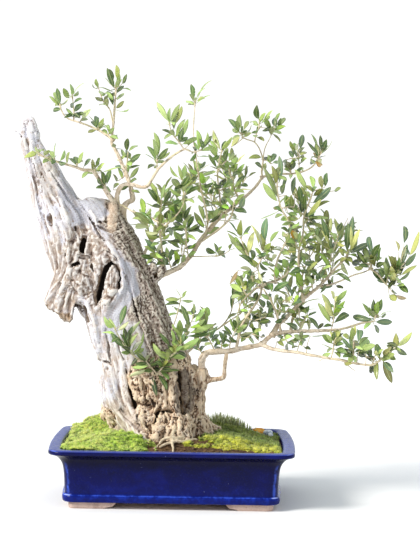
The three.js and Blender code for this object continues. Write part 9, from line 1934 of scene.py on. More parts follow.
        ((118.3, -53.9, 353.9, 117.3, -52.1, 353.2, 105.2, -83.5, 344.8, .05, -.27, .96, 8), "g", 0, 0),
        ((118.4, -53.8, 353.6, 120.7, -51.5, 354.9, 133.1, -23.4, 358.6, .47, -.32, .82, 7.6), "g", 0, 0),
        ((115.2, -56.3, 360.1, 115.2, -56.3, 360.1, 118.4, -32.9, 375.5, .03, -.55, .83, 10.4), "b", 0, 1),
        ((114.4, -57.2, 364.5, 114.4, -57.2, 364.5, 117, -87.3, 362.2, -.17, -.09, .98, 9.8), "y", 0, 1),
        ((116.2, -55.5, 357.3, 116.2, -55.5, 357.3, 105.7, -25.6, 354.4, -.39, -.04, .92, 9.6), "k", 0, 1),
    ]),
    ("t3", "spray_middle_right", "R5b", [[(183.9, -52, 384.6), (188.9, -49, 392.9), (189.7, -47, 399.6)]], [
        ((188.3, -49.4, 391.9, 183.9, -48.4, 394.5, 171.4, -18.6, 403.1, -.89, -.42, .18, 10), "g", 0, 0),
        ((189.5, -47.6, 397.4, 185.6, -47.1, 397.8, 178.9, -78.5, 414, .56, -.47, -.68, 10.7), "g", 0, 0),
        ((189.7, -47, 399.5, 188.8, -48.7, 399.6, 188.2, -19.1, 410.2, .38, -.31, .88, 8.8), "n", 0, 0),
        ((189.2, -48.5, 394.8, 190.7, -45.9, 394.5, 197.8, -70.8, 402.4, -.96, -.28, -.03, 7.9), "g", 0, 0),
        ((188.3, -49.4, 391.9, 192.2, -51.5, 389.7, 210.7, -16.5, 396.9, .67, -.47, .57, 11.3), "d", 0, 0),
        ((186.4, -50.5, 388.7, 182.3, -48.3, 391.1, 169.5, -74.6, 393.7, .70, -.27, .66, 9.1), "d", 0, 0),
        ((172.8, -55.6, 378.6, 170.4, -55.6, 382.8, 165.4, -90.4, 402.6, .56, -.47, -.69, 10.4), "b", -1, 0),
        ((157.5, -59.7, 373.1, 162.3, -61, 357.8, 189.7, -76.4, 375.8, -.44, -.89, -.09, 10.3), "d", -1, 0),
        ((176.4, -54.4, 380.6, 178.9, -56, 376.3, 197.4, -65.3, 350.3, .36, -.76, .53, 8.3), "u", -1, 0),
        ((152.5, -60.7, 371.3, 152, -59.2, 372.6, 161.1, -92.5, 361.2, -.12, -.35, .93, 10.7), "d", -1, 0),
        ((175.2, -54.8, 380, 175.4, -57.3, 379.6, 188.3, -33.5, 371.9, .85, -.33, .41, 8.8), "g", -1, 0),
        ((186.7, -50.3, 389.2, 189, -48.7, 387.9, 203.8, -23.4, 383.5, .85, -.46, .25, 7.8), "g", 0, 0),
        ((173.9, -55.2, 379.3, 173.7, -57.7, 379.6, 161, -33.5, 386.7, -.09, -.32, .94, 8), "g", -1, 0),
        ((189.7, -47.1, 399.2, 189.7, -47.1, 399.2, 193.1, -9.4, 396.8, .10, .06, .99, 9), "g", 0, 1),
        ((189.2, -48.2, 395.6, 189.2, -48.2, 395.6, 183.2, -24, 411.6, .05, -.54, .84, 9.7), "b", 0, 1),
        ((189.6, -47.4, 398.3, 189.6, -47.4, 398.3, 200.3, -15.2, 404.6, .22, -.26, .94, 8.4), "g", 0, 1),
        ((189.7, -47.2, 398.9, 189.7, -47.2, 398.9, 202.5, -25.1, 409.6, .08, -.47, .88, 9.7), "d", 0, 1),
    ]),
    ("r5_low", "spray_lower_inner", "R5", [[(128, -50, 324.6), (124.3, -56, 336.7)], [(115, -43, 305.4), (121.4, -50, 314.4)]], [
        ((127.6, -50.7, 326, 123, -48, 324.4, 110, -20.7, 325.7, -.51, -.28, .81, 7.8), "b", 0, 0),
        ((126.3, -52.7, 330.1, 119.4, -53.3, 328.1, 113.7, -79.6, 339.7, .93, -.30, -.22, 8.2), "g", 0, 0),
        ((136, -53.7, 338.6, 149.5, -56.7, 330.5, 141.8, -22.5, 345.1, .05, -.38, .92, 10.8), "d", -1, 0),
        ((128, -50, 324.6, 146.5, -49.7, 321.5, 140.5, -78.6, 333.4, .92, -.30, -.26, 8.7), "d", 0, 0),
        ((128, -50, 324.6, 141.5, -48.9, 321.4, 130.9, -14.5, 303.5, -.49, -.52, -.70, 12.9), "k", 0, 0),
        ((128, -50, 324.6, 139.9, -51.1, 316.5, 160.9, -74.2, 318.5, .48, .50, .72, 8.3), "w", 0, 0),
        ((128, -50, 324.6, 146.7, -50.1, 313.1, 155.8, -24.1, 316.5, .39, -.25, .89, 8.1), "y", 0, 0),
        ((121.4, -50, 314.4, 141.8, -47.5, 306.1, 159.2, -79.6, 312.1, -.88, -.47, .02, 9.8), "d", 1, 0),
        ((118.8, -47.1, 310.6, 116.4, -49.7, 312.6, 105.4, -24.9, 288.5, -.33, .58, .75, 7.7), "w", 1, 0),
        ((121.4, -50, 314.4, 124.9, -47.3, 314.3, 115.7, -21.6, 286.7, .00, .73, .68, 11.1), "w", 1, 0),
        ((120.8, -49.3, 313.5, 128.3, -50, 307.8, 132.5, -26, 292.5, -.16, -.51, -.84, 9), "g", 1, 0),
        ((126.1, -53.1, 330.8, 122.7, -55.9, 330, 136.8, -26.6, 335.1, .30, -.30, .91, 8.5), "g", 0, 0),
        ((116.4, -44.5, 307.3, 116.6, -45.4, 307.2, 103.6, -13.7, 308.1, -.41, -.19, .89, 8.2), "d", 1, 0),
        ((128, -50, 324.6, 126.3, -52, 321.4, 139, -76.7, 328.3, -.39, -.43, -.82, 7.7), "g", 0, 0),
        ((118, -46.3, 309.6, 118, -46.3, 309.6, 117.9, -21.9, 321.3, .05, -.43, .90, 8.2), "w", 1, 1),
        ((118.2, -46.5, 309.8, 118.2, -46.5, 309.8, 119.8, -11.7, 305.4, -.09, .13, .99, 9.5), "d", 1, 1),
        ((126.4, -52.6, 329.8, 126.4, -52.6, 329.8, 131.9, -23, 326.1, .16, .10, .98, 9.6), "d", 0, 1),
        ((121.1, -49.6, 313.9, 121.1, -49.6, 313.9, 120.7, -18, 309.3, .02, .15, .99, 7.6), "g", 1, 1),
    ]),
    ("r5_root", "spray_lower_base", "R5", [[(108, -36, 277.6), (120.5, -46, 278.6), (132, -52, 286.1)]], [
        ((132, -52, 286.1, 142.2, -52.4, 276.2, 130.8, -23.1, 297.3, -.03, -.59, .81, 10.4), "d", 0, 0),
        ((132, -52, 286.1, 142.3, -49.8, 274.3, 132.8, -18.8, 286.8, -.18, -.42, .89, 8.4), "o", 0, 0),
        ((110.5, -38, 277.8, 110.5, -36.3, 279.4, 131.4, -11.3, 277.6, .56, -.42, .71, 7.4), "d", 0, 0),
        ((108.8, -36.7, 277.7, 108.8, -33.9, 280.8, 131.7, -61, 290.2, .28, .52, .81, 9.1), "w", 0, 0),
        ((132, -52, 286.1, 152.3, -50.3, 281.2, 146.4, -20, 280.3, -.77, -.13, .62, 9.2), "k", 0, 0),
        ((109.7, -38.2, 286.4, 110.3, -38.3, 286.3, 97, -13.1, 292.6, -.18, -.33, .93, 9.1), "g", -1, 0),
        ((110.4, -39.2, 290.1, 112, -36.7, 289.6, 122.6, -8.5, 297.8, .88, -.40, .26, 8.2), "d", -1, 0),
        ((132, -52, 286.1, 133.7, -49.8, 287.6, 146.2, -76.8, 295, -.90, -.34, .29, 8.7), "g", 0, 0),
        ((123.7, -47.7, 280.7, 123.7, -49.4, 280.7, 134.8, -20.5, 268.2, .91, -.39, -.10, 7.9), "g", 0, 0),
        ((106.3, -33.4, 268.7, 105.7, -31.5, 268.7, 91.7, -61.3, 279.4, .90, -.44, -.04, 8.2), "d", -1, 0),
        ((122.9, -47.2, 280.2, 122.9, -47.2, 280.2, 128.4, -11.4, 281.9, .03, -.05, 1.00, 8.1), "g", 0, 1),
        ((114.7, -41.4, 278.2, 114.7, -41.4, 278.2, 127.8, -18.6, 284.7, -.03, -.26, .96, 9.1), "d", 0, 1),
        ((117.4, -43.6, 278.4, 117.4, -43.6, 278.4, 111.2, -78.4, 274.1, .30, -.17, .94, 8.6), "g", 0, 1),
    ]),
    ("r4_mid", "twig_rising_fork", "R4", [[(171.4, -61, 317.7), (177.6, -66, 334.9), (182.3, -68, 345.2)], [(164, -70, 338.3), (160.2, -76, 350.3)]], [
        ((172.1, -61.6, 319.8, 164.5, -63.7, 322.8, 155.1, -33.6, 342.6, .04, -.54, .84, 9.4), "u", 0, 0),
        ((164, -70, 338.3, 165.6, -71.5, 336.7, 169.2, -101.1, 356.9, -.13, .55, .83, 7.5), "w", 1, 0),
        ((161.9, -73.4, 345.1, 162.1, -73.6, 345.2, 159.6, -44.2, 355.1, -.87, -.22, .44, 8.7), "b", 1, 0),
        ((177, -65.6, 333.4, 177.5, -67.5, 333.3, 178.3, -41.2, 350.2, .43, -.50, .75, 8), "u", 0, 0),
        ((181.1, -67.5, 342.4, 185.7, -69.1, 340.3, 186.8, -38.1, 353.6, .69, -.30, .66, 8.5), "c", 0, 0),
        ((182.3, -68, 345.2, 192.3, -70.4, 340.5, 193.9, -101.5, 354, -.86, -.24, -.45, 8.8), "y", 0, 0),
        ((182.3, -68, 345.2, 195.9, -65.5, 340.2, 212.4, -36, 343.7, .74, -.47, .47, 10.7), "u", 0, 0),
        ((182.3, -68, 345.2, 199, -69.4, 340.5, 204.1, -95.8, 353.9, -.84, -.37, -.40, 8.4), "b", 0, 0),
        ((174.9, -63.8, 327.5, 186.4, -61, 323, 179.2, -36.5, 312.7, -.86, -.39, -.33, 8.4), "u", 0, 0),
        ((175.6, -64.4, 329.3, 174.3, -66.6, 329.9, 168.1, -92.3, 344.8, .90, -.36, -.25, 8.5), "o", 0, 0),
        ((174.9, -63.8, 327.5, 169.4, -63.6, 329.6, 175.9, -33, 314.1, .71, -.43, -.56, 8.6), "g", 0, 0),
        ((177.9, -66.1, 335.6, 175.8, -68.8, 336.7, 189.8, -91.1, 335.1, -.50, -.37, .78, 8.4), "d", 0, 0),
        ((181.7, -67.7, 343.8, 182.5, -65.2, 343.3, 171.9, -33.4, 346.2, -.28, -.18, .94, 8.6), "g", 0, 0),
        ((161.1, -74.6, 347.6, 158.7, -74.2, 346.8, 144.6, -96.9, 354.6, .86, -.50, .10, 8.2), "g", 1, 0),
        ((166.4, -66.9, 331, 167.7, -64.9, 331.3, 153.3, -41.3, 331.2, -.49, -.29, .82, 9.1), "d", -1, 0),
        ((181.1, -67.5, 342.4, 181.1, -67.5, 342.4, 172.7, -42.6, 348.1, -.02, -.23, .97, 9.7), "b", 0, 1),
        ((161, -74.8, 347.9, 161, -74.8, 347.9, 156.1, -38.5, 344, .23, .13, .96, 8.3), "b", 1, 1),
        ((162.4, -72.5, 343.2, 162.4, -72.5, 343.2, 152.2, -36.9, 346.1, -.33, -.17, .93, 9.2), "w", 1, 1),
        ((160.3, -75.9, 350.1, 160.3, -75.9, 350.1, 157.8, -42.9, 352.3, -.12, -.07, .99, 7.9), "u", 1, 1),
        ((177.7, -66, 335.1, 177.7, -66, 335.1, 172.8, -96.2, 350.1, .26, .40, .88, 9.4), "u", 0, 1),
    ]),
    ("r4_low", "twig_rising_base", "R3", [[(179.2, -38, 306.1), (187.1, -44, 323.5), (193.4, -48, 334)], [(204.8, -24, 330.9), (209.7, -28, 327.9)]], [
        ((209.7, -28, 327.9, 206.7, -26.8, 310.8, 188.8, -3.4, 324.2, -.26, -.62, .74, 11), "o", 1, 0),
        ((180.2, -38.7, 308.2, 208.2, -37.8, 294.7, 187.8, -72.5, 307.1, .86, -.51, -.01, 11.3), "d", 0, 0),
        ((209.7, -28, 327.9, 212, -28.9, 297.4, 200, -59.8, 313.1, .92, -.38, -.05, 7.9), "n", 1, 0),
        ((187.3, -44.1, 323.9, 185.4, -44.1, 325.2, 177.2, -72.3, 338.7, .84, -.41, -.36, 8.4), "g", 0, 0),
        ((209.7, -28, 327.9, 216.7, -26.5, 322.8, 209.2, -1.7, 334.7, .01, -.43, .90, 8.9), "d", 1, 0),
        ((190.3, -46, 328.8, 190.2, -47.7, 328.9, 202.3, -76.7, 326, -.92, -.37, -.11, 8.9), "g", 0, 0),
        ((193.4, -48, 334, 195, -50.5, 334.2, 209.7, -24.4, 337.9, .26, -.27, .93, 7.6), "g", 0, 0),
        ((182.4, -40.4, 313.1, 182.3, -42.5, 313.2, 168, -68.3, 308.1, .86, -.50, .09, 8), "d", 0, 0),
        ((186.8, -43.8, 322.8, 188.9, -41.7, 321.7, 176.5, -12.9, 324.6, -.66, -.35, .67, 7.7), "g", 0, 0),
        ((209.5, -27.9, 328, 209.5, -27.9, 328, 214.3, 1.2, 336.1, -.46, -.17, .87, 8.8), "d", 1, 1),
        ((209.7, -28, 327.9, 209.7, -28, 327.9, 205.4, -0.6, 329.8, -.16, -.09, .98, 9.3), "d", 1, 1),
        ((206.4, -25.3, 329.9, 206.4, -25.3, 329.9, 203.2, 0.7, 336.1, -.09, -.24, .97, 9), "d", 1, 1),
    ]),
    ("x2", "spray_lower_mid", "R", [[(207.6, -50, 292.2), (214.5, -42, 303.6), (222.3, -34, 315.8)]], [
        ((222.3, -34, 315.8, 224.8, -32.7, 321.7, 226.4, -0.8, 331.5, -.40, -.25, .88, 9.6), "d", 0, 0),
        ((222.3, -34, 315.8, 223, -35.7, 320.2, 215.8, -9, 326.7, -.27, -.30, .92, 7.8), "g", 0, 0),
        ((222.3, -34, 315.8, 224.8, -35.7, 316.8, 239.7, -9, 323.7, .03, -.27, .96, 8.6), "d", 0, 0),
        ((222.3, -34, 315.8, 224.7, -36.4, 315.2, 243.2, -18.2, 293.7, .68, -.73, -.04, 8.3), "d", 0, 0),
        ((222.3, -34, 315.8, 219.8, -32.1, 321.6, 211, -0.5, 332.9, -.22, -.38, .90, 9.6), "d", 0, 0),
        ((221.9, -34.5, 315.1, 224.7, -37.2, 313.5, 228.4, -8.6, 292.7, .62, .41, .67, 8.8), "w", 0, 0),
        ((220.9, -35.4, 313.6, 221.5, -34.2, 313.3, 214.6, -12.8, 291.1, -.08, .70, .71, 8.7), "w", 0, 0),
        ((241.3, -52, 293.3, 241.2, -49.8, 296.2, 247.5, -78.5, 308.5, -.29, -.43, -.85, 7.7), "k", -1, 0),
        ((217.7, -38.7, 308.6, 217.9, -39.6, 308.5, 205.9, -8.8, 311.2, -.48, -.26, .83, 9.2), "g", 0, 0),
        ((215.8, -40.8, 305.5, 216.3, -39.9, 305.1, 233.3, -8.5, 304.8, .68, -.36, .64, 8.4), "g", 0, 0),
        ((219.2, -37.2, 310.9, 219.2, -37.2, 310.9, 212.5, -11.3, 310.6, -.21, -.04, .98, 9.6), "g", 0, 1),
        ((219.4, -37, 311.2, 219.4, -37, 311.2, 216.3, -0.3, 312.8, -.14, -.05, .99, 7.9), "d", 0, 1),
        ((219.8, -36.6, 311.9, 219.8, -36.6, 311.9, 223.3, -66.3, 315, -.18, .08, .98, 7.7), "g", 0, 1),
    ]),
    ("x1", "spray_lower_right", "R", [[(263.1, -50, 295.7), (266, -52, 306.9), (267.4, -56, 325.7), (268.2, -58, 342.6)]], [
        ((266.1, -52.2, 308, 261, -51.7, 308.4, 240.9, -40.4, 339.4, -.04, -.95, .32, 11.6), "g", 0, 0),
        ((266.8, -54.2, 317, 265.6, -55.5, 317.2, 249.9, -80.7, 345.4, .43, -.78, -.46, 10.7), "c", 0, 0),
        ((267.1, -55.2, 321.9, 263.7, -56.5, 322.3, 247, -45.8, 355, .21, -.89, .40, 10.7), "n", 0, 0),
        ((268.2, -58, 342.6, 266.4, -59.2, 347.7, 259.2, -85.5, 362.5, .82, -.43, -.38, 8.8), "y", 0, 0),
        ((268.2, -58, 342.6, 269.9, -57.2, 344.3, 285.7, -85.6, 364.6, -.63, -.65, -.42, 9.8), "g", 0, 0),
        ((266.8, -54.2, 317.2, 267.6, -51.4, 317, 283.3, -79.2, 345.9, -.45, -.75, -.48, 11.5), "b", 0, 0),
        ((266.1, -52, 307.1, 267.6, -53.4, 307, 294.8, -24.9, 320.6, .39, -.67, .63, 12.4), "d", 0, 0),
        ((267.5, -56.3, 328, 275.6, -53.4, 327.3, 281.8, -77.5, 342.4, -.94, -.32, -.12, 7.7), "n", 0, 0),
        ((268.2, -57.8, 340.9, 268.3, -58.2, 341, 280, -33.4, 349.8, .10, -.37, .92, 8.8), "y", 0, 0),
        ((265.1, -51.4, 303.2, 264.4, -52.8, 303.5, 247.8, -75.2, 301.6, .55, -.47, .69, 8.1), "d", 0, 0),
        ((267.7, -56.8, 332.4, 266.9, -56, 332.4, 256.7, -31.2, 337.4, -.21, -.27, .94, 7.4), "g", 0, 0),
        ((268, -57.4, 337.6, 268.3, -59, 337.7, 281.2, -87.3, 334.7, -.49, -.31, .81, 8.4), "d", 0, 0),
        ((267.1, -55, 320.9, 267.1, -55, 320.9, 273.7, -30.9, 337.4, -.56, -.36, .75, 8.7), "y", 0, 1),
        ((266.9, -54.5, 318.5, 266.9, -54.5, 318.5, 272.7, -87.8, 326.9, -.13, .22, .97, 9.9), "d", 0, 1),
        ((267.8, -56.9, 333.3, 267.8, -56.9, 333.3, 282, -25.1, 343.3, -.04, -.28, .96, 9), "d", 0, 1),
        ((266.4, -53, 311.3, 266.4, -53, 311.3, 261.9, -26.5, 312.7, .16, -.02, .99, 9.9), "d", 0, 1),
    ]),
    ("w1", "spray_lower_tip", "R", [[(329.6, -37, 308.5), (336.5, -35, 310.2), (338.9, -34, 318.6)]], [
        ((333.6, -35.8, 309.5, 332.8, -38.1, 312, 302.4, -16.3, 316.8, -.53, -.80, .26, 11.6), "u", 0, 0),
        ((337.8, -34.5, 314.8, 336.6, -32.3, 315.1, 315, -41.6, 340.7, .49, -.86, .10, 8.5), "g", 0, 0),
        ((338.7, -34.1, 317.9, 336.4, -34.2, 318.6, 330.5, -2.5, 331.6, .28, -.32, .91, 7.5), "g", 0, 0),
        ((338.9, -34, 318.6, 337.9, -34.7, 322, 332.7, -66.2, 347.6, .29, -.63, -.72, 9.5), "u", 0, 0),
        ((338.9, -34, 318.6, 341.2, -35.7, 322.2, 339.4, -66.7, 346.1, -.22, -.59, -.78, 11.2), "b", 0, 0),
        ((338.9, -34, 318.6, 344.7, -33.9, 325.5, 345.5, -71.6, 349.8, -.38, -.51, -.78, 11.3), "d", 0, 0),
        ((338.5, -34.2, 317.1, 344.8, -35, 315.4, 340.8, -4.3, 321.7, -.72, -.23, .66, 10.5), "o", 0, 0),
        ((338.9, -34, 318.6, 348.3, -33.1, 317, 353.8, -60.9, 324.1, -.94, -.11, .32, 8), "d", 0, 0),
        ((336.5, -35, 310.2, 339.8, -35.6, 308.6, 369.8, -7.5, 307, .68, -.71, .20, 12.3), "u", 0, 0),
        ((334.8, -35.5, 309.8, 336.8, -33.5, 303.3, 348.1, -7.2, 287.8, .86, -.47, -.17, 8.7), "d", 0, 0),
        ((338.9, -34, 318.6, 346.5, -34.2, 318.8, 366.8, -16.2, 326.3, -.26, -.12, .96, 5.6), "g", 0, 0),
        ((330.8, -36.6, 308.8, 331.1, -38.6, 307, 317.1, -66.2, 298.7, .29, -.41, .87, 8), "g", 0, 0),
        ((338.3, -34.2, 316.6, 338.3, -34.2, 316.6, 325.8, -59.4, 327.7, -.06, .43, .90, 8.4), "d", 0, 1),
        ((337.9, -34.4, 315.2, 337.9, -34.4, 315.2, 331.4, 0.9, 316.4, .19, .00, .98, 7.4), "g", 0, 1),
        ((336.9, -34.8, 311.7, 336.9, -34.8, 311.7, 330.5, -5.4, 310.5, .10, .06, .99, 7.6), "d", 0, 1),
        ((338.9, -34, 318.6, 338.9, -34, 318.6, 339.2, -3.3, 333.1, -.37, -.40, .84, 10.1), "g", 0, 1),
    ]),
    ("w2", "spray_front_tip", "R2", [[(337.1, -112, 248.1), (342.1, -111, 253.1), (353.5, -110, 261.4), (365.1, -108, 271.4)]], [
        ((342.2, -111, 253.2, 338.8, -109.9, 257.9, 338.5, -74.7, 276.3, -.01, -.47, .89, 12.2), "d", 0, 0),
        ((341.3, -111.2, 252.3, 337.2, -109.7, 256.2, 331.1, -136, 268.4, -.37, -.32, -.87, 8.2), "c", 0, 0),
        ((337.1, -112, 248.1, 325.8, -109.4, 252.7, 325.4, -74.3, 266, -.38, -.33, .86, 10.8), "d", 0, 0),
        ((302.4, -110.4, 245, 305.8, -108.1, 265.4, 329.2, -137.5, 278.3, -.77, -.63, -.05, 12.7), "g", -1, 0),
        ((347.4, -110.5, 256.9, 345, -113.4, 260, 354.6, -143.9, 276.1, -.74, -.48, -.47, 9.4), "n", 0, 0),
        ((343.2, -110.9, 253.9, 344, -108.4, 252.9, 361.3, -145.3, 264.9, -.88, -.46, -.14, 12.7), "g", 0, 0),
        ((357.2, -109.4, 264.6, 358.7, -108, 263, 366.1, -82.8, 270.8, -.32, -.19, .93, 7.6), "k", 0, 0),
        ((350, -110.3, 258.9, 347.1, -108.6, 262.9, 350.7, -135.7, 272, .28, .34, .90, 7.8), "w", 0, 0),
        ((338.8, -111.7, 249.8, 338.7, -112.3, 249.8, 327.3, -79.7, 229.8, -.71, -.53, -.46, 11.4), "k", 0, 0),
        ((337.1, -112, 248.1, 337.4, -109.7, 246.3, 334.2, -132.2, 220.5, -.41, -.66, .63, 9.7), "o", 0, 0),
        ((342.7, -111, 253.5, 345.7, -108.4, 249.6, 362.6, -96.6, 212.1, .01, -.95, -.30, 12), "o", 0, 0),
        ((343, -110.9, 253.8, 347, -112.3, 248.3, 358.9, -143.3, 235.2, -.45, -.49, .74, 10.3), "u", 0, 0),
        ((365.1, -108, 271.4, 364.9, -109.5, 271.5, 369.4, -78.5, 293.9, -.17, -.56, .81, 10.4), "o", 0, 0),
        ((365.1, -108, 271.4, 368.5, -106.3, 272.9, 348.9, -135.1, 281.7, .84, -.53, .12, 8.9), "o", 0, 0),
        ((365.1, -108, 271.4, 369.9, -107.9, 274.8, 393.7, -97.5, 297.5, .01, -.91, .41, 9.7), "y", 0, 0),
        ((365.1, -108, 271.4, 371.5, -108.2, 276.5, 381.3, -135.4, 290.5, -.32, -.52, -.79, 8.2), "n", 0, 0),
        ((365.1, -108, 271.4, 368.6, -106.4, 268, 390.6, -74.5, 257.1, .81, -.59, -.09, 10.4), "d", 0, 0),
        ((337.1, -112, 248.1, 333.9, -111.1, 251.3, 319.6, -86, 255.3, -.43, -.38, .82, 8.3), "d", 0, 0),
        ((316.4, -112.3, 243.5, 316.9, -114.7, 261.3, 306.3, -84.3, 261.6, -.62, -.23, .75, 9), "k", -1, 0),
        ((350.9, -110.2, 259.5, 351.8, -111.4, 258.2, 363.8, -138.6, 254.5, -.64, -.38, .67, 8.1), "g", 0, 0),
        ((342.1, -111, 253.1, 340.2, -113.3, 254.9, 332.9, -84.1, 263.7, -.12, -.31, .94, 8.8), "g", 0, 0),
        ((361.5, -108.6, 268.4, 361.7, -109.3, 268.1, 372.1, -135.2, 267.4, -.50, -.23, .83, 7.5), "g", 0, 0),
        ((356.5, -109.5, 264, 356.5, -109.5, 264, 364.8, -138.4, 273.6, -.14, .27, .95, 8.1), "k", 0, 1),
        ((360.2, -108.8, 267.2, 360.2, -108.8, 267.2, 349.4, -137.1, 279.8, -.06, .42, .90, 8.6), "d", 0, 1),
        ((348.4, -110.5, 257.7, 348.4, -110.5, 257.7, 357.7, -86.7, 266.1, .03, -.35, .94, 8.6), "o", 0, 1),
        ((352.7, -110.1, 260.8, 352.7, -110.1, 260.8, 357, -73.4, 250.4, .41, .21, .89, 8), "d", 0, 1),
        ((364.9, -108, 271.2, 364.9, -108, 271.2, 358.6, -74.9, 276.9, .29, -.11, .95, 8.6), "d", 0, 1),
        ((360.1, -108.9, 267.1, 360.1, -108.9, 267.1, 348.7, -135, 275.8, .09, .28, .96, 9.8), "g", 0, 1),
        ((345.7, -110.7, 255.7, 345.7, -110.7, 255.7, 339.6, -143.5, 258.2, -.13, .10, .99, 9.7), "o", 0, 1),
    ]),
    ("w3", "spray_front_mid", "R2", [[(288.1, -108, 246.9), (296.6, -102, 256.4), (297.5, -98, 267.7), (298.3, -96, 277.5)]], [
        ((297.3, -99.2, 264.4, 296.7, -99.3, 264.5, 277, -90.6, 286.7, .26, -.80, .54, 8.1), "u", 0, 0),
        ((297.1, -99.7, 262.9, 298.2, -101.2, 263, 290.8, -84, 288, .13, -.80, .59, 9), "u", 0, 0),
        ((298.3, -96, 277.5, 295, -95.2, 280.7, 291.9, -127.5, 306.4, .35, -.60, -.71, 10.2), "g", 0, 0),
        ((298.3, -96, 277.5, 298.2, -95.1, 287.4, 297.1, -123.2, 307.8, -.50, -.49, -.71, 7.4), "y", 0, 0),
        ((298.3, -96, 277.5, 304.8, -97.3, 279.4, 307.6, -60.5, 296.4, .20, -.42, .88, 11.6), "u", 0, 0),
        ((297.4, -98.5, 266.2, 298.1, -101.4, 266.4, 300.7, -68, 275.1, .26, -.26, .93, 10), "o", 0, 0),
        ((297.9, -96.9, 272.9, 301.6, -98.1, 272.8, 304.3, -63.1, 279.8, .45, -.21, .87, 10.1), "o", 0, 0),
        ((297.7, -97.5, 269.9, 304.9, -98.2, 269.5, 326.1, -62.7, 281.8, .58, -.55, .60, 11.6), "g", 0, 0),
        ((298.1, -96.5, 274.9, 306.8, -95, 274.2, 325, -74, 286.1, .14, -.58, .81, 7.7), "g", 0, 0),
        ((298.3, -96, 277.5, 291.4, -96.5, 287.4, 277.6, -125.1, 292.8, .90, -.41, .13, 10.2), "y", 0, 0),
        ((296.7, -101.4, 258, 296.4, -103.8, 258.3, 287.6, -134.2, 249.5, .28, -.34, .90, 10.7), "n", 0, 0),
        ((296.8, -101.4, 258.1, 298.1, -103.1, 258.2, 303.8, -79.8, 241.1, .65, -.55, -.53, 7.6), "g", 0, 0),
        ((297.1, -99.6, 263.1, 299.9, -101.2, 263.1, 320.7, -71, 264, .51, -.38, .77, 7.5), "d", 0, 0),
        ((296.9, -100.9, 259.5, 294.8, -103.3, 259.8, 278.2, -126.1, 256.8, .53, -.48, .70, 8.7), "d", 0, 0),
        ((297, -100.2, 261.6, 301.5, -101.5, 261.4, 320.7, -73.8, 252.5, .51, -.56, -.65, 7.9), "k", 0, 0),
        ((297.9, -97, 272.8, 300, -96.9, 272.6, 310.9, -124.5, 268.7, -.21, -.22, .95, 8.7), "g", 0, 0),
        ((297.8, -97.3, 270.9, 296.9, -94.4, 270.7, 286.1, -63.1, 269.4, -.66, -.20, .73, 7.9), "g", 0, 0),
        ((295.7, -102.7, 255.4, 295.7, -102.7, 255.4, 289.2, -68.6, 260.2, .13, -.11, .98, 7.4), "d", 0, 1),
        ((297.3, -99.1, 264.5, 297.3, -99.1, 264.5, 290.5, -128.3, 269.1, -.28, .21, .94, 9.8), "u", 0, 1),
        ((298.1, -96.6, 274.7, 298.1, -96.6, 274.7, 300.6, -66.2, 273.4, -.18, .06, .98, 10.3), "o", 0, 1),
        ((297.1, -99.7, 262.8, 297.1, -99.7, 262.8, 294.8, -70.9, 270.7, -.26, -.28, .93, 9.2), "y", 0, 1),
        ((298.1, -96.6, 274.8, 298.1, -96.6, 274.8, 297.4, -66.2, 271.7, -.31, .09, .95, 9.6), "g", 0, 1),
    ]),
    ("w4", "spray_front_inner", "R2", [[(260.4, -101, 252.4), (263.9, -95, 265.2), (265.6, -91, 276.5), (268.9, -89, 284.7)]], [
        ((265.3, -91.6, 274.7, 263.9, -91.3, 274.9, 243.8, -115.4, 291.4, .72, -.68, -.11, 11), "g", 0, 0),
        ((265.5, -91.2, 276.1, 262.1, -93.6, 276.7, 248.3, -121.4, 293.7, .78, -.56, -.28, 7.6), "n", 0, 0),
        ((266.5, -90.5, 278.8, 263.8, -91.1, 279.8, 260.4, -65.1, 294.3, .35, -.42, .84, 8.1), "y", 0, 0),
        ((266.7, -90.3, 279.4, 265.4, -92.2, 279.9, 262.9, -123.6, 297.4, .44, -.46, -.77, 9.1), "d", 0, 0),
        ((268.9, -89, 284.7, 277.3, -87.7, 281.4, 266.4, -50.2, 293.2, -.56, -.39, .73, 12.7), "o", 0, 0),
        ((264.9, -92.6, 272, 267.4, -90.8, 271.5, 279.8, -121.3, 277.7, -.91, -.32, .27, 8.9), "d", 0, 0),
        ((265.1, -92, 273.6, 267.1, -94.4, 273.5, 278.7, -69.9, 279.9, .24, -.35, .91, 8.7), "c", 0, 0),
        ((264.2, -94.2, 267.5, 268.8, -94.8, 266.9, 285, -121.7, 263, -.56, -.44, .70, 10.2), "d", 0, 0),
        ((264, -94.8, 265.9, 268.7, -96.4, 265.4, 293.4, -119.3, 266.2, -.64, -.67, .39, 9.3), "k", 0, 0),
        ((264, -94.6, 266.3, 260.5, -95.4, 266.8, 247.2, -68.3, 272.6, .25, -.08, .96, 6.6), "g", 0, 0),
        ((262.4, -97.5, 259.9, 260.5, -97.2, 260.4, 248, -63.2, 250.3, -.92, -.37, -.10, 9.6), "g", 0, 0),
        ((263.1, -96.2, 262.6, 265.6, -94.6, 261.9, 273.6, -123.2, 256.4, -.03, -.20, .98, 8.5), "o", 0, 0),
        ((268.9, -89, 284.7, 272, -91.4, 286.6, 278.7, -65.3, 296.3, -.41, -.22, .88, 8.7), "y", 0, 0),
        ((264.4, -93.9, 268.4, 263.9, -94.1, 268.4, 254.4, -64.4, 260.6, -.92, -.21, .33, 8), "g", 0, 0),
        ((266.4, -90.5, 278.5, 267.1, -92.8, 278.4, 282, -69.1, 285, .10, -.33, .94, 8.3), "g", 0, 0),
        ((268.1, -89.4, 282.9, 268.1, -89.4, 282.9, 282.3, -67.8, 291.8, -.28, -.20, .94, 10.3), "d", 0, 1),
        ((268.2, -89.4, 283.1, 268.2, -89.4, 283.1, 263.5, -57.6, 287, .35, -.06, .94, 7.7), "g", 0, 1),
        ((266.7, -90.3, 279.3, 266.7, -90.3, 279.3, 276.4, -62, 275.8, .09, .09, .99, 8.1), "o", 0, 1),
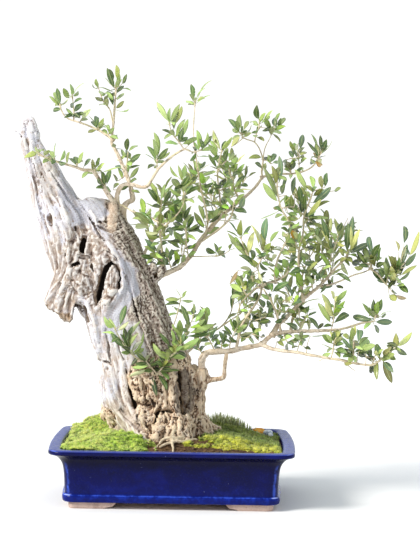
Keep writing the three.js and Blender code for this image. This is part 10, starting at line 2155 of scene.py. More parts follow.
        ((265.6, -91, 276.5, 265.6, -91, 276.5, 275.5, -119.6, 289.9, .18, .47, .86, 10.3), "y", 0, 1),
        ((267.2, -90, 280.6, 267.2, -90, 280.6, 257.6, -58.6, 282.1, .24, .03, .97, 9), "g", 0, 1),
    ]),
    ("r2_bare", "branch_front_lower", "R2", [[(252.3, -98, 252), (241, -96, 246.6)], [(276.6, -106, 249), (288, -110, 241.3), (299.4, -114, 232.8)]], [
        ((220.5, -84.5, 256.4, 225.8, -86.5, 287.1, 251.2, -104, 290.6, -.26, -.19, .94, 5.6), "d", -1, 0),
        ((281.8, -107.8, 245.5, 281.5, -108.3, 245.2, 292.2, -138.9, 246.7, -.74, -.23, .63, 8.8), "o", 1, 0),
    ]),
    ("r8", "branch_front_lower", "R2", [[(205.3, -76, 258.3), (208.6, -72, 270.6), (212.7, -70, 278.8)]], [
        ((212.7, -70, 278.8, 210.1, -70, 283.8, 220.3, -39.4, 274.7, .57, -.40, -.72, 10.5), "d", 0, 0),
        ((212.6, -70.1, 278.5, 211.8, -70.5, 278.9, 198.5, -101, 289.5, .88, -.44, -.16, 8.7), "g", 0, 0),
        ((211.9, -70.4, 277.2, 198.3, -71.8, 283.8, 184.5, -43.3, 284.6, -.73, -.37, .58, 7.5), "d", 0, 0),
        ((170.2, -53.5, 260.8, 172.6, -51.6, 274.9, 183.2, -80, 269.2, -.49, -.35, .80, 7.6), "o", -1, 0),
        ((212.7, -70, 278.8, 211.9, -69, 280.4, 226.6, -43.4, 285.3, .39, -.38, .84, 9.1), "g", 0, 0),
        ((209.9, -71.4, 273.2, 208.7, -69.8, 273.7, 195.5, -98.3, 279.3, .85, -.31, .42, 8), "d", 0, 0),
        ((209.3, -71.7, 271.9, 218.5, -74.5, 267.6, 227, -101.7, 265.2, -.43, -.21, .88, 8.4), "k", 0, 0),
        ((208.2, -72.5, 269.1, 208.2, -72.5, 269.1, 198.6, -40.6, 262.8, .23, .26, .94, 8.3), "d", 0, 1),
        ((212.6, -70.1, 278.6, 212.6, -70.1, 278.6, 210.8, -106.7, 273.9, .33, -.13, .93, 7.6), "g", 0, 1),
        ((212.5, -70.1, 278.5, 212.5, -70.1, 278.5, 210.5, -105.1, 294.6, -.30, .41, .86, 8), "k", 0, 1),
    ]),
    ("v1", "twig_far_right", "R6", [[(335.7, 31, 395.3), (335.3, 30, 407.4), (335, 29, 417.8)]], [
        ((335, 29, 417.8, 336.9, 31.7, 422.9, 333.2, 55.4, 451.6, -.17, -.77, .62, 11.6), "u", 0, 0),
        ((335.1, 29.3, 414.3, 336.7, 27.8, 414.4, 347.1, -1.4, 439.5, -.55, -.65, -.53, 11.4), "d", 0, 0),
        ((335.1, 29.5, 412.6, 340.5, 31.2, 412.6, 350.1, 62.6, 429, -.17, -.42, .89, 7.8), "d", 0, 0),
        ((335.4, 30.1, 405.6, 345.9, 31.8, 405.8, 349.9, 9.1, 434.1, -.84, -.48, -.26, 7.4), "d", 0, 0),
        ((335.5, 30.4, 402.2, 326.9, 30.7, 402, 311.2, 56.6, 426.8, -.29, -.75, .60, 9.4), "d", 0, 0),
        ((335.4, 30.3, 403.9, 328.3, 28, 403.9, 319.3, 49.3, 428.9, .49, -.57, .66, 8.3), "d", 0, 0),
        ((335.4, 30.1, 405.6, 324.9, 28.5, 405.5, 315.7, 46.6, 422, .22, -.59, .77, 9), "g", 0, 0),
        ((335.4, 30.3, 403.9, 316.7, 33.2, 403.5, 305.7, 67.6, 403.7, -.90, -.29, .32, 12.7), "k", 0, 0),
        ((335.4, 30.1, 405.6, 318, 28.6, 405.4, 306.8, 0.8, 418.3, .77, -.49, -.40, 7.6), "k", 0, 0),
        ((335.6, 30.7, 398.7, 323.6, 32.3, 398.5, 303.8, 1.8, 399.4, .81, -.53, -.25, 9.5), "y", 0, 0),
        ((335.5, 30.6, 400.5, 332, 29.7, 400.4, 310.4, -0.7, 403.1, .78, -.53, .34, 7.7), "d", 0, 0),
        ((335.5, 30.6, 400.5, 342.5, 31.6, 400.5, 330.3, -2.6, 420.5, .52, -.56, -.64, 10.1), "o", 0, 0),
        ((335.4, 30.3, 403.9, 342.5, 32, 404, 339.5, 4.2, 418.7, .65, -.41, -.64, 8.7), "o", 0, 0),
        ((335.5, 30.6, 400.5, 344, 29.5, 400.6, 354.7, -0.8, 407.2, -.94, -.34, -.07, 11), "d", 0, 0),
        ((335.7, 31, 395.3, 337.5, 31.4, 393.5, 358.2, 63, 375, .71, -.64, -.29, 9.8), "d", 0, 0),
        ((335.7, 31, 395.3, 341.1, 33.9, 395.2, 347.1, 6.6, 393.1, -.43, -.17, .89, 8.1), "k", 0, 0),
        ((335.3, 30, 407.4, 330.2, 31, 407.3, 320.8, 48, 435.9, .05, -.85, .52, 10.3), "g", 0, 0),
        ((335.2, 29.7, 410.9, 335.2, 29.5, 410.9, 320.2, -2, 418.6, .13, -.30, -.95, 7.7), "g", 0, 0),
        ((335.3, 30, 407.4, 338.9, 32.1, 407.4, 357.3, 62.4, 415.2, .33, -.42, .85, 8.1), "g", 0, 0),
        ((335.2, 29.7, 410.4, 335.2, 29.7, 410.4, 334.2, 61.2, 426.6, .02, -.46, .89, 9.2), "u", 0, 1),
        ((335.1, 29.2, 415.4, 335.1, 29.2, 415.4, 345.2, 59.9, 408.6, .18, .16, .97, 9.3), "g", 0, 1),
        ((335.4, 30.3, 403.5, 335.4, 30.3, 403.5, 328.9, -4.6, 417, -.27, .39, .88, 10.4), "d", 0, 1),
        ((335.3, 29.9, 408.7, 335.3, 29.9, 408.7, 345.3, 58.2, 422.2, .19, -.48, .86, 10), "d", 0, 1),
        ((335.1, 29.2, 415.3, 335.1, 29.2, 415.3, 322.5, 52.8, 420.8, .48, .05, .88, 7.8), "k", 0, 1),
        ((335.1, 29.5, 412.5, 335.1, 29.5, 412.5, 337.4, -3.2, 414.2, -.35, .02, .94, 7.8), "d", 0, 1),
    ]),
    ("v2", "twig_far_right", "V2", [[(368.5, 42, 364.1), (373.3, 40, 374.7), (379.8, 38, 385.3), (384.5, 36, 397.6)]], [
        ((371.7, 40.7, 371.2, 368.4, 42.5, 372.8, 350.7, 75.1, 374.3, -.80, -.45, .39, 9.5), "d", 0, 0),
        ((373.5, 39.9, 375.1, 366.5, 42.6, 379.7, 354.4, 64.7, 399.4, .09, -.63, .77, 8.1), "g", 0, 0),
        ((354.1, 37.1, 379.4, 358.9, 36.6, 383.3, 347, 5.8, 396.5, .74, -.49, -.47, 10.1), "d", -1, 0),
        ((375.8, 39.2, 378.8, 365.9, 38.1, 385.1, 355.7, 9.6, 408.5, .35, -.67, -.66, 10.2), "n", 0, 0),
        ((379, 38.2, 384.1, 369.5, 39.9, 390.2, 364.4, 63.8, 415.3, -.58, -.65, .50, 7.8), "g", 0, 0),
        ((381.9, 37.1, 390.8, 374.4, 38.1, 393.9, 363.1, 18.1, 420.4, .66, -.71, -.25, 8.1), "o", 0, 0),
        ((382.3, 36.9, 391.9, 381.1, 35.3, 392.4, 367.4, 9.1, 419, .41, -.75, -.53, 12), "o", 0, 0),
        ((374.3, 39.7, 376.3, 376.5, 37.8, 374.9, 368.4, 15.7, 401.6, .29, -.78, -.56, 10.9), "c", 0, 0),
        ((371.4, 40.8, 370.5, 376.9, 40.2, 367.8, 375, 75.6, 387, -.07, -.48, .88, 11.4), "o", 0, 0),
        ((383.3, 36.5, 394.6, 384.4, 34.9, 394.2, 382.1, 2.1, 417.8, -.51, -.48, -.71, 9.3), "d", 0, 0),
        ((384.5, 36, 397.6, 388, 37.2, 401.1, 398.8, 48.5, 439, -.36, -.86, .36, 10.8), "u", 0, 0),
        ((384.5, 36, 397.6, 392.5, 38.9, 439.1, 393.1, 50.1, 470.1, .14, -.93, .34, 11.1), "u", 0, 0),
        ((384.5, 36, 397.6, 395.9, 37.7, 434, 404.7, 65.7, 419.4, -.29, -.37, -.88, 8.8), "u", 0, 0),
        ((384.5, 36, 397.6, 402.9, 34.5, 418.7, 415.8, 21.4, 462.4, -.55, -.83, -.08, 10.8), "y", 0, 0),
        ((380.2, 37.8, 386.4, 386.8, 38.4, 383.7, 398.2, 67.5, 407, -.06, -.61, .79, 9.7), "k", 0, 0),
        ((381, 37.5, 388.5, 388.5, 38.9, 385.4, 416.9, 48.2, 402.8, -.10, -.80, .59, 8.8), "y", 0, 0),
        ((376.3, 39.1, 379.6, 383.9, 41.7, 374.8, 406.9, 50.1, 393.9, .58, -.71, -.39, 8.8), "d", 0, 0),
        ((384.5, 36, 397.6, 394.7, 35, 399.5, 411, 17.1, 424.6, -.31, -.86, -.41, 9.7), "u", 0, 0),
        ((374.8, 39.5, 377.1, 384, 41.9, 371.3, 398.1, 10.8, 356, -.53, -.56, .64, 11.4), "d", 0, 0),
        ((371.4, 40.8, 370.5, 380.5, 40.5, 366.1, 391.4, 14.6, 369.4, -.76, -.24, .61, 8.3), "g", 0, 0),
        ((368.5, 42, 364.1, 373.8, 41.9, 360.7, 385.5, 67.9, 350.7, -.09, -.32, -.94, 7.6), "d", 0, 0),
        ((368.5, 42, 364.1, 369, 43.2, 350.2, 377.7, 9.3, 342, -.66, -.33, .68, 12.1), "o", 0, 0),
        ((368.5, 42, 364.1, 379.2, 41.5, 350.4, 403.5, 71.5, 343.8, .78, -.57, .26, 7.7), "t", 0, 0),
        ((384.5, 36, 397.6, 381.9, 34, 425.3, 374.9, 4.9, 445, .74, -.49, -.46, 7.6), "y", 0, 0),
        ((378.5, 38.4, 383.3, 373.1, 41, 386.8, 363.9, 66.8, 374.9, -.90, -.40, -.16, 8.1), "g", 0, 0),
        ((376, 39.1, 379.2, 380.4, 41.8, 376.5, 364.7, 21.5, 363.4, .12, -.60, .79, 8.9), "k", 0, 0),
        ((377.8, 38.6, 382, 378.3, 40, 381.7, 393.5, 65.6, 370.3, .85, -.53, -.04, 8.6), "g", 0, 0),
        ((373.9, 39.8, 375.6, 373.9, 39.8, 375.6, 362.3, 65.5, 380.6, -.08, -.23, .97, 8.1), "d", 0, 1),
        ((380.1, 37.9, 386.2, 380.1, 37.9, 386.2, 381.4, 72.4, 378, .33, .21, .92, 9.2), "o", 0, 1),
        ((373.4, 40, 374.9, 373.4, 40, 374.9, 364.2, 5.8, 385.3, -.07, .31, .95, 9.1), "n", 0, 1),
        ((380.5, 37.7, 387.2, 380.5, 37.7, 387.2, 364.9, 12.5, 388.9, .09, .01, 1.00, 9.9), "y", 0, 1),
        ((377.2, 38.8, 381.1, 377.2, 38.8, 381.1, 378, 74.8, 377.5, .20, .10, .97, 7.5), "k", 0, 1),
        ((383.6, 36.4, 395.2, 383.6, 36.4, 395.2, 397.5, 64.8, 397.8, -.04, -.07, 1.00, 9.9), "o", 0, 1),
        ((374.3, 39.7, 376.4, 374.3, 39.7, 376.4, 375.6, 75.9, 383.8, .11, -.20, .97, 10.3), "d", 0, 1),
        ((379.8, 38, 385.4, 379.8, 38, 385.4, 382.6, 7, 394.5, .16, .29, .94, 10.3), "o", 0, 1),
        ((383.8, 36.3, 395.9, 383.8, 36.3, 395.9, 376.3, 9.4, 399.8, -.12, .18, .98, 8.6), "k", 0, 1),
    ]),
    ("p1", "shoot_trunk_left", "None", [[(-28.1, -60, 216.7), (-39.6, -72, 229.5), (-56, -84, 242.1), (-65.9, -88, 249), (-75.8, -92, 259.2), (-85.8, -96, 272.7), (-94.1, -99, 287.8), (-99.1, -100, 297.7)]], [
        ((-97.8, -99.7, 295, -89.2, -99.9, 299.5, -80.6, -83.7, 333.4, -.16, -.88, .46, 9.9), "d", 0, 0),
        ((-98.5, -99.9, 296.4, -99.1, -100.3, 296.1, -113.9, -132.9, 316.4, .26, -.59, -.76, 11.2), "g", 0, 0),
        ((-97.8, -99.7, 295, -96, -97.2, 295.9, -109.2, -73.1, 310.5, -.74, -.59, .31, 8.5), "g", 0, 0),
        ((-95.8, -99.3, 291.1, -92.4, -101.5, 293, -73, -130.9, 308.7, .86, .49, -.14, 8.7), "w", 0, 0),
        ((-93.5, -98.8, 286.6, -97.3, -99.3, 284.4, -120.7, -70, 285, -.41, -.34, .85, 7.4), "g", 0, 0),
        ((-80.6, -93.9, 265.7, -82.5, -92.5, 264.1, -103.8, -103.2, 287.9, .18, -.95, -.27, 10.7), "d", 0, 0),
        ((-81, -94.1, 266.2, -79.3, -91.8, 267.5, -83.5, -83, 296.6, .73, -.61, .29, 7.9), "g", 0, 0),
        ((-76.6, -92.3, 260.3, -75.8, -92.2, 260.9, -74.3, -62.7, 286.8, .32, -.63, .70, 9.7), "g", 0, 0),
        ((-85, -95.7, 271.6, -79.3, -93.2, 275.9, -55.4, -81.7, 307, -.65, .72, .23, 9), "w", 0, 0),
        ((-67.6, -88.7, 250.7, -64.3, -88.3, 254.1, -50.3, -77.5, 288.4, .77, -.62, -.12, 8.8), "g", 0, 0),
        ((-38.8, -71.1, 228.6, -42.8, -72.9, 224.5, -74.9, -63.4, 212.9, .04, .82, .57, 8.7), "w", 0, 0),
        ((-72.5, -90.7, 255.8, -72.6, -89.8, 255.7, -86, -118.6, 256.5, .69, -.30, .66, 8.5), "g", 0, 0),
        ((-59.8, -85.5, 244.8, -59.3, -85.9, 245.6, -72, -58.5, 229.3, -.76, -.55, -.34, 8.1), "k", 0, 0),
        ((-89.4, -97.3, 279.2, -89.1, -97.9, 279.5, -100.7, -125, 274.9, .19, -.24, .95, 8.5), "d", 0, 0),
        ((-69.2, -89.3, 252.4, -67.6, -89.5, 254.1, -57.1, -63.5, 262, .06, -.31, .95, 7.5), "b", 0, 0),
        ((-80.7, -94, 265.8, -80.7, -94, 265.8, -68.8, -64.7, 269.7, -.42, .05, .91, 7.5), "g", 0, 1),
        ((-67.2, -88.5, 250.4, -67.2, -88.5, 250.4, -67.8, -122.3, 263.1, .38, .32, .87, 10.4), "k", 0, 1),
        ((-82, -94.5, 267.6, -82, -94.5, 267.6, -73.6, -61.2, 274, -.18, -.14, .97, 8.5), "g", 0, 1),
        ((-98.1, -99.8, 295.7, -98.1, -99.8, 295.7, -106.7, -68.2, 300.1, .03, -.13, .99, 7.9), "w", 0, 1),
        ((-67.4, -88.6, 250.5, -67.4, -88.6, 250.5, -78.5, -57.2, 255.5, .12, -.12, .99, 9.3), "w", 0, 1),
    ]),
    ("p2", "shoot_trunk_right", "None", [[(-28.1, -60, 216.7), (-14.6, -74, 238.5), (-3, -80, 251), (6.9, -84, 259.9)]], [
        ((-28.1, -60, 216.7, -34.8, -60.2, 214.9, -27.2, -70.4, 180.9, .13, -.94, .31, 9.8), "k", 0, 0),
        ((-28.1, -60, 216.7, -26.4, -60.2, 215.1, -10.5, -77.9, 192.1, .16, -.73, .67, 9.4), "d", 0, 0),
        ((-24.2, -64, 223, -23.1, -61.4, 222, 10.3, -51.9, 223.3, .24, -.78, -.58, 7.6), "d", 0, 0),
        ((-20, -68.3, 229.7, -19.6, -70, 229.7, -9.1, -96.1, 242.4, -.93, -.36, .02, 8.4), "o", 0, 0),
        ((-12.1, -75.3, 241.2, -14.7, -72.6, 243.4, -35.9, -49.3, 267.9, -.09, -.76, .65, 9.9), "g", 0, 0),
        ((5.3, -83.3, 258.4, -1.4, -86.1, 266.6, -5.4, -77, 292.5, .56, -.75, .35, 8.4), "g", 0, 0),
        ((2.4, -82.2, 255.8, -6.5, -81.7, 266.1, -24.9, -91, 288.3, .55, -.83, .11, 8.8), "d", 0, 0),
        ((-2.5, -80.2, 251.4, -6.3, -82.4, 256.2, 5.7, -112.3, 270.7, -.77, -.50, -.39, 10), "o", 0, 0),
        ((-4.7, -79.1, 249.2, -3, -76.7, 247.3, 18.2, -47.5, 246.6, .73, -.52, .43, 11.1), "g", 0, 0),
        ((6.9, -84, 259.9, 7, -86.2, 260.1, 41.6, -102.7, 282.1, -.42, -.91, -.01, 11.7), "g", 0, 0),
        ((-26.5, -61.6, 219.2, -28.1, -60.5, 220.1, -38.8, -34.6, 200.3, -.73, -.58, -.36, 7.4), "g", 0, 0),
        ((-18.8, -69.7, 231.8, -18, -69.4, 231.3, -2.4, -95.4, 237.5, -.76, -.32, .56, 7.8), "d", 0, 0),
        ((-8.8, -77, 244.8, -9.7, -74.7, 245.4, -22.3, -103.5, 254.5, .88, -.26, .39, 7.6), "g", 0, 0),
        ((2.4, -82.2, 255.8, 2, -82.6, 256.3, 15.5, -107.5, 267.1, -.88, -.47, .02, 9.2), "g", 0, 0),
        ((-23.9, -64.3, 223.4, -24.6, -66.6, 224.2, -42.5, -39.3, 231.3, -.14, -.33, .93, 8), "u", 0, 0),
        ((-22.1, -66.2, 226.4, -21.4, -65.3, 225.8, -25.8, -93.3, 246.9, .79, -.44, -.42, 7.9), "g", 0, 0),
        ((-5.3, -78.8, 248.5, -5.3, -78.8, 248.5, -12.3, -113, 261.3, .34, .27, .90, 9.3), "u", 0, 1),
        ((-5, -79, 248.8, -5, -79, 248.8, -17.3, -48.8, 244.7, -.09, .10, .99, 7.8), "g", 0, 1),
        ((-6.4, -78.2, 247.3, -6.4, -78.2, 247.3, -12.8, -41.1, 249.6, .22, -.02, .97, 9.2), "g", 0, 1),
        ((-5.3, -78.8, 248.5, -5.3, -78.8, 248.5, -15.2, -47.1, 257.9, -.15, -.32, .93, 8.3), "k", 0, 1),
        ((-14.5, -74.1, 238.7, -14.5, -74.1, 238.7, -18.9, -42.7, 234.7, .32, .17, .93, 8.2), "g", 0, 1),
    ]),
    ("p3", "shoot_trunk_right", "None", [[(3.6, -82, 256.3), (16.6, -86, 281.9), (26.3, -90, 302.4), (32.6, -92, 320.9)]], [
        ((25.3, -89.6, 300.3, 24.7, -91.5, 300.8, 10.7, -80.9, 334.7, .27, -.88, .39, 11.2), "d", 0, 0),
        ((13.2, -84.9, 275.1, 10, -82.7, 276.5, 9.8, -102.6, 311.3, .18, -.85, -.49, 11.3), "g", 0, 0),
        ((17.2, -86.3, 283.3, 13.2, -86.5, 285.2, -3.4, -98.5, 304.2, -.25, -.70, -.67, 8.9), "g", 0, 0),
        ((15.9, -85.8, 280.6, 16.6, -87, 280.3, 4.5, -52.8, 268.8, -.92, -.37, -.13, 10.7), "o", 0, 0),
        ((31.8, -91.7, 318.3, 29.4, -92.8, 319.2, 19, -68.4, 324, -.28, -.30, .91, 7.7), "g", 0, 0),
        ((28.8, -90.8, 309.5, 34.5, -89, 307.4, 50.7, -107, 332.1, -.67, -.74, -.10, 10), "g", 0, 0),
        ((26, -89.9, 301.7, 34.7, -89.4, 297.5, 51, -106.7, 314, .03, -.68, -.73, 7.9), "n", 0, 0),
        ((24.4, -89.2, 298.3, 26.4, -88, 297.2, 43, -118, 303.1, -.78, -.33, .53, 8.8), "b", 0, 0),
        ((21.1, -87.9, 291.5, 26.5, -88.8, 289, 66.1, -76.7, 303.7, .14, -.92, .38, 11), "g", 0, 0),
        ((18.2, -86.7, 285.3, 21.5, -84.4, 283.5, 71.1, -94.7, 298.5, -.32, -.80, .51, 8.7), "d", 0, 0),
        ((32.6, -92, 320.9, 32.6, -89.7, 320.7, 32.6, -119.8, 339.3, .71, -.37, -.60, 8), "g", 0, 0),
        ((21.1, -87.9, 291.5, 23.1, -87.5, 290.5, 11.9, -115.4, 295.8, .92, -.33, .21, 8.1), "d", 0, 0),
        ((29.2, -90.9, 310.9, 29.5, -90.1, 310.7, 42.4, -59.9, 317.1, .17, -.27, .95, 8.7), "g", 0, 0),
        ((32.3, -91.9, 319.9, 32.3, -91.9, 319.9, 29.8, -56.9, 329.6, -.29, -.27, .92, 10.4), "d", 0, 1),
        ((22.7, -88.5, 294.9, 22.7, -88.5, 294.9, 20.4, -55.7, 305, .26, -.27, .93, 9.2), "d", 0, 1),
        ((21.1, -87.8, 291.3, 21.1, -87.8, 291.3, 23.5, -120.5, 304.7, -.14, .36, .92, 9.2), "d", 0, 1),
        ((21.4, -88, 292.1, 21.4, -88, 292.1, 20.2, -58.5, 281.5, -.28, .32, .91, 10.1), "g", 0, 1),
    ]),
    ("p4", "shoot_trunk_upper", "None", [[(-4.2, -56, 290.9), (2.4, -64, 311.7), (7.2, -70, 330.6), (10.3, -72, 347.5)]], [
        ((9.4, -71.4, 342.3, 8.7, -71.2, 342.4, -17.1, -41.1, 341.9, -.67, -.57, .47, 9.6), "g", 0, 0),
        ((8.2, -70.6, 335.8, 8.8, -67.8, 335.6, -15.6, -92, 335, .56, -.57, .60, 8.6), "d", 0, 0),
        ((9.2, -71.3, 341.4, 12.1, -70.2, 340.8, 30.2, -44.5, 339.5, .55, -.35, .76, 8.4), "g", 0, 0),
        ((10.1, -71.8, 346.2, 12, -71.9, 345.9, 20.6, -102.4, 359.4, -.96, -.28, -.03, 7.7), "g", 0, 0),
        ((5.9, -68.3, 325.4, 5.7, -71.1, 325.7, 18.8, -46.8, 319.2, .89, -.45, .12, 7.5), "d", 0, 0),
        ((4.5, -66.7, 320.2, 3.9, -64.7, 320.2, -8.7, -92.7, 316.9, .28, -.23, .93, 8.2), "g", 0, 0),
        ((10.3, -72, 347.5, 10.3, -70, 347.4, 1.3, -48.8, 359.5, .75, -.06, .66, 5.6), "g", 0, 0),
        ((5.2, -67.4, 322.6, 5.2, -67.4, 322.6, -4.6, -43.3, 330.1, .32, -.16, .93, 9.5), "g", 0, 1),
        ((5.6, -68, 324.3, 5.6, -68, 324.3, 12, -42.2, 317, .16, .23, .96, 9.5), "g", 0, 1),
        ((10.1, -71.9, 346.5, 10.1, -71.9, 346.5, -0.4, -107.5, 345.1, -.14, .00, .99, 9), "g", 0, 1),
    ]),
    ("jx_s1", "twig_top_right", "JX", [[(210.4, 74, 559.9), (210.1, 72, 573), (208.8, 70, 586.8)], [(208, 70, 585.1), (195.7, 68, 584), (187, 66, 581.2)]], [
        ((208.8, 70, 586.8, 211.1, 68.3, 600.7, 217.3, 97.2, 627.9, .08, -.69, .72, 11.1), "u", 0, 0),
        ((208.8, 70, 586.8, 204.3, 70.6, 595.5, 192.6, 50.1, 613.8, -.14, -.61, -.78, 8.7), "g", 0, 0),
        ((208.8, 70, 586.8, 206, 69.8, 597.2, 202, 102.4, 612, .09, -.40, .91, 9.7), "b", 0, 0),
        ((208.8, 70, 586.8, 207.7, 68.6, 595.5, 208.9, 98.2, 610.2, -.65, -.32, .69, 9.2), "c", 0, 0),
        ((208.8, 70, 586.8, 209.7, 72.1, 592.1, 221.3, 97.8, 605.2, -.06, -.43, .90, 9), "g", 0, 0),
        ((206.3, 69.7, 584.9, 206.1, 67.1, 586.7, 197.6, 39.2, 596.3, .95, -.31, -.05, 8.7), "d", 1, 0),
        ((209, 70.3, 585, 209.9, 73, 585.2, 221.7, 98.4, 584.1, .80, -.35, .48, 7.5), "o", 0, 0),
        ((187.4, 66.1, 581.3, 187, 68.8, 583, 182.4, 38, 575.4, -.06, -.23, .97, 7.9), "d", 1, 0),
        ((188.1, 66.3, 581.5, 188.8, 66.8, 579.5, 188.3, 92, 569.4, -.76, -.25, -.60, 8.7), "d", 1, 0),
        ((208.8, 70, 586.8, 207.8, 67.9, 588.5, 196.1, 44.4, 598.1, .91, -.40, .13, 9.2), "g", 0, 0),
        ((208.8, 70, 586.8, 211.3, 68.7, 590.3, 223.1, 96.3, 596.4, .36, -.35, .86, 9.2), "y", 0, 0),
        ((209.3, 70.7, 581.8, 206.2, 68.9, 581.5, 194.5, 38.3, 573.9, .31, -.34, .89, 7.4), "g", 0, 0),
        ((209.6, 71.3, 577.9, 213.4, 70.8, 578.2, 222.1, 42.5, 584.7, -.95, -.31, -.08, 8.2), "g", 0, 0),
        ((199.1, 68.5, 584.3, 199.1, 68.5, 584.3, 195.4, 102.3, 599.2, -.06, -.41, .91, 9.6), "d", 1, 1),
        ((209.2, 70.7, 581.9, 209.2, 70.7, 581.9, 210.5, 34.3, 584.5, -.23, .06, .97, 8.7), "g", 0, 1),
        ((210.1, 72.1, 572.3, 210.1, 72.1, 572.3, 216.6, 100.5, 578.7, -.34, -.13, .93, 9.8), "d", 0, 1),
        ((197.5, 68.3, 584.1, 197.5, 68.3, 584.1, 203.7, 101.2, 580.2, .14, .09, .99, 8.2), "g", 1, 1),
    ]),
    ("jx_s2", "twig_top_right", "JX", [[(194.5, 70, 557.9), (195.2, 69, 564)]], [
        ((195.2, 69, 563.8, 194.5, 71.2, 564, 187.5, 36.7, 577.1, .62, -.39, -.68, 9.7), "o", 0, 0),
        ((195.2, 69, 564, 196, 67.4, 565.7, 199.4, 35, 580.8, -.63, -.38, -.68, 11.3), "d", 0, 0),
        ((195.2, 69, 564, 197.9, 71.9, 567.5, 204.2, 97.9, 576.8, -.04, -.33, .94, 8), "g", 0, 0),
        ((194.8, 69.6, 560.4, 194.4, 67.7, 560.5, 182.8, 43.6, 565.1, .89, -.37, .28, 8.5), "g", 0, 0),
        ((194.5, 70, 557.9, 199.7, 67.8, 555.3, 195.9, 96.2, 550.3, -.96, -.17, -.21, 8.8), "g", 0, 0),
        ((203.7, 72.1, 558.7, 203.3, 71.9, 560.6, 213.9, 43.9, 567.4, -.93, -.31, .18, 9), "d", -1, 0),
        ((194.8, 69.7, 559.8, 194.8, 69.7, 559.8, 190.4, 99.1, 568, .07, -.26, .96, 8), "d", 0, 1),
        ((194.9, 69.5, 560.9, 194.9, 69.5, 560.9, 200.7, 92.3, 580.1, .17, -.66, .73, 9.7), "o", 0, 1),
        ((194.9, 69.5, 560.6, 194.9, 69.5, 560.6, 186.2, 102.9, 573.2, -.02, -.36, .93, 9.2), "g", 0, 1),
    ]),
    ("jx_s3", "twig_top_right", "JX", [[(241.8, 80, 580.6), (245.1, 80, 587.6)]], [
        ((245.1, 80, 587.6, 243.2, 78.5, 591.1, 224.4, 94.6, 613.9, .29, -.65, .70, 9.2), "d", 0, 0),
        ((245.1, 80, 587.6, 242.9, 79.1, 606.8, 230.4, 50.7, 626.5, .87, -.47, -.13, 7.5), "g", 0, 0),
        ((245.1, 80, 587.6, 244.9, 77, 591, 241.1, 108.8, 612.8, -.24, -.57, .79, 11.1), "o", 0, 0),
        ((245.1, 80, 587.6, 248.4, 79.5, 599.9, 244.5, 54.1, 625.1, .36, -.69, -.64, 8), "d", 0, 0),
        ((245.1, 80, 587.6, 250.1, 78.9, 598.2, 256, 42.1, 618, -.43, -.48, -.77, 12), "u", 0, 0),
        ((245.1, 80, 587.6, 248.5, 79.3, 592.9, 266.8, 72, 615.6, -.79, -.16, .59, 6), "g", 0, 0),
        ((245.1, 80, 587.6, 250.1, 77.8, 596.4, 261.8, 99.9, 609.4, -.24, -.39, .89, 8.9), "g", 0, 0),
        ((242.1, 80, 581.3, 239.8, 77.1, 582.3, 250.6, 107.8, 577.8, .94, -.33, -.03, 10), "c", 0, 0),
        ((241.8, 80, 580.6, 239.9, 77.7, 580.5, 231.1, 107.1, 579.2, -.94, -.27, .22, 8.9), "u", 0, 0),
        ((243.8, 80, 584.8, 241.8, 82, 585.9, 233, 54.3, 593.8, .95, -.30, .02, 7.8), "t", 0, 0),
        ((244.8, 80, 586.9, 247, 81.6, 586, 259.2, 108.1, 590.2, -.17, -.08, .98, 6.2), "d", 0, 0),
        ((217.5, 75.5, 562.3, 217.3, 73.9, 562.7, 210.7, 47.9, 567.4, .97, -.23, .12, 8), "g", -1, 0),
        ((245.1, 80, 587.6, 245.2, 81.2, 589.4, 257.3, 108.9, 600.8, -.12, -.33, .94, 8.8), "d", 0, 0),
        ((243.8, 80, 584.9, 243.8, 80, 584.9, 243.8, 110.6, 601.7, -.05, -.48, .88, 9.7), "u", 0, 1),
        ((243.6, 80, 584.3, 243.6, 80, 584.3, 244, 108.3, 578.5, .33, .19, .93, 7.6), "o", 0, 1),
        ((244.4, 80, 586.2, 244.4, 80, 586.2, 230.3, 50.6, 586, -.27, .12, .95, 8.4), "d", 0, 1),
        ((243.6, 80, 584.4, 243.6, 80, 584.4, 241.8, 112.8, 588.8, -.29, -.14, .94, 9), "u", 0, 1),
    ]),
    ("k1_s1", "limb_back_upper", "K1", [[(-54.2, 62, 420.5), (-46.2, 65.4, 429.9), (-39.7, 69.3, 440.2), (-33.6, 73.7, 450.5), (-28, 78.7, 460.9)]], [
        ((-46.2, 65.4, 429.9, -46.2, 65.4, 429.9, -57.6, 84.8, 456.3, .66, -.44, .61, 8.4), "o", 0, 2),
        ((-46.2, 65.4, 429.9, -46.2, 65.4, 429.9, -12.6, 58.9, 437.8, -.18, .21, .96, 8.8), "d", 0, 2),
        ((-41.3, 68.3, 437.6, -41.3, 68.3, 437.6, -38.2, 53.6, 465.6, .21, .87, .44, 9.6), "o", 0, 2),
        ((-41.3, 68.3, 437.6, -41.3, 68.3, 437.6, -22.6, 97.8, 441.2, .04, -.15, .99, 9.6), "d", 0, 2),
        ((-36.6, 71.5, 445.3, -36.6, 71.5, 445.3, -49.3, 91, 470.2, .65, -.40, .65, 10.2), "g", 0, 2),
        ((-36.6, 71.5, 445.3, -36.6, 71.5, 445.3, -1.2, 66.1, 455.1, -.23, .22, .95, 10), "g", 0, 2),
        ((-32.2, 75, 453.1, -32.2, 75, 453.1, -29.5, 59, 489.1, .21, .90, .38, 10), "d", 0, 2),
        ((-32.2, 75, 453.1, -32.2, 75, 453.1, -16.4, 104.3, 455.9, .04, -.11, .99, 10.1), "y", 0, 2),
        ((-28, 78.7, 460.9, -28, 78.7, 460.9, -27.7, 92, 481.8, .38, -.78, .50, 9), "g", 0, 2),
        ((-28, 78.7, 460.9, -28, 78.7, 460.9, -11.2, 81.8, 474, -.62, .06, .78, 10.5), "d", 0, 2),
    ]),
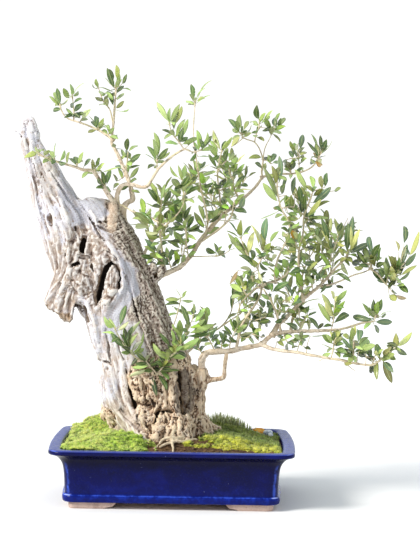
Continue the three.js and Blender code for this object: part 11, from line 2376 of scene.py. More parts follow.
    ("k1_s2", "limb_back_upper", "K1", [[(-43, 84, 441.1), (-48.3, 92.2, 448.5), (-54.2, 100.2, 455.6), (-59.3, 108.1, 463.4), (-65.1, 114.4, 472.1)]], [
        ((-48.3, 92.2, 448.5, -48.3, 92.2, 448.5, -66, 86.3, 472.7, .46, .73, .51, 9.2), "g", 0, 2),
        ((-48.3, 92.2, 448.5, -48.3, 92.2, 448.5, -48.6, 127.2, 445.7, -.20, .07, .98, 9.1), "y", 0, 2),
        ((-52.7, 98.2, 453.8, -52.7, 98.2, 453.8, -42, 112.4, 480.3, -.88, -.18, .45, 9.7), "g", 0, 2),
        ((-56.7, 104.1, 459.5, -56.7, 104.1, 459.5, -81.2, 96.5, 488.1, .49, .65, .59, 9.5), "d", 0, 2),
        ((-56.7, 104.1, 459.5, -56.7, 104.1, 459.5, -52.7, 136.5, 460.8, -.21, -.01, .98, 9.5), "g", 0, 2),
        ((-60.8, 109.7, 465.6, -60.8, 109.7, 465.6, -51.6, 115, 493.7, -.95, .11, .29, 7.8), "g", 0, 2),
        ((-60.8, 109.7, 465.6, -60.8, 109.7, 465.6, -89.3, 124.3, 463.6, -.01, .12, .99, 9.6), "d", 0, 2),
        ((-65.1, 114.4, 472.1, -65.1, 114.4, 472.1, -80.3, 116.5, 490.9, .76, .28, .59, 10.3), "g", 0, 2),
        ((-65.1, 114.4, 472.1, -65.1, 114.4, 472.1, -71, 136.3, 485.3, -.05, -.52, .85, 10.6), "g", 0, 2),
    ]),
    ("k1_s3", "limb_back_upper", "K1", [[(-28.2, 106, 463.7), (-19, 105.5, 473.1), (-11.4, 104.4, 483.9), (-6.6, 105.8, 496.1), (-3.6, 105.2, 509)]], [
        ((-19, 105.5, 473.1, -19, 105.5, 473.1, -11, 130.7, 496.9, .10, -.70, .71, 10), "y", 0, 2),
        ((-19, 105.5, 473.1, -19, 105.5, 473.1, -5, 81.9, 482.8, .01, .38, .92, 8.2), "d", 0, 2),
        ((-13.3, 104.7, 481.2, -13.3, 104.7, 481.2, -22.8, 96.2, 512.5, .87, .34, .36, 8.3), "d", 0, 2),
        ((-13.3, 104.7, 481.2, -13.3, 104.7, 481.2, 19.3, 109.6, 483.7, -.06, -.08, .99, 8.7), "y", 0, 2),
        ((-9, 105.1, 490, -9, 105.1, 490, -8.3, 131.5, 508, .16, -.56, .81, 7.8), "d", 0, 2),
        ((-9, 105.1, 490, -9, 105.1, 490, 5.7, 81.2, 509.6, -.15, .57, .81, 8.2), "g", 0, 2),
        ((-5.8, 105.6, 499.4, -5.8, 105.6, 499.4, -25, 99.6, 523.3, .75, .17, .64, 8.6), "g", 0, 2),
        ((-5.8, 105.6, 499.4, -5.8, 105.6, 499.4, 29.6, 111.1, 516.4, -.42, -.10, .90, 8.8), "g", 0, 2),
        ((-3.6, 105.2, 509, -3.6, 105.2, 509, -0.2, 116.8, 535.6, -.05, -.91, .40, 10.5), "d", 0, 2),
        ((-3.6, 105.2, 509, -3.6, 105.2, 509, 2.6, 95.1, 526.5, -.32, .77, .55, 9.1), "d", 0, 2),
    ]),
    ("k1_s4", "limb_back_upper", "K1", [[(-11.3, 124, 486.8), (-16.4, 132.3, 496.9), (-19.9, 139.9, 508.1), (-24.4, 145.5, 520.2), (-28.7, 149.2, 533)]], [
        ((-16.4, 132.3, 496.9, -16.4, 132.3, 496.9, -2.5, 134.4, 521.2, -.85, .26, .46, 10.4), "d", 0, 2),
        ((-16.4, 132.3, 496.9, -16.4, 132.3, 496.9, -41.3, 150.7, 500.6, .17, .03, .99, 9.6), "g", 0, 2),
        ((-18.5, 136.9, 503.6, -18.5, 136.9, 503.6, -9.2, 171.1, 511.2, -.21, -.16, .96, 9.8), "g", 0, 2),
        ((-18.5, 136.9, 503.6, -18.5, 136.9, 503.6, -36.2, 128, 528.2, .49, .64, .59, 9.8), "g", 0, 2),
        ((-20.8, 141, 510.6, -20.8, 141, 510.6, -8.5, 139.8, 536.3, -.84, .34, .42, 8.9), "g", 0, 2),
        ((-20.8, 141, 510.6, -20.8, 141, 510.6, -45.7, 157.1, 515.1, .16, -.03, .99, 10.2), "d", 0, 2),
        ((-23.5, 144.4, 517.8, -23.5, 144.4, 517.8, -16.9, 174.5, 529.9, -.25, -.32, .92, 10), "g", 0, 2),
        ((-23.5, 144.4, 517.8, -23.5, 144.4, 517.8, -41.1, 132.2, 537.9, .39, .60, .70, 9.7), "d", 0, 2),
        ((-26.1, 147, 525.3, -26.1, 147, 525.3, -13.2, 142.1, 549.8, -.78, .39, .49, 9.2), "g", 0, 2),
        ((-26.1, 147, 525.3, -26.1, 147, 525.3, -52.8, 162.7, 533.5, .23, -.11, .97, 9.8), "g", 0, 2),
    ]),
    ("k1_s5", "limb_back_upper", "K1", [[(5.9, 138, 508.3), (13, 137.5, 519.2), (19.6, 138.3, 530.5), (25.3, 139, 542.2), (28.6, 139.8, 554.8)]], [
        ((13, 137.5, 519.2, 13, 137.5, 519.2, 4.4, 155.2, 547.8, .61, -.58, .54, 7.8), "g", 0, 2),
        ((13, 137.5, 519.2, 13, 137.5, 519.2, 41.6, 123.3, 526.9, -.15, .21, .97, 8.6), "o", 0, 2),
        ((18, 138.1, 527.7, 18, 138.1, 527.7, 15.2, 116.8, 556.5, .39, .72, .57, 9.1), "d", 0, 2),
        ((18, 138.1, 527.7, 18, 138.1, 527.7, 42.7, 161.9, 536.7, -.09, -.27, .96, 10), "d", 0, 2),
        ((22.4, 138.7, 536.3, 22.4, 138.7, 536.3, 13.4, 152.7, 559.1, .62, -.54, .57, 8.5), "y", 0, 2),
        ((22.4, 138.7, 536.3, 22.4, 138.7, 536.3, 48.5, 125.5, 545.5, -.22, .23, .95, 8.8), "g", 0, 2),
        ((26.1, 139.2, 545.4, 26.1, 139.2, 545.4, 15.7, 116.3, 573.8, .41, .63, .66, 8.6), "o", 0, 2),
        ((26.1, 139.2, 545.4, 26.1, 139.2, 545.4, 49.2, 165.8, 562.5, -.23, -.37, .90, 9.9), "o", 0, 2),
        ((28.6, 139.8, 554.8, 28.6, 139.8, 554.8, 25.1, 148.4, 580.4, .59, -.74, .33, 9.3), "g", 0, 2),
        ((28.6, 139.8, 554.8, 28.6, 139.8, 554.8, 41.9, 135.2, 572.7, -.71, .35, .62, 10.1), "g", 0, 2),
    ]),
    ("k1_tip", "limb_back_upper", "K1", [[(5.9, 138, 508.3), (11.8, 143.1, 520.5), (18.8, 147.7, 532.2), (25.4, 150.9, 544.7), (32, 151.5, 557.6)]], [
        ((11.8, 143.1, 520.5, 11.8, 143.1, 520.5, 26.1, 122.9, 547.7, -.13, .76, .64, 10.3), "y", 0, 2),
        ((11.8, 143.1, 520.5, 11.8, 143.1, 520.5, 18.4, 173.3, 528.8, .12, -.28, .95, 9.4), "o", 0, 2),
        ((16, 145.9, 527.5, 16, 145.9, 527.5, 47.9, 150.9, 531, -.12, .08, .99, 9.6), "g", 0, 2),
        ((16, 145.9, 527.5, 16, 145.9, 527.5, 2.5, 154.4, 559, .90, -.13, .42, 9.7), "g", 0, 2),
        ((20.1, 148.4, 534.7, 20.1, 148.4, 534.7, 30.4, 129, 555.9, -.08, .72, .69, 9.1), "g", 0, 2),
        ((20.1, 148.4, 534.7, 20.1, 148.4, 534.7, 26.4, 174, 545, .08, -.39, .92, 10.7), "o", 0, 2),
        ((24.1, 150.3, 542.2, 24.1, 150.3, 542.2, 59.5, 154.3, 548.2, -.17, .05, .98, 8.5), "o", 0, 2),
        ((24.1, 150.3, 542.2, 24.1, 150.3, 542.2, 8.1, 156.4, 576.1, .90, -.08, .44, 10.8), "d", 0, 2),
        ((28, 151.2, 549.9, 28, 151.2, 549.9, 37, 126.3, 569, .01, .61, .79, 9.2), "d", 0, 2),
        ((28, 151.2, 549.9, 28, 151.2, 549.9, 37.7, 178.7, 566.9, .02, -.53, .85, 9.3), "o", 0, 2),
        ((32, 151.5, 557.6, 32, 151.5, 557.6, 53.5, 152.2, 573.3, -.59, -.00, .81, 8.4), "y", 0, 2),
        ((32, 151.5, 557.6, 32, 151.5, 557.6, 32.3, 152.6, 578.6, .98, -.20, -.00, 10.4), "o", 0, 2),
    ]),
    ("k2_s1", "twig_back_middle", "K2", [[(58.3, 44, 466.3), (66.2, 49, 475.6), (73.3, 54.5, 485.1), (78.9, 60, 495.7), (82.5, 65.4, 507.1)]], [
        ((66.2, 49, 475.6, 66.2, 49, 475.6, 55.3, 62.1, 504.6, .86, -.27, .44, 8.7), "d", 0, 2),
        ((66.2, 49, 475.6, 66.2, 49, 475.6, 103.2, 53.8, 476.6, -.04, .14, .99, 9.3), "o", 0, 2),
        ((71.6, 53.1, 482.7, 71.6, 53.1, 482.7, 84.3, 39.5, 507, -.17, .82, .55, 8.2), "g", 0, 2),
        ((71.6, 53.1, 482.7, 71.6, 53.1, 482.7, 80.1, 85.8, 486, .15, -.14, .98, 9.4), "d", 0, 2),
        ((76.1, 57.3, 490.4, 76.1, 57.3, 490.4, 62.4, 67.4, 515.7, .84, -.16, .52, 9.8), "y", 0, 2),
        ((76.1, 57.3, 490.4, 76.1, 57.3, 490.4, 111.1, 63.8, 496.1, -.18, .11, .98, 10.7), "d", 0, 2),
        ((79.8, 61.4, 498.5, 79.8, 61.4, 498.5, 87.4, 46.9, 524.9, -.14, .85, .51, 10.2), "d", 0, 2),
        ((79.8, 61.4, 498.5, 79.8, 61.4, 498.5, 83.3, 99.7, 507.2, .08, -.23, .97, 8.5), "d", 0, 2),
        ((82.5, 65.4, 507.1, 82.5, 65.4, 507.1, 78, 74.6, 529.2, .76, -.53, .38, 10.5), "g", 0, 2),
        ((82.5, 65.4, 507.1, 82.5, 65.4, 507.1, 101.5, 75.5, 525.6, -.64, -.18, .75, 8), "g", 0, 2),
    ]),
    ("k2_s2", "twig_back_middle", "K2", [[(72, 74, 486.9), (66.9, 83.6, 495.3), (61.2, 92.5, 504.2), (56.8, 100, 514.9), (50.8, 106.1, 525.7)]], [
        ((66.9, 83.6, 495.3, 66.9, 83.6, 495.3, 41.7, 80, 512, .45, .44, .78, 9.4), "d", 0, 2),
        ((66.9, 83.6, 495.3, 66.9, 83.6, 495.3, 77.7, 114, 503.4, -.34, -.13, .93, 10.2), "d", 0, 2),
        ((63.5, 89, 500.7, 63.5, 89, 500.7, 69.2, 91.8, 531.3, -.87, .48, .12, 8.1), "g", 0, 2),
        ((63.5, 89, 500.7, 63.5, 89, 500.7, 39.6, 113.7, 494.1, -.09, .18, .98, 10.1), "o", 0, 2),
        ((60.4, 94, 506.3, 60.4, 94, 506.3, 31.3, 86.8, 529.1, .48, .44, .76, 9.6), "g", 0, 2),
        ((60.4, 94, 506.3, 60.4, 94, 506.3, 73.7, 124.5, 518.7, -.35, -.22, .91, 10.3), "d", 0, 2),
        ((57.7, 98.5, 512.8, 57.7, 98.5, 512.8, 66.5, 96.3, 543, -.77, .58, .27, 10.3), "y", 0, 2),
        ((57.7, 98.5, 512.8, 57.7, 98.5, 512.8, 32.5, 126, 512.5, .04, .04, 1.00, 9.7), "d", 0, 2),
        ((54.4, 102.4, 519.2, 54.4, 102.4, 519.2, 23.6, 90.3, 539.4, .36, .44, .82, 10.1), "g", 0, 2),
        ((54.4, 102.4, 519.2, 54.4, 102.4, 519.2, 62.1, 127.3, 532.2, -.37, -.34, .86, 9.2), "d", 0, 2),
        ((50.8, 106.1, 525.7, 50.8, 106.1, 525.7, 48.4, 109.6, 546.3, -.98, .14, -.14, 8.7), "d", 0, 2),
        ((50.8, 106.1, 525.7, 50.8, 106.1, 525.7, 31.3, 124.6, 538.5, .32, -.29, .90, 8.4), "g", 0, 2),
    ]),
    ("k2_s3", "twig_back_middle", "K2", [[(84.1, 98, 506.2), (94, 99.6, 515.5), (103.6, 98.8, 525.1), (111, 95.6, 536.2), (117.4, 92.4, 547.8)]], [
        ((94, 99.6, 515.5, 94, 99.6, 515.5, 93.5, 111.6, 543.6, .60, -.73, .32, 8.7), "g", 0, 2),
        ((94, 99.6, 515.5, 94, 99.6, 515.5, 120, 85.7, 513.9, .10, .08, .99, 9.7), "o", 0, 2),
        ((101.2, 99, 522.7, 101.2, 99, 522.7, 104.3, 76.4, 545.7, .31, .70, .64, 9.3), "d", 0, 2),
        ((101.2, 99, 522.7, 101.2, 99, 522.7, 129, 121.3, 528.4, .01, -.26, .96, 8.6), "y", 0, 2),
        ((107.3, 97.2, 530.6, 107.3, 97.2, 530.6, 100.9, 104.8, 562, .76, -.58, .29, 8.6), "g", 0, 2),
        ((112.6, 94.8, 539.1, 112.6, 94.8, 539.1, 107.5, 63.2, 561, .33, .50, .80, 8.6), "g", 0, 2),
        ((117.4, 92.4, 547.8, 117.4, 92.4, 547.8, 119.7, 92.4, 571, .66, -.75, -.07, 9), "g", 0, 2),
        ((117.4, 92.4, 547.8, 117.4, 92.4, 547.8, 134.6, 82.4, 560.2, -.45, .28, .85, 9), "d", 0, 2),
    ]),
    ("k2_s4", "twig_back_middle", "K2", [[(92.8, 118, 524), (89.3, 126.9, 532.6), (85.5, 134.3, 542.5), (81, 139.8, 553.3), (76.8, 143, 565.1)]], [
        ((89.3, 126.9, 532.6, 89.3, 126.9, 532.6, 94.6, 120.3, 571.6, -.52, .83, .21, 8.9), "g", 0, 2),
        ((89.3, 126.9, 532.6, 89.3, 126.9, 532.6, 73.3, 154.8, 531.5, -.01, .04, 1.00, 10.6), "d", 0, 2),
        ((86.4, 132.5, 540, 86.4, 132.5, 540, 101.9, 155.2, 553.7, -.46, -.20, .86, 8.4), "g", 0, 2),
        ((86.4, 132.5, 540, 86.4, 132.5, 540, 61.9, 131.3, 554.1, .46, .30, .83, 9.8), "y", 0, 2),
        ((83.2, 137, 547.9, 83.2, 137, 547.9, 86.8, 126.6, 578.9, -.44, .83, .33, 8.4), "y", 0, 2),
        ((83.2, 137, 547.9, 83.2, 137, 547.9, 68, 160.7, 550.3, .02, -.09, 1.00, 10.1), "o", 0, 2),
        ((79.9, 140.6, 556.2, 79.9, 140.6, 556.2, 92.8, 157.3, 575.4, -.57, -.39, .72, 7.9), "d", 0, 2),
        ((79.9, 140.6, 556.2, 79.9, 140.6, 556.2, 55, 132.4, 569.4, .37, .28, .88, 8.8), "d", 0, 2),
        ((76.8, 143, 565.1, 76.8, 143, 565.1, 74.8, 139.7, 589.8, -.19, .97, .11, 9.6), "o", 0, 2),
        ((76.8, 143, 565.1, 76.8, 143, 565.1, 62.7, 159.5, 583.3, .38, -.52, .76, 8.4), "d", 0, 2),
    ]),
    ("k2_tip", "twig_back_middle", "K2", [[(92.8, 118, 524), (96.3, 125.2, 536.1), (97.2, 130.7, 549.5), (96.7, 136.1, 562.9), (94, 138.8, 576.9)]], [
        ((96.3, 125.2, 536.1, 96.3, 125.2, 536.1, 123.1, 136.6, 551.4, -.48, -.04, .88, 8.7), "g", 0, 2),
        ((96.3, 125.2, 536.1, 96.3, 125.2, 536.1, 67.6, 129.9, 562.1, .68, .09, .73, 9.3), "d", 0, 2),
        ((96.8, 128.5, 544.1, 96.8, 128.5, 544.1, 93.7, 158.1, 552.7, .07, -.27, .96, 9.7), "g", 0, 2),
        ((96.8, 128.5, 544.1, 96.8, 128.5, 544.1, 102.8, 112.8, 571.8, -.19, .84, .52, 8.4), "d", 0, 2),
        ((97.1, 131.8, 552.1, 97.1, 131.8, 552.1, 124.6, 145.3, 572.1, -.56, -.09, .83, 8.7), "d", 0, 2),
        ((97.1, 131.8, 552.1, 97.1, 131.8, 552.1, 72.3, 134.4, 570.6, .60, .11, .79, 9.2), "g", 0, 2),
        ((96.8, 135, 560.2, 96.8, 135, 560.2, 91.8, 163.9, 568.6, .06, -.27, .96, 9.9), "g", 0, 2),
        ((96.8, 135, 560.2, 96.8, 135, 560.2, 101, 117.5, 591, -.17, .85, .51, 9.4), "g", 0, 2),
        ((95.6, 137.2, 568.5, 95.6, 137.2, 568.5, 116.9, 148.3, 591.5, -.67, -.20, .72, 10.2), "y", 0, 2),
        ((95.6, 137.2, 568.5, 95.6, 137.2, 568.5, 66.2, 133.7, 585.2, .48, .15, .87, 10.5), "g", 0, 2),
        ((94, 138.8, 576.9, 94, 138.8, 576.9, 88.1, 151.6, 593.3, .27, -.71, .65, 9), "g", 0, 2),
        ((94, 138.8, 576.9, 94, 138.8, 576.9, 92.5, 132, 603.2, -.05, .97, .25, 8), "d", 0, 2),
    ]),
    ("k3_s1", "twig_back_lower", "K3", [[(199.3, -6, 305.7), (205.5, -0.7, 313.9), (211.4, 2.5, 323.2), (215.8, 5.5, 333.4), (220.7, 8.5, 343.4)]], [
        ((205.5, -0.7, 313.9, 205.5, -0.7, 313.9, 212.4, -19.4, 341.7, .07, .84, .54, 9.2), "d", 0, 2),
        ((205.5, -0.7, 313.9, 205.5, -0.7, 313.9, 217.9, 25.1, 319.2, .05, -.23, .97, 8.8), "g", 0, 2),
        ((209.9, 1.7, 320.9, 209.9, 1.7, 320.9, 243.2, -1.1, 326.4, -.15, .15, .98, 10.3), "y", 0, 2),
        ((209.9, 1.7, 320.9, 209.9, 1.7, 320.9, 198.9, 14.8, 346.6, .78, -.36, .51, 9.5), "d", 0, 2),
        ((213.6, 4, 328.3, 213.6, 4, 328.3, 217.2, -14.9, 355.4, .10, .82, .56, 8.3), "d", 0, 2),
        ((213.6, 4, 328.3, 213.6, 4, 328.3, 225, 31.8, 336.7, -.00, -.29, .96, 9.4), "g", 0, 2),
        ((217, 6.2, 335.9, 217, 6.2, 335.9, 247.7, 4, 344.1, -.25, .14, .96, 9.1), "g", 0, 2),
        ((217, 6.2, 335.9, 217, 6.2, 335.9, 200.8, 20.4, 365.4, .77, -.30, .56, 8.4), "g", 0, 2),
        ((220.7, 8.5, 343.4, 220.7, 8.5, 343.4, 228, 4.2, 365.5, -.40, .86, .30, 8.1), "y", 0, 2),
        ((220.7, 8.5, 343.4, 220.7, 8.5, 343.4, 230.7, 22.6, 357, -.26, -.57, .78, 8.6), "g", 0, 2),
    ]),
    ("k3_s2", "twig_back_lower", "K3", [[(206.8, 18, 331.7), (198.3, 24.3, 342.5), (191.8, 29.8, 355), (185.9, 36.2, 367.4), (183.2, 42.4, 381)]], [
        ((198.3, 24.3, 342.5, 198.3, 24.3, 342.5, 210.6, 52.4, 364.5, -.47, -.41, .78, 9.1), "d", 0, 2),
        ((198.3, 24.3, 342.5, 198.3, 24.3, 342.5, 168.2, 13.8, 357.9, .33, .35, .88, 9.6), "g", 0, 2),
        ((194.4, 27.6, 350, 194.4, 27.6, 350, 172.5, 52, 352.4, .03, -.07, 1.00, 10.3), "d", 0, 2),
        ((194.4, 27.6, 350, 194.4, 27.6, 350, 199.6, 17.1, 383.7, -.56, .76, .33, 10.5), "d", 0, 2),
        ((190.6, 31.1, 357.5, 190.6, 31.1, 357.5, 201.2, 52.5, 372.7, -.46, -.35, .81, 10.7), "g", 0, 2),
        ((190.6, 31.1, 357.5, 190.6, 31.1, 357.5, 156.7, 21.5, 376.2, .37, .35, .86, 8.9), "g", 0, 2),
        ((187.1, 34.9, 364.9, 187.1, 34.9, 364.9, 165.6, 61.1, 366.7, .02, -.05, 1.00, 9.4), "y", 0, 2),
        ((187.1, 34.9, 364.9, 187.1, 34.9, 364.9, 191.9, 27, 394.6, -.57, .77, .30, 10.4), "g", 0, 2),
        ((184.8, 38.7, 372.9, 184.8, 38.7, 372.9, 199.2, 59, 385.7, -.40, -.27, .88, 9.4), "d", 0, 2),
        ((184.8, 38.7, 372.9, 184.8, 38.7, 372.9, 156.9, 30.3, 397.1, .53, .39, .75, 7.9), "y", 0, 2),
        ((183.2, 42.4, 381, 183.2, 42.4, 381, 170.9, 62, 398.5, .35, -.49, .80, 8.7), "y", 0, 2),
        ((183.2, 42.4, 381, 183.2, 42.4, 381, 185.5, 43.8, 403.8, -.86, .51, .06, 10.6), "g", 0, 2),
    ]),
    ("k3_s3", "twig_back_lower", "K3", [[(212.7, 42, 356.3), (223, 46.1, 367.9), (230.6, 50, 381.6), (238.5, 53.6, 395.1), (246.1, 54.2, 409.2)]], [
        ((223, 46.1, 367.9, 223, 46.1, 367.9, 240.6, 78, 376.1, .01, -.25, .97, 10.7), "o", 0, 2),
        ((223, 46.1, 367.9, 223, 46.1, 367.9, 227.2, 24.8, 399.3, .16, .83, .54, 8.8), "g", 0, 2),
        ((227.5, 48.4, 376.1, 227.5, 48.4, 376.1, 214.3, 63.9, 404.3, .74, -.38, .56, 10.3), "o", 0, 2),
        ((227.5, 48.4, 376.1, 227.5, 48.4, 376.1, 260.9, 43.2, 384.1, -.20, .16, .96, 8.7), "d", 0, 2),
        ((232.2, 50.7, 384.3, 232.2, 50.7, 384.3, 245.9, 76.4, 391.1, .01, -.26, .96, 9.1), "y", 0, 2),
        ((232.2, 50.7, 384.3, 232.2, 50.7, 384.3, 236.4, 33.6, 408.1, .13, .82, .56, 10.1), "g", 0, 2),
        ((236.9, 52.9, 392.4, 236.9, 52.9, 392.4, 223.6, 68, 422.4, .76, -.38, .53, 9.2), "d", 0, 2),
        ((236.9, 52.9, 392.4, 236.9, 52.9, 392.4, 273.6, 47.8, 399.9, -.18, .15, .97, 8.9), "d", 0, 2),
        ((241.5, 53.9, 400.7, 241.5, 53.9, 400.7, 256.3, 76.9, 412.7, -.07, -.43, .90, 9.2), "d", 0, 2),
        ((241.5, 53.9, 400.7, 241.5, 53.9, 400.7, 244.2, 32.7, 420.2, .17, .68, .71, 10), "g", 0, 2),
        ((246.1, 54.2, 409.2, 246.1, 54.2, 409.2, 247.6, 59, 437.9, .66, -.74, .09, 10.5), "o", 0, 2),
        ((246.1, 54.2, 409.2, 246.1, 54.2, 409.2, 269, 51, 425.9, -.57, .13, .81, 9.2), "y", 0, 2),
    ]),
    ("k3_s4", "twig_back_lower", "K3", [[(220.6, 70, 382.9), (214.3, 79.1, 393.1), (207.9, 88.1, 403.3), (200.5, 94.8, 414.5), (194.4, 99.5, 427.4)]], [
        ((214.3, 79.1, 393.1, 214.3, 79.1, 393.1, 190.9, 106.9, 387.4, -.08, .14, .99, 10.3), "g", 0, 2),
        ((214.3, 79.1, 393.1, 214.3, 79.1, 393.1, 218.4, 78.3, 427.5, -.72, .68, .10, 10.4), "d", 0, 2),
        ((210.5, 84.5, 399.2, 210.5, 84.5, 399.2, 186.1, 80.8, 412.8, .40, .39, .83, 8.1), "g", 0, 2),
        ((210.5, 84.5, 399.2, 210.5, 84.5, 399.2, 222.9, 115.1, 411.8, -.39, -.21, .90, 10.2), "g", 0, 2),
        ((206.5, 89.4, 405.6, 206.5, 89.4, 405.6, 188.4, 114.6, 404, -.08, .01, 1.00, 10), "g", 0, 2),
        ((206.5, 89.4, 405.6, 206.5, 89.4, 405.6, 205.4, 79.1, 443.6, -.38, .90, .23, 9.8), "g", 0, 2),
        ((202, 93.5, 412.3, 202, 93.5, 412.3, 166.4, 86.5, 424.3, .25, .29, .92, 10.6), "d", 0, 2),
        ((202, 93.5, 412.3, 202, 93.5, 412.3, 213.6, 119.8, 433.9, -.53, -.38, .76, 9.5), "g", 0, 2),
        ((198, 96.7, 419.7, 198, 96.7, 419.7, 173.8, 128, 425.4, .04, -.15, .99, 9.6), "g", 0, 2),
        ((198, 96.7, 419.7, 198, 96.7, 419.7, 201.5, 83.4, 449.8, -.44, .80, .40, 9.5), "g", 0, 2),
        ((194.4, 99.5, 427.4, 194.4, 99.5, 427.4, 176, 99.9, 445.1, .69, .18, .71, 10.1), "d", 0, 2),
        ((194.4, 99.5, 427.4, 194.4, 99.5, 427.4, 194.2, 111.6, 446.3, -.33, -.80, .51, 10.7), "y", 0, 2),
    ]),
    ("k3_s5", "twig_back_lower", "K3", [[(231.9, 94, 410.2), (239.7, 98.9, 421.8), (246.5, 103.9, 433.9), (253.1, 108.5, 446.4), (259.5, 111, 459.5)]], [
        ((239.7, 98.9, 421.8, 239.7, 98.9, 421.8, 255.5, 83.6, 441.2, -.25, .65, .72, 9.5), "d", 0, 2),
        ((239.7, 98.9, 421.8, 239.7, 98.9, 421.8, 240.7, 133.7, 434.6, .19, -.34, .92, 9.6), "g", 0, 2),
        ((243.8, 101.9, 429.1, 243.8, 101.9, 429.1, 272.2, 112.4, 431.4, -.10, .03, .99, 9.5), "d", 0, 2),
        ((243.8, 101.9, 429.1, 243.8, 101.9, 429.1, 232.4, 104.1, 457.9, .93, .14, .35, 10.6), "g", 0, 2),
        ((247.8, 104.8, 436.4, 247.8, 104.8, 436.4, 264.8, 87, 457.8, -.23, .65, .72, 9.5), "g", 0, 2),
        ((247.8, 104.8, 436.4, 247.8, 104.8, 436.4, 248.8, 139.9, 450.6, .18, -.37, .91, 8.7), "g", 0, 2),
        ((251.8, 107.6, 443.9, 251.8, 107.6, 443.9, 285.6, 119.7, 447.9, -.12, .02, .99, 9.8), "g", 0, 2),
        ((251.8, 107.6, 443.9, 251.8, 107.6, 443.9, 239.4, 109, 473.1, .91, .15, .38, 8.8), "g", 0, 2),
        ((255.7, 109.5, 451.6, 255.7, 109.5, 451.6, 273.6, 84.3, 474.1, -.15, .60, .79, 8.3), "d", 0, 2),
        ((255.7, 109.5, 451.6, 255.7, 109.5, 451.6, 258, 141.4, 469.9, .16, -.50, .85, 8.7), "d", 0, 2),
        ((259.5, 111, 459.5, 259.5, 111, 459.5, 277.3, 116.5, 472.9, -.56, -.16, .81, 8.2), "d", 0, 2),
        ((259.5, 111, 459.5, 259.5, 111, 459.5, 259.5, 112.3, 481, 1.00, .03, -.00, 8.5), "d", 0, 2),
    ]),
    ("k3_tip", "twig_back_lower", "K3", [[(231.9, 94, 410.2), (233.1, 99.7, 421), (236, 105.1, 431.6), (239, 111.3, 441.6), (241.1, 118.2, 451.5)]], [
        ((233.1, 99.7, 421, 233.1, 99.7, 421, 255.2, 89, 444.6, -.48, .53, .69, 8.7), "g", 0, 2),
        ((233.1, 99.7, 421, 233.1, 99.7, 421, 221, 128.7, 433.4, .30, -.27, .92, 10.2), "g", 0, 2),
        ((235.3, 103.7, 428.9, 235.3, 103.7, 428.9, 257.8, 124.5, 434.1, -.17, -.06, .98, 8.8), "g", 0, 2),
        ((235.3, 103.7, 428.9, 235.3, 103.7, 428.9, 218.7, 99.1, 463.1, .77, .47, .44, 9.6), "y", 0, 2),
        ((237.5, 108.2, 436.6, 237.5, 108.2, 436.6, 257.4, 100.5, 457.8, -.51, .53, .67, 8.2), "g", 0, 2),
        ((237.5, 108.2, 436.6, 237.5, 108.2, 436.6, 226.8, 134.6, 445.7, .28, -.21, .94, 10.3), "d", 0, 2),
        ((239.6, 113.1, 444.1, 239.6, 113.1, 444.1, 266.1, 141.4, 448.3, -.15, -.01, .99, 8.1), "d", 0, 2),
        ((239.6, 113.1, 444.1, 239.6, 113.1, 444.1, 221.9, 111.9, 477.4, .79, .43, .43, 10.4), "d", 0, 2),
        ((241.1, 118.2, 451.5, 241.1, 118.2, 451.5, 252.8, 123.5, 473.9, -.89, .09, .44, 9.2), "g", 0, 2),
        ((241.1, 118.2, 451.5, 241.1, 118.2, 451.5, 238.1, 135.3, 463.7, .25, -.53, .81, 10.4), "o", 0, 2),
    ]),
    ("k4_s1", "twig_back_right", "K4", [[(250.5, 40, 366.6), (260.6, 46.5, 376.7), (268.1, 51.1, 389.7), (272.1, 57, 403.7), (273.2, 64, 417.8)]], [
        ((260.6, 46.5, 376.7, 260.6, 46.5, 376.7, 289.9, 27.6, 395.9, -.27, .45, .85, 10.2), "g", 0, 2),
        ((260.6, 46.5, 376.7, 260.6, 46.5, 376.7, 255.1, 76.8, 396.2, .34, -.46, .82, 9.4), "y", 0, 2),
        ((265.1, 49.2, 384.5, 265.1, 49.2, 384.5, 289.7, 65.8, 386.6, -.05, -.05, 1.00, 8), "y", 0, 2),
        ((265.1, 49.2, 384.5, 265.1, 49.2, 384.5, 257.4, 42.8, 415, .77, .56, .31, 8.8), "d", 0, 2),
        ((268.9, 52.3, 392.5, 268.9, 52.3, 392.5, 293, 40.1, 415.1, -.46, .49, .75, 8.1), "g", 0, 2),
        ((268.9, 52.3, 392.5, 268.9, 52.3, 392.5, 254.4, 84, 410.1, .34, -.33, .88, 10.7), "y", 0, 2),
        ((271.3, 55.9, 400.9, 271.3, 55.9, 400.9, 296.1, 79.7, 407.9, -.17, -.11, .98, 8.5), "y", 0, 2),
        ((271.3, 55.9, 400.9, 271.3, 55.9, 400.9, 257.8, 48.6, 431.5, .71, .54, .44, 10.1), "g", 0, 2),
        ((272.6, 59.8, 409.3, 272.6, 59.8, 409.3, 293.7, 51.2, 436.1, -.59, .50, .63, 8.7), "d", 0, 2),
        ((272.6, 59.8, 409.3, 272.6, 59.8, 409.3, 254.3, 87.8, 421.3, .29, -.21, .93, 9.9), "g", 0, 2),
        ((273.2, 64, 417.8, 273.2, 64, 417.8, 283.8, 82.9, 435.8, -.39, -.51, .77, 9.5), "o", 0, 2),
        ((273.2, 64, 417.8, 273.2, 64, 417.8, 266.9, 67.1, 441.7, .95, .19, .23, 10.2), "y", 0, 2),
    ]),
    ("k4_s2", "twig_back_right", "K4", [[(261.4, 58, 401.6), (256.1, 65.5, 410.7), (253, 72.5, 421.2), (248.7, 78.4, 431.9), (245.3, 84, 443.1)]], [
        ((256.1, 65.5, 410.7, 256.1, 65.5, 410.7, 276.8, 90.4, 428.1, -.49, -.19, .85, 8.5), "g", 0, 2),
        ((256.1, 65.5, 410.7, 256.1, 65.5, 410.7, 230.2, 65.1, 426.4, .49, .27, .83, 9.9), "y", 0, 2),
        ((253.8, 70.8, 418.6, 253.8, 70.8, 418.6, 240.9, 97.4, 419.4, .02, -.02, 1.00, 8.7), "d", 0, 2),
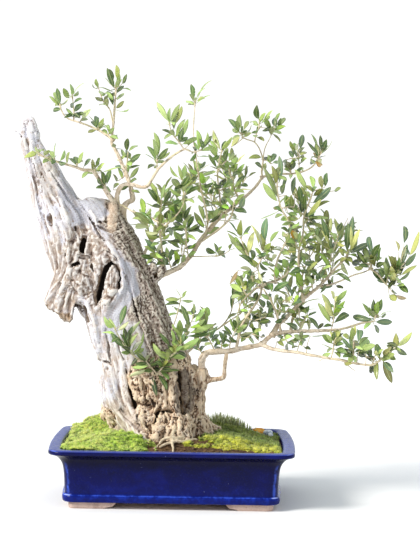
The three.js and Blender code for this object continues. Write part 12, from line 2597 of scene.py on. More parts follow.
        ((253.8, 70.8, 418.6, 253.8, 70.8, 418.6, 257.9, 64, 446.2, -.45, .85, .28, 10.3), "d", 0, 2),
        ((250.9, 75.5, 426.5, 250.9, 75.5, 426.5, 268.1, 100.3, 447, -.52, -.29, .80, 9.9), "g", 0, 2),
        ((250.9, 75.5, 426.5, 250.9, 75.5, 426.5, 221.4, 71.3, 441.8, .41, .29, .87, 7.8), "g", 0, 2),
        ((247.8, 79.8, 434.7, 247.8, 79.8, 434.7, 231.7, 107.2, 439, .06, -.12, .99, 8.9), "y", 0, 2),
        ((247.8, 79.8, 434.7, 247.8, 79.8, 434.7, 254.8, 67, 471.1, -.46, .81, .37, 8.5), "d", 0, 2),
        ((245.3, 84, 443.1, 245.3, 84, 443.1, 249.5, 101.1, 465, -.43, -.67, .61, 9.3), "d", 0, 2),
        ((245.3, 84, 443.1, 245.3, 84, 443.1, 227.2, 88.6, 465.4, .78, .06, .62, 10.7), "y", 0, 2),
    ]),
    ("k4_s3", "twig_back_right", "K4", [[(269.8, 84, 421.7), (280.1, 90.5, 432.8), (288.5, 96.2, 445.8), (296, 101, 459.6), (300.4, 102.8, 475.3)]], [
        ((280.1, 90.5, 432.8, 280.1, 90.5, 432.8, 268, 116.7, 460.2, .58, -.45, .68, 7.8), "g", 0, 2),
        ((280.1, 90.5, 432.8, 280.1, 90.5, 432.8, 314, 81.9, 443, -.22, .26, .94, 8.6), "g", 0, 2),
        ((285.1, 93.9, 440.6, 285.1, 93.9, 440.6, 286.3, 79.8, 475, .33, .88, .35, 10.3), "g", 0, 2),
        ((285.1, 93.9, 440.6, 285.1, 93.9, 440.6, 302.2, 117, 441.8, .04, -.09, .99, 10.6), "d", 0, 2),
        ((290, 97.2, 448.5, 290, 97.2, 448.5, 277.7, 119.3, 473.4, .58, -.44, .68, 10.4), "d", 0, 2),
        ((290, 97.2, 448.5, 290, 97.2, 448.5, 325.7, 86.9, 461.5, -.26, .26, .93, 8.6), "d", 0, 2),
        ((294.5, 100.1, 456.8, 294.5, 100.1, 456.8, 318.3, 131.6, 461.9, -.01, -.15, .99, 8.5), "d", 0, 2),
    ]),
    ("k4_s4", "twig_back_right", "K4", [[(279.7, 104, 437.1), (274.4, 112.5, 444.8), (269.8, 119.9, 454), (266.3, 125.1, 465), (265.4, 129.3, 476.9)]], [
        ((274.4, 112.5, 444.8, 274.4, 112.5, 444.8, 291, 127.4, 469.6, -.78, -.15, .61, 7.9), "g", 0, 2),
        ((274.4, 112.5, 444.8, 274.4, 112.5, 444.8, 243.7, 121.2, 449.6, .19, .15, .97, 8.9), "g", 0, 2),
        ((270.9, 118.1, 451.7, 270.9, 118.1, 451.7, 266.9, 151.8, 451.4, -.12, -.00, .99, 8.2), "g", 0, 2),
        ((270.9, 118.1, 451.7, 270.9, 118.1, 451.7, 259.2, 108.3, 483.2, .26, .89, .37, 10.2), "d", 0, 2),
        ((268, 122.5, 459.5, 268, 122.5, 459.5, 240.1, 129.4, 468.8, .33, .06, .94, 9), "g", 0, 2),
        ((266.1, 126.1, 468, 266.1, 126.1, 468, 266.8, 158.7, 478.8, -.04, -.32, .95, 8.9), "o", 0, 2),
        ((266.1, 126.1, 468, 266.1, 126.1, 468, 262.7, 108.5, 495.5, .08, .83, .54, 10.5), "o", 0, 2),
        ((265.4, 129.3, 476.9, 265.4, 129.3, 476.9, 252.8, 137.4, 496.9, .76, -.28, .59, 9.4), "d", 0, 2),
    ]),
    ("k4_tip", "twig_back_right", "K4", [[(279.7, 104, 437.1), (284.6, 110, 448), (289.6, 115.2, 459.2), (295.5, 121.1, 469.6), (301.5, 124.7, 481)]], [
        ((284.6, 110, 448, 284.6, 110, 448, 275.7, 102.6, 480.8, .70, .63, .33, 9.2), "y", 0, 2),
        ((284.6, 110, 448, 284.6, 110, 448, 306.5, 130.9, 450.7, -.07, -.06, 1.00, 9.7), "g", 0, 2),
        ((288.4, 113.9, 456.4, 288.4, 113.9, 456.4, 315.4, 102.3, 475.1, -.38, .43, .82, 10.7), "d", 0, 2),
        ((288.4, 113.9, 456.4, 288.4, 113.9, 456.4, 276.7, 144.2, 475, .39, -.37, .84, 9.6), "g", 0, 2),
        ((292.6, 118.1, 464.4, 292.6, 118.1, 464.4, 318, 142.2, 464, .00, .01, 1.00, 9.9), "d", 0, 2),
    ]),
    ("k5_s1", "limb_back_low", "K5", [[(25.2, 72, 246.1), (35.4, 74, 256), (43.6, 76.1, 267.5), (50.2, 78.6, 280), (54.4, 82.8, 293.1)]], [
        ((35.4, 74, 256, 35.4, 74, 256, 39.1, 54.5, 281.7, .22, .79, .57, 10.3), "y", 0, 2),
        ((40.3, 75.3, 262.9, 40.3, 75.3, 262.9, 33.3, 88.4, 287.5, .71, -.52, .48, 8.8), "g", 0, 2),
        ((45, 76.6, 270, 45, 76.6, 270, 64.3, 100.8, 277.5, -.06, -.25, .97, 9.2), "g", 0, 2),
        ((45, 76.6, 270, 45, 76.6, 270, 43.6, 59.5, 296, .33, .78, .53, 8.5), "d", 0, 2),
        ((48.9, 78.1, 277.5, 48.9, 78.1, 277.5, 36.4, 97.5, 306.5, .64, -.48, .60, 9.9), "y", 0, 2),
        ((48.9, 78.1, 277.5, 48.9, 78.1, 277.5, 78.3, 67.8, 286.9, -.23, .22, .95, 8.7), "d", 0, 2),
        ((51.9, 80.3, 285.2, 51.9, 80.3, 285.2, 70.5, 103.4, 292.4, -.13, -.19, .97, 9.5), "o", 0, 2),
        ((51.9, 80.3, 285.2, 51.9, 80.3, 285.2, 42, 64.6, 320.2, .52, .71, .47, 9.8), "d", 0, 2),
        ((54.4, 82.8, 293.1, 54.4, 82.8, 293.1, 52.4, 94.7, 311.6, .40, -.75, .53, 8.6), "g", 0, 2),
    ]),
    ("k5_s2", "limb_back_low", "K5", [[(51.1, 92, 266), (50.8, 100.8, 272.8), (51.8, 108.8, 280.5), (53.7, 115.2, 289.5), (56.2, 119.2, 299.6)]], [
        ((50.8, 100.8, 272.8, 50.8, 100.8, 272.8, 31, 123.8, 279.2, .31, .00, .95, 8.7), "o", 0, 2),
        ((50.8, 100.8, 272.8, 50.8, 100.8, 272.8, 73.1, 104.8, 292, -.66, .27, .70, 9.1), "d", 0, 2),
        ((51.5, 106.8, 278.6, 51.5, 106.8, 278.6, 40.5, 105.9, 312.1, .69, .68, .24, 8.1), "d", 0, 2),
        ((51.5, 106.8, 278.6, 51.5, 106.8, 278.6, 63.7, 132.7, 275.9, -.04, .12, .99, 9.1), "y", 0, 2),
        ((52.7, 112, 285, 52.7, 112, 285, 35.8, 136.6, 295.2, .35, -.14, .93, 10.1), "d", 0, 2),
        ((54.3, 116.2, 292, 54.3, 116.2, 292, 41.4, 106.8, 321.7, .65, .60, .47, 8.2), "y", 0, 2),
        ((56.2, 119.2, 299.6, 56.2, 119.2, 299.6, 53.3, 134.1, 318, .34, -.70, .62, 10), "g", 0, 2),
    ]),
    ("k5_s3", "limb_back_low", "K5", [[(80.8, 108, 286.5), (89, 106.6, 297.1), (95.2, 105.5, 309), (98.8, 102.3, 321.5), (100, 100.4, 334.8)]], [
        ((89, 106.6, 297.1, 89, 106.6, 297.1, 105.5, 77.1, 311.2, -.05, .41, .91, 10.6), "d", 0, 2),
        ((93.7, 105.8, 306, 93.7, 105.8, 306, 129.5, 112.1, 313.8, -.20, -.10, .98, 8.9), "g", 0, 2),
        ((97, 103.9, 315.2, 97, 103.9, 315.2, 98.8, 124.5, 342.4, .09, -.80, .60, 8.8), "d", 0, 2),
        ((99.1, 101.8, 324.8, 99.1, 101.8, 324.8, 127.7, 102.9, 343.8, -.55, -.09, .83, 10.6), "d", 0, 2),
        ((100, 100.4, 334.8, 100, 100.4, 334.8, 100.4, 108, 357.7, .05, -.95, .31, 8.5), "d", 0, 2),
        ((100, 100.4, 334.8, 100, 100.4, 334.8, 103.7, 85.4, 356.6, -.16, .80, .58, 9.8), "d", 0, 2),
    ]),
    ("k5_s4", "limb_back_low", "K5", [[(112.6, 120, 307.5), (111.8, 131.2, 317.7), (110.7, 141.2, 329.1), (111.1, 150.8, 340.8), (108.8, 157.6, 354.2)]], [
        ((111.8, 131.2, 317.7, 111.8, 131.2, 317.7, 125.7, 128.3, 352.2, -.69, .65, .33, 10.2), "d", 0, 2),
        ((111.2, 137.2, 324.5, 111.2, 137.2, 324.5, 129, 158.6, 330.8, -.30, -.03, .95, 7.8), "g", 0, 2),
        ((110.8, 143.2, 331.4, 110.8, 143.2, 331.4, 95.7, 173.6, 334.1, .15, -.01, .99, 9.5), "g", 0, 2),
        ((110.8, 143.2, 331.4, 110.8, 143.2, 331.4, 128.6, 138.8, 364.1, -.66, .60, .44, 10.4), "d", 0, 2),
        ((111, 148.9, 338.5, 111, 148.9, 338.5, 92.5, 150.2, 361.5, .74, .33, .58, 9.4), "d", 0, 2),
        ((111, 148.9, 338.5, 111, 148.9, 338.5, 137.3, 178.2, 345.3, -.24, -.01, .97, 9.7), "y", 0, 2),
        ((110.2, 153.5, 346.2, 110.2, 153.5, 346.2, 97.6, 182.1, 351.7, .08, -.15, .98, 8.8), "g", 0, 2),
        ((110.2, 153.5, 346.2, 110.2, 153.5, 346.2, 116.8, 142.2, 375, -.40, .82, .41, 10.2), "d", 0, 2),
        ((108.8, 157.6, 354.2, 108.8, 157.6, 354.2, 95.6, 162.7, 373.8, .83, -.03, .56, 9.7), "d", 0, 2),
        ((108.8, 157.6, 354.2, 108.8, 157.6, 354.2, 115.8, 172.7, 374.4, -.53, -.58, .62, 9.7), "d", 0, 2),
    ]),
    ("k5_tip", "limb_back_low", "K5", [[(112.6, 120, 307.5), (120.1, 122.7, 317.5), (125.3, 123.8, 329.2), (130.5, 126, 340.6), (135.5, 128.9, 352.1)]], [
        ((120.1, 122.7, 317.5, 120.1, 122.7, 317.5, 145.3, 141.3, 326.5, -.18, -.22, .96, 10), "g", 0, 2),
        ((120.1, 122.7, 317.5, 120.1, 122.7, 317.5, 109.6, 104.8, 349.7, .58, .62, .53, 10.1), "g", 0, 2),
        ((124, 123.5, 326.3, 124, 123.5, 326.3, 116.1, 144.1, 349.6, .46, -.58, .67, 8.2), "g", 0, 2),
        ((124, 123.5, 326.3, 124, 123.5, 326.3, 151.7, 103.4, 340.8, -.23, .34, .91, 8.9), "o", 0, 2),
        ((127.9, 124.9, 334.9, 127.9, 124.9, 334.9, 155, 145.5, 342.5, -.14, -.17, .97, 9.3), "d", 0, 2),
        ((127.9, 124.9, 334.9, 127.9, 124.9, 334.9, 118.7, 112.1, 364.7, .63, .62, .46, 9.9), "d", 0, 2),
        ((131.8, 126.7, 343.5, 131.8, 126.7, 343.5, 123.9, 150.6, 362.3, .39, -.49, .78, 8.1), "g", 0, 2),
        ((131.8, 126.7, 343.5, 131.8, 126.7, 343.5, 156.9, 110.2, 360.8, -.31, .43, .85, 8.8), "g", 0, 2),
        ((135.5, 128.9, 352.1, 135.5, 128.9, 352.1, 152.3, 141, 367.6, -.48, -.36, .80, 7.8), "d", 0, 2),
        ((135.5, 128.9, 352.1, 135.5, 128.9, 352.1, 136.5, 127.6, 378.4, .62, .78, .01, 10.2), "o", 0, 2),
    ]),
    ("r_in1", "branch_right_lower", "R", [[(67, -20, 252), (63.4, -26, 264.1), (56.5, -32, 276.4), (47.9, -36, 285.1)]], [
        ((55.6, -32.4, 277.3, 54.8, -32.7, 276.4, 39.1, -12.1, 294.9, .16, -.59, .79, 9.1), "u", 0, 0),
        ((53, -33.6, 279.9, 53, -31.8, 279.7, 50.9, -14.6, 300.5, .72, -.49, .48, 8), "g", 0, 0),
        ((56.9, -31.6, 275.6, 58.1, -30.7, 276.3, 64.5, -54.6, 300.3, .62, .63, .46, 7.7), "w", 0, 0),
        ((58.1, -30.6, 273.6, 59.9, -30.8, 274.7, 73, -48.8, 298.3, -.74, -.67, -.10, 8.9), "u", 0, 0),
        ((60, -28.9, 270.2, 61.6, -26, 270.9, 75.2, 5.8, 280.4, .34, -.40, .85, 8.9), "u", 0, 0),
        ((51.3, -34.4, 281.6, 51.3, -35, 281.6, 36.3, -65.5, 287.2, .74, -.25, .62, 8.1), "d", 0, 0),
        ((62.7, -26.6, 265.4, 63.4, -23.8, 265.6, 49.8, 2.9, 263.1, -.78, -.35, .52, 7.5), "g", 0, 0),
        ((62.4, -26.9, 266, 65.1, -25.4, 267.5, 70, -1.2, 279.2, -.34, -.35, .87, 7.8), "b", 0, 0),
        ((64.7, -23.9, 259.9, 66.9, -25.8, 260.7, 80.5, 3.5, 270.4, .23, -.40, .89, 7.6), "u", 0, 0),
        ((58.4, -30.3, 273, 58.2, -28.5, 272.7, 44.8, -54.4, 273, .75, -.38, .54, 9), "u", 0, 0),
        ((47.9, -36, 285.1, 47.9, -37.7, 285.2, 30.6, -16.4, 295.1, -.12, -.50, .86, 8.8), "g", 0, 0),
        ((47.9, -36, 285.1, 47.8, -35.4, 286.7, 54.3, -57.5, 308.8, -.61, -.64, -.46, 8.2), "d", 0, 0),
    ]),
    ("r_in2", "branch_right_lower", "R", [[(92.4, -28, 254.6), (93.8, -34, 267), (98.6, -38, 281), (103.5, -40, 293.1)]], [
        ((97.4, -37, 277.4, 97, -34.5, 277.3, 79.7, -62.3, 292.8, .88, -.38, .30, 7.8), "u", 0, 0),
        ((98.6, -38, 281, 98.6, -37.4, 280.9, 83.3, -17.4, 297.8, -.00, -.64, .77, 7.6), "d", 0, 0),
        ((101.5, -39.2, 288.1, 101.9, -38.6, 287.9, 93.2, -22.2, 310.2, .54, -.57, .62, 7.7), "g", 0, 0),
        ((102.9, -39.8, 291.6, 103.5, -41.1, 291.5, 106.9, -9.8, 314.7, -.35, .58, -.73, 9.7), "w", 0, 0),
        ((102.5, -39.6, 290.8, 105.2, -39.2, 289.7, 118.5, -31.1, 313, .46, .73, -.51, 8.1), "w", 0, 0),
        ((101.4, -39.1, 287.9, 105.2, -41.9, 286.5, 121.5, -58.5, 301.6, -.77, -.62, .15, 9), "g", 0, 0),
        ((98.9, -38.1, 281.6, 100.3, -39.2, 281.1, 114.3, -7.4, 287.3, .20, -.27, .94, 7.5), "u", 0, 0),
        ((95.1, -35, 270.7, 95.5, -32.5, 270.3, 80, -58.5, 277.3, .78, -.32, .54, 8.6), "u", 0, 0),
        ((94.6, -34.6, 269.1, 95.5, -33.9, 268.7, 109.4, -7.3, 271.8, .29, -.26, .92, 8.4), "d", 0, 0),
        ((103.5, -40, 293.1, 103.4, -40.7, 293.1, 97.7, -70.2, 312.1, .58, -.52, -.63, 8.4), "d", 0, 0),
        ((103.1, -39.9, 292.3, 105.2, -40, 291.4, 128.6, -30.8, 313.2, -.10, -.88, .47, 8.7), "b", 0, 0),
        ((93.6, -33, 265, 92.2, -32, 265.1, 80.2, -56.9, 265.4, .69, -.33, .65, 7.7), "g", 0, 0),
    ]),
    ("r_in3", "branch_right_lower", "R", [[(78.9, -24, 253.1), (79.6, -28, 262.9), (80.3, -30, 271.5)]], [
        ((79.7, -28.4, 264.5, 78.7, -30.2, 264.7, 68.4, -3.3, 274.2, -.86, -.42, .27, 8.8), "b", 0, 0),
        ((79.8, -28.8, 266.4, 80.3, -28.8, 266.3, 88.3, -59.2, 282.6, -.86, -.40, -.32, 8.9), "d", 0, 0),
        ((79.4, -27.2, 261, 78.7, -29, 261.2, 67, -2.2, 258.6, -.75, -.38, -.53, 8.5), "u", 0, 0),
        ((79.6, -28, 262.9, 80.4, -30.8, 263.1, 91.8, -61.6, 269.4, -.73, -.39, -.56, 7.5), "g", 0, 0),
        ((80.3, -30, 271.5, 80.2, -30.3, 271.6, 75, -9.5, 286.8, .33, -.50, .80, 8.9), "d", 0, 0),
        ((80.3, -30, 271.5, 80.3, -29.1, 271.4, 86.5, -59, 290.9, -.62, -.51, -.59, 9.1), "u", 0, 0),
    ]),
    ("r_in5", "branch_middle", "R5", [[(119.9, -46, 312.4), (131.6, -50, 309.5), (143.2, -54, 311.7), (153.2, -56, 315.4)]], [
        ((133.2, -50.6, 309.8, 133.3, -49.3, 309.5, 147.7, -25.9, 297.8, .88, -.42, .23, 7.9), "d", 0, 0),
        ((136.7, -51.8, 310.5, 136.6, -50, 311.3, 126, -81, 301.7, -.19, -.23, .95, 7.6), "k", 0, 0),
        ((140, -52.9, 311.1, 139.9, -52.5, 311.5, 154.1, -22.1, 323.2, -.05, -.34, .94, 8.8), "d", 0, 0),
        ((143.2, -54, 311.7, 143.2, -53.1, 311.6, 137.1, -82.5, 330.3, .84, -.41, -.36, 7.8), "g", 0, 0),
        ((146.7, -54.7, 313, 146.6, -52.2, 313.3, 162.9, -21.7, 304.6, .89, -.46, .04, 8), "k", 0, 0),
        ((153.2, -56, 315.4, 153.1, -58.6, 315.6, 165.2, -88.7, 326.2, -.94, -.34, .12, 7.7), "d", 0, 0),
        ((153.2, -56, 315.4, 153.2, -54, 315.2, 169.5, -24.8, 311.7, .76, -.36, .54, 9.1), "g", 0, 0),
        ((149.7, -55.3, 314.1, 149.9, -53.9, 313.5, 157.9, -25.2, 296.2, .90, -.38, -.21, 8.3), "k", 0, 0),
        ((144.2, -54.2, 312.1, 145, -52.1, 309.9, 146.2, -20.6, 290.6, -.62, .43, .66, 8.3), "w", 0, 0),
        ((126.5, -48.3, 310.8, 126.6, -45.5, 310.8, 122, -17.8, 320.6, .23, -.29, .93, 8.1), "k", 0, 0),
        ((136.5, -51.7, 310.4, 136.7, -48.9, 309.5, 130.5, -17.8, 320.8, .36, -.25, .90, 7.9), "d", 0, 0),
        ((153.2, -56, 315.4, 156.5, -57.1, 317.2, 162, -80.9, 333.9, -.71, -.51, -.48, 8.5), "u", 0, 0),
    ]),
    ("r_in6", "branch_right_lower", "R", [[(182.5, -49, 289.6), (185.6, -58, 280.7), (190.6, -62, 272.8)]], [
        ((187.5, -59.5, 277.7, 187.3, -58.4, 277.4, 176.8, -32.4, 270, -.92, -.30, .25, 8), "g", 0, 0),
        ((189.4, -61.1, 274.6, 188.9, -62.9, 274.5, 199.4, -90.7, 270.4, -.51, -.31, .80, 8.2), "u", 0, 0),
        ((190.6, -62, 272.8, 190.7, -61.2, 272.7, 188.8, -33.4, 258.4, -.86, -.28, -.43, 8.9), "u", 0, 0),
        ((185.6, -58, 280.7, 185.6, -59.1, 280.8, 196, -85, 284.8, -.89, -.30, .35, 9.1), "g", 0, 0),
        ((184.5, -54.7, 284, 184, -56.1, 283.9, 173.2, -32.1, 280.1, -.58, -.38, -.72, 8.9), "d", 0, 0),
        ((190.6, -62, 272.8, 190.6, -63.8, 272.9, 202.4, -92.9, 278.9, .58, .39, .72, 9), "w", 0, 0),
    ]),
    ("j_in1", "branch_right_upper", "J", [[(-7, 0, 387.4), (-10.4, -8, 399.7), (-13.8, -14, 410.1)]], [
        ((-9.1, -5.1, 395.3, -0.1, -7, 398.1, 1.7, -32.2, 421.1, -.34, -.65, -.68, 9.5), "b", 0, 0),
        ((-11.4, -9.8, 402.8, -10.3, -11.6, 403.2, -23.3, 18.1, 417.3, .16, -.37, .92, 9.2), "k", 0, 0),
        ((-12.6, -11.9, 406.4, -12.1, -12.1, 406.6, -7.8, 13.6, 424.6, -.23, -.53, .81, 8.2), "d", 0, 0),
        ((-13.8, -14, 410.1, -13.8, -12.6, 410, -28.3, 11.8, 422.6, .05, -.44, .90, 7.8), "k", 0, 0),
        ((-9.8, -6.6, 397.6, -8.7, -5.9, 397.9, -24.8, 20.8, 400, -.42, -.32, .85, 8.5), "d", 0, 0),
        ((-9.2, -5.3, 395.5, -7, -3.6, 396.1, 7, -33.7, 409.4, -.89, -.45, -.08, 8.1), "k", 0, 0),
        ((-13.8, -14, 410.1, -15.4, -16.6, 410.1, -16.8, -40.5, 429.5, .54, -.55, -.64, 8.2), "g", 0, 0),
        ((-12.1, -11, 404.9, -17.2, -10, 403.1, -33.3, -34.6, 398.7, .41, -.41, .81, 8.6), "d", 0, 0),
        ((-13.6, -13.7, 409.5, -12.1, -12.1, 410, -1.1, 19.5, 422.8, .25, -.44, .86, 7.4), "d", 0, 0),
    ]),
    ("yellow1", "twig_middle_tall", "T", [[(180.4, -24, 452.6), (187.1, -26, 454.5), (192.1, -27, 456.3)]], [
        ((192.1, -27, 456.3, 193.6, -27.8, 461.4, 202.1, 1.3, 445.6, .60, -.51, -.61, 9.8), "a", 0, 0),
        ((192.1, -27, 456.3, 192.1, -26.2, 456.3, 184.4, -56.2, 440.1, -.14, -.44, .89, 7.5), "g", 0, 0),
        ((188.6, -26.3, 455, 188.7, -28.3, 454.6, 193.9, -55.8, 467, -.89, -.32, -.32, 8.5), "u", 0, 0),
    ]),
    ("yellow2", "twig_top_right", "JX", [[(234.9, 79, 571.7), (240, 78, 577)]], [
        ((240, 78, 577, 239.8, 76.7, 580.5, 252.3, 105.6, 574.2, .42, -.36, -.83, 8.4), "a", 0, 0),
        ((238.3, 78.3, 575.3, 238.2, 76.3, 575.2, 229.3, 46.6, 584.9, -.28, -.22, -.94, 8.1), "g", 0, 0),
    ]),
    ("r_in4", "branch_right_lower", "R", [[(51.9, -14, 244.1), (45, -20, 251.3), (39.8, -24, 258.4)]], [
        ((43.5, -21.1, 253.3, 43.2, -18.7, 252.9, 30.9, 8.2, 257.1, -.26, -.26, .93, 8.3), "d", 0, 0),
        ((41.2, -22.9, 256.4, 41.5, -20, 256.4, 34.2, 10.2, 267.3, -.05, -.35, .94, 8.5), "g", 0, 0),
        ((45, -20, 251.3, 45, -22.2, 251.5, 51.5, 4.8, 259.5, -.22, -.23, .95, 8.6), "u", 0, 0),
        ((39.8, -24, 258.4, 39.8, -21, 258.1, 44.7, -52.4, 276.2, -.81, -.39, -.45, 8.7), "d", 0, 0),
    ]),
    ("f1", "shoot_trunk_left", "None", [[(-29.6, -66, 219), (-37.7, -78, 230.2), (-45.9, -87, 240.9)]], [
        ((-39.2, -79.6, 232.1, -39.3, -81, 232.1, -55.6, -54.5, 244.4, .18, -.32, .93, 8.4), "k", 0, 0),
        ((-40.7, -81.2, 234.1, -41.1, -79, 233.5, -20.7, -96.6, 242.3, -.29, -.68, -.67, 7.5), "d", 0, 0),
        ((-38.4, -78.7, 231, -39.3, -81.2, 230.4, -26.8, -52.2, 227.8, .67, -.22, .71, 8.4), "k", 0, 0),
        ((-43.6, -84.5, 237.9, -44.2, -87, 237.6, -63.2, -107, 237.6, .59, -.56, .58, 8.9), "d", 0, 0),
        ((-40.5, -81.1, 233.9, -42.6, -81.9, 232.1, -70.1, -61.5, 227.9, -.55, -.62, .56, 9.2), "g", 0, 0),
        ((-45.9, -87, 240.9, -45.8, -89.4, 241.2, -40.4, -58.7, 248.4, -.86, .26, -.45, 7.5), "w", 0, 0),
        ((-45.9, -87, 240.9, -45.8, -89.5, 241.2, -61.8, -109.5, 256.1, .22, -.69, -.69, 8.6), "d", 0, 0),
        ((-45.9, -87, 240.9, -47.5, -87.8, 242.7, -65.5, -62.8, 256.8, .84, .52, .16, 8.1), "w", 0, 0),
        ((-35.5, -74.7, 227.1, -36.1, -75, 226.5, -45.2, -46.3, 204.8, -.14, .57, .81, 8), "w", 0, 0),
        ((-33.2, -71.3, 223.9, -34.5, -72.1, 222.9, -48.5, -98.5, 223.7, .63, -.31, .71, 8.1), "d", 0, 0),
        ((-38.5, -78.9, 231.2, -37.7, -78.5, 231.9, -37.1, -54, 244.6, -.51, -.39, .77, 8.8), "c", 0, 0),
        ((-42.1, -82.9, 236, -42.7, -80.1, 235.3, -55.4, -51.2, 223.8, -.88, -.45, -.15, 8.8), "u", 0, 0),
        ((-41.5, -82.1, 235.1, -41.1, -79.7, 235.3, -30.5, -103, 249.4, -.91, -.42, -.01, 8.5), "k", 0, 0),
    ]),
    ("f2", "shoot_trunk_right", "None", [[(-26.3, -66, 219.1), (-17.7, -78, 230.5), (-9.4, -86, 243.1)]], [
        ((-12.9, -82.7, 237.8, -12.8, -81.1, 237.6, -26.5, -57.4, 219.8, -.88, -.48, .04, 8), "o", 0, 0),
        ((-23.2, -70.3, 223.2, -22.9, -67.8, 222.7, -7.1, -91.6, 212, .09, -.35, .93, 8.9), "d", 0, 0),
        ((-16.4, -79.3, 232.5, -16.1, -78.5, 232.2, 0, -51.3, 234.9, .29, -.26, .92, 8.7), "k", 0, 0),
        ((-17.7, -78, 230.5, -17.7, -80, 230.7, -30.4, -103.8, 242.8, .86, -.50, -.07, 8.2), "d", 0, 0),
        ((-14.2, -81.3, 235.8, -14.4, -79.7, 235.7, -23.6, -57.7, 250.3, .05, -.54, .84, 7.5), "u", 0, 0),
        ((-9.4, -86, 243.1, -9.3, -87.7, 243.3, -9.1, -110.7, 263.7, .45, -.59, -.67, 8.7), "g", 0, 0),
        ((-9.4, -86, 243.1, -9.3, -87.1, 243.2, 4.9, -61.5, 254.4, .16, -.47, .87, 8.9), "d", 0, 0),
        ((-10.7, -84.7, 241.1, -11.1, -82, 241, -23.7, -57.4, 255.3, .13, -.45, .89, 7.8), "b", 0, 0),
        ((-21.6, -72.5, 225.2, -21.1, -73.8, 225, -38.8, -42.1, 219.8, -.73, -.30, .61, 8.6), "k", 0, 0),
        ((-19.3, -75.8, 228.4, -19.4, -77.9, 228.8, -3.8, -102.2, 229.8, -.69, -.42, .58, 8), "k", 0, 0),
        ((-10.7, -84.7, 241.1, -11, -86.8, 241.5, -1.8, -57, 245.5, .41, -.24, .88, 7.4), "g", 0, 0),
    ]),
    ("f3", "shoot_trunk_right", "None", [[(-2.9, -84, 251.4), (7, -88, 260.2), (11.9, -90, 270.5)]], [
        ((7, -88, 260.2, 7.1, -90.4, 260.5, -3.7, -64.1, 273, .24, -.34, .91, 8.2), "b", 0, 0),
        ((10.9, -89.6, 268.5, 10.2, -87.1, 268.6, 10.3, -110.7, 285.5, .72, -.40, -.56, 8.9), "y", 0, 0),
        ((10.2, -89.3, 267.1, 10.3, -90.5, 267.2, -3.6, -74.2, 283.9, .02, -.71, .71, 8), "d", 0, 0),
        ((7, -88, 260.2, 7, -88.2, 260.3, 27.1, -117.9, 271.5, -.84, -.51, .17, 8.9), "g", 0, 0),
        ((3.4, -86.6, 257.1, 3.7, -86.8, 256.8, 20.2, -67, 246.8, .80, -.50, .32, 9.2), "k", 0, 0),
        ((11.9, -90, 270.5, 11.9, -91, 270.6, 2.9, -72.2, 292.2, .41, -.60, .69, 8.6), "k", 0, 0),
        ((11.9, -90, 270.5, 11.9, -91, 270.6, 25.3, -121.3, 285, -.87, -.47, -.17, 7.6), "d", 0, 0),
        ((3.4, -86.6, 257.1, 3.7, -84.5, 256.6, -7.4, -112.8, 265.6, .93, -.38, -.04, 7.6), "y", 0, 0),
        ((0.7, -85.4, 254.6, 0.4, -85.9, 254.9, -10.8, -112.7, 270.4, .80, -.51, -.31, 8.6), "k", 0, 0),
        ((11.9, -90, 270.5, 11.8, -88.8, 270.4, 18.6, -120.1, 291.4, -.71, -.49, -.50, 8.8), "u", 0, 0),
    ]),
    ("f4", "shoot_trunk_left", "None", [[(-65.7, -92, 249.4), (-74, -97, 261.4), (-80.5, -101, 271.6)]], [
        ((-71.8, -95.7, 258.3, -72.2, -98.1, 258.2, -73.9, -107.5, 292.1, .78, -.62, -.13, 8.3), "k", 0, 0),
        ((-74, -97, 261.4, -73.9, -97.9, 261.4, -88.5, -111.7, 287.2, .81, -.57, .14, 7.7), "d", 0, 0),
        ((-75.2, -97.8, 263.3, -75.7, -95.1, 262.8, -58.9, -110, 289.2, -.63, -.78, -.04, 7.8), "g", 0, 0),
        ((-70.5, -94.9, 256.4, -70.6, -95.7, 256.3, -52, -114.2, 276.5, -.10, .68, .72, 7.6), "w", 0, 0),
        ((-77.2, -99, 266.5, -77.2, -100.4, 266.6, -97.1, -69.9, 270.3, -.52, -.43, .74, 9.2), "d", 0, 0),
        ((-79.3, -100.2, 269.6, -78.8, -101.8, 270, -83.3, -85.2, 296.8, .74, -.51, .44, 8.9), "k", 0, 0),
        ((-67.1, -92.8, 251.3, -67.4, -91.9, 251, -50.1, -70.9, 261.1, .35, -.62, .69, 8.6), "g", 0, 0),
        ((-67.1, -92.8, 251.3, -67.4, -93, 251.1, -81.2, -116.7, 258.1, .83, -.37, .41, 8.1), "d", 0, 0),
        ((-80.5, -101, 271.6, -80.6, -100.2, 271.5, -67.4, -109, 300.6, -.57, -.82, .01, 8.6), "d", 0, 0),
        ((-70.5, -94.9, 256.4, -70.7, -93.8, 256.1, -84.3, -123.5, 266.9, .92, -.36, .17, 8.8), "k", 0, 0),
    ]),
    ("g_in1", "twig_front_upper", "G", [[(-27.4, -36, 451.1), (-29.7, -44, 458), (-32.2, -50, 464.8)]], [
        ((-29.8, -44.1, 458.1, -25.6, -41.6, 459.7, -29.6, -61.3, 485.1, .81, -.52, -.27, 8.3), "k", 0, 0),
        ((-27.4, -36.2, 451.3, -19, -35.6, 454.6, -10.5, -6, 462.6, .94, -.31, .15, 8), "k", 0, 0),
        ((-27.4, -36, 451.1, -17.2, -34.8, 444.5, -27.6, -2.8, 457.2, -.34, -.44, .83, 9.8), "o", 0, 0),
        ((-26.6, -32.1, 446.2, -27.4, -31.1, 445.9, -47.5, -59.6, 449.7, .45, -.42, -.79, 8.2), "o", -1, 0),
        ((-28.2, -38.7, 453.5, -29.9, -37, 452.8, -51.7, -18.2, 453.7, .53, .65, -.55, 8.4), "w", 0, 0),
        ((-26.9, -46, 495, -24.5, -43.6, 500.1, -30.6, -73.8, 516.8, .91, -.33, -.26, 8.1), "o", -1, 0),
        ((-32.4, -41.5, 479.1, -42.7, -41.5, 477.9, -51.7, -6.7, 485.8, -.46, -.31, .83, 11.2), "o", -1, 0),
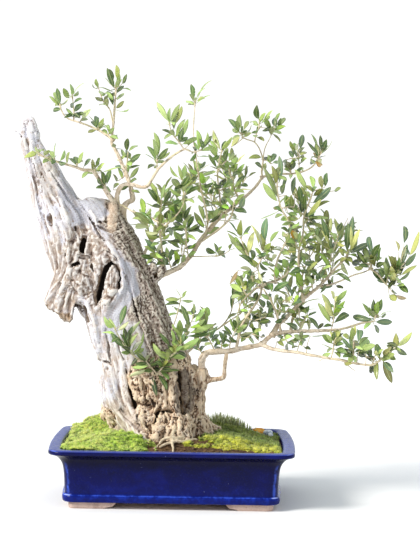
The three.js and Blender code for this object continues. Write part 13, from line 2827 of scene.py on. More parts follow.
        ((-32.2, -50, 464.8, -13.9, -48, 475.1, -11.8, -78.8, 491.4, -.24, -.47, -.85, 10.2), "k", 0, 0),
        ((-26.9, -46, 495, -24.3, -48.7, 498.4, -5.6, -29.2, 504.5, .49, -.65, .58, 8.7), "o", -1, 0),
    ]),
    ("g_in2", "twig_front_upper", "G", [[(-23.3, -17, 403.2), (-28.8, -24, 408.5), (-32.9, -29, 413.7)]], [
        ((-32.9, -29, 413.7, -32.3, -26.4, 422.1, -51.3, 0.8, 437.9, -.40, -.66, .64, 9.5), "k", 0, 0),
        ((-32.9, -29, 413.7, -30.5, -27.3, 418.7, -25, -51.8, 437.3, -.59, .40, .70, 8.6), "w", 0, 0),
        ((-30.4, -26, 410.5, -32.7, -27.3, 408.6, -43.8, 5.5, 418.2, -.34, -.37, .86, 9.5), "o", 0, 0),
        ((-30.7, -26.3, 410.9, -30.4, -27.6, 411.1, -24.5, -2.2, 421.4, -.14, -.34, .93, 8.8), "k", 0, 0),
        ((-29.8, -25.3, 409.9, -30.5, -22.9, 409.3, -12.9, -54.6, 419.1, -.88, -.48, .04, 7.5), "k", 0, 0),
        ((-31.4, -27.2, 411.8, -36.3, -26.3, 407.6, -49.8, -2.1, 400.5, -.63, -.12, .77, 6.3), "k", 0, 0),
        ((-23.3, -17, 403.2, -18.6, -19, 399.1, -9.4, 14.8, 413.4, .23, -.43, .87, 9.6), "d", 0, 0),
        ((-23.3, -17, 403.2, -20.3, -18.6, 398.2, -24, -46, 414.4, .83, -.36, -.42, 7.8), "d", 0, 0),
        ((-32.9, -29, 413.7, -33.9, -26.8, 418.7, -52.9, -44.4, 430.7, .72, -.67, .15, 7.7), "g", 0, 0),
    ]),
    ("g_in3", "branch_right_upper", "J", [[(20.8, 3, 411.7), (18.1, -5, 427.3), (16.2, -11, 444.5), (15, -15, 461.5), (13.4, -19, 476.8)]], [
        ((13.4, -19, 476.8, 12.5, -21.6, 476.9, 21.8, -49.9, 497.5, -.62, -.59, -.52, 8.4), "k", 0, 0),
        ((15.3, -14, 457.3, 14.3, -13.3, 457.2, -5.2, 15.9, 470, -.53, -.61, .59, 9.8), "k", 0, 0),
        ((15.4, -13.8, 456.2, 18.6, -11.8, 456.4, 39.5, 13.9, 466.5, .45, -.62, .64, 7.5), "d", 0, 0),
        ((15.6, -13.1, 453.5, 21.2, -11.6, 453.9, 38.3, -38.4, 458.2, -.38, -.10, .92, 5.6), "k", 0, 0),
        ((16.9, -8.9, 438.5, 7.8, -10.1, 437.5, -6.9, -37, 438, .77, -.41, .49, 7.5), "k", 0, 0),
        ((13.4, -19, 476.8, 9, -20.6, 479.3, -2.9, -37.8, 502.9, .57, -.77, -.28, 9.1), "d", 0, 0),
        ((13.4, -19, 476.8, 8.9, -18.1, 481, 12.6, -4.7, 504.7, -.47, -.73, .49, 8), "u", 0, 0),
        ((15, -15, 461.4, 17.7, -12.9, 461.5, 27.3, 7, 482.7, -.15, -.68, .71, 8.8), "k", 0, 0),
        ((14.3, -16.8, 468.4, 14.2, -17, 468.3, 22.2, 8, 482.6, .81, -.46, .36, 8.2), "o", 0, 0),
        ((17.5, -7, 433, 12.1, -5.8, 432.4, 20.1, 20.5, 442.9, -.24, -.30, .93, 7.9), "b", 0, 0),
        ((18.4, -4, 425.4, 19.8, -5.4, 425.6, 35.7, 18.1, 436.3, .85, -.44, -.29, 7.7), "b", 0, 0),
        ((17.4, -7.3, 433.9, 12.1, -8.3, 433.3, -3.9, -33.3, 454, .73, -.65, -.21, 9.5), "g", 0, 0),
        ((14.2, -17.1, 469.4, 11.7, -18.6, 469.2, -9.1, -10.9, 486.5, -.54, -.79, -.29, 7.7), "d", 0, 0),
    ]),
    ("r2_in", "branch_front_lower", "R2", [[(327.3, -113, 243.1), (330.3, -114, 253.2), (333.2, -115, 263.2)]], [
        ((340.1, -111, 250.4, 340.6, -109.8, 249.6, 334.6, -97.9, 274.9, .51, -.73, .46, 8.7), "d", -1, 0),
        ((340.5, -111, 250.6, 342.1, -111.7, 251.5, 360.3, -139.5, 261, -.85, -.50, .16, 7.8), "g", -1, 0),
        ((327.6, -113.1, 244.1, 325.6, -112.7, 244.7, 337.5, -78.8, 226.5, .56, -.54, -.64, 11.2), "k", 0, 0),
        ((327.4, -113, 243.6, 329.1, -110.8, 242.9, 325.2, -85.6, 227, -.81, -.40, -.43, 8.5), "k", 0, 0),
        ((329.2, -113.7, 249.7, 323.6, -115, 251.5, 325.5, -91.6, 265.9, .45, -.49, .75, 8.1), "k", 0, 0),
        ((330.4, -114, 253.7, 316.8, -116.2, 258.1, 296.7, -137.3, 269.6, .66, -.23, .72, 6.4), "k", 0, 0),
        ((328.6, -113.5, 247.6, 326.9, -116.1, 248.4, 314.2, -89.5, 255.6, -.11, -.31, .95, 8.4), "k", 0, 0),
        ((332.4, -114.7, 260.2, 333.2, -116.1, 260, 341.6, -145.1, 272.7, -.96, -.27, .01, 7.7), "g", 0, 0),
        ((330.6, -114.1, 254.2, 328.7, -112.5, 254.7, 316.1, -85.7, 265.2, .03, -.36, .93, 8.5), "d", 0, 0),
    ]),
    ("v2_in", "twig_far_right", "V2", [[(363, 40, 369.3), (366.2, 40, 381.5), (369.4, 40, 393.7), (372.6, 40, 404.1)]], [
        ((364.1, 40, 373.2, 371.9, 42.5, 371.1, 371.1, 58, 399.9, .12, -.87, .47, 9.6), "o", 0, 0),
        ((367.1, 40, 385, 366.8, 38.4, 385.1, 363.7, 56, 412.9, .42, -.74, .52, 7.8), "d", 0, 0),
        ((371.7, 40, 401, 372.8, 40.3, 400.7, 380.5, 68.2, 417.1, -.58, -.29, .76, 8.4), "o", 0, 0),
        ((368.4, 40, 389.8, 373.1, 41.3, 388.5, 389.3, 18.5, 406.2, -.84, -.53, .09, 8.6), "d", 0, 0),
        ((345, 34.1, 388.9, 348, 33.3, 391.9, 359.5, 59, 378.8, .77, -.53, -.36, 8.8), "d", -1, 0),
        ((354.7, 37.3, 378.6, 353.7, 35, 378.1, 371.6, 55.8, 367.8, .79, -.52, .32, 7.5), "d", -1, 0),
        ((368.6, 40, 390.5, 369.3, 38, 390.3, 350.7, 10.9, 408.4, .78, -.61, -.11, 9), "g", 0, 0),
        ((367.1, 40, 385, 372.9, 38.5, 383.4, 381.6, 9.7, 398.7, -.91, -.37, -.18, 8), "k", 0, 0),
    ]),
]
# Leaf greens by kind, set as the leaves look in their light: 'k' is near-black painted shade, 'w' is partly the pale
# underside and partly a painted highlight, and the other kinds differ partly in their own green and partly in painted
# light and shade.
GREENS = {
    "d": (90, 122, 64), "k": (40, 62, 38), "g": (176, 200, 118), "b": (166, 206, 76), "y": (232, 240, 142), "o": (148, 156, 80),
    "w": (226, 238, 196), "u": (104, 132, 98), "c": (255, 250, 170), "t": (204, 176, 128), "n": (198, 214, 142), "a": (250, 186, 52),
}


def along(P, spacing):
    """Points evenly spaced on a line, with any number of columns after x, y, z."""
    P = curve(P, 6)
    s = np.concatenate([[0], np.cumsum(np.linalg.norm(np.diff(P[:, :3], axis=0), axis=1))])
    keep = np.concatenate([[True], np.diff(s) > 1e-6])
    P, s = P[keep], s[keep]
    n = max(3, int(round(s[-1] / spacing)) + 1)
    t = np.linspace(0, s[-1], n)
    return np.stack([np.interp(t, s, P[:, k]) for k in range(P.shape[1])], 1), t


def frames(P):
    T = unit(np.gradient(P, axis=0))
    n = unit(np.cross(T[0], [0.3, 0.2, 1.0]))
    N = [n]
    for i in range(1, len(P)):
        n = n - (n @ T[i]) * T[i]
        n = n / np.linalg.norm(n)
        N.append(n)
    N = np.array(N)
    return T, N, np.cross(T, N)


class Bits:
    """Collects closed shells into one mesh."""

    def __init__(self):
        self.V, self.F3, self.F4, self.M3, self.M4, self.A, self.n = [], [], [], [], [], {}, 0

    def add(self, V, F3=(), F4=(), m3=0, m4=0, **attributes):
        self.V.append(np.asarray(V, float))
        if len(F3):
            self.F3.append(np.asarray(F3) + self.n)
            self.M3.append(np.broadcast_to(np.asarray(m3), (len(F3),)))
        if len(F4):
            self.F4.append(np.asarray(F4) + self.n)
            self.M4.append(np.broadcast_to(np.asarray(m4), (len(F4),)))
        for k, a in attributes.items():
            self.A.setdefault(k, []).append(np.broadcast_to(np.asarray(a, float), (len(V), 4)))
        self.n += len(V)

    def piece(self, name, materials, smooth=True):
        faces, index = [], []
        for F, M in ((self.F3, self.M3), (self.F4, self.M4)):
            if F:
                faces.append(np.concatenate(F))
                index.append(np.concatenate(M))
        return make(name, np.concatenate(self.V), faces, materials, np.concatenate(index), smooth, {k: np.concatenate(a) for k, a in self.A.items()})


def tube(bits, line, seed, sides, spacing, swell=(), flare=0.5, rough=0.1, tip=0.6):
    """A branch along [x, y, z, r], with bark relief, swellings where leaves join it, and a flare at its foot."""
    P, s = along(line, spacing)
    r = P[:, 3].copy()
    C = P[:, :3]
    T, N, B = frames(C)
    r = r * (1 + flare * np.exp(-s / (2.2 * r[0])))
    r = r * (1 + 0.10 * value_noise(np.stack([s, 0 * s + seed, 0 * s], 1), 9.0, 5) + 0.07 * value_noise(np.stack([s, 0 * s + seed, 0 * s], 1), 3.6, 6))
    for q in swell:
        k = np.exp(-(((C - q) ** 2).sum(1)) / 2.2)
        r = r + 0.32 * k
    a = np.arange(sides) * 2 * math.pi / sides
    ring = np.cos(a)[None, :, None] * N[:, None] + np.sin(a)[None, :, None] * B[:, None]
    flat = (C[:, None] + ring * r[:, None, None]).reshape(-1, 3)
    q = np.stack([(flat @ np.array([1, 0, 0])), flat[:, 1], flat[:, 2]], 1)
    # relief runs with the branch: the noise is stretched along it
    u = np.stack([np.repeat(s, sides) / 3.2, np.tile(np.cos(a), len(s)) * np.repeat(r, sides), np.tile(np.sin(a), len(s)) * np.repeat(r, sides)], 1)
    relief = fractal(u + seed * 13.7, 1.7, 8, 3)
    crack = np.maximum(0, -relief - 0.15)
    h = rough * np.repeat(r, sides) * (relief - 1.6 * crack)
    V = flat + (ring.reshape(-1, 3)) * h[:, None]
    V = V.reshape(len(s), sides, 3)
    i, j = np.meshgrid(np.arange(len(s) - 1), np.arange(sides), indexing="ij")
    F4 = np.stack([i * sides + j, i * sides + (j + 1) % sides, (i + 1) * sides + (j + 1) % sides, (i + 1) * sides + j], -1).reshape(-1, 4)
    n = len(s) * sides
    cap0, cap1 = C[0] - T[0] * 0.3 * r[0], C[-1] + T[-1] * tip * r[-1]
    k = np.arange(sides)
    F3 = np.concatenate([np.stack([np.full(sides, n), (k + 1) % sides, k], 1), np.stack([np.full(sides, n + 1), n - sides + k, n - sides + (k + 1) % sides], 1)])
    age = step(1.2, 3.4, np.repeat(r, sides))
    # the last channel, from the bark relief, marks where painted shade darkens the bark's cracks
    attr = np.stack([age, np.tile(np.sin(a), len(s)), np.full(n, (seed * 0.37) % 1), np.clip(0.5 + 0.9 * relief, 0, 1)], 1)
    attr = np.concatenate([attr, attr[:1], attr[-1:]])
    bits.add(np.concatenate([V.reshape(-1, 3), [cap0, cap1]]), F3, F4, limb=attr)
    return C


BLADE_T = np.array([0.0, 0.05, 0.14, 0.28, 0.43, 0.58, 0.73, 0.86, 0.95, 1.0])
BLADE_W = np.array([0.09, 0.26, 0.56, 0.85, 0.99, 1.0, 0.85, 0.55, 0.26, 0.04])
BLADE_BLUNT = np.array([0.09, 0.24, 0.50, 0.80, 0.96, 1.0, 0.95, 0.78, 0.52, 0.10])


def blades(bits, root, base, tip, normal, width, tone, rng, dry=None):
    """Closed, thin, keeled leaves, each with its stalk, all at once."""
    n = len(root)
    L = np.linalg.norm(tip - base, axis=1)
    ax = unit(tip - base)
    gap = np.linalg.norm(base - root, axis=1)
    base = base + ax * np.clip(3.4 - gap, 0.4, 3.2)[:, None]
    normal = unit(normal - (normal * ax).sum(1)[:, None] * ax)
    side = np.cross(ax, normal)
    bend = rng.normal(0.035, 0.055, n)
    hook = rng.normal(0.0, 0.03, n)
    twist = rng.normal(0, 0.22, n)
    fold = rng.uniform(0.16, 0.58, n)
    roll = rng.uniform(0.08, 0.26, n)
    skew = rng.uniform(0.88, 1.16, n)
    ripple, phase = rng.uniform(0.0, 0.09, n), rng.uniform(0, 6.28, n)
    narrow = rng.uniform(0.87, 1.02, n)
    w2 = width / 2 * narrow
    rows = []
    t = BLADE_T[None, :] ** skew[:, None]
    ext = tip - base
    C = base[:, None] + ext[:, None] * t[..., None]
    arch = 4 * t * (1 - t)
    C = C + normal[:, None] * (bend * L)[:, None, None] * arch[..., None] + side[:, None] * (hook * L)[:, None, None] * arch[..., None]
    C = C - normal[:, None] * (0.05 * L * rng.uniform(-0.6, 1.4, n))[:, None, None] * (np.maximum(0, t - 0.7) ** 2 * 8)[..., None]
    T = unit(np.gradient(C, axis=1))
    S = unit(np.cross(T, normal[:, None]))
    U = np.cross(S, T)
    tw = twist[:, None] * (t - 0.35)
    S, U = S * np.cos(tw)[..., None] + U * np.sin(tw)[..., None], U * np.cos(tw)[..., None] - S * np.sin(tw)[..., None]
    blunt = np.clip((3.8 - L / width) / 1.8, 0, 0.8)[:, None]
    form = BLADE_W[None, :] * (1 - blunt) + BLADE_BLUNT[None, :] * blunt
    hw = form * w2[:, None]
    s = np.array([-1, -0.52, 0, 0.52, 1, 0.52, 0, -0.52])
    up = np.array([0, 1, 1, 1, 0, -1, -1, -1])
    z = hw[..., None] * (fold[:, None, None] * np.abs(s) - roll[:, None, None] * np.abs(s) ** 3)
    z = z + (ripple * width)[:, None, None] * np.sin(9.4 * t + phase[:, None])[..., None] * s**2 * BLADE_W[None, :, None]
    thick = np.array([0, 0.17, 0.1, 0.17, 0, 0.17, 0.42, 0.17])
    z = z + up * thick * np.minimum(1, hw / 0.6 + 0.35)[..., None]
    blade = C[:, :, None] + S[:, :, None] * (hw[..., None] * s)[..., None] + U[:, :, None] * z[..., None]
    # the stalk: three rings from inside the stem to the foot of the blade
    mid = (root + base) / 2 + (ax * 0.16 - unit(base - root + 1e-6) * 0.0) * np.linalg.norm(base - root, axis=1)[:, None] * 0.0
    out = unit(base - root + ax * 0.2)
    stalk_at = np.stack([root - out * 0.25, root + (base - root) * 0.34 - ax * 0.25, root + (base - root) * 0.72 - ax * 0.15], 1)
    ang = np.radians([180, 135, 90, 45, 0, -45, -90, -135])
    rad = np.array([0.72, 0.52, 0.5])
    st = unit(stalk_at[:, 1:2] - stalk_at[:, :1] + 0 * stalk_at)
    sS = unit(np.cross(st, normal[:, None]) + 1e-9)
    sU = np.cross(sS, st)
    stalk = stalk_at[:, :, None] + (np.cos(ang)[None, None, :, None] * sS[:, :, None] + np.sin(ang)[None, None, :, None] * sU[:, :, None]) * rad[None, :, None, None]
    X = np.concatenate([stalk, blade], 1)
    R = X.shape[1]
    X = X.reshape(n, R * 8, 3)
    i, j = np.meshgrid(np.arange(R - 1), np.arange(8), indexing="ij")
    q = np.stack([i * 8 + j, (i + 1) * 8 + j, (i + 1) * 8 + (j + 1) % 8, i * 8 + (j + 1) % 8], -1).reshape(-1, 4)
    qm = (np.tile(np.arange(8), R - 1) >= 4).astype(int)
    qm[: 3 * 8] = 1
    k = np.arange(1, 7)
    f = np.concatenate([np.stack([0 * k, k, k + 1], 1), np.stack([0 * k, k + 1, k], 1) + (R - 1) * 8])
    f[6:, 0] = (R - 1) * 8
    off = (np.arange(n) * R * 8)[:, None, None]
    F4 = (q[None] + off).reshape(-1, 4)
    F3 = (f[None] + off).reshape(-1, 3)
    m4 = np.tile(qm, n)
    m3 = np.ones(len(F3), int)
    tt = np.concatenate([np.zeros((n, 3)), t], 1)
    vein = np.stack([np.tile(np.abs(s), (n, R, 1)), np.repeat(tt[..., None], 8, 2), np.tile(rng.random(n)[:, None, None], (1, R, 8)), np.tile((np.zeros(n) if dry is None else dry)[:, None, None], (1, R, 8))], -1)
    vein[:, :3, :, 0] = 0.02
    col = np.tile(tone[:, None, None, :], (1, R, 8, 1))
    stem_col = np.array(rgb(150, 152, 84)[:3])
    col[:, :3] = 0.25 * col[:, :3] + 0.75 * stem_col
    leaf = np.concatenate([col, np.ones((n, R, 8, 1))], -1)
    # outward facing: the first quads of a right-handed leaf already face out
    bits.add(X.reshape(-1, 3), F3[:, ::-1], F4[:, ::-1], m3, m4, vein=vein.reshape(-1, 4), leaf=leaf.reshape(-1, 4))


def build_limbs():
    bark = limb_look()
    upper, under = leaf_looks()
    wood, leaf = {}, {}
    seed = 0
    lines = {}
    for name, node, r0, r1, pts in BRANCHES:
        P = np.array(pts)
        s = np.concatenate([[0], np.cumsum(np.linalg.norm(np.diff(P, axis=0), axis=1))])
        r = r0 + (r1 - r0) * (s / s[-1]) ** 0.8
        lines[name] = np.concatenate([P, r[:, None]], 1)
    roots = {}
    for g, node, parent, stems, rows in SPRAYS:
        for row in rows:
            roots.setdefault(parent if row[2] < 0 else (g, row[2]), []).append(row[0][:3])
    for name, node, r0, r1, pts in BRANCHES:
        seed += 1
        line = lines[name]
        start = line[0] - np.array([*unit(line[1, :3] - line[0, :3]) * 4.0, -0.5])
        line = np.concatenate([[start], line])
        thick = r0 > 3
        tube(wood.setdefault(node, Bits()), line, seed, 16 if r0 > 5 else 12 if thick else 8, 2.0 if r0 > 5 else 2.6 if thick else 3.4, roots.get(name, []), 0.55 if thick else 0.4, 0.2 if thick else 0.12)
    rng = np.random.default_rng(5)
    for g, node, parent, stems, rows in SPRAYS:
        bits = wood.setdefault(node, Bits())
        for i, st in enumerate(stems):
            seed += 1
            P = np.array(st, float)
            # the shoot's foot goes to the nearest wood of its parent or of its own spray
            cands = [lines[parent][:, :3]] if parent in lines else []
            cands += [curve(o, 4) for k, o in enumerate(stems) if k < i]
            foot, dist = None, 1e9
            for c in cands:
                c = curve(c, 4) if len(c) > 2 else c
                d = np.linalg.norm(c - P[0], axis=1)
                if d.min() < dist:
                    dist, foot = d.min(), c[d.argmin()]
            if foot is not None and dist > 0.5 and dist < 30:
                P = np.concatenate([[foot], P]) if dist > 2.0 else np.concatenate([[foot], P[1:]])
            n = len(P)
            length = np.linalg.norm(np.diff(P, axis=0), axis=1).sum()
            r = np.linspace(min(1.35, 0.8 + length / 140), 0.62, n)
            tube(bits, np.concatenate([P, r[:, None]], 1), seed, 6, 3.4, roots.get((g, i), []), 0.45, 0.08)
        data = np.array([row[0] for row in rows], float)
        root, base, tip, nrm, width = data[:, :3], data[:, 3:6], data[:, 6:9], data[:, 9:12], data[:, 12]
        # a blade that stands off its stem gets a thin twig up to its foot
        for k in range(len(rows)):
            gap = np.linalg.norm(base[k] - root[k])
            if gap > 9:
                seed += 1
                d = base[k] - root[k]
                ax = unit(tip[k] - base[k])
                mid = root[k] + d * 0.5 - ax * 0.08 * gap + np.array([0, 0, -0.04 * gap])
                tube(bits, np.array([[*root[k], 0.85], [*mid, 0.7], [*(base[k] - unit(d) * 0.4), 0.58]]), seed, 6, 3.0, (), 0.3, 0.05)
                root[k] = base[k] - unit(d) * 1.2
        tones = np.array([rgb(*GREENS[row[1]])[:3] for row in rows])
        tones = tones * np.exp(rng.normal(0.0, 0.24, (len(rows), 1))) * (1 + rng.normal(0, 0.05, (len(rows), 3)))
        tones = np.clip(tones, 0.01, 0.9)
        dry = np.array([1.0 if row[1] in "tca" else 0.0 for row in rows])
        blades(leaf.setdefault(node, Bits()), root, base, tip, nrm, width, tones, rng, dry)
    total = 0
    for node in sorted(set(wood) | set(leaf)):
        if node in wood:
            o = fasten(wood[node].piece("wood_" + node, [bark]), "bark", node)
            total += len(o.data.polygons)
        if node in leaf:
            o = fasten(leaf[node].piece("leaves_" + node, [upper, under]), "foliage", node)
            total += len(o.data.polygons)
    return total


# ---------------------------------------------------------------- soil, moss, stones and the fallen leaf
MOSS = {
    "moss_left": [(-188, -146), (-30, -146), (-20, -122), (-30, -96), (-50, -70), (-56, -40), (-50, 60), (-20, 110), (6, 142), (-188, 142)],
    "moss_right": [(4, -146), (60, -138), (120, -132), (188, -126), (188, 142), (4, 142), (14, 104), (50, 60), (46, -30), (36, -76), (6, -104)],
}


def soil_height(x, y):
    d = (np.abs(x / 178.0) ** 4 + np.abs(y / 138.0) ** 4) ** 0.25
    t = np.clip((1 - d) / 0.45, 0, 1)
    s = t * t * (3 - 2 * t)
    humps = 17 * np.exp(-(((x + 126) / 58) ** 2) - ((y - 72) / 50) ** 2) + 8 * np.exp(-(((x - 92) / 40) ** 2) - ((y - 86) / 44) ** 2)
    return 91.5 + 13.5 * s + 7 * np.exp(-(((x + 30) / 112) ** 2) - ((y - 8) / 88) ** 2) + step(1, 0.88, d) * humps


def soil_bumps(x, y):
    P = np.stack([x, y, 0 * x], 1)
    front = step(-100, -122, y) * step(0, 20, x)
    return (1.6 + 1.6 * front) * fractal(P, 22, 81, 3) + (1.1 + 1.0 * front) * fractal(P, 6, 82, 2) + 2.2 * front


def pot_ring(u, v, inset):
    """A point of the square -1..1 laid onto the pot's outline, set in from its rim."""
    m = np.maximum(np.maximum(np.abs(u), np.abs(v)), 1e-9)
    x, y = pot_outline_at(u / m, v / m, inset)
    return x * m, y * m


def pot_outline_at(u, v, inset):
    """The outline in the direction of a point on the edge of the square -1..1."""
    X, Y = POT_X - inset, POT_Y - inset
    r = CORNER * (1 - inset / 90)
    ax, ay = np.abs(u) * X, np.abs(v) * Y
    # the square corner is pulled in to a round one
    cx, cy = X - r, Y - r
    inside = (ax > cx) & (ay > cy)
    k = np.ones_like(ax)
    b = ax * cx + ay * cy
    a = ax * ax + ay * ay
    c = cx * cx + cy * cy - r * r
    disc = np.maximum(b * b - a * c, 0)
    k = np.where(inside, (b + np.sqrt(disc)) / a, k)
    x, y = np.sign(u) * ax * k, np.sign(v) * ay * k
    return x * (1 + BOW * (1 - np.clip(np.abs(y) / Y, 0, 1) ** 2) / POT_X), y


def near_wood(x, y, lines, reach):
    d = np.full(len(x), 1e9)
    for P in lines:
        for p in P:
            d = np.minimum(d, np.hypot(x - p[0], y - p[1]) - p[3])
    return d


def build_soil():
    n, m = ((190, 150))
    u, v = np.meshgrid(np.linspace(-1, 1, n), np.linspace(-1, 1, m), indexing="ij")
    levels = [(None, 21.0), (75, 31.9), (64, 35.2), (51, 36.9), (24, 37.6)]
    x, y = pot_ring(u.ravel(), v.ravel(), 21.0)
    edge = np.maximum(np.abs(u), np.abs(v)).ravel()
    z = soil_height(x, y) + soil_bumps(x, y) * step(1.0, 0.96, edge)
    V = [np.stack([x, y, z], 1)]
    i, j = np.meshgrid(np.arange(n - 1), np.arange(m - 1), indexing="ij")
    F = [np.stack([i * m + j, (i + 1) * m + j, (i + 1) * m + j + 1, i * m + j + 1], -1).reshape(-1, 4)]
    # round the edge, down the wall, and across the bottom
    loop = np.concatenate([np.arange(n) * m, (n - 1) * m + np.arange(1, m), (np.arange(n - 2, -1, -1)) * m + m - 1, np.arange(m - 2, 0, -1)])
    uu, vv = u.ravel()[loop], v.ravel()[loop]
    prev, at, k = loop, n * m, len(loop)
    for h, inset in levels[1:]:
        xx, yy = pot_ring(uu, vv, inset)
        V.append(np.stack([xx, yy, np.full(k, float(h))], 1))
        cur = at + np.arange(k)
        F.append(np.stack([prev, cur, np.roll(cur, -1), np.roll(prev, -1)], 1))
        prev, at = cur, at + k
    V.append(np.array([[0.0, 0.0, 24.0]]))
    F3 = np.stack([np.full(k, at), np.roll(prev, -1), prev], 1)
    look = soil_look()
    o = make("soil_bed", np.concatenate(V), [np.concatenate(F), F3], [look])
    fasten(o, "soil", "soil")
    # loose grains on top where no moss grows
    rng = np.random.default_rng(3)
    bits = Bits()
    want = 2600
    x, y = rng.uniform(-172, 172, want * 3), rng.uniform(-134, 134, want * 3)
    bare = np.ones(len(x), bool)
    for name, outline in MOSS.items():
        bare &= moss_cover(x, y, name) < 0.35
    x, y = x[bare][:want], y[bare][:want]
    size = rng.gamma(2.2, 0.55, len(x)) + 0.5
    z = soil_height(x, y) + soil_bumps(x, y) + size * 0.15
    ico = np.array([[0, 0, 1], [0.94, 0, 0.2], [0.1, 0.95, 0], [-0.9, 0.1, 0.1], [-0.05, -0.95, 0.05], [0, 0, -1]])
    tri = np.array([[0, 1, 2], [0, 2, 3], [0, 3, 4], [0, 4, 1], [5, 2, 1], [5, 3, 2], [5, 4, 3], [5, 1, 4]])
    k = len(x)
    a = rng.uniform(0, 6.28, k)
    s = ico[None] * size[:, None, None] * rng.uniform(0.6, 1.25, (k, 6, 1)) * np.array([1, 0.8, 0.62])
    s = np.stack([s[..., 0] * np.cos(a)[:, None] - s[..., 1] * np.sin(a)[:, None], s[..., 0] * np.sin(a)[:, None] + s[..., 1] * np.cos(a)[:, None], s[..., 2]], -1)
    s = s + np.stack([x, y, z], 1)[:, None]
    bits.add(s.reshape(-1, 3), (tri[None] + (np.arange(k) * 6)[:, None, None]).reshape(-1, 3))
    fasten(bits.piece("soil_grains", [look], smooth=False), "soil", "soil")


def moss_cover(x, y, name):
    """1 well inside a moss bed, 0 outside, ragged in between."""
    s = np.stack([x, y], 1)
    o = np.array(MOSS[name], float)
    inside = np.zeros(len(s), bool)
    dist = np.full(len(s), 1e9)
    for a, b in zip(o, np.roll(o, -1, 0)):
        cond = (a[1] > y) != (b[1] > y)
        cross = x < (b[0] - a[0]) * (y - a[1]) / (b[1] - a[1] if b[1] != a[1] else 1e-9) + a[0]
        inside ^= cond & cross
        d = b - a
        t = np.clip((s - a) @ d / max(d @ d, 1e-9), 0, 1)
        dist = np.minimum(dist, np.linalg.norm(s - a - t[:, None] * d, axis=1))
    signed = np.where(inside, dist, -dist) + 9 * fractal(np.stack([x, y, 0 * x], 1), 26, 91, 3)
    cover = step(0, 9, signed)
    P = np.stack([x, y, 0 * x], 1)
    # in front of the trunk it grows in small patches only
    thin = step(-62, -86, y) * step(86, 56, x) * step(-64, -40, x)
    cover = cover * (1 - thin * step(0.12, -0.12, fractal(P, 11, 90, 3)))
    if name == "moss_right":  # it stops short of the front wall
        cover = cover * (1 - step(-101, -112, y + 9 * fractal(P, 22, 88, 3)))
    # bare, brown places
    if name == "moss_left":
        for cx, cy, rx, ry in BARE_LEFT:
            cover = cover * (1 - 0.9 * np.exp(-(((x - cx) / rx) ** 2) - ((y - cy) / ry) ** 2))
    else:
        for cx, cy, rx, ry in BARE_RIGHT:
            cover = cover * (1 - 0.9 * np.exp(-(((x - cx) / rx) ** 2) - ((y - cy) / ry) ** 2))
    return cover


BARE_LEFT = [(-104, -74, 9, 5), (-148, -84, 7, 5), (-70, -98, 8, 5), (-120, -48, 10, 5), (-112, -6, 22, 12), (-92, -34, 13, 8), (-170, -60, 6, 12), (-160, -14, 6, 8), (-130, -60, 7, 6)]
BARE_RIGHT = [(146, 84, 22, 13), (110, -116, 62, 10), (74, -86, 12, 7), (142, -70, 13, 8), (98, -62, 9, 6), (60, -20, 16, 16), (168, -112, 12, 14), (120, -28, 16, 7), (158, 72, 13, 12)]


def moss_top(x, y, cover):
    P = np.stack([x, y, 0 * x], 1)
    lump = 0.5 + 0.5 * fractal(P, 34, 92, 3)
    small = fractal(P, 8, 93, 3)
    f1, f2, who = cells(P * np.array([1, 1, 0]) + np.array([0, 0, 0.5]), 15.0, 94)
    cushion = np.sqrt(np.maximum(0, 1 - (f1 * 1.05) ** 2))
    g1, g2, who = cells(P * np.array([1, 1, 0]) + np.array([7.0, 3.0, 0.5]), 6.5, 99)
    knob = np.sqrt(np.maximum(0, 1 - (g1 * 1.1) ** 2))
    left = step(30, -60, x)
    rise = (0.8 + 5.4 * lump + 2.6 * cushion * (0.5 + 0.5 * left) + 1.0 * knob + 1.6 * small + 3.0 * left + 5.0 * step(-60, -100, x) * step(0, 70, y)) * cover
    return soil_height(x, y) + soil_bumps(x, y) * 0.5 + rise - 1.2


# Greens of each bed; the right bed's third, dark green is laid on its back as painted shade under the tree.
MOSS_TONES = {"moss_left": [(204, 236, 98), (176, 214, 72), (232, 246, 142), (138, 180, 58)], "moss_right": [(148, 170, 60), (212, 214, 62), (80, 110, 44), (104, 130, 46)]}


def moss_tone(x, y, name, rng):
    T = np.array([rgb(*c)[:3] for c in MOSS_TONES[name]])
    P = np.stack([x, y, 0 * x], 1)
    a = step(-0.25, 0.3, fractal(P, 40, 95, 3))
    b = step(-0.1, 0.5, fractal(P, 15, 96, 2))
    col = T[0] * (1 - a)[:, None] + T[1] * a[:, None]
    col = col * (1 - 0.7 * b)[:, None] + T[3] * (0.7 * b)[:, None]
    if name == "moss_right":
        front = step(-70, -104, y) * step(50, 70, x)
        # dark: painted shade over the back of the right bed, where the tree shades it
        dark = step(-66, -40, y) * step(30, 60, y * 0 + 60)
        patch = front * step(-0.3, 0.15, fractal(P, 18, 89, 3))
        col = col * (1 - patch)[:, None] + np.array(rgb(252, 246, 88)[:3]) * patch[:, None]
        col = col * (1 - 0.7 * dark)[:, None] + T[2] * (0.7 * dark)[:, None]
    else:
        light = step(-0.1, 0.35, fractal(P, 60, 97, 2))
        col = col * (1 - 0.5 * light)[:, None] + T[2] * (0.5 * light)[:, None]
    return col


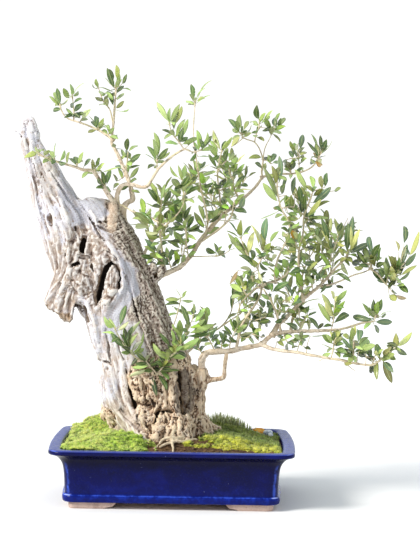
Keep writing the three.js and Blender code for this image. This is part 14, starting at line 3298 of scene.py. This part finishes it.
def build_moss():
    look = moss_look()
    for name in MOSS:
        rng = np.random.default_rng(21 if name == "moss_left" else 22)
        h = 2.4
        xs, ys = np.arange(-182, 182.1, h), np.arange(-142, 142.1, h)
        gx, gy = np.meshgrid(xs, ys, indexing="ij")
        x, y = gx.ravel(), gy.ravel()
        ok = in_pot(x, y, 20.6)
        cover = moss_cover(x, y, name) * ok
        top = moss_top(x, y, cover)
        keep = (cover > 0.12).reshape(gx.shape)
        cell = keep[:-1, :-1] & keep[1:, :-1] & keep[1:, 1:] & keep[:-1, 1:]
        i, j = np.nonzero(cell)
        m = len(ys)
        q = np.stack([i * m + j, (i + 1) * m + j, (i + 1) * m + j + 1, i * m + j + 1], 1)
        N = len(x)
        V = np.concatenate([np.stack([x, y, top], 1), np.stack([x, y, soil_height(x, y) - 2.4], 1)])
        edges = np.concatenate([q[:, [0, 1]], q[:, [1, 2]], q[:, [2, 3]], q[:, [3, 0]]])
        key = edges[:, 0] * (2 * N) + edges[:, 1]
        back = edges[:, 1] * (2 * N) + edges[:, 0]
        rim = edges[~np.isin(key, back)]
        wall = np.stack([rim[:, 1], rim[:, 0], rim[:, 0] + N, rim[:, 1] + N], 1)
        F = np.concatenate([q, q[:, ::-1] + N, wall])
        used = np.unique(F)
        new = np.full(2 * N, -1)
        new[used] = np.arange(len(used))
        low = step(-0.3, 0.3, fractal(np.stack([x, y, 0 * x], 1), 7, 98, 3))
        tone = np.tile(moss_tone(x, y, name, rng) * (0.3 + 0.46 * low)[:, None], (2, 1))
        bits = Bits()
        bits.add(V[used], (), new[F], moss=np.concatenate([tone[used], np.zeros((len(used), 1))], 1))
        # starry tufts: six closed spikes leaning out of one foot, thick on the lumps
        want = 3740
        tx, ty = rng.uniform(-182, 182, want * 9), rng.uniform(-142, 142, want * 9)
        c = moss_cover(tx, ty, name) * in_pot(tx, ty, 19.6)
        P0 = np.stack([tx, ty, 0 * tx], 1)
        clump = step(-0.3, 0.3, fractal(P0, 7, 98, 3))
        front = step(60, -140, ty)
        pick = rng.random(len(tx)) < c * (0.25 + 0.75 * clump) * (0.5 + 0.5 * front)
        tx, ty, c, clump = [q_[pick][:want] for q_ in (tx, ty, c, clump)]
        n6 = 7
        k = len(tx) * n6
        z = np.repeat(moss_top(tx, ty, c), n6)
        tall = (rng.uniform(2.6, 5.4, (len(tx), 1)) * rng.uniform(0.75, 1.15, (len(tx), n6)) * (0.7 + 0.5 * clump[:, None])).ravel()
        turn = (rng.uniform(0, 6.28, (len(tx), 1)) + np.arange(n6) * (6.283 / (n6 - 1)) + rng.normal(0, 0.25, (len(tx), n6))).ravel()
        out_ = rng.uniform(0.45, 1.1, k) * np.tile(np.r_[np.ones(n6 - 1), 0.2], len(tx))
        d = unit(np.stack([np.cos(turn) * out_, np.sin(turn) * out_, np.ones(k)], 1))
        wide = rng.uniform(0.65, 1.0, k)
        foot = np.stack([np.repeat(tx, n6), np.repeat(ty, n6), z - 0.9], 1)
        ringp = [foot + np.stack([np.cos(turn + q_) * wide, np.sin(turn + q_) * wide, 0 * turn], 1) for q_ in (0, 2.094, 4.189)]
        tipp = foot + d * (tall + 0.9)[:, None]
        X = np.stack(ringp + [tipp], 1)
        tri = np.array([[0, 1, 3], [1, 2, 3], [2, 0, 3], [0, 2, 1]])
        F3 = (tri[None] + (np.arange(k) * 4)[:, None, None]).reshape(-1, 3)
        tone = np.repeat(moss_tone(tx, ty, name, rng) * np.exp(rng.normal(0, 0.34, (len(tx), 1))) * (0.75 + 0.5 * clump)[:, None], n6, 0)
        tip = np.tile(np.array([0, 0, 0, 1.0]), (k, 1))
        at = np.concatenate([np.repeat(np.clip(tone, 0.005, 0.9)[:, None], 4, 1) * (0.28 + 1.25 * tip[..., None]), tip[..., None] * rng.uniform(0.1, 1, (k, 1, 1))], -1)
        bits.add(X.reshape(-1, 3), F3, moss=at.reshape(-1, 4))
        # longer blades of grass-like moss at the right back
        if name == "moss_right":
            for cx, cy, rx, ry, count, high in GRASS:
                gxx = cx + rng.normal(0, rx, count)
                gyy = cy + rng.normal(0, ry, count)
                gz = soil_height(gxx, gyy) + 2.5
                hgt = high * rng.uniform(0.5, 1.0, count)
                aa = rng.uniform(0, 6.28, count)
                out = np.stack([np.cos(aa), np.sin(aa)], 1) * rng.uniform(0.1, 0.6, (count, 1))
                wd = rng.uniform(0.8, 1.3, count)
                f0 = np.stack([gxx, gyy, gz], 1)
                mid = f0 + np.concatenate([out * (hgt * 0.35)[:, None], (hgt * 0.6)[:, None]], 1)
                end = f0 + np.concatenate([out * (hgt * 0.9)[:, None], (hgt * 0.95)[:, None]], 1)
                sx = np.stack([-np.sin(aa) * wd, np.cos(aa) * wd, 0 * aa], 1)
                sy = np.stack([np.cos(aa) * wd * 0.5, np.sin(aa) * wd * 0.5, 0 * aa], 1)
                X = np.stack([f0 + sx, f0 - sx, f0 + sy, mid + sx * 0.8, mid - sx * 0.8, mid + sy * 0.8, end], 1)
                tri = np.array([[0, 3, 4], [0, 4, 1], [1, 4, 5], [1, 5, 2], [2, 5, 3], [2, 3, 0], [3, 6, 4], [4, 6, 5], [5, 6, 3], [0, 1, 2]])
                F3 = (tri[None] + (np.arange(count) * 7)[:, None, None]).reshape(-1, 3)
                tone = np.array(rgb(232, 244, 182)[:3]) * (1 + rng.normal(0, 0.2, (count, 1)))
                tipv = np.array([0, 0, 0, 0.3, 0.3, 0.3, 1.0])
                at = np.concatenate([np.repeat(np.clip(tone, 0.01, 0.9)[:, None], 7, 1) * (0.86 + 0.3 * tipv[None, :, None]), np.tile(tipv[None, :, None], (count, 1, 1))], -1)
                bits.add(X.reshape(-1, 3), F3, moss=at.reshape(-1, 4))
        fasten(bits.piece(name + "_cushion", [look]), "moss", name)


GRASS = [(82, 98, 13, 12, 190, 27), (104, 94, 12, 12, 170, 22), (72, 90, 11, 10, 110, 13), (126, 98, 12, 10, 70, 8), (150, 70, 8, 10, 60, 6)]


def in_pot(x, y, inset):
    X, Y = POT_X - inset, POT_Y - inset
    r = CORNER * (1 - inset / 90)
    xx = np.abs(x) / (1 + BOW * (1 - np.clip(np.abs(y) / Y, 0, 1) ** 2) / POT_X)
    dx, dy = np.maximum(xx - (X - r), 0), np.maximum(np.abs(y) - (Y - r), 0)
    return (np.hypot(dx, dy) < r) & (xx < X) & (np.abs(y) < Y)


def build_stones():
    look = stone_look()
    for node, at, size, turn, seed in (("stone_large", (165, 84, 101.4), (9, 6.5, 5.5), 0.5, 1), ("stone_small", (169, 62, 100.4), (5.6, 4.4, 4.2), 1.9, 2)):
        n, m = 20, 36
        th, ph = np.meshgrid(np.linspace(0, math.pi, n)[1:-1], np.arange(m) * 2 * math.pi / m, indexing="ij")
        D = np.stack([np.sin(th) * np.cos(ph), np.sin(th) * np.sin(ph), np.cos(th)], -1).reshape(-1, 3)
        D = np.concatenate([D, [[0, 0, 1.0], [0, 0, -1.0]]])
        # a rolled pebble: a ball cut by a few soft flats
        rng = np.random.default_rng(seed)
        r = np.ones(len(D))
        for _ in range(9):
            w = unit(rng.normal(0, 1, 3))
            r = blend_min(r, rng.uniform(0.78, 0.95) / np.maximum(D @ w, 1e-3), 0.12)
        r = r + 0.05 * fractal(D, 0.5, seed + 7, 3)
        V = D * r[:, None] * np.array(size)
        c, s = math.cos(turn), math.sin(turn)
        V = np.stack([V[:, 0] * c - V[:, 1] * s, V[:, 0] * s + V[:, 1] * c, V[:, 2]], 1) + np.array(at)
        k = (n - 2) * m
        i, j = np.meshgrid(np.arange(n - 3), np.arange(m), indexing="ij")
        F = np.stack([i * m + j, (i + 1) * m + j, (i + 1) * m + (j + 1) % m, i * m + (j + 1) % m], -1).reshape(-1, 4)
        j = np.arange(m)
        F3 = np.concatenate([np.stack([np.full(m, k), j, (j + 1) % m], 1), np.stack([np.full(m, k + 1), k - m + (j + 1) % m, k - m + j], 1)])
        fasten(make("pebble_" + node[6:], V, [F, F3], [look]), "stone", node)


def build_fallen():
    bits = Bits()
    z = lambda x, y: float(moss_top(np.array([x]), np.array([y]), np.array([1.0]))[0]) + 5.0
    r = np.array([[135.0, 95.5, z(135, 95.5)]])
    b = np.array([[138.0, 96.5, z(138, 96.5)]])
    t = np.array([[163.0, 100.0, z(163, 100) + 1.5]])
    rng = np.random.default_rng(4)
    blades(bits, r, b, t, np.array([[0.1, -1.3, 1.0]]), np.array([12.0]), np.array([rgb(220, 150, 50)[:3]]), rng, np.ones(1))
    dry = dry_look()
    fasten(bits.piece("fallen_olive_leaf", [dry, dry]), "dry_leaf", "fallen_leaf")


def build_screens():
    """Woven plastic mesh over the two drain holes."""
    look = mesh_look()
    for name, x0 in (("drain_screen_left", -82.0), ("drain_screen_right", 82.0)):
        bits = Bits()
        for k in range(13):
            o = -18 + 3 * k
            for way in (0, 1):
                s = np.linspace(-19, 19, 27)
                wave = 0.34 * np.cos((s + 18) / 3 * math.pi + (k + way) * math.pi)
                P = np.stack([s, 0 * s + o, wave + 23.1], 1) if way == 0 else np.stack([0 * s + o, s, wave + 23.1], 1)
                P[:, 0] += x0
                T, N, B = frames(P)
                a = np.arange(5) * 2 * math.pi / 5
                V = (P[:, None] + 0.42 * (np.cos(a)[None, :, None] * N[:, None] + np.sin(a)[None, :, None] * B[:, None])).reshape(-1, 3)
                i, j = np.meshgrid(np.arange(26), np.arange(5), indexing="ij")
                F4 = np.stack([i * 5 + j, i * 5 + (j + 1) % 5, (i + 1) * 5 + (j + 1) % 5, (i + 1) * 5 + j], -1).reshape(-1, 4)
                F3 = np.array([[0, 2, 1], [0, 3, 2], [0, 4, 3], [130, 131, 132], [130, 132, 133], [130, 133, 134]])
                bits.add(V, F3, F4)
        fasten(bits.piece(name + "_mesh", [look]), "screen_mesh", name)


# ---------------------------------------------------------------- pot
# [height, set in from the rim]: lip, cove under it, straight wall, raised foot band
OUTER = [[98.3, 2.6], [97.6, 0.9], [96.4, 0.0], [94.2, -0.3], [91.6, 0.3], [90.4, 2.0], [89.4, 5.2], [87.6, 9.4], [85.2, 13.0], [82.0, 16.2], [77.5, 19.2], [72.0, 21.4], [65.0, 22.9], [57.0, 23.9], [48.0, 24.6], [38.0, 25.1], [28.0, 25.4], [24.6, 25.3], [23.2, 24.6], [22.4, 23.2], [21.4, 22.2], [19.4, 21.8], [16.6, 21.9], [13.8, 22.3], [11.8, 23.2], [10.8, 24.8], [10.6, 27.0]]
INNER = [[98.5, 4.6], [98.7, 8.0], [98.8, 12.0], [98.6, 15.6], [97.9, 18.0], [96.4, 19.3], [94.0, 20.0], [88.0, 20.8], [84.0, 22.6], [79.0, 26.6], [75.0, 30.0], [64.0, 34.0], [51.0, 35.7], [36.0, 36.2], [22.0, 36.4]]
FOOT_OUT_X, FOOT_IN_X, FOOT_OUT_Y, FOOT_IN_Y, FOOT_WALL = 169.0, 90.0, 131.0, 66.0, 18.0
HOLES, HOLE_R, FLOOR_LOW, FLOOR_HIGH = (-82.0, 82.0), 11.0, 13.0, 22.0


def outline(n_side_x, n_side_y, n_corner):
    """Directions round the square -1..1, closer together at the corners."""
    q = []
    cx, cy = 1 - CORNER / POT_X, 1 - CORNER / POT_Y
    sx = np.linspace(-cx, cx, n_side_x)
    sy = np.linspace(-cy, cy, n_side_y)
    q += [(s, -1.0) for s in sx]
    q += [(cx + (1 - cx) * t, -1.0) for t in np.linspace(0, 1, n_corner)[1:]]
    q += [(1.0, -1 + (1 - cy) * t) for t in np.linspace(0, 1, n_corner)[1:]]
    q += [(1.0, s) for s in sy[1:]]
    q += [(1.0, cy + (1 - cy) * t) for t in np.linspace(0, 1, n_corner)[1:]]
    q += [(1 - (1 - cx) * t, 1.0) for t in np.linspace(0, 1, n_corner)[1:]]
    q += [(s, 1.0) for s in sx[::-1][1:]]
    q += [(-cx - (1 - cx) * t, 1.0) for t in np.linspace(0, 1, n_corner)[1:]]
    q += [(-1.0, 1 - (1 - cy) * t) for t in np.linspace(0, 1, n_corner)[1:]]
    q += [(-1.0, s) for s in sy[::-1][1:]]
    q += [(-1.0, -cy - (1 - cy) * t) for t in np.linspace(0, 1, n_corner)[1:]]
    q += [(-1 + (1 - cx) * t, -1.0) for t in np.linspace(0, 1, n_corner)[1:-1]]
    return np.array(q)


def plate(loops, z, up):
    """Triangles between closed loops of points at one height, the first loop outside and the others holes."""
    import bmesh

    bm = bmesh.new()
    at = []
    for loop in loops:
        vs = [bm.verts.new((p[0], p[1], 0)) for p in loop]
        at += vs
        for a, b in zip(vs, vs[1:] + vs[:1]):
            bm.edges.new((a, b))
    bm.verts.index_update()
    bmesh.ops.triangle_fill(bm, use_beauty=True, use_dissolve=False, edges=bm.edges[:])
    tri = []
    for f in bm.faces:
        a, b, c = [v.index for v in f.verts]
        pa, pb, pc = [f.verts[i].co for i in range(3)]
        ccw = (pb.x - pa.x) * (pc.y - pa.y) - (pb.y - pa.y) * (pc.x - pa.x) > 0
        tri.append((a, b, c) if ccw == up else (a, c, b))
    bm.free()
    return np.array(tri)


def build_pot():
    glaze, clay = glaze_look(), clay_look()
    q = outline(60, 46, 12)
    n = len(q)
    outer = along(np.array([[0, h, e] for h, e in OUTER], float), 1.7)[0][:, 1:]
    inner = along(np.array([[0, h, e] for h, e in INNER], float), 3.0)[0][:, 1:]
    prof = np.concatenate([outer[::-1], inner])
    V = []
    for h, e in prof:
        x, y = pot_outline_at(q[:, 0], q[:, 1], e)
        V.append(np.stack([x, y, np.full(n, h)], 1))
    V = np.array(V)
    m = len(prof)
    # a thrown and pressed wall is never quite true
    flat = V.reshape(-1, 3)
    wob = 0.35 * fractal(flat, 70, 101, 2) + 0.12 * fractal(flat, 18, 102, 2)
    out = np.stack([flat[:, 0] / POT_X, flat[:, 1] / POT_Y, 0 * wob], 1)
    flat = flat + unit(out) * wob[:, None]
    i, j = np.meshgrid(np.arange(m - 1), np.arange(n), indexing="ij")
    F = [np.stack([i * n + j, i * n + (j + 1) % n, (i + 1) * n + (j + 1) % n, (i + 1) * n + j], -1).reshape(-1, 4)]
    corner = np.maximum(0, 1 - np.hypot(1 - np.abs(q[:, 0]), (1 - np.abs(q[:, 1]))) * 8)
    d2 = np.hypot(POT_X * (1 - np.abs(q[:, 0])), POT_Y * (1 - np.abs(q[:, 1])))
    near_corner = np.exp(-((d2 / 9.0) ** 2))
    H, E = np.repeat(prof[:, 0], n), np.repeat(prof[:, 1], n)
    side_out = np.repeat(np.arange(m) < len(outer), n)
    lip_low = np.exp(-(((H - 91.4) / 0.9) ** 2)) * side_out
    lip_top = np.exp(-(((H - 97.6) / 0.8) ** 2)) * side_out
    band_top = np.exp(-(((H - 22.6) / 1.0) ** 2)) * side_out
    band_low = np.exp(-(((H - 11.6) / 0.8) ** 2)) * side_out
    wall = step(88, 80, H) * step(20, 26, H) * side_out
    nc = np.tile(near_corner, m)
    # edges and corners: partly glaze running thin, partly painted highlight
    edge_break_and_highlight = np.clip(0.5 * lip_top + 0.22 * lip_low + 0.3 * band_low + 0.78 * band_top + nc * (0.7 * wall + 0.8 * (lip_low + lip_top + band_top + band_low)), 0, 1)
    band = side_out * (0.24 * step(56, 26, H) + 0.28 * step(26, 22.5, H) + 0.3 * step(16, 22, H) * step(26, 22.5, H))
    # top: the rim's top, where a painted reflection lightens the glaze
    top = np.repeat((np.arange(m) >= len(outer) - 2), n) * step(94, 98, H)
    # painted shade: darkest just under the lip, fading down the wall, and a line in the crease above the foot band
    undercut_shade = (step(92.5, 90.5, H) * (0.16 * step(26, 60, H) + 0.84 * step(50, 90, H) ** 1.3) + 0.35 * np.exp(-(((H - 25.4) / 1.4) ** 2))) * side_out
    tone = np.stack([edge_break_and_highlight, band, top.astype(float), undercut_shade], 1)
    verts, attrs = [flat], [tone]
    at = m * n
    # the floor, with its drain holes, and the underside
    a = np.arange(32) * 2 * math.pi / 32
    circles = [np.stack([cx + HOLE_R * np.cos(a), HOLE_R * np.sin(a)], 1) for cx in HOLES]
    top_loop = V[-1][:, :2]
    tri = plate([flat[(m - 1) * n :, :2]] + circles, 0, True)
    hole_high = at + np.arange(64)
    verts.append(np.concatenate([np.concatenate([c, np.full((32, 1), FLOOR_HIGH)], 1) for c in circles]))
    attrs.append(np.tile([0, 0, 0, 0.0], (64, 1)))
    ids = np.concatenate([(m - 1) * n + np.arange(n), hole_high])
    F3 = [ids[tri]]
    at += 64
    # underside: step in from the band to a recessed clay underside
    under = []
    for h, e in ((11.2, 30.0), (12.6, 31.5), (13.0, 34.0)):
        x, y = pot_outline_at(q[:, 0], q[:, 1], e)
        under.append(np.stack([x, y, np.full(n, h)], 1))
    verts.append(np.concatenate(under))
    attrs.append(np.tile([0, 0, 0, 0.0], (3 * n, 1)))
    prev = np.arange(n)
    clay_from = []
    Fu = []
    for k in range(3):
        cur = at + k * n + np.arange(n)
        Fu.append(np.stack([prev, cur, np.roll(cur, -1), np.roll(prev, -1)], 1))
        prev = cur
    at += 3 * n
    hole_low = at + np.arange(64)
    verts.append(np.concatenate([np.concatenate([c, np.full((32, 1), FLOOR_LOW)], 1) for c in circles]))
    attrs.append(np.tile([0, 0, 0, 0.0], (64, 1)))
    at += 64
    tri = plate([under[-1][:, :2]] + circles, 0, False)
    ids = np.concatenate([prev, hole_low])
    F3u = ids[tri]
    for k in range(2):
        hi, lo = hole_high[k * 32 : k * 32 + 32], hole_low[k * 32 : k * 32 + 32]
        Fu.append(np.stack([hi, lo, np.roll(lo, -1), np.roll(hi, -1)], 1))
    Fu = np.concatenate(Fu)
    F = F[0]
    F3 = F3[0]
    bits_V = np.concatenate(verts)
    faces3 = np.concatenate([F3, F3u])
    faces4 = np.concatenate([F, Fu])
    index = np.concatenate([np.ones(len(F3), int), np.ones(len(F3u), int), np.zeros(len(F), int), np.ones(len(Fu), int)])
    low_inside = prof[:-1, 0] < 80
    inner_row = np.repeat((np.arange(m - 1) > len(outer)) & (prof[:-1, 0] < 84), n)
    index[len(F3) + len(F3u) : len(F3) + len(F3u) + len(F)][inner_row] = 1
    body = make("pot_body", bits_V, [faces3, faces4], [glaze, clay], index, True, {"glaze": np.concatenate(attrs)})
    fasten(body, "pot_glaze", "pot")

    # four bracket feet, each one L of clay with a scrolled end on both arms
    bits = Bits()

    def arm(length_out, length_in):
        """Half outline of an arm seen from the side: (distance, height), from the outer corner to the scroll."""
        P = [(length_out, 14.0), (length_out, 5.0), (length_out - 0.6, 1.6), (length_out - 1.8, 0.35), (length_out - 3.5, 0.0)]
        P += [(length_in + t, 0.0) for t in (60.0, 44.0, 30.0, 24.0) if length_in + t < length_out - 6]
        P += [(length_in + 20.0, 0.5), (length_in + 17.0, 1.9), (length_in + 13.0, 2.9), (length_in + 8.6, 3.4), (length_in + 5.4, 4.6), (length_in + 3.4, 6.6), (length_in + 1.6, 8.4), (length_in + 0.4, 10.4), (length_in, 14.0)]
        return np.array(P)

    for sx in (-1, 1):
        for sy in (-1, 1):
            # plan: the outer face follows a rounded corner; height along it comes from the arms' outlines
            r = 9.0
            ox, oy = FOOT_OUT_X, FOOT_OUT_Y
            path = [(FOOT_IN_X, -oy, 0)]
            xs = sorted({*(p[0] for p in arm(ox, FOOT_IN_X) if p[0] < ox - r)})
            path_x = [(x, oy, x) for x in xs]
            ys = sorted({*(p[0] for p in arm(oy, FOOT_IN_Y) if p[0] < oy - r)})
            turn = [(ox - r + r * math.sin(t), oy - r + r * math.cos(t)) for t in np.linspace(0, math.pi / 2, 9)]
            prof_x = arm(ox, FOOT_IN_X)
            prof_y = arm(oy, FOOT_IN_Y)

            def low(pr, d):
                pts = pr[1:][np.argsort(pr[1:, 0])]
                return float(np.interp(d, pts[:, 0], pts[:, 1]))

            spine = []
            for x in xs:
                spine.append((x, oy, 0.0, 1.0, low(prof_x, x) if x > FOOT_IN_X + 0.01 else 11.0))
            for k, (x, y) in enumerate(turn):
                t = k / 8 * math.pi / 2
                spine.append((x, y, math.sin(t), math.cos(t), 0.0))
            for y in ys[::-1]:
                spine.append((ox, y, 1.0, 0.0, low(prof_y, y) if y > FOOT_IN_Y + 0.01 else 11.0))
            S = np.array(spine)
            # outer face eases in towards the ground
            sect = lambda low_z: [(0.0, 13.8), (0.0, max(low_z, 5.0)), (-0.5, max(low_z, 2.0)), (-1.4, max(low_z, 0.5)), (-2.6, low_z), (-FOOT_WALL + 2.0, low_z), (-FOOT_WALL + 0.6, max(low_z, 0.8)), (-FOOT_WALL, max(low_z, 2.4)), (-FOOT_WALL, 13.8)]
            rows = []
            for x, y, nx, ny, lz in spine:
                ring = []
                for d, h in sect(lz):
                    px_, py_ = x + nx * d, y + ny * d
                    if nx > 0 and ny > 0:  # inner corner stays square
                        px_, py_ = (x + nx * d, y + ny * d) if d > -r else (ox + d, oy + d)
                    ring.append((px_, py_, h))
                rows.append(ring)
            R = np.array(rows)
            R[..., 0] *= sx
            R[..., 1] *= sy
            k, w_ = R.shape[:2]
            i, j = np.meshgrid(np.arange(k - 1), np.arange(w_), indexing="ij")
            F4 = np.stack([i * w_ + j, i * w_ + (j + 1) % w_, (i + 1) * w_ + (j + 1) % w_, (i + 1) * w_ + j], -1).reshape(-1, 4)
            e0 = np.arange(1, w_ - 1)
            F3 = np.concatenate([np.stack([0 * e0, e0 + 1, e0], 1), np.stack([0 * e0, e0, e0 + 1], 1) + (k - 1) * w_])
            if sx * sy > 0:
                F4, F3 = F4[:, ::-1], F3[:, ::-1]
            bits.add(R.reshape(-1, 3), F3, F4)
    feet = bits.piece("pot_feet", [clay], smooth=False)
    fasten(feet, "pot_glaze", "pot")


# ---------------------------------------------------------------- camera, floor and light
def build_stage():
    scene = bpy.context.scene
    scene.view_settings.view_transform = "Standard"
    scene.view_settings.look = "None"
    cam = bpy.data.cameras.new("camera")
    cam.sensor_width, cam.lens, cam.sensor_fit = 36.0, 111.15, "AUTO"
    cam.clip_start, cam.clip_end = 0.05, 200.0
    co = bpy.data.objects.new("camera", cam)
    co.matrix_world = Matrix.Translation(Vector(metres(EYE))) @ Matrix.Rotation(math.pi / 2 - TILT, 4, "X") @ Matrix.Rotation(ROLL * ROLL_SIGN, 4, "Z")
    scene.collection.objects.link(co)
    scene.camera = co

    n = 96
    a = np.arange(n) * 2 * math.pi / n
    V = np.concatenate([[[0, 0, 0]], np.stack([np.cos(a), np.sin(a), 0 * a], 1)]) * 26000.0
    F = np.stack([np.zeros(n, int), 1 + np.arange(n), 1 + (np.arange(n) + 1) % n], 1)
    floor = make("floor", V - OFFSET, [F], [floor_look()], smooth=False)

    world = bpy.data.worlds.new("studio")
    scene.world = world
    world.use_nodes = True
    nt = world.node_tree
    soft = nt.nodes["Background"]
    soft.inputs[0].default_value = (0.88, 0.94, 1.0, 1)
    soft.inputs[1].default_value = WORLD_STRENGTH
    plain = nt.nodes.new("ShaderNodeBackground")
    plain.inputs[0].default_value = (1.0, 1.0, 1.0, 1)
    plain.inputs[1].default_value = 1.1
    path = nt.nodes.new("ShaderNodeLightPath")
    mix = nt.nodes.new("ShaderNodeMixShader")
    nt.links.new(path.outputs["Is Camera Ray"], mix.inputs[0])
    nt.links.new(soft.outputs[0], mix.inputs[1])
    nt.links.new(plain.outputs[0], mix.inputs[2])
    nt.links.new(mix.outputs[0], nt.nodes["World Output"].inputs[0])

    def sun(name, direction, strength, colour, degrees):
        light = bpy.data.lights.new(name, "SUN")
        light.energy, light.color, light.angle = strength, colour, math.radians(degrees)
        o = bpy.data.objects.new(name, light)
        o.rotation_euler = Vector(direction).to_track_quat("-Z", "Y").to_euler()
        scene.collection.objects.link(o)

    sun("key", KEY_WAY, KEY_STRENGTH, (1.0, 0.965, 0.90), KEY_SOFT)


# ---------------------------------------------------------------- the object
trunk_V, trunk_Q, trunk_C = build_trunk()
tr = make("trunk_wood", trunk_V, [trunk_Q], [wood_look()], colours=trunk_C)
fasten(tr, "deadwood", "trunk")
build_limbs()
build_soil()
build_moss()
build_stones()
build_fallen()
build_screens()
build_pot()
build_stage()
